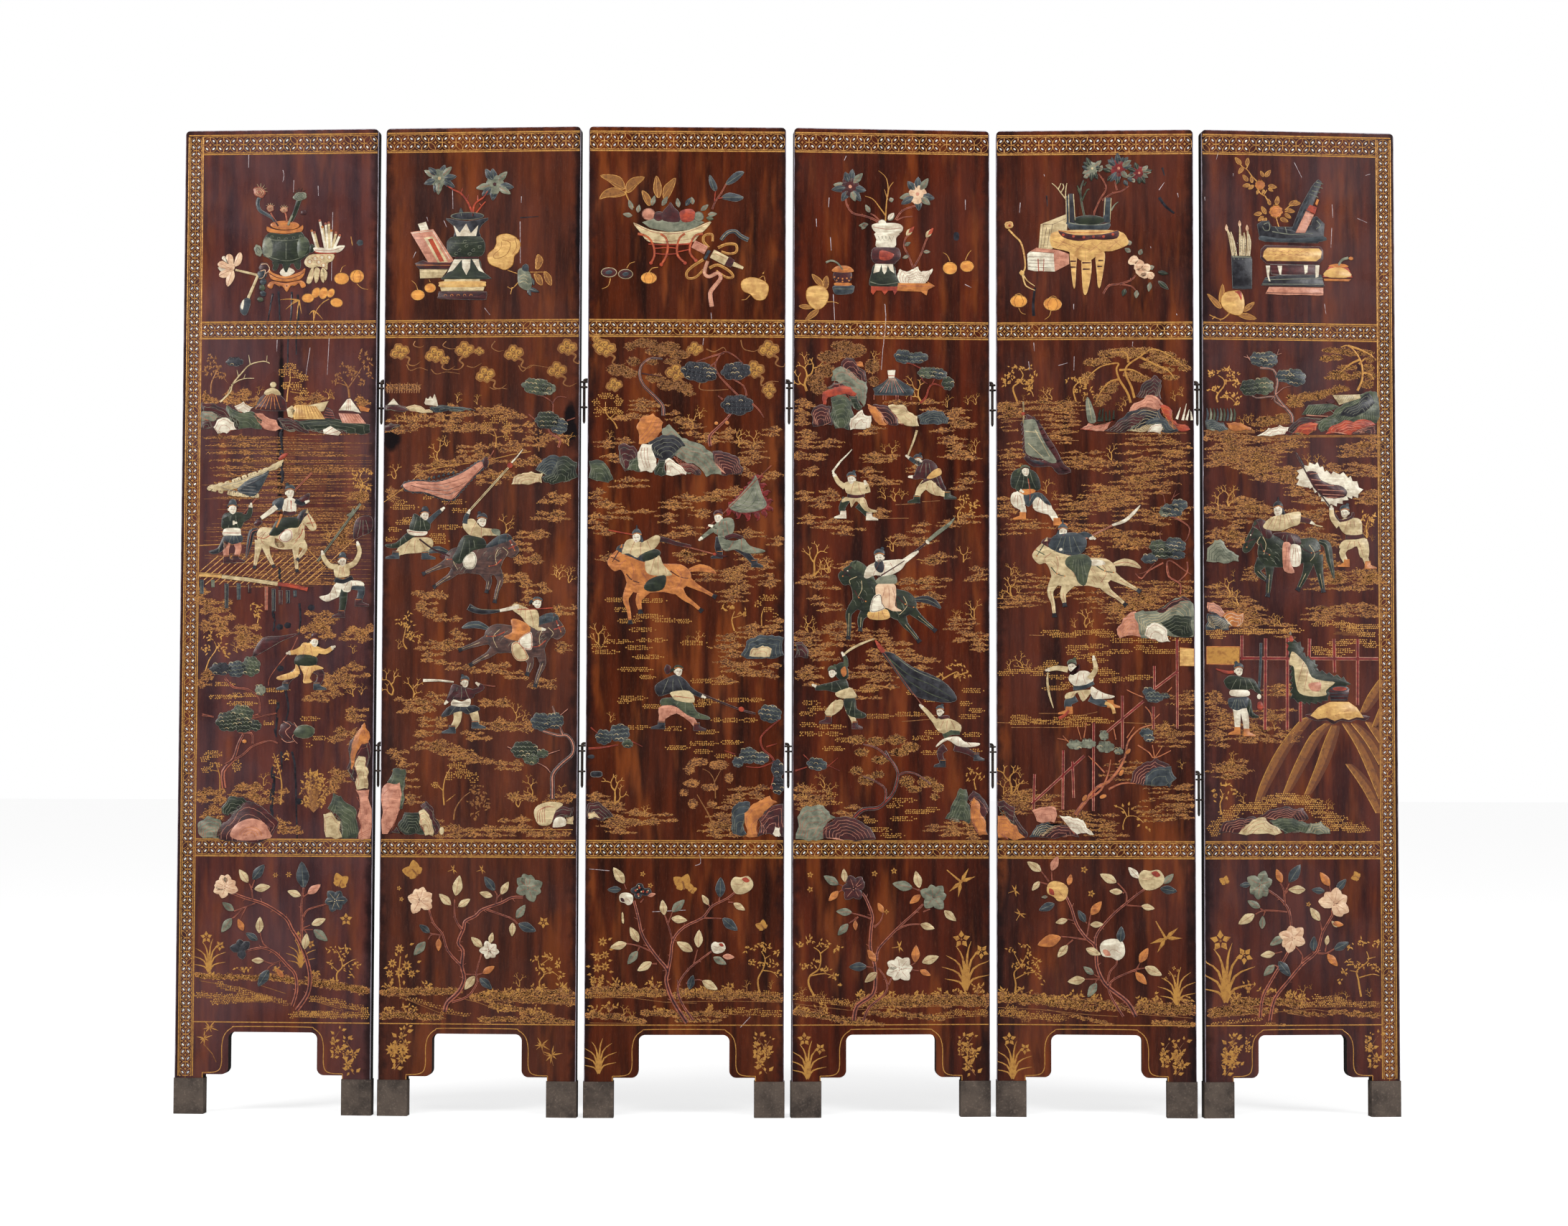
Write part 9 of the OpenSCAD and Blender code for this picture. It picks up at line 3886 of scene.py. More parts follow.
def peak_4(plane: LeafPlane) -> None:
    """Cuts leaf 4's peak."""
    work = Treasures(plane, "peak_4", 87)
    work.rock(
        Tint.SAGE,
        [
            (71, 1357), (72, 1376), (88, 1385), (103, 1379), (119, 1363), (136, 1357), (135, 1332),
            (131, 1310), (119, 1326), (109, 1335), (91, 1351)
        ],
        1, 3
    )
    work.rock(
        Tint.WINE,
        [
            (89, 1387), (100, 1401), (110, 1400), (122, 1382), (133, 1376), (135, 1355), (119, 1363),
            (103, 1379)
        ],
        2, 3, 1.65, Tint.ROSE
    )
    work.rock(Tint.APRICOT, [(111, 1396), (128, 1393), (131, 1384), (119, 1385)], 3, 1, 1.75)
    work.rock(Tint.WINE, [(62, 1344), (75, 1354), (97, 1354), (103, 1347), (75, 1344)], 4, 1)
    work.rock(
        Tint.CORAL,
        [
            (54, 1335), (66, 1341), (84, 1347), (106, 1347), (119, 1335), (115, 1330), (97, 1333), (78, 1329),
            (65, 1327), (61, 1313), (55, 1313)
        ],
        5, 0, 1.7
    )
    work.rock(
        Tint.WINE, [(34, 1294), (39, 1308), (53, 1313), (69, 1310), (72, 1275), (37, 1272)], 6, 4, 1.5,
        Tint.ROSE
    )
    work.rock(
        Tint.MOSS,
        [(70, 1326), (80, 1330), (97, 1332), (109, 1316), (112, 1294), (104, 1266), (78, 1269), (68, 1294)],
        7, 5
    )
    work.rock(Tint.JADE, [(103, 1329), (119, 1330), (129, 1310), (125, 1304), (112, 1307)], 8, 2, 1.6)
    work.rock(
        Tint.APRICOT,
        [(137, 1315), (153, 1310), (165, 1297), (175, 1277), (159, 1277), (147, 1291), (142, 1301)], 9, 1, 1.7
    )
    work.rock(
        Tint.WINE, [(147, 1313), (175, 1311), (187, 1301), (195, 1277), (178, 1277), (165, 1297)], 10, 3, 1.6,
        Tint.ROSE
    )
    work.rock(
        Tint.BONE,
        [
            (176, 1313), (206, 1314), (212, 1304), (231, 1293), (234, 1275), (212, 1275), (195, 1280),
            (187, 1297)
        ],
        11, 2, 1.75
    )
    work.rock(
        Tint.SLATE,
        [(231, 1294), (250, 1304), (278, 1302), (290, 1291), (287, 1280), (253, 1279), (236, 1279)], 12, 4
    )
    work.rock(
        Tint.IVORY,
        [
            (106, 1288), (118, 1297), (128, 1304), (133, 1294), (145, 1293), (143, 1272), (128, 1268),
            (106, 1266)
        ],
        13, 2, 1.85
    )
    work.build("inlay_stone", plane.inlays)


def pavilion_4(plane: LeafPlane) -> None:
    """Cuts leaf 4's pavilion."""
    work = Treasures(plane, "pavilion_4", 88)
    for x0 in ((150, 1332), (167, 1332), (172, 1332), (191, 1332), (195, 1332), (219, 1332)):
        work.limb(Tint.BARK, [x0, (x0[0], x0[1] - 9)], [1.8, 1.8], 1.2)
    work.cut(
        Tint.SLATE,
        [
            (151, 1338), (148, 1344), (166, 1354), (178, 1364), (191, 1364), (206, 1355), (225, 1343),
            (222, 1332), (151, 1332)
        ],
        1.6
    )
    for k in range(11):
        work.score(
            [(178 + k * 1.1, 1363), (155 + k * 5.6, 1335 + 1)], 1.1, Tint.ROSE if k % 2 else Tint.SAGE, 1.62
        )
    work.score([(148, 1344), (166, 1353), (178, 1363)], 1.6, Tint.INK, 1.64)
    work.score([(225, 1342), (206, 1354), (191, 1363)], 1.6, Tint.INK, 1.64)
    work.cut(Tint.IVORY, [(175, 1378), (190, 1379), (188, 1364), (177, 1363)], 1.75)
    work.score([(176, 1368), (189, 1368)], 1.6, Tint.CORAL, 1.77)
    work.pine(
        [
            [(236, 1318), (247, 1329), (253, 1347), (263, 1354), (281, 1347)],
            [(238, 1382), (222, 1390), (206, 1393)], [(236, 1376), (241, 1360), (250, 1354)],
            [(263, 1363), (259, 1355), (253, 1347)]
        ],
        [
            (Tint.SLATE, (205, 1404), 14, 10), (Tint.SLATE, (231, 1402), 16, 8),
            (Tint.MOSS, (249, 1374), 14, 8), (Tint.SLATE, (269, 1373), 14, 8), (Tint.JADE, (288, 1355), 9, 10)
        ],
        4, Tint.CORAL
    )
    work.build("inlay_stone", plane.inlays)


# Two swordsmen, the halberd rider, and the runners below.


def swordsman_4a(plane: LeafPlane) -> None:
    """Cuts leaf 4's first swordsman."""
    work = Treasures(plane, "swordsman_4a", 89)
    work.limb(Tint.IVORY, [(73, 1188), (87, 1207), (99, 1219), (109, 1230)], [4.4, 1.4], 1.7)
    work.leg(Tint.JADE, [(99, 1138), (91, 1122), (93, 1109)], 15, Tint.IVORY, -1)
    work.leg(Tint.JADE, [(121, 1128), (133, 1116), (141, 1106)], 15, Tint.IVORY)
    work.cloth(
        Tint.BONE,
        [
            (96, 1141), (130, 1142), (140, 1122), (155, 1117), (152, 1113), (133, 1116), (118, 1134),
            (108, 1122), (104, 1134), (90, 1131)
        ],
        1.6
    )
    work.cloth(
        Tint.BONE,
        [
            (93, 1166), (109, 1172), (127, 1169), (140, 1166), (138, 1153), (127, 1145), (102, 1147),
            (96, 1156)
        ],
        1.7, folds=2
    )
    work.sash(Tint.WINE, [(101, 1144), (118, 1142), (132, 1145)], 7)
    work.arm(Tint.BONE, [(96, 1160), (84, 1169), (77, 1181)], 11)
    work.arm(Tint.BONE, [(129, 1156), (140, 1153), (135, 1166)], 10)
    work.head(108, 1174, Hat.CAP, Tint.SLATE, -1, size=0.95)
    work.build("inlay_stone", plane.inlays)


def swordsman_4b(plane: LeafPlane) -> None:
    """Cuts leaf 4's second swordsman."""
    work = Treasures(plane, "swordsman_4b", 90)
    work.limb(Tint.BONE, [(212, 1216), (218, 1232), (225, 1250), (230, 1267)], [3, 4.4], 1.7)
    work.leg(Tint.BONE, [(246, 1169), (235, 1156), (230, 1139)], 15, Tint.JADE, -1)
    work.leg(Tint.BONE, [(262, 1169), (271, 1153), (287, 1147)], 15, Tint.JADE)
    work.cloth(
        Tint.WINE,
        [
            (254, 1181), (271, 1185), (279, 1169), (284, 1156), (268, 1163), (259, 1175), (237, 1166),
            (240, 1172)
        ],
        1.5
    )
    work.cloth(
        Tint.BONE,
        [
            (237, 1166), (254, 1174), (263, 1169), (279, 1153), (271, 1145), (255, 1150), (246, 1156),
            (234, 1144), (230, 1153)
        ],
        1.6, folds=2
    )
    work.cloth(
        Tint.WINE,
        [
            (234, 1203), (246, 1213), (262, 1207), (268, 1194), (252, 1178), (237, 1178), (226, 1180),
            (229, 1194)
        ],
        1.7
    )
    work.smooth(
        Tint.HONEY, [(248, 1180), (262, 1194), (273, 1196), (276, 1186), (262, 1178), (251, 1176)], 1.85
    )
    work.arm(Tint.SLATE, [(237, 1203), (224, 1210), (215, 1216)], 9)
    work.arm(Tint.WINE, [(237, 1188), (231, 1180), (221, 1180)], 9)
    work.head(232, 1209, Hat.CAP, Tint.INK, -1, size=0.9)
    work.build("inlay_stone", plane.inlays)


def rider_4(plane: LeafPlane) -> None:
    """Cuts leaf 4's rider."""
    work = Treasures(plane, "rider_4", 91)
    work.pole([(158, 994), (205, 1025), (246, 1056)], 3, Tint.WINE)
    work.limb(Tint.SAGE, [(247, 1058), (271, 1078), (290, 1092), (301, 1105)], [6, 7.5, 6, 1], 1.7)
    work.cut(Tint.IVORY, ellipse(250, 1059, 3.4, 4.6, 40, 10), 1.8)
    work.horse(170, 953, 1.04, -1, Tint.JADE, Tint.MOSS, run=True, turn=20, under=Tint.WINE, tail=Tint.INK)
    work.cloth(Tint.HONEY, [(139, 928), (159, 936), (176, 933), (180, 919), (166, 914), (142, 916)], 1.6)
    work.cloth(
        Tint.BLUSH,
        [
            (156, 980), (187, 982), (192, 960), (190, 940), (203, 931), (186, 930), (173, 936), (159, 940),
            (153, 963)
        ],
        1.8
    )
    work.cloth(
        Tint.IVORY, [(149, 957), (163, 962), (166, 946), (171, 935), (153, 928), (142, 931)], 1.85, Tint.WINE,
        0
    )
    work.smooth(Tint.SAGE, [(156, 990), (173, 997), (190, 997), (192, 982), (173, 980), (155, 981)], 1.85)
    work.cloth(
        Tint.IVORY,
        [
            (131, 994), (136, 1011), (153, 1021), (170, 1024), (207, 1026), (204, 1011), (190, 1001),
            (170, 994), (153, 997), (139, 990)
        ],
        1.75
    )
    work.arm(Tint.IVORY, [(200, 1018), (221, 1034), (227, 1038)], 10)
    work.score([(163, 996), (187, 1011), (207, 1024)], 2.4, Tint.WINE, 1.88)
    work.smooth(Tint.INK, [(150, 1018), (163, 1028), (170, 1014), (166, 1001), (155, 1004)], 1.8)
    work.head(160, 1029, Hat.CAP, Tint.SLATE, -1, size=1.1)
    work.build("inlay_stone", plane.inlays)


def green_soldier_4(plane: LeafPlane) -> None:
    """Cuts leaf 4's green soldier."""
    work = Treasures(plane, "green_soldier_4", 92)
    work.limb(Tint.BONE, [(93, 848), (105, 858), (125, 869), (151, 879)], [3, 4.4, 4.4, 2], 1.7)
    work.leg(Tint.BONE, [(84, 760), (71, 750), (66, 730)], 15, Tint.WINE, -1)
    work.leg(Tint.BONE, [(103, 750), (111, 733), (115, 720)], 13, Tint.WINE)
    work.cloth(
        Tint.JADE, [(95, 767), (115, 769), (118, 750), (135, 740), (132, 733), (115, 733), (101, 740)], 1.6
    )
    work.cloth(Tint.BONE, [(81, 765), (93, 765), (91, 750), (71, 736), (59, 742), (68, 755)], 1.6, folds=1)
    work.cloth(
        Tint.JADE,
        [(81, 801), (98, 803), (103, 791), (100, 784), (81, 780), (61, 784), (42, 784), (47, 792), (68, 797)],
        1.7
    )
    work.smooth(Tint.BONE, [(79, 779), (105, 789), (115, 780), (117, 770), (88, 769)], 1.85)
    work.smooth(Tint.JADE, [(81, 830), (95, 835), (102, 821), (101, 806), (88, 803), (78, 814)], 1.6)
    work.smooth(Tint.APRICOT, [(88, 821), (97, 828), (100, 814), (93, 808)], 1.7)
    work.arm(Tint.MOSS, [(98, 828), (98, 841), (94, 848)], 9)
    work.arm(Tint.JADE, [(68, 791), (51, 787), (42, 791)], 9)
    work.head(73, 815, Hat.CAP, Tint.MOSS, -1, size=0.9)
    work.build("inlay_stone", plane.inlays)


def banner_4(plane: LeafPlane) -> None:
    """Cuts leaf 4's banner."""
    work = Treasures(plane, "banner_4", 93)
    work.smooth(
        Tint.INK,
        [
            (166, 853), (186, 852), (220, 828), (267, 808), (294, 787), (304, 767), (284, 762), (247, 767),
            (223, 777), (203, 801), (179, 835)
        ],
        1.5
    )
    for line in (
        [(173, 848), (213, 814), (257, 794), (297, 770)], [(176, 845), (206, 808), (250, 780), (290, 765)],
        [(189, 848), (226, 821), (274, 801)]
    ):
        work.score(line, 1.8, Tint.MOSS if len(line) == 4 else Tint.SAGE, 1.52, steps=4)
    work.smooth(Tint.CORAL, [(152, 877), (159, 872), (171, 857), (164, 853), (156, 865)], 1.7)
    work.pole([(156, 872), (206, 801), (240, 757)], 2)
    work.leg(Tint.WINE, [(283, 679), (273, 669), (278, 650)], 14, Tint.INK, -1)
    work.leg(Tint.WINE, [(300, 679), (324, 672), (341, 662)], 13, Tint.INK)
    work.cloth(
        Tint.IVORY,
        [
            (283, 696), (307, 699), (320, 689), (346, 687), (344, 682), (324, 679), (304, 682), (287, 692),
            (266, 679), (270, 687)
        ],
        1.6
    )
    work.cloth(
        Tint.BONE,
        [(260, 726), (273, 733), (294, 731), (312, 720), (310, 706), (294, 711), (283, 704), (270, 709)], 1.7
    )
    work.smooth(Tint.WINE, [(270, 735), (287, 738), (290, 733), (275, 730)], 1.8)
    work.sash(Tint.MOSS, [(280, 699), (294, 706), (310, 706)], 9)
    work.arm(Tint.BONE, [(267, 723), (250, 743), (240, 753)], 10)
    work.head(273, 744, Hat.CAP, Tint.SLATE, -1, size=0.85)
    work.build("inlay_stone", plane.inlays)


# The lower garden: the red-stemmed gilt tree and the rocks.


def garden_gilt_4(plane: LeafPlane) -> None:
    """Gilds leaf 4's garden gilt."""
    gilt = Gilding(plane, "garden_gilt_4", 94)
    for spot, breadth in (
        ((48, 987), 60), ((62, 946), 60), ((88, 902), 60), ((95, 882), 60), ((21, 882), 60), ((38, 872), 70),
        ((54, 852), 50), ((159, 889), 60), ((186, 872), 60), ((203, 848), 60), ((166, 852), 50),
        ((227, 984), 60), ((268, 957), 40), ((261, 987), 60), ((234, 950), 60), ((308, 909), 60),
        ((335, 889), 60), ((348, 872), 50), ((122, 821), 60), ((172, 821), 50), ((166, 804), 60),
        ((247, 841), 50), ((31, 821), 50), ((31, 808), 50), ((132, 784), 60), ((342, 1004), 40)
    ):
        gilt.drift(*spot, breadth, 3)
    for spot, rx in (
        ((139, 784), 20), ((334, 784), 22), ((34, 760), 18), ((47, 750), 20), ((27, 740), 16),
        ((159, 736), 28), ((216, 740), 28), ((257, 767), 16), ((341, 747), 16), ((327, 736), 20),
        ((30, 720), 18), ((71, 716), 28), ((27, 703), 18), ((67, 703), 26), ((98, 692), 22), ((239, 696), 22),
        ((334, 703), 20), ((260, 706), 18), ((77, 676), 24), ((260, 669), 24), ((334, 672), 18),
        ((226, 780), 18), ((321, 760), 12), ((205, 581), 26), ((188, 571), 16), ((232, 560), 30),
        ((205, 547), 26), ((144, 543), 14), ((158, 527), 30), ((185, 516), 24), ((259, 564), 14),
        ((80, 577), 12), ((74, 591), 10)
    ):
        gilt.crown(Mark.DOT, *spot, rx, 4.8, Tint.GOLD)
    for spot, breadth in (
        ((37, 591), 60), ((57, 581), 60), ((23, 577), 50), ((104, 564), 50), ((16, 601), 40),
        ((300, 533), 40), ((333, 543), 30), ((289, 530), 60), ((340, 523), 40)
    ):
        gilt.drift(*spot, breadth, 3)
    for spot, rx, rz in (
        ((118, 692), 18, 9), ((155, 689), 18, 9), ((192, 692), 18, 10), ((219, 679), 18, 9),
        ((128, 669), 14, 8), ((162, 655), 16, 8), ((199, 669), 20, 8), ((118, 635), 12, 8),
        ((138, 618), 16, 10), ((158, 628), 12, 7), ((212, 615), 14, 12), ((249, 615), 18, 10),
        ((269, 604), 11, 10), ((226, 601), 14, 7), ((263, 587), 8, 7)
    ):
        gilt.crown(Mark.TICK, *spot, rx, rz, Tint.DULL)
        gilt.crown(Mark.TICK, *spot, rx * 0.9, rz * 0.9, Tint.GOLD)
    for spot, high, lean in (
        ((28, 892), 34, 0), ((38, 889), 24, 0.3), ((26, 584), 34, 0), ((59, 604), 28, 0.2),
        ((64, 591), 28, -0.4), ((303, 916), 22, 0), ((311, 916), 20, 0.3), ((337, 918), 38, 0),
        ((52, 997), 24, 0), ((68, 1001), 22, 0)
    ):
        gilt.shrub(*spot, high, lean)
    gilt.tree(
        Mark.LEAF, [[(277, 804), (294, 814), (307, 818), (311, 801)]],
        [((274, 811), 8, 6), ((294, 828), 8, 6), ((311, 835), 8, 6), ((321, 814), 8, 8), ((304, 808), 8, 6)],
        2.6
    )
    gilt.tree(
        Mark.LEAF, [[(340, 601), (337, 618), (344, 631)]],
        [((337, 635), 9, 6), ((324, 628), 6, 4), ((351, 625), 6, 6), ((330, 618), 6, 4)], 2.6
    )
    for run in (
        [(267, 531), (306, 532)], [(279, 526), (320, 527)], [(132, 736), (267, 738)], [(202, 726), (260, 731)]
    ):
        gilt.stroke(Tint.DULL, run, 1.1)
    gilt.build("front_lacquer")


def gold_tree_4(plane: LeafPlane) -> None:
    """Cuts leaf 4's gold tree."""
    work = Treasures(plane, "gold_tree_4", 95)
    work.limb(
        Tint.WINE,
        [
            (114, 549), (131, 564), (158, 567), (175, 581), (188, 598), (195, 628), (189, 645), (179, 659),
            (172, 672)
        ],
        [7, 2.4], 1.3
    )
    work.score(
        [(114, 549), (131, 564), (158, 567), (175, 581), (188, 598), (195, 628), (189, 645), (179, 659)], 1.2,
        Tint.CORAL, 1.32, steps=3
    )
    for limb in (
        [(197, 628), (212, 633), (232, 628), (256, 611)], [(171, 577), (172, 601), (155, 615), (131, 625)],
        [(179, 657), (158, 676), (131, 684)]
    ):
        work.limb(Tint.WINE, limb, [3.4, 1.4], 1.2)
        work.score(limb, 0.8, Tint.CORAL, 1.22, steps=3)
    work.pine(
        [[(5, 635), (27, 642)], [(20, 665), (33, 652)], [(60, 648), (87, 635)], [(64, 642), (84, 659)]],
        [(Tint.SLATE, (45, 647), 15, 9)], 3, Tint.CORAL
    )
    work.build("inlay_stone", plane.inlays)


def rocks_4(plane: LeafPlane) -> None:
    """Cuts leaf 4's rocks."""
    work = Treasures(plane, "rocks_4", 96)
    work.rock(Tint.SAGE, [(6, 510), (9, 550), (26, 571), (57, 571), (74, 550), (53, 510)], 1, 4)
    work.rock(
        Tint.WINE, [(57, 513), (60, 537), (80, 549), (114, 547), (144, 530), (154, 510), (104, 509)], 2, 5,
        1.6, Tint.ROSE
    )
    work.rock(Tint.SAGE, [(30, 510), (46, 537), (70, 554), (80, 549), (58, 530), (57, 510)], 3, 2, 1.7)
    work.rock(
        Tint.MOSS,
        [(283, 547), (300, 581), (310, 603), (322, 601), (323, 577), (332, 554), (327, 538), (306, 547)], 4, 4
    )
    work.rock(
        Tint.WINE, [(325, 584), (335, 599), (350, 587), (364, 564), (362, 518), (350, 543), (340, 577)], 5, 2,
        1.6, Tint.ROSE
    )
    work.rock(
        Tint.APRICOT, [(330, 564), (335, 587), (347, 577), (355, 550), (362, 518), (345, 517), (332, 543)], 6,
        3, 1.75
    )
    work.rock(Tint.WINE, [(4, 872), (17, 872), (29, 855), (27, 843), (4, 843)], 7, 2, 1.4, Tint.SAGE)
    work.build("inlay_stone", plane.inlays)


# ---------------------------------------------------------------- leaf 5


# The basin on its round table, the books and the camellia spray.


def basin_5(plane: LeafPlane) -> None:
    """Cuts leaf 5's basin."""
    work = Treasures(plane, "basin_5", 101)
    for run in (
        [(181, 1657), (183, 1676), (194, 1701), (205, 1720), (199, 1736), (191, 1748)],
        [(197, 1698), (216, 1711), (233, 1715), (247, 1725)], [(225, 1717), (222, 1730), (227, 1742)]
    ):
        work.branch(run, 2.8, 1.6)
    for spot, turn, long in (
        ((183, 1753), 120, 20), ((185, 1756), 80, 16), ((174, 1755), 150, 16), ((179, 1748), 190, 14),
        ((191, 1752), 60, 14), ((172, 1745), 200, 10)
    ):
        work.leaf(Tint.SLATE if long > 15 else Tint.SAGE, *spot, long, 8.6, turn, 1.3)
    for spot, turn, long in (
        ((218, 1764), 100, 16), ((228, 1764), 60, 18), ((238, 1770), 50, 12), ((213, 1752), 160, 16),
        ((216, 1745), 230, 14), ((228, 1739), 250, 12), ((238, 1736), -60, 13), ((244, 1739), -20, 14),
        ((247, 1745), 20, 12)
    ):
        work.leaf(Tint.SLATE if turn < 160 else Tint.JADE, *spot, long, 8, turn, 1.3)
    for spot, turn, long in (
        ((269, 1752), 40, 17), ((269, 1750), 0, 20), ((269, 1748), -30, 16), ((253, 1739), -60, 9)
    ):
        work.leaf(Tint.SAGE, *spot, long, 8, turn, 1.3)
    work.posy(Tint.JADE, Tint.SAGE, 179, 1758, 22, Tint.BONE, 7)
    work.posy(Tint.SLATE, Tint.CRIMSON, 228, 1758, 27, Tint.ROSE, 8)
    work.posy(Tint.JADE, Tint.CRIMSON, 266, 1749, 23, Tint.ROSE, 7)
    for run in (
        [(167, 1657), (160, 1689), (157, 1717), (163, 1736)], [(159, 1704), (152, 1720)],
        [(160, 1698), (169, 1717), (174, 1719)], [(163, 1726), (168, 1733)], [(157, 1714), (151, 1726)]
    ):
        work.limb(Tint.MOSS, run, [3.2, 1.8], 1.2)
    for run in (
        [(132, 1698), (122, 1711), (113, 1723), (104, 1731)], [(129, 1704), (130, 1720), (132, 1731)],
        [(116, 1720), (121, 1731)], [(121, 1714), (126, 1723), (124, 1730)]
    ):
        work.limb(Tint.BONE, run, [2.4, 1.4], 1.2)
    work.cut(Tint.SLATE, [(130, 1706), (135, 1708), (135, 1654), (130, 1654)], 1.5)
    work.cut(Tint.INK, [(135, 1711), (144, 1711), (147, 1654), (135, 1654)], 1.6)
    work.cut(Tint.SLATE, [(202, 1703), (214, 1703), (212, 1657), (199, 1657)], 1.5)
    for x0, x1 in (
        ((130, 1707), (131, 1657)), ((135, 1709), (136, 1657)), ((144, 1710), (147, 1661)),
        ((203, 1703), (201, 1670)), ((214, 1702), (212, 1661))
    ):
        work.score([x0, x1], 1.5, Tint.BONE, 1.66)
    work.cut(Tint.JADE, ellipse(173, 1661, 30, 9, 0, 20), 1.62)
    work.smooth(
        Tint.SLATE,
        [
            (135, 1657), (153, 1654), (194, 1653), (211, 1656), (210, 1646), (197, 1642), (147, 1643),
            (135, 1647)
        ],
        1.7
    )
    work.score([(135, 1657), (153, 1653), (194, 1652), (212, 1656)], 1.6, Tint.SAGE, 1.72, steps=3)
    work.limb(Tint.SAGE, [(214, 1679), (220, 1689), (227, 1695)], [3.4, 1.4], 1.2)
    work.cut(Tint.BONE, [(83, 1654), (132, 1673), (132, 1643), (104, 1607), (79, 1608)], 1.3)
    for line in (
        [(88, 1653), (83, 1609)], [(94, 1648), (88, 1610)], [(100, 1645), (95, 1609)],
        [(105, 1654), (102, 1635)], [(87, 1654), (107, 1654), (132, 1665)]
    ):
        work.score(line, 0.9, Tint.WINE, 1.32)
    work.cut(Tint.IVORY, [(58, 1598), (63, 1603), (107, 1599), (109, 1565), (72, 1566), (59, 1569)], 1.5)
    work.cut(Tint.ROSE, [(107, 1600), (116, 1605), (135, 1598), (136, 1579), (109, 1565)], 1.52)
    work.cut(Tint.ROSE, [(63, 1603), (75, 1610), (116, 1605), (107, 1600)], 1.4)
    for line in (
        [(60, 1593), (107, 1592)], [(60, 1587), (108, 1585)], [(60, 1581), (108, 1579)],
        [(60, 1574), (108, 1572)]
    ):
        work.score(line, 0.9, Tint.WINE, 1.52)
    work.score([(78, 1589), (79, 1566), (88, 1566), (89, 1589)], 2, Tint.CORAL, 1.55)
    work.smooth(
        Tint.HONEY,
        [
            (100, 1629), (110, 1640), (166, 1643), (228, 1640), (244, 1626), (244, 1614), (216, 1603),
            (197, 1601), (166, 1582), (135, 1602), (107, 1609), (101, 1618)
        ],
        1.75
    )
    work.smooth(
        Tint.WINE,
        [
            (116, 1642), (147, 1634), (197, 1635), (227, 1641), (225, 1626), (197, 1623), (178, 1624),
            (153, 1621), (125, 1628)
        ],
        1.85
    )
    for x0 in ((125, 1634), (144, 1631), (163, 1629), (181, 1630), (200, 1630), (217, 1634)):
        work.dot(Tint.CORAL, *x0, 2.8, 1.87)
    work.score([(116, 1642), (144, 1638), (197, 1638), (225, 1641)], 1.6, Tint.APRICOT, 1.87, steps=3)
    for line in (
        [(104, 1623), (128, 1614), (141, 1603)], [(119, 1623), (153, 1607)], [(141, 1617), (178, 1604)],
        [(166, 1620), (147, 1601)], [(197, 1620), (172, 1601)], [(209, 1607), (228, 1623)],
        [(113, 1609), (128, 1623)], [(194, 1604), (178, 1617)], [(234, 1610), (219, 1623)],
        [(166, 1585), (166, 1604)]
    ):
        work.score(line, 0.7, Tint.BARK, 1.77)
    for leg in (
        [(137, 1601), (150, 1598), (149, 1573), (147, 1537), (143, 1537), (139, 1573)],
        [(185, 1598), (200, 1602), (202, 1585), (194, 1538), (189, 1537), (187, 1560)],
        [(160, 1590), (175, 1592), (177, 1563), (169, 1525), (162, 1525), (159, 1563)]
    ):
        work.smooth(Tint.HONEY, leg, 1.6)
    for x0, x1 in (
        ((138, 1584), (149, 1584)), ((138, 1573), (148, 1573)), ((190, 1585), (199, 1585)),
        ((188, 1574), (197, 1574)), ((160, 1581), (176, 1581)), ((161, 1569), (174, 1569))
    ):
        work.score([x0, x1], 3.2, Tint.WINE, 1.62)
    work.build("inlay_stone", plane.inlays)


def spray_5(plane: LeafPlane) -> None:
    """Cuts leaf 5's spray."""
    work = Treasures(plane, "spray_5", 102)
    work.branch([(199, 1523), (209, 1538), (228, 1541), (250, 1548), (259, 1557)], 3.4, 2.2)
    work.branch([(228, 1541), (250, 1537), (259, 1529)], 2.2, 1.4, False)
    for spot, turn, long, tint in (
        ((250, 1601), 150, 13, 0), ((266, 1595), 70, 12, 0), ((250, 1614), 120, 10, 0),
        ((300, 1563), -10, 20, 1), ((301, 1546), -40, 24, 1), ((286, 1544), 260, 18, 0),
        ((240, 1532), 250, 15, 1), ((261, 1529), 265, 15, 0), ((284, 1570), 20, 10, 0)
    ):
        work.leaf(Tint.JADE if tint else Tint.SAGE, *spot, long, 9, turn, 1.4)
    for spot, rx, turn in (
        ((255, 1585), 11, 30), ((265, 1576), 12, 60), ((278, 1571), 10, 10), ((270, 1563), 12, -20),
        ((286, 1557), 9, -30), ((275, 1557), 8, 0)
    ):
        work.cut(Tint.BLUSH, scallop(*spot, rx, rx * 0.8, 3, turn), 1.6)
        work.score(
            place([(-rx * 0.6, 0), (0, rx * 0.3), (rx * 0.6, 0)], *spot, turn), 0.8, Tint.ROSE, 1.62, steps=3
        )
    work.build("inlay_stone", plane.inlays)


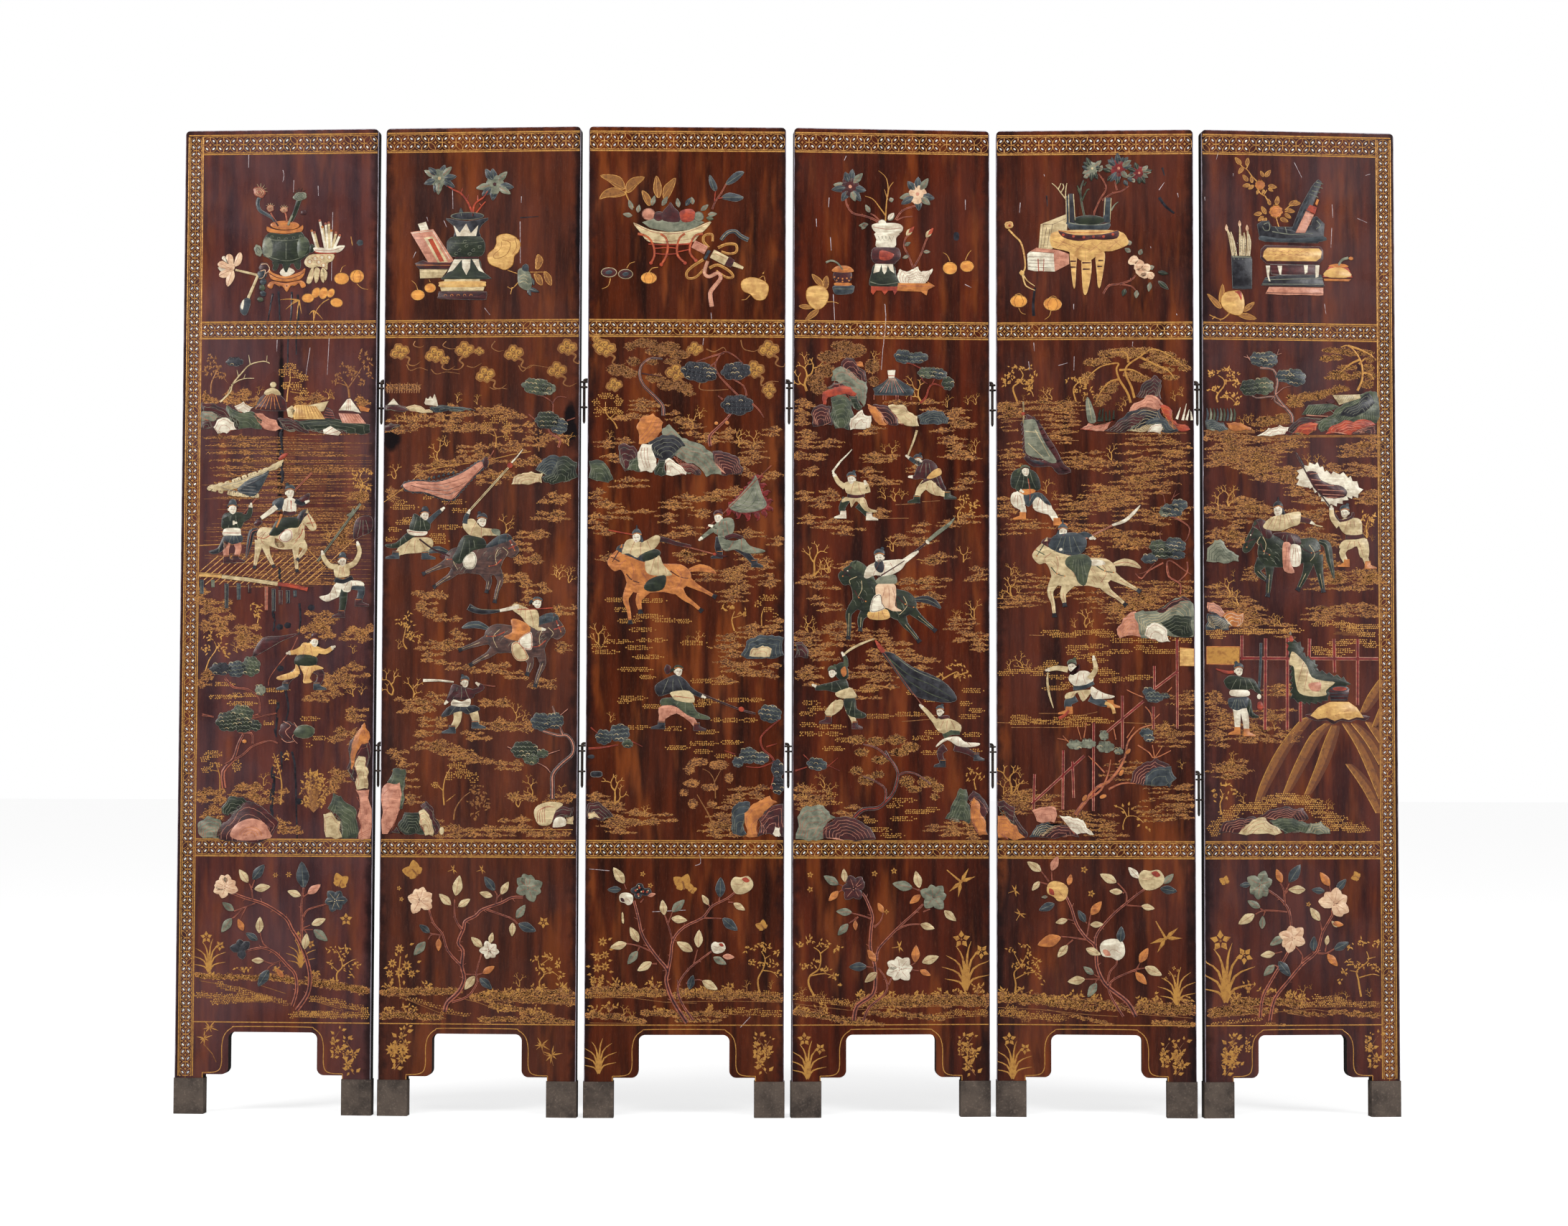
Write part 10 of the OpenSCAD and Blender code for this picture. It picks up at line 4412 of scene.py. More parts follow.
def sceptre_5(plane: LeafPlane) -> None:
    """Cuts leaf 5's sceptre."""
    work = Treasures(plane, "sceptre_5", 103)
    work.limb(
        Tint.HONEY, [(23, 1645), (35, 1632), (46, 1620), (52, 1598), (54, 1573), (49, 1563)],
        [3.4, 5.4, 5.4, 6.4, 3], 1.4
    )
    work.cut(Tint.HONEY, scallop(24, 1653, 9, 7.4, 4, 10), 1.6)
    work.score(scallop(24, 1653, 5, 4, 4, 10), 0.9, Tint.BARK, 1.62)
    work.dot(Tint.CORAL, 25, 1652, 2.4, 1.64)
    work.score([(46, 1620), (52, 1598), (53, 1576)], 0.8, Tint.BARK, 1.45, steps=3)
    work.cut(Tint.HONEY, scallop(48, 1563, 5, 5, 5), 1.5)
    work.swirl(Tint.HONEY, [(49, 1560), (54, 1541), (63, 1534), (72, 1530)], 3.4, 1.4, 1.2)
    work.swirl(Tint.HONEY, [(50, 1560), (58, 1548), (72, 1538)], 2.8, 1.2, 1.2)
    work.gilt_fruit(42, 1510, 15, 0.74, 0, True)
    work.gilt_fruit(105, 1504, 16.4, 0.72, -4, True)
    for run in (
        [(35, 1521), (43, 1524), (49, 1520)], [(99, 1516), (106, 1519), (113, 1516)],
        [(42, 1497), (47, 1488), (55, 1485)], [(102, 1493), (99, 1482), (90, 1475)]
    ):
        work.stroke(Tint.GOLD, run, 1.5, 0.8, 0.6, steps=3)
    work.stroke(Tint.SOOT, [(72, 1535), (69, 1504), (70, 1482)], 4, 6, 0.03, 0.2, 3)
    work.stroke(Tint.SOOT, [(303, 1703), (315, 1686), (331, 1673)], 6, 4, 0.03, 0.2, 3)
    work.stroke(Tint.SOOT, [(309, 1759), (313, 1744)], 4, 2, 0.03, 0.2, 3)
    work.stroke(Tint.SOOT, [(94, 1708), (96, 1687)], 3, 1, 0.03, 0.2, 3)
    for run in (
        [(45, 1695), (44, 1676)], [(90, 1748), (90, 1744)], [(337, 1711), (339, 1703)],
        [(144, 1504), (144, 1494)], [(334, 1485), (336, 1482)], [(287, 1611), (288, 1608)],
        [(303, 1717), (313, 1731)]
    ):
        work.crack(run, 1.4)
    for run in (
        [(70, 1432), (71, 1416)], [(145, 1406), (144, 1380)], [(115, 1389), (133, 1394)],
        [(60, 1397), (62, 1380)], [(253, 1433), (253, 1424)]
    ):
        work.crack(run, 1.2)
    work.build("inlay_stone")


# The great gilt pine above the layered rock, and the far bank.


def far_bank_5(plane: LeafPlane) -> None:
    """Gilds leaf 5's far bank."""
    gilt = Gilding(plane, "far_bank_5", 104)
    for run in (
        [
            (249, 1319), (243, 1338), (228, 1363), (223, 1382), (226, 1393), (197, 1388), (178, 1375),
            (165, 1360)
        ],
        [
            (256, 1328), (250, 1350), (240, 1372), (243, 1388), (265, 1404), (290, 1419), (321, 1407),
            (352, 1382)
        ],
        [(228, 1380), (253, 1380), (278, 1366)], [(265, 1405), (293, 1391), (318, 1379), (331, 1363)],
        [(245, 1394), (240, 1413), (215, 1413)], [(228, 1363), (209, 1357), (193, 1338), (184, 1319)]
    ):
        gilt.stroke(Tint.GOLD, run, 4.6, 1.6, steps=4)
    for spot, rx, rz in (
        ((178, 1394), 16, 7), ((172, 1369), 10, 8), ((165, 1363), 8, 10), ((209, 1410), 20, 7),
        ((228, 1413), 24, 7), ((253, 1415), 26, 7), ((278, 1416), 24, 5), ((309, 1407), 24, 7),
        ((334, 1394), 20, 7), ((349, 1383), 12, 6), ((284, 1388), 20, 6), ((309, 1380), 22, 6),
        ((324, 1366), 16, 5), ((253, 1371), 18, 6), ((268, 1363), 18, 6), ((197, 1397), 14, 7),
        ((209, 1344), 16, 8), ((196, 1328), 16, 8), ((215, 1353), 12, 6), ((190, 1317), 10, 6),
        ((300, 1400), 22, 6), ((247, 1407), 20, 6)
    ):
        for tint in (Tint.DULL, Tint.DULL, Tint.GOLD):
            gilt.crown(Mark.TICK, *spot, rx, rz, tint)
    gilt.tree(
        Mark.LEAF,
        [[(39, 1322), (31, 1347), (41, 1357), (50, 1371), (42, 1385)], [(50, 1347), (65, 1341), (69, 1331)]],
        [
            ((19, 1360), 10, 7), ((37, 1361), 10, 5), ((25, 1375), 10, 6), ((38, 1386), 14, 5),
            ((56, 1385), 10, 5), ((53, 1360), 14, 5), ((69, 1368), 8, 8), ((65, 1347), 8, 10),
            ((53, 1355), 10, 5), ((16, 1357), 7, 5)
        ],
        3.6
    )
    gilt.tree(
        Mark.LEAF, [[(148, 1322), (143, 1344), (153, 1357), (165, 1353)]],
        [
            ((137, 1363), 10, 4), ((150, 1363), 10, 6), ((165, 1357), 10, 7), ((172, 1341), 8, 10),
            ((153, 1344), 10, 5), ((159, 1360), 9, 7)
        ],
        3
    )
    for spot, high, lean in (
        ((94, 1324), 26, 0.2), ((103, 1325), 26, 0.4), ((81, 1325), 12, 0), ((134, 1319), 14, 0),
        ((162, 1322), 16, 0), ((239, 1313), 20, 0), ((234, 1303), 20, 0.3), ((331, 1322), 22, 0),
        ((346, 1331), 20, 0.3), ((50, 1325), 12, 0), ((213, 1212), 32, 0), ((196, 1209), 14, 0.4),
        ((343, 1222), 16, 0), ((93, 1150), 30, 0), ((112, 1140), 18, 0.4), ((27, 999), 24, 0),
        ((40, 999), 16, 0.4)
    ):
        gilt.shrub(*spot, high, lean)
    for row in range(3):
        for spot, breadth in (((22, 1319), 60), ((81, 1322), 100), ((128, 1319), 60), ((25, 1306), 60)):
            gilt.drift(spot[0], spot[1] - row * 2.4, breadth, 2)
    for spot, breadth in (
        ((109, 1300), 60), ((137, 1297), 50), ((128, 1275), 60), ((22, 1278), 30), ((121, 1259), 40),
        ((115, 1272), 60), ((28, 1228), 50), ((25, 1215), 40), ((40, 1237), 30), ((28, 1197), 40),
        ((21, 1137), 50), ((18, 1121), 50), ((59, 1099), 80), ((34, 1087), 60), ((134, 1222), 40),
        ((146, 1212), 60), ((171, 1222), 60), ((184, 1209), 40), ((215, 1203), 60), ((274, 1256), 100),
        ((290, 1244), 80), ((321, 1244), 60), ((259, 1219), 60), ((305, 1219), 60), ((337, 1231), 50),
        ((277, 1209), 60), ((330, 1203), 60), ((290, 1200), 60), ((265, 1187), 60), ((274, 1197), 60),
        ((240, 1175), 60), ((259, 1171), 50), ((196, 1162), 60), ((215, 1156), 50), ((277, 1165), 60),
        ((309, 1165), 60), ((252, 1156), 50), ((196, 1143), 50), ((227, 1140), 60), ((252, 1143), 60),
        ((215, 1146), 60), ((165, 1137), 60), ((152, 1126), 50), ((190, 1131), 60), ((127, 1142), 40),
        ((134, 1124), 60), ((130, 1115), 60), ((240, 1112), 60), ((274, 1115), 70), ((321, 1118), 50),
        ((346, 1115), 40), ((293, 1106), 60), ((152, 1088), 60), ((190, 1087), 60), ((171, 1087), 60),
        ((240, 1071), 60), ((265, 1071), 60), ((252, 1062), 60), ((215, 1074), 40), ((221, 1065), 50),
        ((180, 1043), 40), ((177, 1037), 40), ((277, 1068), 50), ((293, 1106), 50)
    ):
        gilt.drift(*spot, breadth, 3)
    for run in (
        [(9, 1288), (81, 1285)], [(96, 1250), (153, 1249)], [(153, 1204), (184, 1203)],
        [(203, 1262), (352, 1262)], [(11, 1269), (40, 1268)]
    ):
        gilt.stroke(Tint.DULL, run, 1.1)
    gilt.build("front_lacquer")


def isle_5(plane: LeafPlane) -> None:
    """Cuts leaf 5's isle."""
    work = Treasures(plane, "isle_5", 105)
    work.rock(
        Tint.WINE,
        [(260, 1331), (268, 1347), (293, 1370), (306, 1360), (304, 1341), (306, 1325), (284, 1331)], 1, 4,
        1.4, Tint.SAGE
    )
    work.rock(
        Tint.ROSE,
        [(246, 1303), (259, 1319), (278, 1334), (296, 1331), (309, 1316), (299, 1303), (274, 1306)], 2, 3, 1.6
    )
    work.rock(
        Tint.INK,
        [
            (224, 1284), (243, 1300), (271, 1312), (302, 1306), (304, 1297), (327, 1281), (337, 1266),
            (309, 1264), (290, 1284), (259, 1272), (228, 1269)
        ],
        3, 6, 1.6, Tint.BONE
    )
    work.rock(
        Tint.WINE, [(201, 1267), (224, 1283), (259, 1300), (278, 1297), (253, 1275), (237, 1264)], 4, 4, 1.7,
        Tint.SAGE
    )
    work.rock(
        Tint.CORAL,
        [
            (301, 1317), (315, 1313), (326, 1303), (324, 1288), (349, 1278), (359, 1269), (337, 1267),
            (327, 1278), (306, 1300)
        ],
        5, 3, 1.75, Tint.APRICOT
    )
    work.rock(
        Tint.SLATE,
        [(274, 1281), (293, 1292), (315, 1288), (335, 1269), (315, 1264), (309, 1275), (290, 1279)], 6, 3,
        1.8, Tint.SAGE
    )
    work.rock(Tint.IVORY, [(276, 1262), (287, 1277), (306, 1280), (308, 1269), (304, 1260)], 7, 1, 1.9)
    work.rock(
        Tint.ROSE, [(150, 1270), (171, 1281), (221, 1288), (209, 1278), (199, 1266), (171, 1269)], 8, 2, 1.5,
        Tint.CORAL
    )
    work.smooth(
        Tint.SAGE, [(166, 1322), (170, 1330), (178, 1313), (185, 1284), (171, 1283), (167, 1300)], 1.5
    )
    work.score([(170, 1327), (178, 1284)], 0.9, Tint.BONE, 1.52)
    for x0, z1 in (
        ((189, 1284), (193, 1307)), ((196, 1284), (198, 1309)), ((204, 1285), (203, 1303)),
        ((210, 1285), (210, 1305)), ((217, 1288), (218, 1305)), ((193, 1284), (190, 1300))
    ):
        work.limb(Tint.JADE, [x0, z1], [4.4, 2], 1.3)
    for x0, z1 in (
        ((334, 1288), (341, 1310)), ((345, 1286), (352, 1317)), ((352, 1286), (357, 1306)),
        ((362, 1286), (360, 1303))
    ):
        work.limb(Tint.IVORY, [x0, z1], [5, 1], 1.5)
    work.build("inlay_stone", plane.inlays)


# The standard bearer, the halberd rider and the swordsman.


def banner_5(plane: LeafPlane) -> None:
    """Cuts leaf 5's banner."""
    work = Treasures(plane, "banner_5", 106)
    work.limb(
        Tint.WINE, [(53, 1219), (71, 1206), (103, 1206), (118, 1193), (138, 1192)], [6, 12, 10, 14, 4], 1.4
    )
    for line in (
        [(81, 1288), (75, 1281)], [(87, 1272), (81, 1269)], [(93, 1262), (86, 1259)],
        [(98, 1250), (90, 1247)], [(109, 1237), (100, 1234)], [(112, 1225), (104, 1222)],
        [(121, 1212), (112, 1209)]
    ):
        work.limb(Tint.WINE, [line[1], line[0]], [5, 1], 1.4)
    work.smooth(
        Tint.WINE,
        [
            (54, 1297), (78, 1284), (96, 1256), (112, 1231), (124, 1206), (137, 1195), (124, 1190),
            (112, 1206), (84, 1250)
        ],
        1.4
    )
    work.smooth(Tint.INK, [(62, 1212), (78, 1211), (90, 1206), (81, 1203)], 1.5)
    work.fringe(
        Tint.WINE,
        [
            (50, 1284), (56, 1288), (72, 1288), (81, 1266), (93, 1241), (112, 1212), (103, 1206), (84, 1215),
            (65, 1219), (54, 1228), (52, 1256)
        ],
        4.4
    )
    work.smooth(
        Tint.SAGE,
        [
            (50, 1284), (56, 1288), (72, 1288), (81, 1266), (93, 1241), (112, 1212), (103, 1206), (84, 1215),
            (65, 1219), (54, 1228), (52, 1256)
        ],
        1.6
    )
    for line in ([(54, 1266), (78, 1264)], [(72, 1269), (99, 1219)], [(59, 1244), (87, 1217)]):
        work.score(line, 1.3, Tint.BONE, 1.62)
    work.pole([(50, 1322), (51, 1300), (50, 1281)], 2.4, Tint.BONE)
    work.dot(Tint.CORAL, 50, 1299, 3.6, 1.7)
    work.leg(Tint.IVORY, [(45, 1150), (34, 1134), (49, 1123), (49, 1109)], 16, Tint.APRICOT, -1)
    work.leg(Tint.IVORY, [(71, 1143), (81, 1128), (99, 1118), (112, 1098)], 18, Tint.APRICOT)
    work.cloth(Tint.IVORY, [(29, 1150), (40, 1153), (52, 1146), (52, 1124), (38, 1123), (27, 1134)], 1.65)
    work.cloth(Tint.IVORY, [(71, 1150), (87, 1137), (102, 1128), (101, 1112), (81, 1115), (68, 1124)], 1.65)
    work.cloth(
        Tint.SLATE,
        [
            (51, 1150), (68, 1151), (84, 1150), (102, 1128), (90, 1131), (77, 1143), (68, 1134), (59, 1126),
            (51, 1137)
        ],
        1.7
    )
    work.cloth(
        Tint.JADE,
        [
            (31, 1190), (43, 1197), (68, 1193), (79, 1178), (81, 1159), (68, 1156), (43, 1159), (29, 1162),
            (27, 1178)
        ],
        1.75, folds=4
    )
    work.smooth(Tint.APRICOT, [(43, 1157), (68, 1159), (72, 1153), (56, 1147), (45, 1151)], 1.85)
    work.score([(59, 1178), (63, 1153), (62, 1137)], 1.6, Tint.CORAL, 1.87)
    work.arm(Tint.JADE, [(34, 1175), (40, 1159), (45, 1156)], 9)
    work.head(54, 1191, Hat.WRAP, Tint.MOSS, 1, 6)
    work.build("inlay_stone", plane.inlays)


def rider_5(plane: LeafPlane) -> None:
    """Cuts leaf 5's rider."""
    work = Treasures(plane, "rider_5", 107)
    work.horse(160, 1008, 1.05, -1, Tint.BONE, Tint.WINE, run=True, turn=9, under=Tint.MOSS, tail=Tint.BONE)
    work.smooth(Tint.IVORY, [(174, 1027), (196, 1026), (201, 1018), (177, 1015)], 1.75)
    work.cloth(
        Tint.MOSS,
        [
            (133, 1033), (162, 1037), (177, 1024), (171, 1002), (165, 980), (152, 983), (143, 1002),
            (127, 1018)
        ],
        1.8, folds=5
    )
    work.cloth(
        Tint.SLATE,
        [
            (99, 1062), (112, 1074), (146, 1077), (165, 1068), (165, 1049), (152, 1037), (124, 1037),
            (102, 1046), (96, 1052)
        ],
        1.85, folds=4
    )
    work.arm(Tint.SLATE, [(146, 1065), (162, 1074), (177, 1068)], 12)
    work.pole([(115, 1043), (165, 1066), (215, 1091)], 3, Tint.ROSE)
    work.limb(Tint.IVORY, [(214, 1091), (237, 1099), (255, 1115), (266, 1128)], [4, 6.4, 6, 1.4], 1.7)
    work.cut(Tint.IVORY, ellipse(175, 1067, 4, 3, 20, 10), 1.95)
    work.cut(Tint.IVORY, ellipse(119, 1046, 3.6, 3, 20, 10), 1.95)
    work.head(123, 1078, Hat.HELM, Tint.SLATE, 1, size=1.05)
    work.build("inlay_stone", plane.inlays)


def swordsman_5(plane: LeafPlane) -> None:
    """Cuts leaf 5's swordsman."""
    work = Treasures(plane, "swordsman_5", 108)
    work.limb(Tint.BONE, [(105, 752), (98, 775), (94, 799), (95, 818)], [1.4, 4, 4.4, 2.4], 1.6)
    work.leg(Tint.SLATE, [(146, 772), (132, 762), (134, 748)], 18, Tint.APRICOT, -1)
    work.limb(Tint.CORAL, [(134, 748), (125, 738), (115, 733)], [5, 6], 1.5)
    work.leg(Tint.SLATE, [(173, 772), (193, 762), (210, 760)], 16, Tint.APRICOT)
    work.limb(Tint.HONEY, [(200, 762), (213, 755), (217, 742)], [7, 6], 1.6)
    work.cloth(
        Tint.IVORY,
        [(176, 792), (186, 786), (200, 779), (218, 774), (210, 770), (193, 769), (179, 769), (173, 782)], 1.6
    )
    work.cloth(
        Tint.BONE,
        [(129, 779), (149, 784), (173, 786), (173, 779), (159, 764), (149, 781), (142, 772), (127, 769)], 1.65
    )
    work.cloth(
        Tint.IVORY,
        [(135, 813), (149, 820), (169, 820), (179, 806), (173, 797), (159, 794), (146, 792), (134, 803)], 1.7,
        folds=2
    )
    work.arm(Tint.BONE, [(132, 823), (112, 826), (97, 823)], 11)
    work.arm(Tint.BONE, [(171, 806), (183, 823), (180, 842)], 11)
    work.smooth(Tint.WINE, [(134, 816), (142, 813), (151, 823), (152, 833), (150, 820), (142, 814)], 1.85)
    work.limb(Tint.WINE, [(133, 818), (142, 815), (152, 822), (152, 833)], [3, 3], 1.85)
    work.sash(Tint.SLATE, [(142, 789), (162, 791), (179, 799)], 8)
    work.head(139, 828, Hat.CAP, Tint.MOSS, -1, size=0.95)
    work.build("inlay_stone", plane.inlays)


# The stepped rail, the gnarled pine and the stones below.


def garden_gilt_5(plane: LeafPlane) -> None:
    """Gilds leaf 5's garden gilt."""
    gilt = Gilding(plane, "garden_gilt_5", 109)
    for spot, breadth in (
        ((48, 992), 50), ((75, 989), 40), ((68, 969), 60), ((45, 955), 80), ((21, 952), 60), ((99, 989), 40),
        ((166, 959), 60), ((129, 969), 50), ((254, 979), 60), ((213, 942), 50), ((234, 950), 60),
        ((234, 938), 60), ((281, 955), 60), ((298, 979), 60), ((312, 982), 60), ((328, 972), 60),
        ((274, 965), 60), ((268, 952), 60), ((295, 965), 60), ((342, 982), 60), ((213, 921), 40),
        ((220, 935), 60), ((254, 948), 60), ((342, 772), 50), ((355, 779), 40), ((348, 755), 40),
        ((304, 711), 60), ((318, 704), 60), ((328, 697), 50), ((342, 714), 50), ((308, 718), 60),
        ((240, 647), 50), ((213, 640), 40), ((233, 633), 40), ((301, 599), 50), ((335, 606), 60),
        ((274, 575), 30), ((314, 582), 60), ((341, 586), 50), ((294, 558), 60), ((321, 560), 60),
        ((345, 565), 50), ((182, 541), 50), ((199, 531), 60), ((196, 548), 60), ((186, 531), 50),
        ((27, 589), 60), ((47, 579), 60), ((61, 592), 60), ((94, 586), 60), ((105, 582), 50), ((33, 586), 60),
        ((44, 572), 60), ((213, 521), 50), ((138, 555), 60), ((145, 548), 60), ((165, 552), 60)
    ):
        gilt.drift(*spot, breadth, 3)
    for spot, rx in (
        ((102, 892), 22), ((126, 887), 30), ((166, 892), 28), ((193, 894), 22), ((203, 887), 22),
        ((152, 864), 26), ((180, 867), 26), ((139, 855), 16), ((227, 857), 24), ((193, 853), 26),
        ((166, 847), 24), ((186, 840), 20), ((274, 864), 22), ((294, 857), 26), ((318, 857), 24),
        ((234, 877), 26), ((281, 877), 26), ((322, 881), 26), ((349, 877), 16), ((17, 816), 22),
        ((44, 820), 26), ((68, 823), 26), ((92, 826), 20), ((98, 833), 14), ((112, 809), 20), ((78, 816), 20),
        ((108, 789), 26), ((132, 796), 16), ((193, 823), 20), ((206, 816), 20), ((206, 803), 22),
        ((234, 806), 28), ((264, 809), 28), ((44, 735), 20), ((44, 725), 24), ((64, 728), 26),
        ((88, 726), 26), ((122, 731), 22), ((132, 725), 28), ((152, 735), 22), ((176, 731), 28),
        ((193, 728), 24), ((145, 721), 28), ((102, 836), 12)
    ):
        gilt.crown(Mark.DOT, *spot, rx, 4.8, Tint.GOLD)
    for spot, high, lean in (
        ((28, 959), 44, 0.1), ((41, 965), 20, 0.4), ((12, 955), 18, 0), ((166, 901), 40, 0.1),
        ((146, 901), 20, 0.2), ((178, 901), 16, 0.2), ((48, 826), 32, 0.4), ((26, 821), 24, 0.3),
        ((59, 823), 22, 0.4), ((27, 592), 62, 0.1), ((44, 589), 36, 0.4), ((13, 592), 32, 0),
        ((55, 582), 16, 0.2), ((44, 623), 20, 0.4), ((311, 714), 18, 0), ((342, 640), 18, 0)
    ):
        gilt.shrub(*spot, high, lean)
    for run in (
        [(233, 528), (233, 538), (240, 552), (257, 552), (270, 541)], [(240, 552), (233, 565), (223, 570)],
        [(243, 552), (243, 569)]
    ):
        gilt.stroke(Tint.GOLD, run, 2, 1, steps=3)
    for spot, turn in (
        ((223, 570), 160), ((233, 569), 100), ((243, 572), 80), ((247, 565), 30), ((257, 558), 40),
        ((267, 555), 20), ((257, 548), -20), ((270, 545), 10), ((274, 535), -60), ((280, 531), -70),
        ((236, 558), 150), ((264, 538), 220)
    ):
        gilt.blade(Tint.GOLD, *spot, 8, 4.4, turn)
    for run in (
        [(27, 716), (132, 716)], [(-3, 725), (30, 724)], [(142, 735), (186, 745)], [(78, 742), (118, 742)],
        [(220, 726), (294, 723)], [(61, 887), (88, 886)], [(98, 787), (132, 787)]
    ):
        gilt.stroke(Tint.DULL, run, 1.2)
    gilt.build("front_lacquer")


def rail_5(plane: LeafPlane) -> None:
    """Cuts leaf 5's rail."""
    work = Treasures(plane, "rail_5", 110)
    for run in (
        [(333, 879), (333, 714)], [(291, 830), (291, 786)], [(232, 775), (232, 677)],
        [(179, 725), (178, 562)], [(123, 674), (122, 565)], [(70, 630), (68, 565)], [(140, 653), (142, 586)],
        [(289, 755), (289, 714)], [(335, 821), (293, 789)], [(271, 765), (201, 706)], [(162, 664), (65, 575)]
    ):
        work.limb(Tint.ROSE, run, [4.8, 4.8], 0.8)
        work.score(run, 3.7, Tint.CRIMSON, 1.1)
    board = [(338, 864), (364, 862), (364, 830), (338, 830)]
    work.cut(Tint.HONEY, board, 0.5)
    work.score(board + board[:1], 1.2, Tint.APRICOT, 0.52)
    work.build("inlay_stone", plane.inlays)


def pine_5(plane: LeafPlane) -> None:
    """Cuts leaf 5's pine."""
    work = Treasures(plane, "pine_5", 111)
    for run, wide in (
        (
            [
                (145, 555), (165, 582), (186, 606), (206, 616), (226, 640), (237, 664), (243, 691),
                (264, 714), (287, 721)
            ],
            8
        ),
        ([(172, 586), (193, 602), (206, 633), (210, 657)], 5), ([(206, 602), (230, 613), (257, 613)], 4.4),
        ([(199, 633), (186, 647), (169, 664)], 3), ([(225, 653), (233, 660)], 3),
        ([(240, 697), (254, 718)], 2.4), ([(220, 694), (216, 714)], 2.4), ([(161, 697), (166, 725)], 2.4),
        ([(156, 694), (149, 718)], 1.6), ([(132, 692), (112, 696)], 2), ([(135, 687), (122, 701)], 1.6),
        ([(260, 684), (281, 670), (291, 660), (321, 674)], 2.6), ([(291, 660), (287, 684)], 2),
        ([(274, 755), (284, 742), (287, 721)], 2.4), ([(287, 728), (301, 742)], 2),
        ([(271, 772), (254, 779), (240, 786)], 2.2), ([(315, 782), (323, 791)], 2),
        ([(291, 660), (304, 680)], 1.4)
    ):
        work.limb(Tint.BARK, run, [wide, 1.8], 1.1)
        work.score(run, max(0.8, wide * 0.18), Tint.APRICOT, 1.12, steps=3)
    for spot, turn in (((162, 586), 60), ((196, 589), 20), ((230, 633), 60), ((242, 672), 50)):
        knot = ellipse(*spot, 7, 4, turn, 12)
        work.cut(Tint.APRICOT, knot, 1.3)
        work.score(knot + knot[:1], 1, Tint.WINE, 1.32)
    for spot, rx, rz, tint in (
        ((145, 684), 16, 9, 0), ((169, 686), 15, 9, 0), ((198, 701), 9, 9, 0), ((201, 680), 17, 11, 0),
        ((225, 672), 9, 6, 0), ((281, 782), 12, 8, 1), ((291, 772), 17, 10, 1), ((311, 774), 9, 4, 1),
        ((276, 706), 13, 8, 1), ((281, 696), 10, 6, 1)
    ):
        work.pad(Tint.SLATE if tint else Tint.SAGE, *spot, rx, rz)
    work.build("inlay_stone", plane.inlays)


def right_pines_5(plane: LeafPlane) -> None:
    """Cuts leaf 5's right pines."""
    work = Treasures(plane, "right_pines_5", 112)
    work.pine(
        [
            [(324, 1107), (346, 1096), (357, 1084), (352, 1065), (346, 1060)],
            [(312, 1131), (309, 1146), (305, 1153)], [(324, 1137), (332, 1156)], [(327, 1143), (338, 1150)]
        ],
        [(Tint.SLATE, (324, 1118), 16, 9), (Tint.SLATE, (338, 1128), 12, 9), (Tint.SAGE, (312, 1115), 9, 7)],
        3, Tint.BARK
    )
    work.pine(
        [
            [(318, 999), (315, 1021), (324, 1024), (346, 1008), (360, 999)],
            [(293, 1021), (277, 1005), (258, 999)], [(308, 1052), (302, 1071), (305, 1081)],
            [(280, 1046), (269, 1055)]
        ],
        [
            (Tint.SLATE, (330, 1054), 16, 11), (Tint.MOSS, (299, 1052), 13, 9),
            (Tint.JADE, (308, 1040), 16, 9), (Tint.SLATE, (330, 1037), 15, 7),
            (Tint.SLATE, (283, 1029), 12, 7)
        ],
        3, Tint.BARK
    )
    work.limb(Tint.BARK, [(315, 1020), (318, 996), (339, 982), (339, 962)], [4, 2.4], 1)
    work.limb(Tint.BARK, [(352, 1023), (352, 1003), (335, 986)], [3, 2], 1)
    work.limb(Tint.BARK, [(308, 1021), (281, 1006), (268, 992), (257, 1001)], [3, 2], 1)
    work.build("inlay_stone", plane.inlays)


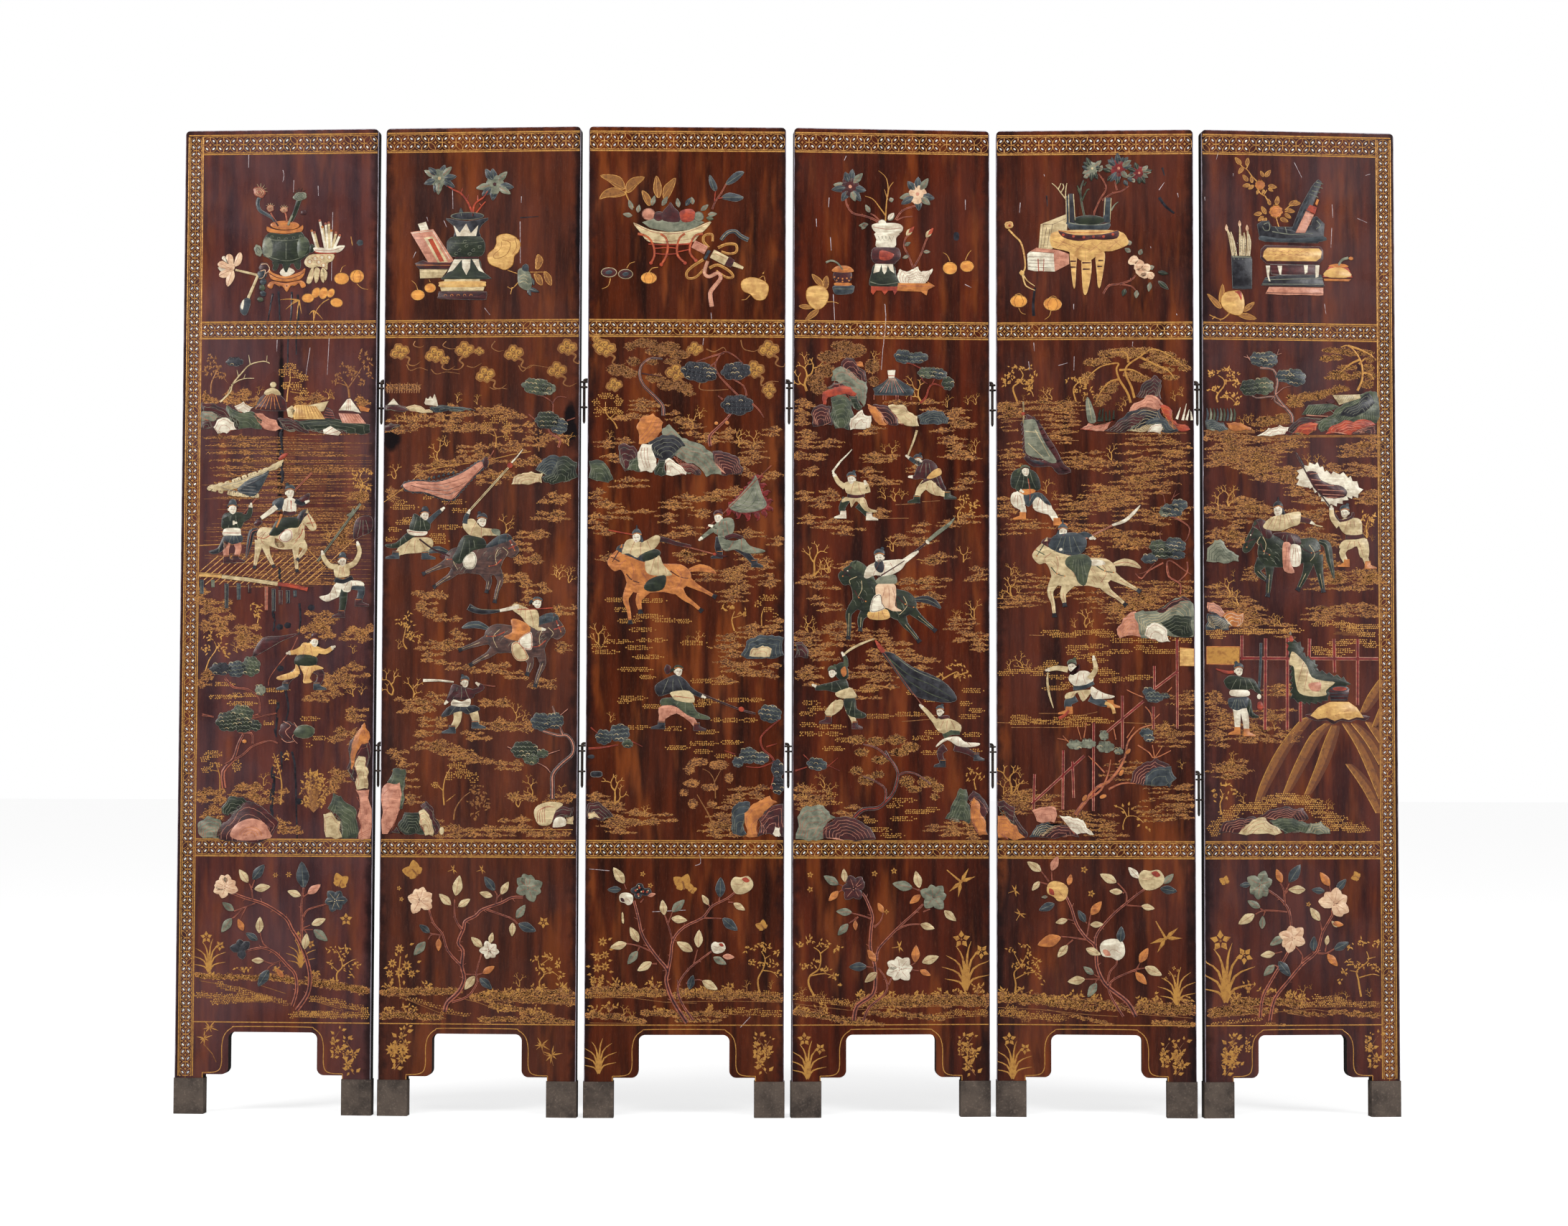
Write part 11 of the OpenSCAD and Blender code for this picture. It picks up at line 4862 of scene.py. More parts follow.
def rocks_5(plane: LeafPlane) -> None:
    """Cuts leaf 5's rocks."""
    work = Treasures(plane, "rocks_5", 113)
    work.rock(
        Tint.ROSE, [(222, 898), (234, 918), (257, 931), (268, 921), (267, 883), (227, 881)], 1, 5, 1.5,
        Tint.APRICOT
    )
    work.rock(
        Tint.SAGE,
        [
            (254, 928), (281, 931), (315, 945), (345, 959), (363, 945), (363, 884), (315, 887), (267, 882),
            (261, 908)
        ],
        2, 7, 1.6, Tint.BONE
    )
    work.rock(
        Tint.WINE, [(295, 931), (322, 950), (345, 959), (359, 950), (328, 942), (308, 928)], 3, 2, 1.75,
        Tint.ROSE
    )
    work.rock(
        Tint.JADE, [(301, 911), (328, 925), (362, 921), (363, 887), (328, 887), (315, 898)], 4, 4, 1.75,
        Tint.SAGE
    )
    work.rock(Tint.IVORY, [(273, 887), (278, 904), (291, 911), (315, 898), (321, 875), (294, 879)], 5, 2, 1.9)
    work.rock(
        Tint.WINE,
        [(247, 616), (257, 640), (277, 653), (294, 660), (318, 647), (301, 640), (281, 633), (270, 609)], 6,
        5, 1.5, Tint.ROSE
    )
    work.rock(
        Tint.SLATE, [(270, 611), (274, 630), (294, 643), (321, 645), (331, 623), (318, 606), (297, 609)], 7,
        2, 1.65
    )
    work.rock(
        Tint.WINE, [(1, 579), (13, 581), (33, 569), (57, 521), (55, 513), (43, 514), (23, 548), (2, 572)], 8,
        4, 1.5, Tint.SAGE
    )
    work.rock(Tint.APRICOT, [(2, 553), (16, 553), (37, 535), (53, 513), (3, 512)], 9, 4, 1.65)
    work.rock(Tint.ROSE, [(65, 562), (84, 569), (106, 570), (111, 558), (106, 540), (74, 543)], 10, 2, 1.5)
    work.rock(Tint.WINE, [(74, 514), (91, 528), (121, 535), (145, 535), (152, 514)], 11, 3, 1.5, Tint.ROSE)
    work.rock(
        Tint.SLATE, [(60, 514), (74, 535), (94, 541), (121, 538), (94, 530), (77, 514)], 12, 4, 1.65,
        Tint.BONE
    )
    work.rock(
        Tint.IVORY, [(115, 554), (135, 552), (159, 545), (179, 518), (148, 519), (128, 538)], 13, 3, 1.8
    )
    work.build("inlay_stone", plane.inlays)


# ---------------------------------------------------------------- leaf 6


# The scholar's tray, brush pot, water pot, peach and peony.


def scholar_tray_6(plane: LeafPlane) -> None:
    """Cuts leaf 6's scholar tray."""
    work = Treasures(plane, "scholar_tray_6", 121)
    work.cut(
        Tint.INK,
        [
            (105, 1654), (114, 1660), (127, 1661), (133, 1650), (170, 1650), (208, 1654), (211, 1669),
            (218, 1671), (233, 1657), (231, 1632), (220, 1621), (120, 1622), (109, 1632)
        ],
        1.5
    )
    work.smooth(
        Tint.SLATE, [(112, 1633), (145, 1629), (189, 1630), (230, 1634), (227, 1624), (120, 1622)], 1.62
    )
    for run in (
        [(117, 1654), (127, 1657), (128, 1644), (119, 1643), (115, 1650)],
        [(218, 1663), (225, 1654), (217, 1647)], [(133, 1641), (170, 1636), (211, 1639)],
        [(139, 1650), (145, 1641)], [(158, 1650), (161, 1638)]
    ):
        work.score(run, 1.6, Tint.SAGE, 1.66, steps=3)
    work.limb(Tint.INK, [(178, 1641), (196, 1682), (215, 1722), (225, 1738)], [17, 20, 15, 8], 1.65)
    work.limb(Tint.SLATE, [(177, 1650), (194, 1686), (209, 1716)], [3, 3], 1.72)
    for run in (
        [(205, 1713), (221, 1707)], [(209, 1719), (225, 1716)], [(213, 1728), (230, 1724)],
        [(218, 1735), (231, 1732)]
    ):
        work.score(run, 2, Tint.SAGE, 1.68)
    work.cut(Tint.ROSE, [(177, 1639), (197, 1680), (213, 1674), (196, 1639)], 1.85)
    work.cut(Tint.CORAL, [(198, 1682), (205, 1693), (219, 1688), (215, 1675)], 1.88)
    work.cut(Tint.APRICOT, [(215, 1694), (219, 1704), (223, 1702), (219, 1691)], 1.85)
    work.score([(197, 1680), (214, 1674)], 1.5, Tint.BARK, 1.9)
    work.cut(
        Tint.WINE,
        [
            (112, 1607), (120, 1615), (225, 1614), (230, 1607), (230, 1591), (220, 1580), (123, 1580),
            (111, 1591)
        ],
        1.5
    )
    work.cut(
        Tint.HONEY,
        [
            (117, 1604), (124, 1611), (222, 1611), (228, 1605), (226, 1593), (217, 1586), (123, 1585),
            (115, 1593)
        ],
        1.7
    )
    for k in range(6):
        for j in range(2):
            work.score(
                place([(126, 1604), (131, 1605), (136, 1603), (140, 1604)], k * 12.4, -j * 6.4), 0.7,
                Tint.BARK, 1.72, steps=3
            )
    for leg in (
        [(121, 1577), (129, 1577), (127, 1557), (130, 1547), (126, 1547), (123, 1561)],
        [(143, 1577), (152, 1577), (150, 1560), (147, 1560)],
        [(193, 1579), (201, 1579), (200, 1565), (195, 1562)],
        [(215, 1579), (223, 1579), (221, 1557), (215, 1555)]
    ):
        work.cut(Tint.IVORY, leg, 1.65)
    work.cut(Tint.WINE, [(129, 1579), (215, 1579), (215, 1561), (154, 1560), (131, 1561)], 0.9)
    work.cut(Tint.INK, [(112, 1540), (120, 1554), (145, 1559), (226, 1561), (232, 1541), (229, 1539)], 1.5)
    work.score([(119, 1550), (229, 1555)], 1.4, Tint.SAGE, 1.52)
    work.score([(114, 1542), (229, 1543)], 1.6, Tint.SAGE, 1.52)
    work.cut(
        Tint.ROSE,
        [(120, 1524), (127, 1537), (230, 1537), (230, 1523), (220, 1522), (188, 1523), (157, 1522)], 1.6
    )
    work.score([(122, 1526), (229, 1526)], 1.2, Tint.WINE, 1.62)
    work.build("inlay_stone", plane.inlays)


def brush_pot_6(plane: LeafPlane) -> None:
    """Cuts leaf 6's brush pot."""
    work = Treasures(plane, "brush_pot_6", 122)
    for run in (
        [(59, 1594), (53, 1629), (47, 1646)], [(65, 1594), (60, 1619), (55, 1639)],
        [(73, 1594), (73, 1622), (72, 1650)], [(80, 1594), (81, 1622), (80, 1638)],
        [(86, 1594), (88, 1625), (86, 1644)], [(76, 1594), (77, 1619), (76, 1632)],
        [(89, 1594), (91, 1619), (89, 1635)]
    ):
        work.limb(Tint.BONE, run, [4.4, 5, 2], 1.5)
        work.score(run, 0.7, Tint.WINE, 1.52)
    for spot in ((47, 1644), (72, 1652), (86, 1644)):
        work.leaf(Tint.BLUSH, *place([(0, -4)], *spot, 0)[0], 13, 5.6, 92, 1.7)
    work.cut(Tint.INK, [(56, 1594), (93, 1594), (95, 1588), (94, 1533), (79, 1532), (58, 1533)], 1.6)
    work.score([(58, 1592), (93, 1592)], 2, Tint.SAGE, 1.63)
    work.score([(58, 1535), (94, 1536)], 2, Tint.SLATE, 1.63)
    for k in range(22):
        work.dot(
            Tint.JADE if k % 2 else Tint.SAGE, *place([(61, 1588)], (k * 7) % 24, -(k * 5) % 40)[0], 1, 1.62
        )
    work.cut(Tint.CORAL, [(229, 1557), (241, 1577), (251, 1580), (270, 1580), (278, 1575), (286, 1557)], 1.6)
    work.smooth(Tint.HONEY, [(232, 1558), (242, 1574), (270, 1575), (283, 1558)], 1.72)
    work.smooth(Tint.APRICOT, [(240, 1578), (251, 1582), (270, 1582), (278, 1577), (258, 1575)], 1.78)
    work.cut(Tint.APRICOT, [(231, 1554), (283, 1554), (279, 1550), (232, 1550)], 1.5)
    work.limb(Tint.SAGE, [(259, 1579), (266, 1590), (278, 1594)], [4, 5], 1.9)
    work.cut(Tint.APRICOT, ellipse(283, 1593, 4.4, 3.4, 0, 12), 2)
    work.build("inlay_stone", plane.inlays)


def peony_6(plane: LeafPlane) -> None:
    """Cuts leaf 6's peony."""
    work = Treasures(plane, "peony_6", 123)
    for run in (
        [(151, 1638), (145, 1654), (141, 1669)], [(127, 1694), (121, 1707), (111, 1713), (105, 1725)],
        [(105, 1735), (96, 1744), (86, 1757), (77, 1761)], [(79, 1760), (74, 1766)], [(85, 1758), (89, 1766)],
        [(158, 1682), (171, 1693)], [(158, 1679), (166, 1679)], [(117, 1708), (124, 1719)]
    ):
        work.stroke(Tint.GOLD, run, 2.4, 1.4, steps=3)
    for spot, turn, long in (
        ((75, 1766), 130, 17), ((79, 1761), 235, 15), ((86, 1764), 80, 15), ((88, 1735), 130, 15),
        ((96, 1732), 100, 12), ((92, 1728), 190, 14), ((99, 1727), 215, 12), ((118, 1744), 120, 12),
        ((121, 1744), 50, 16), ((127, 1727), -10, 16), ((127, 1722), -30, 10), ((119, 1719), 240, 8),
        ((108, 1719), 250, 9), ((122, 1674), 120, 16), ((114, 1675), 190, 15), ((117, 1669), 220, 13),
        ((142, 1691), 80, 17), ((130, 1691), 110, 12), ((166, 1691), 30, 18), ((171, 1694), 5, 17),
        ((161, 1682), -10, 16), ((158, 1675), -35, 14), ((149, 1666), -20, 16), ((123, 1666), 230, 14)
    ):
        outline = place(
            [(0, 0), (long * 0.4, long * 0.24), (long, 0), (long * 0.4, -long * 0.24)], *spot, turn
        )
        work.painted(outline)
    for spot, r in (((111, 1728), 10), ((141, 1679), 13.4)):
        work.fleck(Tint.APRICOT, scallop(*spot, r, r * 0.86, 9, 10), 0.1, 0.6)
        for share, lobes in ((0.98, 9), (0.66, 7), (0.34, 5)):
            ring = scallop(*spot, r * share, r * share * 0.86, lobes, share * 90)
            work.stroke(Tint.BARK if share < 0.9 else Tint.GOLD, ring + ring[:1], 0.9, high=0.7)
    peach = spline(
        [
            (36, 1513), (44, 1525), (63, 1529), (74, 1527), (80, 1510), (78, 1491), (69, 1483), (50, 1488),
            (38, 1500)
        ],
        3, closed=True
    )
    work.cut(Tint.HONEY, peach, 1)
    work.smooth(Tint.CORAL, [(61, 1527), (72, 1529), (76, 1521), (74, 1510), (68, 1522)], 1.1)
    work.stroke(Tint.GOLD, peach + peach[:1], 1.2, high=1.1)
    for leaf in (
        [(36, 1496), (25, 1500), (10, 1522), (25, 1513), (33, 1505)],
        [(33, 1507), (33, 1522), (39, 1541), (42, 1527), (37, 1513)],
        [(80, 1493), (85, 1502), (99, 1508), (92, 1496), (81, 1490)],
        [(69, 1483), (85, 1487), (103, 1477), (84, 1476)]
    ):
        work.painted(leaf)
    for run in (
        [(52, 1487), (44, 1479), (34, 1475), (14, 1483)], [(34, 1475), (35, 1472)], [(25, 1480), (19, 1475)]
    ):
        work.stroke(Tint.GOLD, run, 2.4, 1.4, steps=3)
    for run in (
        [(32, 1789), (28, 1775)], [(60, 1749), (61, 1744)], [(176, 1772), (190, 1744)],
        [(248, 1694), (249, 1669)], [(247, 1650), (245, 1613)], [(6, 1704), (7, 1697)],
        [(312, 1750), (322, 1753)], [(296, 1669), (315, 1661)], [(232, 1507), (235, 1488)]
    ):
        work.crack(run, 1)
    work.build("inlay_stone")


# The coral pine, the roofed house against the dark rock.


def far_bank_6(plane: LeafPlane) -> None:
    """Gilds leaf 6's far bank."""
    gilt = Gilding(plane, "far_bank_6", 124)
    for run in (
        [(294, 1345), (303, 1366), (303, 1391), (294, 1413), (277, 1429), (263, 1426)],
        [(277, 1429), (297, 1423), (319, 1413), (325, 1407)], [(300, 1404), (281, 1395), (262, 1379)],
        [(305, 1379), (319, 1376), (325, 1366)], [(297, 1395), (310, 1407)]
    ):
        gilt.stroke(Tint.GOLD, run, 4.4, 1.8, steps=4)
    for spot, rx, rz in (
        ((244, 1420), 16, 5), ((266, 1418), 16, 6), ((234, 1404), 12, 6), ((253, 1406), 14, 5),
        ((285, 1413), 12, 4), ((310, 1416), 16, 5), ((319, 1404), 10, 6), ((275, 1388), 18, 5),
        ((256, 1376), 18, 6), ((240, 1368), 10, 3), ((278, 1370), 18, 5), ((262, 1368), 16, 4),
        ((316, 1388), 10, 8), ((319, 1373), 10, 8), ((312, 1357), 12, 8), ((294, 1376), 8, 6),
        ((212, 1332), 20, 6), ((187, 1329), 20, 7), ((174, 1320), 14, 8), ((199, 1335), 16, 5),
        ((243, 1342), 16, 5), ((225, 1338), 14, 5), ((143, 1285), 26, 6), ((124, 1288), 22, 7),
        ((155, 1295), 16, 6), ((108, 1279), 20, 4), ((168, 1332), 8, 4), ((262, 1348), 16, 6),
        ((181, 1317), 10, 5)
    ):
        for tint in (Tint.DULL, Tint.DULL, Tint.GOLD):
            gilt.crown(Mark.TICK, *spot, rx, rz, tint)
    gilt.tree(
        Mark.LEAF,
        [
            [(29, 1320), (27, 1332), (41, 1351), (40, 1363), (30, 1370)],
            [(33, 1329), (52, 1329), (61, 1320)], [(41, 1360), (59, 1360)]
        ],
        [
            ((18, 1373), 8, 5), ((24, 1377), 10, 5), ((40, 1379), 12, 5), ((56, 1374), 12, 6),
            ((62, 1360), 10, 6), ((68, 1351), 7, 5), ((21, 1343), 10, 5), ((27, 1348), 8, 4),
            ((46, 1335), 12, 5), ((62, 1329), 12, 6), ((68, 1318), 6, 6), ((15, 1376), 6, 4),
            ((49, 1357), 10, 4)
        ],
        3.6
    )
    for spot, high, lean in (
        ((86, 1282), 24, 0), ((77, 1279), 20, 0.2), ((93, 1285), 14, 0.4), ((199, 1204), 22, 0.1),
        ((217, 1207), 22, 0), ((230, 1210), 14, 0.4), ((49, 1126), 46, 0), ((29, 1126), 34, 0),
        ((60, 1145), 20, 0.4), ((310, 1070), 32, 0), ((320, 1064), 12, 0.2), ((58, 996), 14, 0.2)
    ):
        gilt.shrub(*spot, high, lean)
    gilt.tree(
        Mark.LEAF, [[(309, 1073), (310, 1095), (314, 1110)]],
        [
            ((307, 1113), 9, 4), ((320, 1110), 9, 5), ((304, 1104), 7, 4), ((317, 1101), 8, 5),
            ((323, 1107), 5, 5)
        ],
        2.6
    )
    for run in ([(99, 1257), (168, 1260)], [(168, 1260), (327, 1262)], [(6, 1267), (99, 1267)]):
        for row in range(3):
            gilt.stroke(Tint.DULL, [(x0, z0 - row * 1.6) for x0, z0 in run], 1.3)
    for spot, breadth in (
        ((14, 1263), 40), ((55, 1262), 60), ((92, 1262), 60), ((45, 1251), 60), ((61, 1245), 60),
        ((142, 1245), 60), ((161, 1249), 60), ((180, 1252), 50), ((70, 1238), 60), ((30, 1229), 50),
        ((58, 1226), 60), ((92, 1228), 60), ((124, 1229), 60), ((136, 1224), 50), ((17, 1213), 40),
        ((48, 1217), 60), ((61, 1212), 50), ((101, 1213), 50), ((117, 1210), 60), ((92, 1203), 50),
        ((108, 1203), 50), ((117, 1192), 60), ((136, 1196), 60), ((161, 1195), 60), ((173, 1188), 60),
        ((167, 1176), 50), ((142, 1188), 40), ((186, 1151), 60), ((204, 1148), 60), ((312, 1242), 60),
        ((299, 1238), 60), ((280, 1234), 50), ((321, 1254), 40), ((255, 1198), 50), ((296, 1201), 60),
        ((318, 1199), 50), ((305, 1149), 60), ((317, 1151), 50), ((85, 1138), 50), ((98, 1132), 60),
        ((76, 1132), 50), ((44, 1120), 60), ((69, 1112), 60), ((98, 1113), 60), ((116, 1113), 60),
        ((23, 1118), 50), ((117, 1123), 40), ((182, 1113), 60), ((210, 1112), 60), ((223, 1117), 50),
        ((54, 1076), 60), ((28, 1074), 50), ((69, 1082), 50), ((69, 1064), 50), ((185, 1076), 50),
        ((216, 1071), 60), ((210, 1082), 50), ((238, 1071), 50), ((238, 1035), 40), ((232, 1029), 50),
        ((241, 1017), 50), ((247, 1001), 50), ((97, 1007), 50), ((303, 998), 50), ((319, 1004), 40),
        ((310, 989), 60)
    ):
        gilt.drift(*spot, breadth, 3)
    gilt.build("front_lacquer")


def house_6(plane: LeafPlane) -> None:
    """Cuts leaf 6's house."""
    work = Treasures(plane, "house_6", 125)
    work.rock(
        Tint.MOSS,
        [
            (234, 1292), (249, 1304), (268, 1320), (300, 1338), (319, 1345), (330, 1343), (329, 1285),
            (281, 1285), (249, 1282)
        ],
        1, 8, 1.4, Tint.SAGE
    )
    work.rock(
        Tint.INK, [(259, 1298), (278, 1315), (300, 1332), (315, 1342), (328, 1323), (312, 1307), (281, 1295)],
        2, 4, 1.55, Tint.SAGE
    )
    work.rock(
        Tint.MOSS, [(218, 1282), (227, 1292), (249, 1295), (259, 1285), (243, 1273), (224, 1267)], 3, 3, 1.5
    )
    work.rock(
        Tint.CORAL,
        [(232, 1263), (240, 1276), (268, 1290), (306, 1292), (328, 1282), (299, 1273), (280, 1262)], 4, 4,
        1.7, Tint.ROSE
    )
    work.rock(Tint.WINE, [(280, 1263), (299, 1274), (328, 1281), (328, 1264)], 5, 2, 1.75, Tint.ROSE)
    work.rock(
        Tint.WINE,
        [(155, 1262), (168, 1279), (187, 1293), (237, 1298), (218, 1285), (187, 1279), (168, 1261)], 6, 4,
        1.5, Tint.SAGE
    )
    work.rock(
        Tint.CORAL, [(168, 1262), (180, 1277), (202, 1285), (219, 1282), (215, 1270), (199, 1261)], 7, 2, 1.7,
        Tint.APRICOT
    )
    work.rock(Tint.IVORY, [(102, 1258), (124, 1273), (146, 1279), (163, 1275), (155, 1262)], 8, 2, 1.7)
    work.rock(Tint.SLATE, [(5, 1285), (17, 1288), (39, 1282), (49, 1270), (8, 1270)], 9, 4, 1.5, Tint.SAGE)
    work.rock(Tint.APRICOT, [(44, 1281), (67, 1282), (92, 1273), (91, 1269), (52, 1270)], 10, 1, 1.6)
    for k in range(9):
        work.limb(
            (Tint.SLATE, Tint.SAGE, Tint.MOSS)[k % 3], place([(8, 1285), (10, 1298), (8, 1309)], k * 6.4, 0),
            [4, 4, 1.4], 1.3
        )
    roof = [(188, 1299), (201, 1317), (243, 1320), (259, 1315), (249, 1310), (218, 1298)]
    work.cut(Tint.MOSS, roof, 1.75)
    for k in range(8):
        work.score(place([(195, 1300), (207, 1317)], k * 4.6, 0), 0.9, Tint.SAGE, 1.77)
    work.cut(Tint.BONE, [(246, 1336), (298, 1338), (300, 1331), (259, 1318)], 1.85)
    for k in range(11):
        work.score(place([(250, 1335), (257, 1320)], k * 3.4, 0), 0.9, Tint.SAGE, 1.87)
    work.smooth(Tint.WINE, [(234, 1323), (246, 1329), (251, 1323), (243, 1320)], 1.8)
    work.score([(196, 1298), (237, 1296)], 2, Tint.ROSE, 1.77)
    for run in ([(193, 1293), (237, 1290)], [(237, 1310), (256, 1298)]):
        work.score(run, 1, Tint.SAGE, 1.8)
    work.pine(
        [
            [(169, 1284), (168, 1298), (149, 1320), (138, 1337), (142, 1360), (134, 1382), (109, 1385)],
            [(138, 1335), (153, 1348), (168, 1352)],
            [(155, 1312), (137, 1323), (134, 1332), (102, 1329), (90, 1338)], [(140, 1338), (130, 1326)],
            [(93, 1402), (78, 1406)], [(90, 1399), (84, 1409)], [(137, 1409), (150, 1413)],
            [(142, 1412), (145, 1421)]
        ],
        [
            (Tint.SLATE, (106, 1401), 13, 10), (Tint.SLATE, (125, 1401), 14, 12),
            (Tint.SLATE, (156, 1370), 14, 9), (Tint.SLATE, (176, 1368), 16, 13),
            (Tint.JADE, (90, 1348), 15, 12), (Tint.MOSS, (115, 1351), 16, 13)
        ],
        5.4, Tint.WINE
    )
    work.build("inlay_stone", plane.inlays)


# The dark horse's rider, the flag bearer and the guard.


def flag_6(plane: LeafPlane) -> None:
    """Cuts leaf 6's flag."""
    work = Treasures(plane, "flag_6", 126)
    work.fringe(
        Tint.IVORY,
        [
            (183, 1182), (186, 1195), (205, 1204), (217, 1203), (236, 1188), (267, 1185), (295, 1163),
            (292, 1151), (273, 1148), (267, 1142), (248, 1134), (232, 1137), (226, 1148), (217, 1157),
            (198, 1170), (192, 1165), (184, 1168)
        ],
        6.5, 10
    )
    work.smooth(
        Tint.IVORY,
        [
            (183, 1182), (186, 1195), (205, 1204), (217, 1203), (236, 1188), (267, 1185), (295, 1163),
            (292, 1151), (273, 1148), (267, 1142), (248, 1134), (232, 1137), (226, 1148), (217, 1157),
            (198, 1170), (192, 1165), (184, 1168)
        ],
        1.4
    )
    for line in (
        [(205, 1203), (217, 1185)], [(236, 1188), (242, 1167)], [(267, 1184), (277, 1160)],
        [(292, 1154), (267, 1160)], [(267, 1142), (248, 1148)], [(248, 1135), (239, 1148)],
        [(186, 1167), (192, 1185)], [(280, 1176), (286, 1160)]
    ):
        work.limb(Tint.IVORY, [line[1], line[0]], [9, 1.4], 1.6)
    work.smooth(
        Tint.WINE,
        [
            (195, 1192), (214, 1193), (223, 1178), (242, 1170), (261, 1167), (273, 1157), (267, 1145),
            (236, 1143), (214, 1157), (201, 1176)
        ],
        1.65
    )
    for line in (
        [(202, 1188), (217, 1190)], [(205, 1178), (223, 1176)], [(211, 1168), (248, 1167)],
        [(217, 1159), (267, 1157)], [(226, 1151), (267, 1149)], [(233, 1145), (254, 1145)]
    ):
        work.score(line, 1.3, Tint.ROSE, 1.67)
    work.pole([(177, 1226), (205, 1173), (239, 1129), (267, 1085)], 2.8, Tint.WINE)
    work.limb(Tint.SLATE, [(176, 1228), (183, 1217), (191, 1201)], [1, 4.4], 1.5)
    work.leg(Tint.BONE, [(273, 1057), (263, 1042), (271, 1023)], 15, Tint.APRICOT, -1)
    work.leg(Tint.BONE, [(301, 1060), (305, 1039), (311, 1020)], 15, Tint.APRICOT)
    work.cloth(
        Tint.BONE,
        [
            (266, 1065), (288, 1067), (310, 1068), (313, 1035), (297, 1034), (291, 1054), (276, 1048),
            (257, 1051)
        ],
        1.6
    )
    work.cloth(
        Tint.BONE,
        [(262, 1104), (276, 1107), (298, 1104), (301, 1082), (298, 1076), (270, 1076), (257, 1092)], 1.7,
        folds=3
    )
    work.arm(Tint.BONE, [(257, 1092), (245, 1107), (243, 1123)], 13)
    work.limb(Tint.BONE, [(296, 1098), (288, 1085), (274, 1087)], [10, 8], 1.85)
    work.sash(Tint.WINE, [(270, 1071), (288, 1071), (304, 1074)], 9)
    work.limb(Tint.WINE, [(257, 1101), (270, 1103), (282, 1109), (284, 1117)], [5, 5], 1.9)
    work.head(268, 1116, Hat.CAP, Tint.SLATE, -1, size=1)
    work.build("inlay_stone", plane.inlays)


def rider_6(plane: LeafPlane) -> None:
    """Cuts leaf 6's rider."""
    work = Treasures(plane, "rider_6", 127)
    work.horse(172, 1039, 1.07, -1, Tint.JADE, Tint.WINE, under=Tint.WINE, nod=18, tail=Tint.JADE)
    work.cloth(
        Tint.WINE,
        [(132, 1076), (154, 1079), (179, 1073), (185, 1057), (166, 1051), (154, 1060), (141, 1070)], 1.8
    )
    work.cloth(
        Tint.ROSE, [(151, 1060), (166, 1057), (166, 1023), (172, 1004), (153, 1007), (149, 1032)], 1.85
    )
    work.cloth(
        Tint.IVORY, [(166, 1057), (183, 1054), (185, 1032), (181, 1017), (166, 1017), (163, 1039)], 1.9
    )
    work.cloth(
        Tint.BONE,
        [
            (113, 1092), (129, 1107), (154, 1113), (179, 1118), (185, 1113), (182, 1095), (166, 1089),
            (148, 1082), (129, 1082), (116, 1085)
        ],
        1.85, folds=6
    )
    work.arm(Tint.WINE, [(182, 1104), (198, 1101), (204, 1098)], 10)
    work.limb(Tint.BONE, [(204, 1098), (213, 1093), (226, 1090)], [4, 1.6], 1.7)
    work.head(142, 1119, Hat.HELM, Tint.INK, -1, size=1.15)
    work.build("inlay_stone", plane.inlays)


def guard_6(plane: LeafPlane) -> None:
    """Cuts leaf 6's guard."""
    work = Treasures(plane, "guard_6", 128)
    work.limb(Tint.SLATE, [(108, 873), (107, 833), (104, 789)], [4.4, 4.4], 1.6)
    work.smooth(Tint.CORAL, [(101, 762), (108, 765), (112, 755), (107, 748), (101, 752)], 1.5)
    work.leg(Tint.IVORY, [(62, 752), (63, 731), (63, 711)], 15, Tint.APRICOT, -1)
    work.leg(Tint.IVORY, [(75, 752), (79, 728), (80, 708)], 15, Tint.APRICOT)
    work.cloth(Tint.JADE, [(84, 769), (89, 765), (92, 745), (104, 737), (92, 735), (84, 742), (80, 755)], 1.5)
    work.cloth(
        Tint.SLATE, [(47, 770), (65, 772), (84, 772), (82, 755), (72, 752), (62, 748), (48, 755)], 1.7,
        folds=5
    )
    work.cloth(
        Tint.JADE,
        [
            (40, 806), (52, 813), (76, 809), (93, 806), (103, 792), (108, 779), (99, 782), (89, 789),
            (82, 786), (49, 787), (39, 799)
        ],
        1.7, folds=4
    )
    work.smooth(Tint.IVORY, [(51, 786), (82, 786), (84, 775), (52, 775)], 1.85)
    work.cut(Tint.IVORY, ellipse(104, 774, 4, 5, 0, 10), 1.8)
    work.limb(Tint.CORAL, [(57, 819), (42, 819), (23, 825)], [5, 6, 2], 1.8)
    work.head(66, 821, Hat.CAP, Tint.SLATE, 1, size=1)
    work.build("inlay_stone", plane.inlays)


# The camp: rail and bare board, flag, drum, the great tent, rocks.


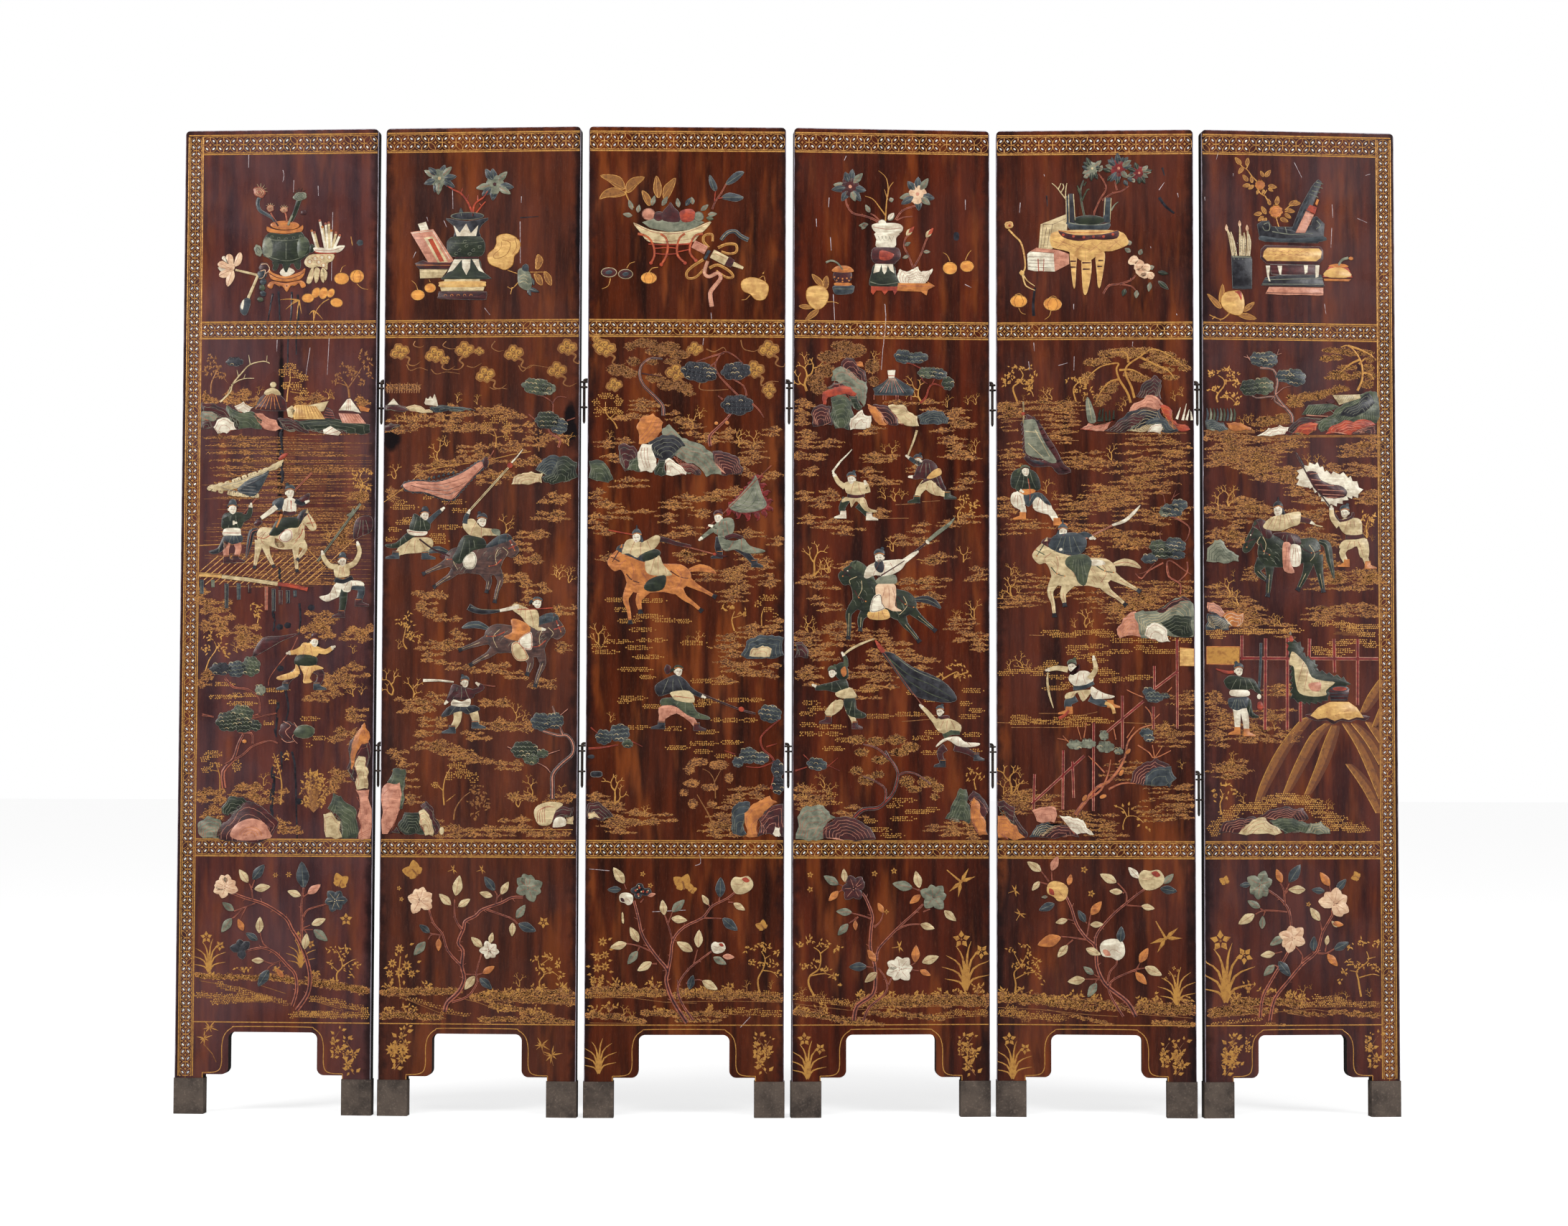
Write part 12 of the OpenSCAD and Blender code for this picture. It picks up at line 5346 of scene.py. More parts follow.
def garden_gilt_6(plane: LeafPlane) -> None:
    """Gilds leaf 6's garden gilt."""
    gilt = Gilding(plane, "garden_gilt_6", 129)
    for spot, breadth in (
        ((94, 1005), 30), ((33, 971), 60), ((53, 954), 60), ((77, 948), 60), ((66, 937), 60), ((90, 931), 60),
        ((107, 921), 50), ((80, 917), 60), ((100, 910), 50), ((93, 904), 60), ((229, 988), 60),
        ((250, 990), 60), ((270, 991), 60), ((297, 1002), 60), ((317, 998), 50), ((209, 932), 60),
        ((236, 932), 60), ((270, 939), 60), ((297, 941), 60), ((320, 934), 50), ((25, 775), 60),
        ((18, 759), 40), ((31, 731), 50), ((21, 715), 50), ((41, 738), 60), ((24, 698), 50), ((133, 789), 60),
        ((147, 792), 40), ((123, 745), 50), ((146, 745), 50), ((99, 708), 60), ((126, 708), 60),
        ((75, 701), 50), ((85, 718), 50), ((153, 704), 50), ((37, 640), 60), ((58, 644), 60), ((65, 650), 40),
        ((31, 640), 50), ((154, 900), 60)
    ):
        gilt.drift(*spot, breadth, 3)
    for spot, rx in (
        ((19, 892), 24), ((46, 894), 28), ((76, 894), 28), ((110, 895), 28), ((141, 895), 28),
        ((168, 897), 22), ((26, 885), 16), ((222, 909), 20), ((249, 912), 26), ((269, 907), 26),
        ((296, 905), 28), ((320, 905), 16), ((276, 900), 20), ((289, 897), 22), ((310, 890), 22),
        ((255, 873), 24), ((276, 877), 22), ((303, 877), 22), ((215, 863), 20), ((228, 856), 24),
        ((262, 860), 28), ((249, 853), 18), ((316, 870), 16)
    ):
        gilt.crown(Mark.DOT, *spot, rx, 4.8, Tint.GOLD)
    for spot, rx in (
        ((30, 542), 18), ((16, 532), 14), ((50, 559), 24), ((71, 569), 26), ((91, 573), 26), ((111, 573), 26),
        ((122, 580), 24), ((132, 586), 24), ((152, 590), 28), ((179, 586), 28), ((199, 580), 28),
        ((213, 566), 24), ((226, 556), 26), ((246, 549), 26), ((233, 539), 24), ((266, 536), 26),
        ((287, 529), 26), ((206, 576), 24), ((165, 580), 28), ((104, 563), 20), ((20, 522), 10),
        ((47, 549), 22), ((253, 532), 22)
    ):
        gilt.crown(Mark.DOT, *spot, rx, 6.4, Tint.GOLD)
    for spot, high, lean in (
        ((50, 958), 40, 0.2), ((67, 944), 34, 0.4), ((26, 964), 22, 0), ((134, 904), 28, 0.1),
        ((147, 904), 24, 0.4), ((168, 900), 10, 0), ((133, 711), 20, 0.1), ((92, 715), 18, 0),
        ((53, 647), 26, 0), ((58, 650), 16, 0.4), ((74, 576), 24, 0.1), ((233, 566), 20, 0),
        ((243, 566), 14, 0.4), ((300, 532), 14, 0.3), ((277, 539), 8, 0)
    ):
        gilt.shrub(*spot, high, lean)
    gilt.tree(
        Mark.LEAF, [[(32, 556), (30, 576), (35, 590), (30, 603)]],
        [
            ((20, 600), 8, 5), ((37, 610), 8, 4), ((51, 603), 8, 4), ((57, 596), 6, 4), ((37, 590), 8, 4),
            ((17, 586), 5, 4), ((44, 610), 8, 4)
        ],
        3
    )
    for run in (
        [(96, 580), (108, 617), (139, 677), (180, 728), (197, 735)],
        [(149, 596), (169, 644), (200, 701), (229, 725)], [(189, 593), (210, 644), (227, 691), (241, 721)],
        [(261, 725), (288, 681), (314, 623), (329, 586)], [(278, 725), (305, 691), (330, 649)],
        [(305, 728), (318, 708), (331, 689)], [(295, 745), (309, 775), (331, 806)], [(317, 718), (331, 752)],
        [(267, 650), (297, 607), (324, 559)]
    ):
        curve = spline(run, 5)
        for wide, lift, tint in ((24, 0.04, Tint.SHEEN), (15, 0.09, Tint.DUST), (5, 0.13, Tint.DULL)):
            low = [(x0 + wide * math.sin(0.5 + 2.1 * i / len(curve)), z0) for i, (x0, z0) in enumerate(curve)]
            gilt.wash(curve, low, tint, lift)
        gilt.stroke(Tint.GOLD, run, 1.9, steps=4)
    for run in ([(245, 891), (316, 892)], [(249, 894), (289, 893)], [(262, 889), (303, 889)]):
        gilt.stroke(Tint.DULL, run, 1)
    board = [(6, 866), (68, 866), (67, 833), (6, 834)]
    gilt.fleck(Tint.GOLD, board, 0.02, 0.2)
    gilt.stroke(Tint.APRICOT, board + board[:1], 1.8)
    gilt.build("front_lacquer")


def camp_rail_6(plane: LeafPlane) -> None:
    """Cuts leaf 6's camp rail."""
    work = Treasures(plane, "camp_rail_6", 130)
    for run in (
        [(72, 887), (72, 841)], [(117, 882), (115, 713)], [(158, 883), (157, 713)], [(200, 882), (199, 846)],
        [(246, 882), (247, 819)], [(291, 882), (290, 759)], [(182, 765), (182, 728)], [(69, 845), (330, 845)]
    ):
        work.limb(Tint.ROSE, run, [6, 6], 0.8)
        work.score([run[0], run[1], run[1]], 4.6, Tint.CRIMSON, 1.1)
    work.build("inlay_stone", plane.inlays)


def camp_flag_6(plane: LeafPlane) -> None:
    """Cuts leaf 6's camp flag."""
    work = Treasures(plane, "camp_flag_6", 131)
    work.fringe(
        Tint.JADE,
        [
            (162, 875), (181, 870), (188, 850), (208, 838), (211, 823), (235, 814), (262, 806), (270, 797),
            (235, 789), (231, 772), (201, 765), (170, 772), (169, 792), (167, 833), (162, 860)
        ],
        5.5, 8
    )
    work.smooth(
        Tint.JADE,
        [
            (162, 875), (181, 870), (188, 850), (208, 838), (211, 823), (235, 814), (262, 806), (270, 797),
            (235, 789), (231, 772), (201, 765), (170, 772), (169, 792), (167, 833), (162, 860)
        ],
        1.4
    )
    work.cloth(
        Tint.BONE,
        [
            (166, 858), (176, 853), (194, 833), (204, 811), (228, 804), (248, 801), (231, 786), (231, 777),
            (207, 774), (180, 780), (172, 802), (169, 829), (161, 834), (163, 850)
        ],
        1.6, folds=5
    )
    work.smooth(Tint.ROSE, [(197, 799), (221, 801), (218, 784), (201, 786)], 1.65)
    work.smooth(Tint.CORAL, [(163, 887), (168, 885), (169, 877), (162, 877)], 1.6)
    work.leaf(Tint.SAGE, 164, 887, 9, 4, 92, 1.6)
    work.build("inlay_stone", plane.inlays)


def tent_top_6(plane: LeafPlane) -> None:
    """Cuts leaf 6's tent top."""
    work = Treasures(plane, "tent_top_6", 132)
    work.smooth(
        Tint.WINE,
        [
            (197, 735), (200, 742), (305, 740), (304, 731), (288, 733), (275, 728), (258, 731), (244, 724),
            (231, 731), (214, 730)
        ],
        1.4
    )
    work.cut(
        Tint.HONEY,
        [
            (200, 739), (216, 755), (238, 765), (273, 765), (288, 755), (302, 735), (288, 736), (273, 731),
            (261, 734), (246, 729), (231, 735), (214, 732)
        ],
        1.6
    )
    work.cut(Tint.WINE, [(236, 789), (275, 789), (270, 767), (239, 767)], 1.5)
    work.cut(Tint.SLATE, ellipse(256, 789, 17, 6, 0, 18), 1.6)
    work.cut(Tint.CORAL, ellipse(256, 789, 14, 4.4, 0, 18), 1.75)
    for z0 in (((236, 781), (274, 781)), ((239, 775), (272, 775)), ((239, 769), (271, 769))):
        work.score([z0[0], z0[1]], 1.8, Tint.SLATE, 1.62)
    for k in range(14):
        work.dot(Tint.BARK, *place([(214, 742)], (k * 17) % 62, (k * 7) % 13 - 3)[0], 0.7, 1.62)
    work.build("inlay_stone", plane.inlays)


def rocks_6(plane: LeafPlane) -> None:
    """Cuts leaf 6's rocks."""
    work = Treasures(plane, "rocks_6", 133)
    work.rock(
        Tint.ROSE, [(7, 948), (19, 948), (36, 934), (49, 921), (33, 921), (9, 931)], 1, 3, 1.4, Tint.SLATE
    )
    work.rock(
        Tint.APRICOT, [(36, 924), (53, 932), (75, 929), (76, 914), (66, 902), (53, 904), (43, 914)], 2, 3,
        1.6, Tint.IVORY
    )
    work.rock(Tint.SLATE, [(5, 897), (7, 927), (26, 924), (49, 910), (48, 897)], 3, 6, 1.5, Tint.BONE)
    work.rock(
        Tint.WINE, [(25, 522), (37, 542), (64, 549), (91, 553), (98, 549), (74, 536), (64, 522)], 4, 4, 1.5,
        Tint.ROSE
    )
    work.rock(
        Tint.BONE, [(64, 521), (77, 536), (98, 549), (115, 551), (131, 536), (146, 523), (111, 521)], 5, 3,
        1.7
    )
    work.rock(
        Tint.WINE,
        [(104, 553), (132, 566), (159, 571), (186, 568), (196, 549), (179, 542), (152, 549), (125, 549)], 6,
        5, 1.5, Tint.ROSE
    )
    work.rock(
        Tint.MOSS, [(121, 546), (145, 551), (179, 544), (199, 539), (195, 522), (151, 521), (131, 536)], 7, 4,
        1.65, Tint.SAGE
    )
    work.rock(Tint.SAGE, [(189, 522), (199, 541), (219, 544), (233, 532), (237, 521)], 8, 3, 1.8, Tint.BONE)
    work.rock(
        Tint.SAGE,
        [(6, 1024), (8, 1048), (22, 1064), (33, 1065), (44, 1049), (67, 1035), (67, 1024), (28, 1023)], 9, 4,
        1.6, Tint.JADE
    )
    work.build("inlay_stone", plane.inlays)


# ---------------------------------------------------------------- camellias


# The lowest field of leaf 1.


def camellia_1(plane: LeafPlane) -> None:
    """Cuts leaf 1's camellia."""
    work = Camellia(plane, "camellia_1", 141)
    work.stems(
        (
            7.4,
            [
                (227, 191), (247, 220), (252, 250), (246, 283), (230, 320), (217, 340), (207, 359),
                (184, 376), (161, 388), (131, 397), (105, 406)
            ]
        ),
        (6, [(219, 199), (227, 227), (224, 257), (210, 273), (194, 290), (181, 300), (161, 306), (135, 301)]),
        (4.4, [(245, 287), (236, 316), (236, 353), (234, 379), (236, 399), (238, 417)]),
        (3, [(238, 363), (246, 376), (266, 383), (287, 388)]), (2.2, [(143, 394), (141, 412), (136, 424)]),
        (2, [(141, 416), (146, 431)]), (2, [(148, 388), (125, 379), (108, 373)]),
        (2, [(125, 379), (110, 363), (103, 359)]), (1.6, [(131, 381), (125, 369), (120, 358)]),
        (2, [(187, 296), (164, 313), (158, 333)]), (2, [(197, 282), (181, 277), (164, 282)]),
        (2, [(194, 280), (178, 273), (171, 265)]), (1.8, [(194, 280), (196, 270)]),
        (2, [(236, 399), (246, 406)]), (1.6, [(238, 343), (251, 348)]), (1.6, [(238, 340), (256, 340)]),
        (1.6, [(238, 343), (245, 333)])
    )
    work.foliage(
        Tint.BONE, ((134, 426), (117, 450)), ((146, 414), (176, 419)), ((156, 333), (157, 363)),
        ((165, 282), (142, 283)), ((233, 402), (208, 411)), ((254, 349), (280, 360)), ((241, 304), (245, 333))
    )
    work.foliage(
        Tint.SLATE, ((143, 432), (164, 459)), ((153, 320), (131, 333)), ((238, 417), (234, 465)),
        ((174, 265), (155, 235))
    )
    work.foliage(Tint.SAGE, ((108, 374), (86, 389)), ((104, 360), (85, 334)), ((258, 340), (284, 319)))
    work.foliage(Tint.APRICOT, ((126, 337), (116, 359)), ((202, 252), (188, 268)))
    work.foliage(Tint.ROSE, ((246, 406), (270, 423)))
    work.petals(Tint.BLUSH, 92, 417, 22, (80, 30, -15, 250, 200, 150, 110, 170), Tint.BARK)
    work.petals(Tint.SLATE, 298, 394, 20, (130, 60, 0, -60, 250, 190), Tint.BONE)
    work.petals(Tint.INK, 122, 303, 19, (170, 100, 40, -80), Tint.SLATE)
    work.build("inlay_stone", "panel_1_inlays")


def lower_gilt_1(plane: LeafPlane) -> None:
    """Gilds leaf 1's lower gilt."""
    gilt = Gilding(plane, "lower_gilt_1", 142)
    undergrowth(
        gilt,
        [
            (Mark.TICK, (43, 253), (214, 247), 7), (Mark.TICK, (253, 247), (355, 230), 7),
            (Mark.TICK, (214, 244), (355, 227), 6), (Mark.DOT, (43, 220), (168, 210), 7),
            (Mark.DOT, (83, 237), (208, 204), 6), (Mark.DOT, (221, 184), (355, 184), 7),
            (Mark.DOT, (257, 214), (355, 194), 7), (Mark.DOT, (76, 207), (181, 214), 7),
            (Mark.DOT, (240, 184), (299, 187), 6)
        ]
    )
    for spot in ((63, 248), (125, 262), (188, 257), (260, 253), (296, 240)):
        gilt.bush(*spot, 26, 12)
    gilt.orchid(62, 260, 68)
    gilt.orchid(234, 270, 60)
    gilt.tree(
        Mark.LEAF,
        [
            [(302, 245), (302, 260), (312, 273), (305, 296), (299, 303)],
            [(312, 273), (328, 283), (338, 287)], [(304, 263), (289, 277)]
        ],
        [
            ((292, 303), 9, 6), ((319, 303), 12, 7), ((292, 277), 8, 5), ((338, 277), 7, 8),
            ((319, 270), 8, 5), ((329, 257), 5, 6), ((312, 290), 8, 5)
        ],
        3
    )
    for spot, size in (((185, 440), 5.4), ((210, 441), 6)):
        gilt.flower(*spot, size, 6)
    gilt.butterfly(306, 425, 21, -20)
    gilt.flower(318, 359, 12, 5, 20)
    for run in ([(47, 244), (125, 232), (168, 217)], [(158, 237), (207, 222)], [(253, 210), (313, 194)]):
        gilt.stroke(Tint.DULL, run, 1.1)
    gilt.bamboo(65, 159, 18, -20)
    gilt.bamboo(55, 139, 17, 20)
    gilt.stroke(Tint.DULL, [(54, 128), (70, 111), (78, 95)], 2.2, 1)
    gilt.sprig(336, 75, 60, -1)
    gilt.sprig(295, 104, 50)
    gilt.sprig(316, 104, 34)
    gilt.build("front_lacquer")


# The lowest field of leaf 2.


def camellia_2(plane: LeafPlane) -> None:
    """Cuts leaf 2's camellia."""
    work = Camellia(plane, "camellia_2", 143)
    work.stems(
        (
            7.4,
            [
                (123, 191), (128, 208), (149, 228), (159, 252), (154, 275), (156, 303), (147, 318),
                (157, 343), (160, 357), (179, 367), (192, 379), (226, 391), (246, 401), (267, 402)
            ]
        ),
        (4.4, [(154, 275), (128, 303), (118, 333), (101, 353), (92, 380)]),
        (3.6, [(155, 340), (141, 363), (140, 397)]), (3.2, [(199, 379), (226, 370), (247, 362), (257, 353)]),
        (3.6, [(136, 209), (166, 220), (183, 245), (181, 262), (193, 306)]),
        (2, [(115, 331), (99, 333), (91, 323)]), (1.8, [(113, 330), (111, 323)]),
        (1.8, [(99, 333), (94, 336)]), (2, [(216, 389), (219, 404), (214, 413)]),
        (1.8, [(219, 401), (226, 408)]), (1.6, [(134, 385), (132, 389)]), (1.6, [(145, 382), (147, 384)]),
        (1.8, [(181, 259), (193, 262)]), (1.6, [(161, 260), (180, 260)]), (1.4, [(193, 299), (196, 306)])
    )
    work.foliage(
        Tint.BONE, ((142, 404), (149, 441)), ((133, 387), (111, 407)), ((147, 384), (169, 398)),
        ((210, 403), (186, 410)), ((226, 407), (240, 430)), ((248, 355), (247, 330)),
        ((192, 310), (171, 328)), ((206, 317), (211, 337)), ((178, 257), (160, 232))
    )
    work.foliage(
        Tint.SLATE, ((214, 414), (195, 439)), ((259, 353), (291, 340)), ((94, 336), (75, 350)),
        ((188, 253), (210, 234))
    )
    work.foliage(Tint.SAGE, ((255, 363), (271, 388)), ((86, 319), (65, 294)))
    work.foliage(Tint.APRICOT, ((111, 325), (111, 302)), ((193, 262), (215, 275)))
    work.petals(Tint.BLUSH, 75, 394, 24, (75, 110, 30, 0, -30, 160, 240), Tint.BARK)
    work.petals(Tint.SAGE, 277, 419, 25, (140, 80, 20, -20, -70, 200, 110), Tint.BARK)
    work.petals(Tint.IVORY, 205, 304, 17, (110, 40, -10, -50, 180, 250), Tint.BARK)
    work.build("inlay_stone", "panel_2_inlays")


def lower_gilt_2(plane: LeafPlane) -> None:
    """Gilds leaf 2's lower gilt."""
    gilt = Gilding(plane, "lower_gilt_2", 144)
    undergrowth(
        gilt,
        [
            (Mark.TICK, (10, 225), (146, 228), 8), (Mark.TICK, (180, 218), (356, 214), 9),
            (Mark.TICK, (197, 225), (356, 228), 8), (Mark.TICK, (7, 184), (112, 182), 8),
            (Mark.DOT, (44, 218), (133, 194), 4), (Mark.DOT, (119, 191), (167, 186), 4),
            (Mark.TICK, (194, 177), (357, 174), 7), (Mark.TICK, (214, 204), (316, 184), 7)
        ]
    )
    for spot in (
        (21, 228), (92, 231), (207, 218), (248, 221), (295, 226), (336, 228), (18, 184), (55, 187),
        (234, 191), (295, 187)
    ):
        gilt.bush(*spot, 28, 15)
    for spot, r in (
        ((38, 306), 9), ((25, 279), 9), ((52, 275), 10), ((39, 262), 10), ((20, 260), 8), ((61, 260), 8)
    ):
        gilt.flower(*spot, r, 8, r * 7)
    for spot, turn in (
        ((57, 313), 20), ((10, 282), 170), ((71, 281), 20), ((17, 272), 200), ((49, 289), 60), ((68, 265), 0),
        ((27, 252), 240), ((47, 248), 270), ((34, 292), 120)
    ):
        gilt.blade(Tint.GOLD, *spot, 9, 5, turn)
    gilt.stroke(Tint.GOLD, [(41, 225), (37, 259), (40, 292)], 2)
    gilt.tree(
        Mark.LEAF,
        [
            [(300, 233), (298, 248), (307, 262), (298, 275), (296, 286)],
            [(305, 260), (322, 265), (336, 255)], [(302, 279), (315, 289)]
        ],
        [
            ((288, 289), 9, 6), ((312, 292), 14, 6), ((332, 282), 8, 7), ((295, 270), 9, 5),
            ((319, 267), 12, 5), ((336, 259), 7, 8), ((305, 275), 8, 4)
        ],
        3
    )
    gilt.shrub(261, 238, 26)
    gilt.shrub(307, 235, 10, 0.3)
    for spot in ((36, 417), (41, 397)):
        gilt.flower(*spot, 4.6, 5)
    for spot in ((137, 452), (190, 452)):
        gilt.dragonfly(*spot, 11, 20)
    gilt.flower(305, 356, 11, 5, 50)
    gilt.butterfly(66, 446, 25, 40)
    for run in (
        [(7, 221), (38, 219), (78, 203), (119, 187)], [(146, 218), (187, 208), (224, 194)],
        [(187, 214), (356, 206)]
    ):
        gilt.stroke(Tint.DULL, run, 1.1)
    gilt.sprig(30, 84, 68)
    gilt.sprig(42, 120, 42)
    gilt.flower(27, 121, 14, 10)
    gilt.flower(47, 121, 11, 10)
    gilt.bamboo(303, 132, 18, -30)
    gilt.bamboo(322, 114, 21, 10)
    gilt.stroke(Tint.DULL, [(303, 126), (308, 115), (320, 111), (325, 94)], 1.4)
    gilt.build("front_lacquer")


# The lowest field of leaf 3.


def camellia_3(plane: LeafPlane) -> None:
    """Cuts leaf 3's camellia."""
    work = Camellia(plane, "camellia_3", 145)
    work.stems(
        (
            7.4,
            [
                (188, 173), (162, 214), (150, 249), (152, 269), (135, 290), (117, 314), (104, 338), (99, 362),
                (90, 396)
            ]
        ),
        (
            5.4,
            [(152, 262), (158, 293), (162, 324), (182, 348), (216, 365), (233, 386), (260, 400), (277, 413)]
        ),
        (4, [(199, 178), (176, 214), (172, 242), (189, 269), (209, 286), (233, 304)]),
        (3, [(162, 321), (153, 352), (146, 372)]), (2.2, [(153, 355), (161, 376)]),
        (2.2, [(121, 304), (97, 314), (75, 318)]), (2, [(101, 312), (97, 304)]),
        (2, [(133, 281), (123, 281)]), (2.2, [(216, 365), (251, 364)]), (2, [(229, 386), (226, 391)]),
        (2, [(246, 396), (248, 405)]), (2, [(263, 394), (273, 393)]), (2, [(199, 276), (207, 307)]),
        (2, [(172, 242), (170, 252)]), (2, [(186, 245), (206, 252), (216, 250)]),
        (1.8, [(102, 393), (108, 400)]), (1.6, [(76, 417), (72, 427)])
    )
    work.foliage(
        Tint.BONE, ((72, 428), (52, 457)), ((146, 370), (142, 398)), ((159, 364), (188, 360)),
        ((99, 321), (83, 348)), ((77, 318), (47, 310)), ((123, 284), (97, 268)), ((198, 304), (169, 321)),
        ((208, 311), (210, 343)), ((227, 389), (215, 407)), ((273, 392), (294, 379)), ((216, 250), (244, 234))
    )
    work.foliage(
        Tint.SLATE, ((66, 417), (42, 416)), ((248, 403), (249, 439)), ((253, 364), (280, 342)),
        ((192, 235), (199, 260))
    )
    work.foliage(Tint.SAGE, ((160, 376), (183, 398)), ((97, 304), (79, 280)), ((236, 293), (260, 280)))
    work.foliage(Tint.ROSE, ((115, 405), (130, 409)), ((253, 295), (275, 293)))
    work.bud(Tint.BONE, 288, 426, 20, 10)
    work.bud(Tint.IVORY, 245, 311, 13, 0)
    work.bud(Tint.IVORY, 76, 400, 13, 160, Tint.WINE)
    for spot, turn in (
        ((93, 415), 0), ((100, 420), 70), ((107, 413), 150), ((114, 412), 20), ((98, 408), 250)
    ):
        work.cut(Tint.INK, scallop(*spot, 9, 7, 3, turn), 1.5)
        work.dot(Tint.CORAL, *spot, 2.2, 1.6)
        work.dot(Tint.BONE, *place([(3, 2)], *spot, turn)[0], 1.4, 1.6)
    work.smooth(Tint.BONE, [(68, 374), (71, 372), (72, 355), (68, 358)], 1.2)
    work.build("inlay_stone", "panel_3_inlays")


def lower_gilt_3(plane: LeafPlane) -> None:
    """Gilds leaf 3's lower gilt."""
    gilt = Gilding(plane, "lower_gilt_3", 146)
    undergrowth(
        gilt,
        [
            (Mark.DOT, (9, 223), (145, 225), 6), (Mark.TICK, (9, 232), (145, 228), 8),
            (Mark.TICK, (172, 225), (359, 218), 8), (Mark.DOT, (206, 232), (359, 225), 6),
            (Mark.TICK, (10, 187), (105, 177), 7), (Mark.TICK, (111, 190), (254, 187), 7),
            (Mark.DOT, (264, 194), (355, 192), 8), (Mark.TICK, (172, 177), (247, 177), 4)
        ]
    )
    for spot in (
        (20, 235), (60, 238), (84, 232), (128, 237), (182, 225), (220, 225), (267, 228), (16, 190), (47, 194),
        (135, 190), (230, 190)
    ):
        gilt.bush(*spot, 26, 14)
    for spot, high in (
        ((72, 187), 22), ((88, 178), 18), ((267, 190), 14), ((298, 235), 18), ((342, 235), 16)
    ):
        gilt.shrub(*spot, high)
    for spot, r in (
        ((33, 321), 9), ((24, 293), 9), ((38, 297), 8), ((23, 273), 9), ((38, 276), 9), ((16, 252), 8),
        ((30, 252), 7)
    ):
        gilt.flower(*spot, r, 7, r * 9)
    for spot, turn in (
        ((43, 324), 30), ((45, 307), 0), ((19, 297), 170), ((43, 286), 10), ((11, 276), 180), ((45, 266), 0),
        ((13, 262), 190), ((33, 262), 280)
    ):
        gilt.blade(Tint.GOLD, *spot, 9, 5, turn)
    gilt.tree(
        Mark.LEAF,
        [
            [(321, 228), (318, 252), (328, 273), (331, 290), (324, 304)],
            [(328, 269), (345, 266), (355, 256)], [(330, 290), (341, 297)]
        ],
        [
            ((301, 307), 9, 5), ((314, 314), 8, 6), ((335, 310), 9, 6), ((353, 304), 8, 6),
            ((308, 283), 9, 6), ((321, 280), 9, 5), ((345, 280), 12, 6), ((355, 262), 6, 8),
            ((328, 314), 8, 6)
        ],
        3.4
    )
    for spot in ((106, 445), (120, 424)):
        gilt.flower(*spot, 5.4, 5)
    gilt.butterfly(181, 424, 24, 10)
    gilt.butterfly(195, 415, 12, -40)
    gilt.butterfly(327, 348, 15, 30)
    for run in (
        [(9, 221), (84, 219), (145, 211), (206, 209)], [(152, 211), (254, 213), (359, 211)],
        [(10, 173), (105, 172)]
    ):
        gilt.stroke(Tint.DULL, run, 1.1)
    gilt.orchid(27, 81, 70, False)
    gilt.sprig(335, 81, 64, -1)
    gilt.sprig(313, 108, 40)
    gilt.sprig(332, 108, 34)
    gilt.flower(318, 117, 11, 5)
    gilt.build("front_lacquer")


def chips_3(plane: LeafPlane) -> None:
    """Scratches leaf 3's lacquer."""
    work = Relief(plane, "chips_3", 147)
    for run in (
        [(210, 482), (212, 465), (202, 461)], [(304, 184), (286, 165)], [(8, 454), (45, 451)],
        [(124, 376), (185, 379)]
    ):
        work.stroke(Tint.SCRATCH, run, 0.9, high=0.08, steps=3)
    work.build("front_lacquer")


# The lowest field of leaf 4.


def camellia_4(plane: LeafPlane) -> None:
    """Cuts leaf 4's camellia."""
    work = Camellia(plane, "camellia_4", 148)
    work.stems(
        (
            7.4,
            [
                (114, 177), (120, 204), (149, 225), (154, 256), (152, 280), (144, 311), (146, 348),
                (148, 369), (136, 400), (129, 410)
            ]
        ),
        (5, [(156, 287), (159, 307), (180, 331), (201, 352), (228, 376), (242, 390)]),
        (4, [(132, 177), (142, 201), (173, 228), (173, 252), (159, 273)]),
        (2.6, [(149, 362), (129, 369), (108, 374)]), (2.2, [(122, 367), (105, 355)]),
        (2, [(117, 366), (117, 359)]), (2.4, [(151, 347), (163, 359), (168, 374)]),
        (3, [(190, 342), (214, 352), (238, 353)]), (2.6, [(178, 242), (187, 259), (207, 270), (228, 283)]),
        (2, [(214, 270), (234, 268)]), (2, [(154, 273), (135, 276)]), (2, [(97, 422), (85, 427)]),
        (1.8, [(98, 429), (98, 434)]), (1.8, [(97, 419), (85, 412)]), (2, [(238, 414), (221, 420)]),
        (1.8, [(235, 414), (234, 419)]), (1.8, [(242, 376), (255, 381)])
    )
    work.foliage(
        Tint.SAGE, ((85, 426), (58, 442)), ((110, 375), (81, 377)), ((103, 354), (84, 333)),
        ((222, 420), (185, 428))
    )
    work.foliage(
        Tint.BONE, ((97, 431), (95, 455)), ((156, 265), (134, 247)), ((237, 353), (263, 345)),
        ((235, 420), (228, 451)), ((281, 378), (303, 359)), ((240, 283), (271, 294))
    )
    work.foliage(
        Tint.APRICOT, ((85, 414), (67, 396)), ((116, 360), (117, 342)), ((168, 374), (158, 393)),
        ((154, 285), (139, 307)), ((237, 407), (217, 391)), ((227, 283), (229, 315)), ((236, 269), (256, 259))
    )
    work.foliage(Tint.SLATE, ((137, 276), (105, 275)))
    work.petals(Tint.WINE, 114, 419, 23, (55, 30, 110, 180, 230, 300), Tint.ROSE)
    work.petals(Tint.SAGE, 261, 402, 25, (150, 100, 50, 10, -50, 230), Tint.BARK)
    work.petals(Tint.IVORY, 199, 271, 24, (150, 100, 50, 5, -50, 240, 200), Tint.BARK)
    work.build("inlay_stone", "panel_4_inlays")


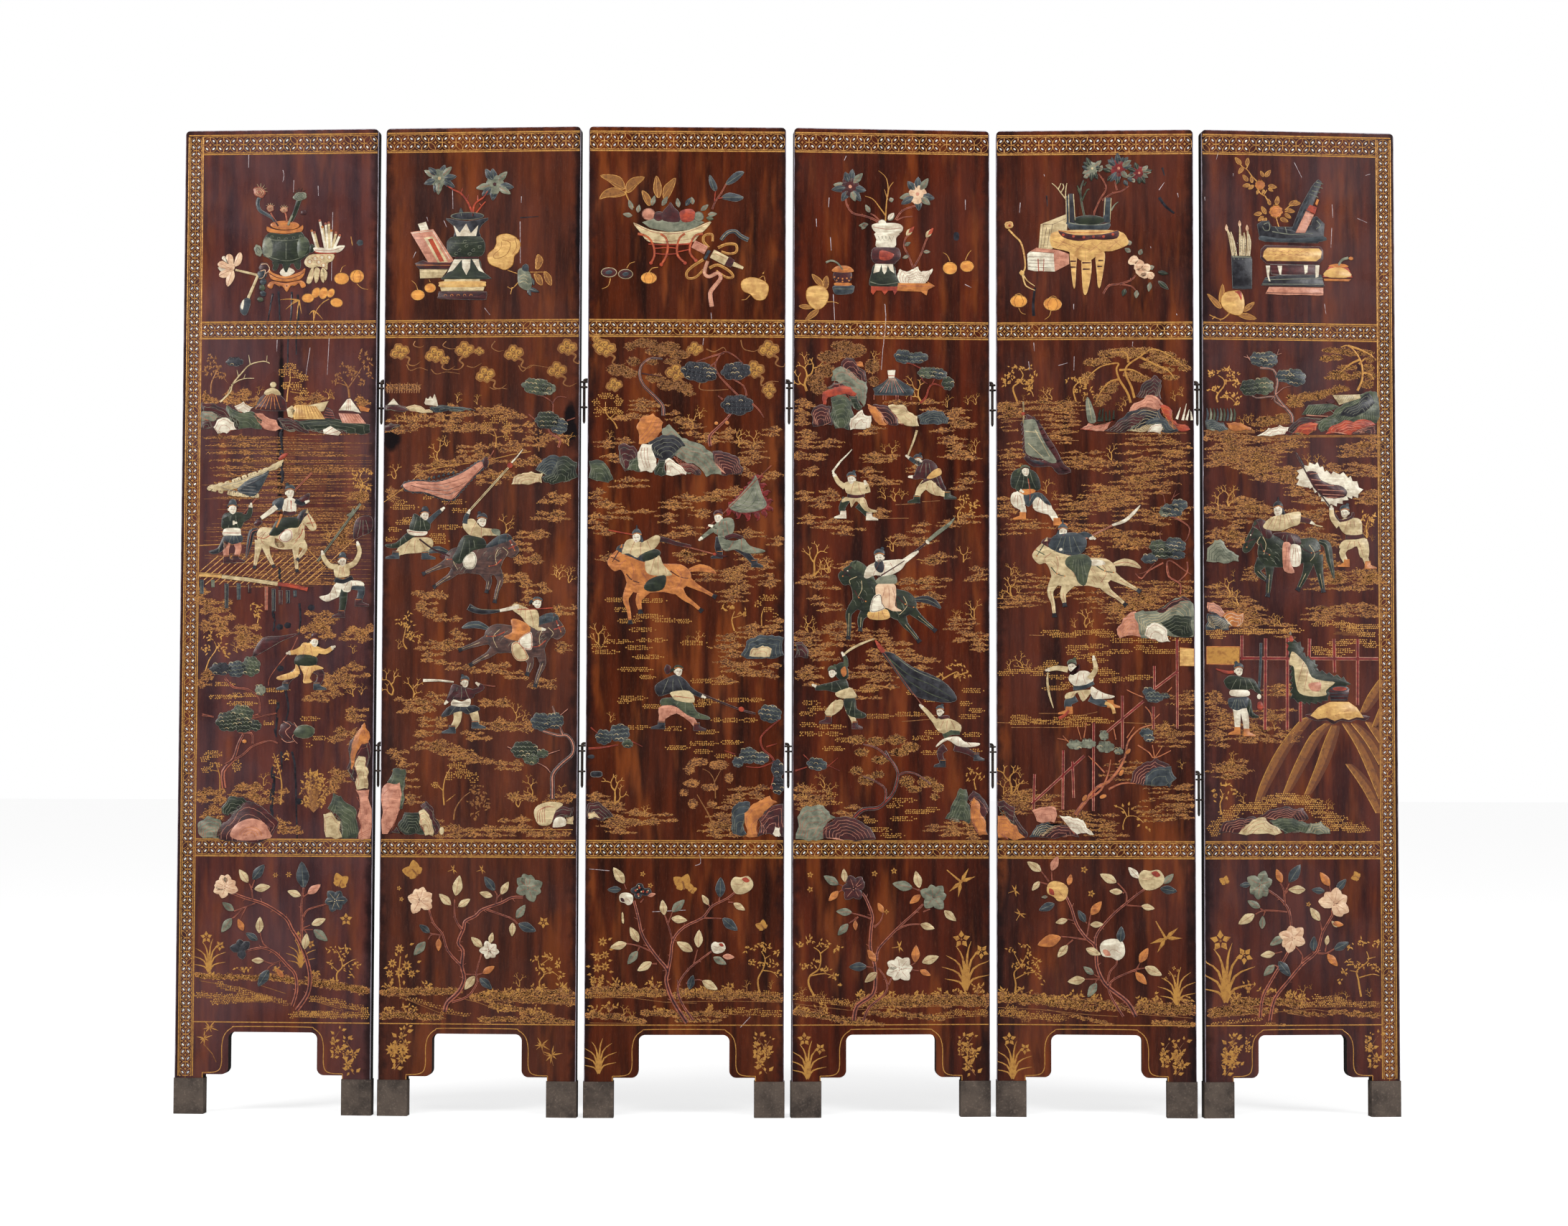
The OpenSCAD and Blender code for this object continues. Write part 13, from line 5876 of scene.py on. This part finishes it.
def lower_gilt_4(plane: LeafPlane) -> None:
    """Gilds leaf 4's lower gilt."""
    gilt = Gilding(plane, "lower_gilt_4", 149)
    undergrowth(
        gilt,
        [
            (Mark.DOT, (5, 222), (125, 204), 7), (Mark.TICK, (125, 208), (360, 208), 9),
            (Mark.TICK, (132, 215), (361, 218), 8), (Mark.TICK, (9, 191), (138, 173), 8),
            (Mark.TICK, (138, 191), (275, 180), 6), (Mark.DOT, (268, 185), (360, 191), 8),
            (Mark.TICK, (104, 172), (166, 170), 4)
        ]
    )
    for spot in (
        (132, 215), (156, 211), (186, 211), (234, 211), (275, 218), (309, 218), (343, 225), (19, 187),
        (50, 191), (186, 184)
    ):
        gilt.bush(*spot, 28, 16)
    gilt.tree(
        Mark.LEAF,
        [
            [(41, 222), (31, 242), (33, 259), (50, 273), (52, 300), (40, 311)],
            [(34, 259), (60, 263), (81, 256)], [(52, 300), (67, 311)]
        ],
        [
            ((19, 314), 8, 6), ((36, 324), 12, 6), ((57, 318), 12, 6), ((81, 311), 10, 6), ((19, 276), 10, 6),
            ((40, 280), 12, 6), ((60, 273), 12, 6), ((77, 259), 8, 7), ((84, 246), 5, 6)
        ],
        4
    )
    for spot, high, lean in (((19, 225), 16, 0), ((60, 218), 16, 0.6)):
        gilt.shrub(*spot, high, lean)
    gilt.orchid(321, 232, 98)
    for spot, turn in (((33, 444), 10), ((33, 417), 40), ((152, 446), 80), ((188, 451), 20)):
        gilt.flower(*spot, 6, 5, turn)
    gilt.dragonfly(312, 431, 34, -40)
    gilt.dragonfly(198, 312, 14, 10)
    gilt.flower(174, 376, 5, 4)
    for run in ([(5, 208), (104, 196), (173, 199), (360, 206)], [(9, 204), (70, 191)]):
        gilt.stroke(Tint.DULL, run, 1.1)
    gilt.orchid(29, 71, 76, True)
    gilt.sprig(339, 76, 66, -1)
    gilt.sprig(324, 108, 38)
    gilt.sprig(309, 112, 36)
    gilt.build("front_lacquer")


# The lowest field of leaf 5.


def camellia_5(plane: LeafPlane) -> None:
    """Cuts leaf 5's camellia."""
    work = Camellia(plane, "camellia_5", 150)
    work.stems(
        (
            7.4,
            [
                (255, 185), (239, 212), (208, 236), (195, 250), (184, 277), (181, 312), (164, 329),
                (147, 353), (137, 384), (126, 408)
            ]
        ),
        (5, [(183, 295), (181, 325), (191, 346), (216, 374), (236, 391), (257, 408), (274, 420)]),
        (4, [(232, 185), (215, 212), (205, 236), (215, 253), (250, 269), (257, 272)]),
        (3.4, [(203, 246), (208, 267), (220, 281), (219, 295)]), (2.4, [(166, 325), (140, 329), (118, 331)]),
        (2, [(140, 325), (128, 315)]), (2.2, [(166, 332), (171, 363), (173, 372)]),
        (1.8, [(166, 356), (163, 358)]), (2.2, [(143, 360), (130, 363)]),
        (2.4, [(238, 391), (238, 411), (222, 430)]), (1.8, [(234, 411), (231, 413)]),
        (2, [(238, 389), (267, 387)]), (2, [(195, 252), (178, 262)]), (2, [(188, 253), (162, 253)]),
        (1.8, [(184, 253), (181, 246)]), (2.4, [(96, 432), (82, 451)]), (2.2, [(102, 434), (101, 451)]),
        (2, [(94, 427), (78, 431)]), (2, [(257, 272), (263, 284)]), (2, [(257, 272), (272, 274)]),
        (1.8, [(255, 270), (257, 265)])
    )
    work.foliage(
        Tint.BONE, ((82, 451), (56, 468)), ((79, 432), (65, 415)), ((130, 362), (108, 356)),
        ((172, 353), (196, 354)), ((130, 315), (112, 293)), ((220, 431), (190, 446)),
        ((231, 413), (207, 415)), ((266, 388), (290, 383)), ((164, 309), (191, 298)),
        ((162, 253), (130, 248)), ((272, 276), (303, 261))
    )
    work.foliage(
        Tint.SAGE, ((178, 262), (159, 276)), ((183, 246), (167, 220)), ((94, 404), (82, 403)),
        ((307, 429), (325, 447))
    )
    work.foliage(
        Tint.APRICOT, ((173, 371), (193, 396)), ((118, 330), (75, 315)), ((262, 284), (278, 311)),
        ((255, 266), (275, 244)), ((132, 425), (137, 446))
    )
    work.foliage(
        Tint.SLATE, ((106, 391), (78, 379)), ((163, 358), (150, 379)), ((227, 320), (229, 350)),
        ((301, 420), (331, 415))
    )
    work.foliage(Tint.ROSE, ((101, 452), (113, 479)))
    work.foliage(Tint.IVORY, ((261, 439), (242, 459)))
    work.bud(Tint.HONEY, 112, 415, 20, 150)
    work.bud(Tint.BONE, 284, 437, 23, 8)
    work.bud(Tint.IVORY, 213, 308, 23, 170, Tint.ROSE)
    work.build("inlay_stone", "panel_5_inlays")


def lower_gilt_5(plane: LeafPlane) -> None:
    """Gilds leaf 5's lower gilt."""
    gilt = Gilding(plane, "lower_gilt_5", 151)
    undergrowth(
        gilt,
        [
            (Mark.TICK, (2, 216), (112, 209), 9), (Mark.TICK, (2, 222), (105, 216), 8),
            (Mark.TICK, (105, 205), (229, 198), 8), (Mark.TICK, (105, 212), (215, 209), 8),
            (Mark.TICK, (250, 198), (359, 195), 9), (Mark.TICK, (267, 209), (359, 202), 8),
            (Mark.DOT, (6, 190), (122, 181), 8), (Mark.DOT, (26, 195), (54, 181), 8),
            (Mark.TICK, (140, 185), (208, 171), 4), (Mark.TICK, (291, 174), (359, 171), 6)
        ]
    )
    for spot in (
        (9, 219), (47, 222), (85, 212), (119, 212), (147, 216), (181, 212), (267, 205), (291, 212), (346, 209)
    ):
        gilt.bush(*spot, 28, 15)
    gilt.tree(
        Mark.LEAF,
        [
            [(33, 226), (35, 243), (32, 264), (44, 277), (54, 295)], [(35, 253), (57, 264), (75, 264)],
            [(44, 277), (33, 298)]
        ],
        [
            ((27, 305), 9, 5), ((51, 312), 9, 6), ((61, 298), 9, 6), ((75, 288), 8, 8), ((33, 277), 8, 6),
            ((51, 281), 9, 6), ((71, 267), 9, 6), ((81, 250), 5, 8), ((57, 270), 8, 5)
        ],
        3.4
    )
    gilt.orchid(330, 207, 76, False)
    for spot, r in (((318, 264), 4), ((325, 274), 4), ((310, 255), 4), ((327, 260), 3), ((332, 270), 3)):
        gilt.flower(*spot, r, 4, r * 20)
    for spot in ((161, 454), (174, 410)):
        gilt.flower(*spot, 7, 5)
    for spot, turn in (((34, 415), 20), ((43, 372), 60)):
        gilt.dragonfly(*spot, 14, turn)
    gilt.dragonfly(310, 329, 36, -60)
    for run in (
        [(2, 200), (78, 197), (167, 188), (222, 185)], [(92, 197), (181, 178), (208, 169)],
        [(250, 190), (359, 183)]
    ):
        gilt.stroke(Tint.DULL, run, 1.1)
    gilt.orchid(29, 70, 76, True)
    gilt.sprig(327, 78, 60)
    gilt.sprig(304, 92, 46)
    gilt.sprig(339, 92, 44, -1)
    gilt.flower(306, 112, 10, 5)
    gilt.flower(327, 114, 10, 5)
    gilt.build("front_lacquer")


# The lowest field of leaf 6.


def camellia_6(plane: LeafPlane) -> None:
    """Cuts leaf 6's camellia."""
    work = Camellia(plane, "camellia_6", 152)
    work.stems(
        (
            5.4,
            [
                (103, 183), (108, 221), (127, 256), (144, 283), (158, 308), (162, 339), (159, 377),
                (142, 401), (118, 418)
            ]
        ),
        (6, [(121, 176), (130, 217), (155, 249), (182, 280), (210, 304), (221, 339), (239, 370), (239, 380)]),
        (3.4, [(150, 389), (149, 415), (142, 431)]), (2.2, [(150, 411), (159, 429)]),
        (1.8, [(152, 411), (157, 418)]), (2.4, [(155, 377), (114, 380), (95, 373)]),
        (2, [(110, 379), (104, 384)]), (1.8, [(114, 380), (110, 370)]),
        (2.2, [(221, 339), (218, 353), (216, 359)]), (1.8, [(238, 361), (240, 356)]),
        (2.2, [(237, 411), (235, 425)]), (2, [(239, 411), (248, 418)]),
        (2.4, [(212, 301), (228, 301), (243, 309)]), (1.8, [(226, 304), (228, 316)]),
        (1.8, [(231, 302), (233, 297)]), (2.2, [(179, 276), (183, 297), (169, 314)]),
        (2, [(182, 287), (200, 301)]), (2, [(145, 304), (131, 301)]), (1.8, [(137, 276), (130, 280)]),
        (1.8, [(203, 301), (203, 308)])
    )
    work.foliage(
        Tint.SAGE, ((104, 385), (80, 398)), ((148, 332), (122, 316)), ((130, 280), (110, 260)),
        ((107, 346), (109, 370))
    )
    work.foliage(
        Tint.BONE, ((93, 373), (63, 355)), ((131, 301), (104, 297)), ((189, 418), (157, 418)),
        ((216, 361), (198, 385)), ((228, 316), (231, 334)), ((249, 349), (238, 360))
    )
    work.foliage(
        Tint.APRICOT, ((145, 431), (135, 456)), ((235, 425), (217, 450)), ((230, 299), (249, 277)),
        ((239, 356), (261, 353))
    )
    work.foliage(
        Tint.SLATE, ((159, 432), (180, 464)), ((86, 428), (66, 426)), ((248, 417), (266, 437)),
        ((225, 415), (201, 418)), ((243, 308), (270, 321)), ((203, 305), (205, 332)), ((138, 286), (160, 259))
    )
    work.petals(Tint.SAGE, 104, 427, 25, (70, 20, 150, 220, 260, 300), Tint.BARK)
    work.petals(Tint.BLUSH, 244, 392, 28, (170, 130, 80, 30, -30, -60), Tint.BARK)
    work.petals(Tint.BLUSH, 165, 328, 25, (45, 100, 160, 215, 250, -20), Tint.BARK)
    work.build("inlay_stone", "panel_6_inlays")


def lower_gilt_6(plane: LeafPlane) -> None:
    """Gilds leaf 6's lower gilt."""
    gilt = Gilding(plane, "lower_gilt_6", 153)
    undergrowth(
        gilt,
        [
            (Mark.TICK, (16, 190), (126, 193), 8), (Mark.TICK, (57, 214), (182, 207), 8),
            (Mark.TICK, (16, 197), (113, 214), 8), (Mark.DOT, (185, 207), (324, 207), 7),
            (Mark.DOT, (210, 217), (251, 217), 7), (Mark.DOT, (16, 172), (106, 181), 4),
            (Mark.TICK, (237, 193), (324, 186), 6), (Mark.TICK, (154, 193), (223, 186), 4),
            (Mark.DOT, (116, 172), (147, 169), 3)
        ]
    )
    for spot in ((82, 231), (116, 224), (154, 217), (64, 214), (175, 210)):
        gilt.bush(*spot, 30, 16)
    gilt.orchid(39, 212, 118)
    gilt.tree(
        Mark.LEAF,
        [
            [(293, 221), (288, 252), (286, 269), (307, 287), (304, 304)],
            [(290, 256), (314, 262), (328, 259)], [(288, 266), (272, 269)], [(305, 290), (321, 294)]
        ],
        [
            ((276, 311), 9, 6), ((297, 321), 12, 6), ((318, 318), 10, 6), ((259, 266), 6, 8),
            ((272, 283), 10, 5), ((290, 280), 10, 6), ((314, 280), 10, 5), ((324, 273), 7, 6),
            ((251, 252), 5, 5)
        ],
        3.6
    )
    for spot, high in (
        ((187, 221), 24), ((199, 235), 10), ((249, 214), 18), ((265, 217), 18), ((310, 221), 18)
    ):
        gilt.shrub(*spot, high, 0.2)
    gilt.butterfly(39, 432, 13, 20)
    gilt.butterfly(288, 441, 13, 60)
    gilt.flower(195, 391, 5, 5)
    for run in ([(12, 184), (99, 191), (203, 198), (327, 181)], [(154, 191), (199, 184)]):
        gilt.stroke(Tint.DULL, run, 1.1)
    gilt.sprig(36, 77, 66)
    gilt.sprig(63, 93, 52, -1)
    gilt.sprig(50, 113, 36)
    gilt.sprig(77, 120, 28)
    gilt.flower(45, 110, 16, 9)
    gilt.sprig(309, 89, 60)
    gilt.sprig(302, 120, 30)
    gilt.build("front_lacquer")


# ---------------------------------------------------------------- all leaves

# Each leaf's motifs, in the order in which they are laid.
PICTURES = {
    1: (
        censer_1, incense_cup_1, lotus_1, gilt_fruit_1, far_trees_1, shore_1, water_1, bannerman_1, rider_1,
        spearman_1, garden_gilt_1, bridge_1, yellow_soldier_1, pines_1, rocks_1, runs_1, camellia_1,
        lower_gilt_1
    ),
    2: (
        vase_2, book_2, bird_2, clouds_2, far_bank_2, shore_2, bannerman_2, rider_2a, rider_2b, swordsman_2,
        garden_gilt_2, pine_2, rocks_2, camellia_2, lower_gilt_2
    ),
    3: (
        fruit_bowl_3, bowl_stand_3, scroll_3, sprays_3, gilt_fruit_3, clouds_3, far_bank_3, trees_3, island_3,
        bearer_3, rider_3, spearman_3, garden_gilt_3, pines_3, rocks_3, camellia_3, lower_gilt_3, chips_3
    ),
    4: (
        rose_vase_4, rock_tray_4, box_4, gilt_fruit_4, far_bank_4, peak_4, pavilion_4, swordsman_4a,
        swordsman_4b, rider_4, green_soldier_4, banner_4, garden_gilt_4, gold_tree_4, rocks_4, camellia_4,
        lower_gilt_4
    ),
    5: (
        basin_5, spray_5, sceptre_5, far_bank_5, isle_5, banner_5, rider_5, swordsman_5, garden_gilt_5,
        rail_5, pine_5, right_pines_5, rocks_5, camellia_5, lower_gilt_5
    ),
    6: (
        scholar_tray_6, brush_pot_6, peony_6, far_bank_6, house_6, flag_6, rider_6, guard_6, garden_gilt_6,
        camp_rail_6, camp_flag_6, tent_top_6, rocks_6, camellia_6, lower_gilt_6
    ),
}


def main() -> None:
    """Builds the studio and the screen."""
    bpy.context.scene.view_settings.view_transform = "Standard"
    Studio().build()
    Screen().build()


if __name__ == "__main__":
    main()
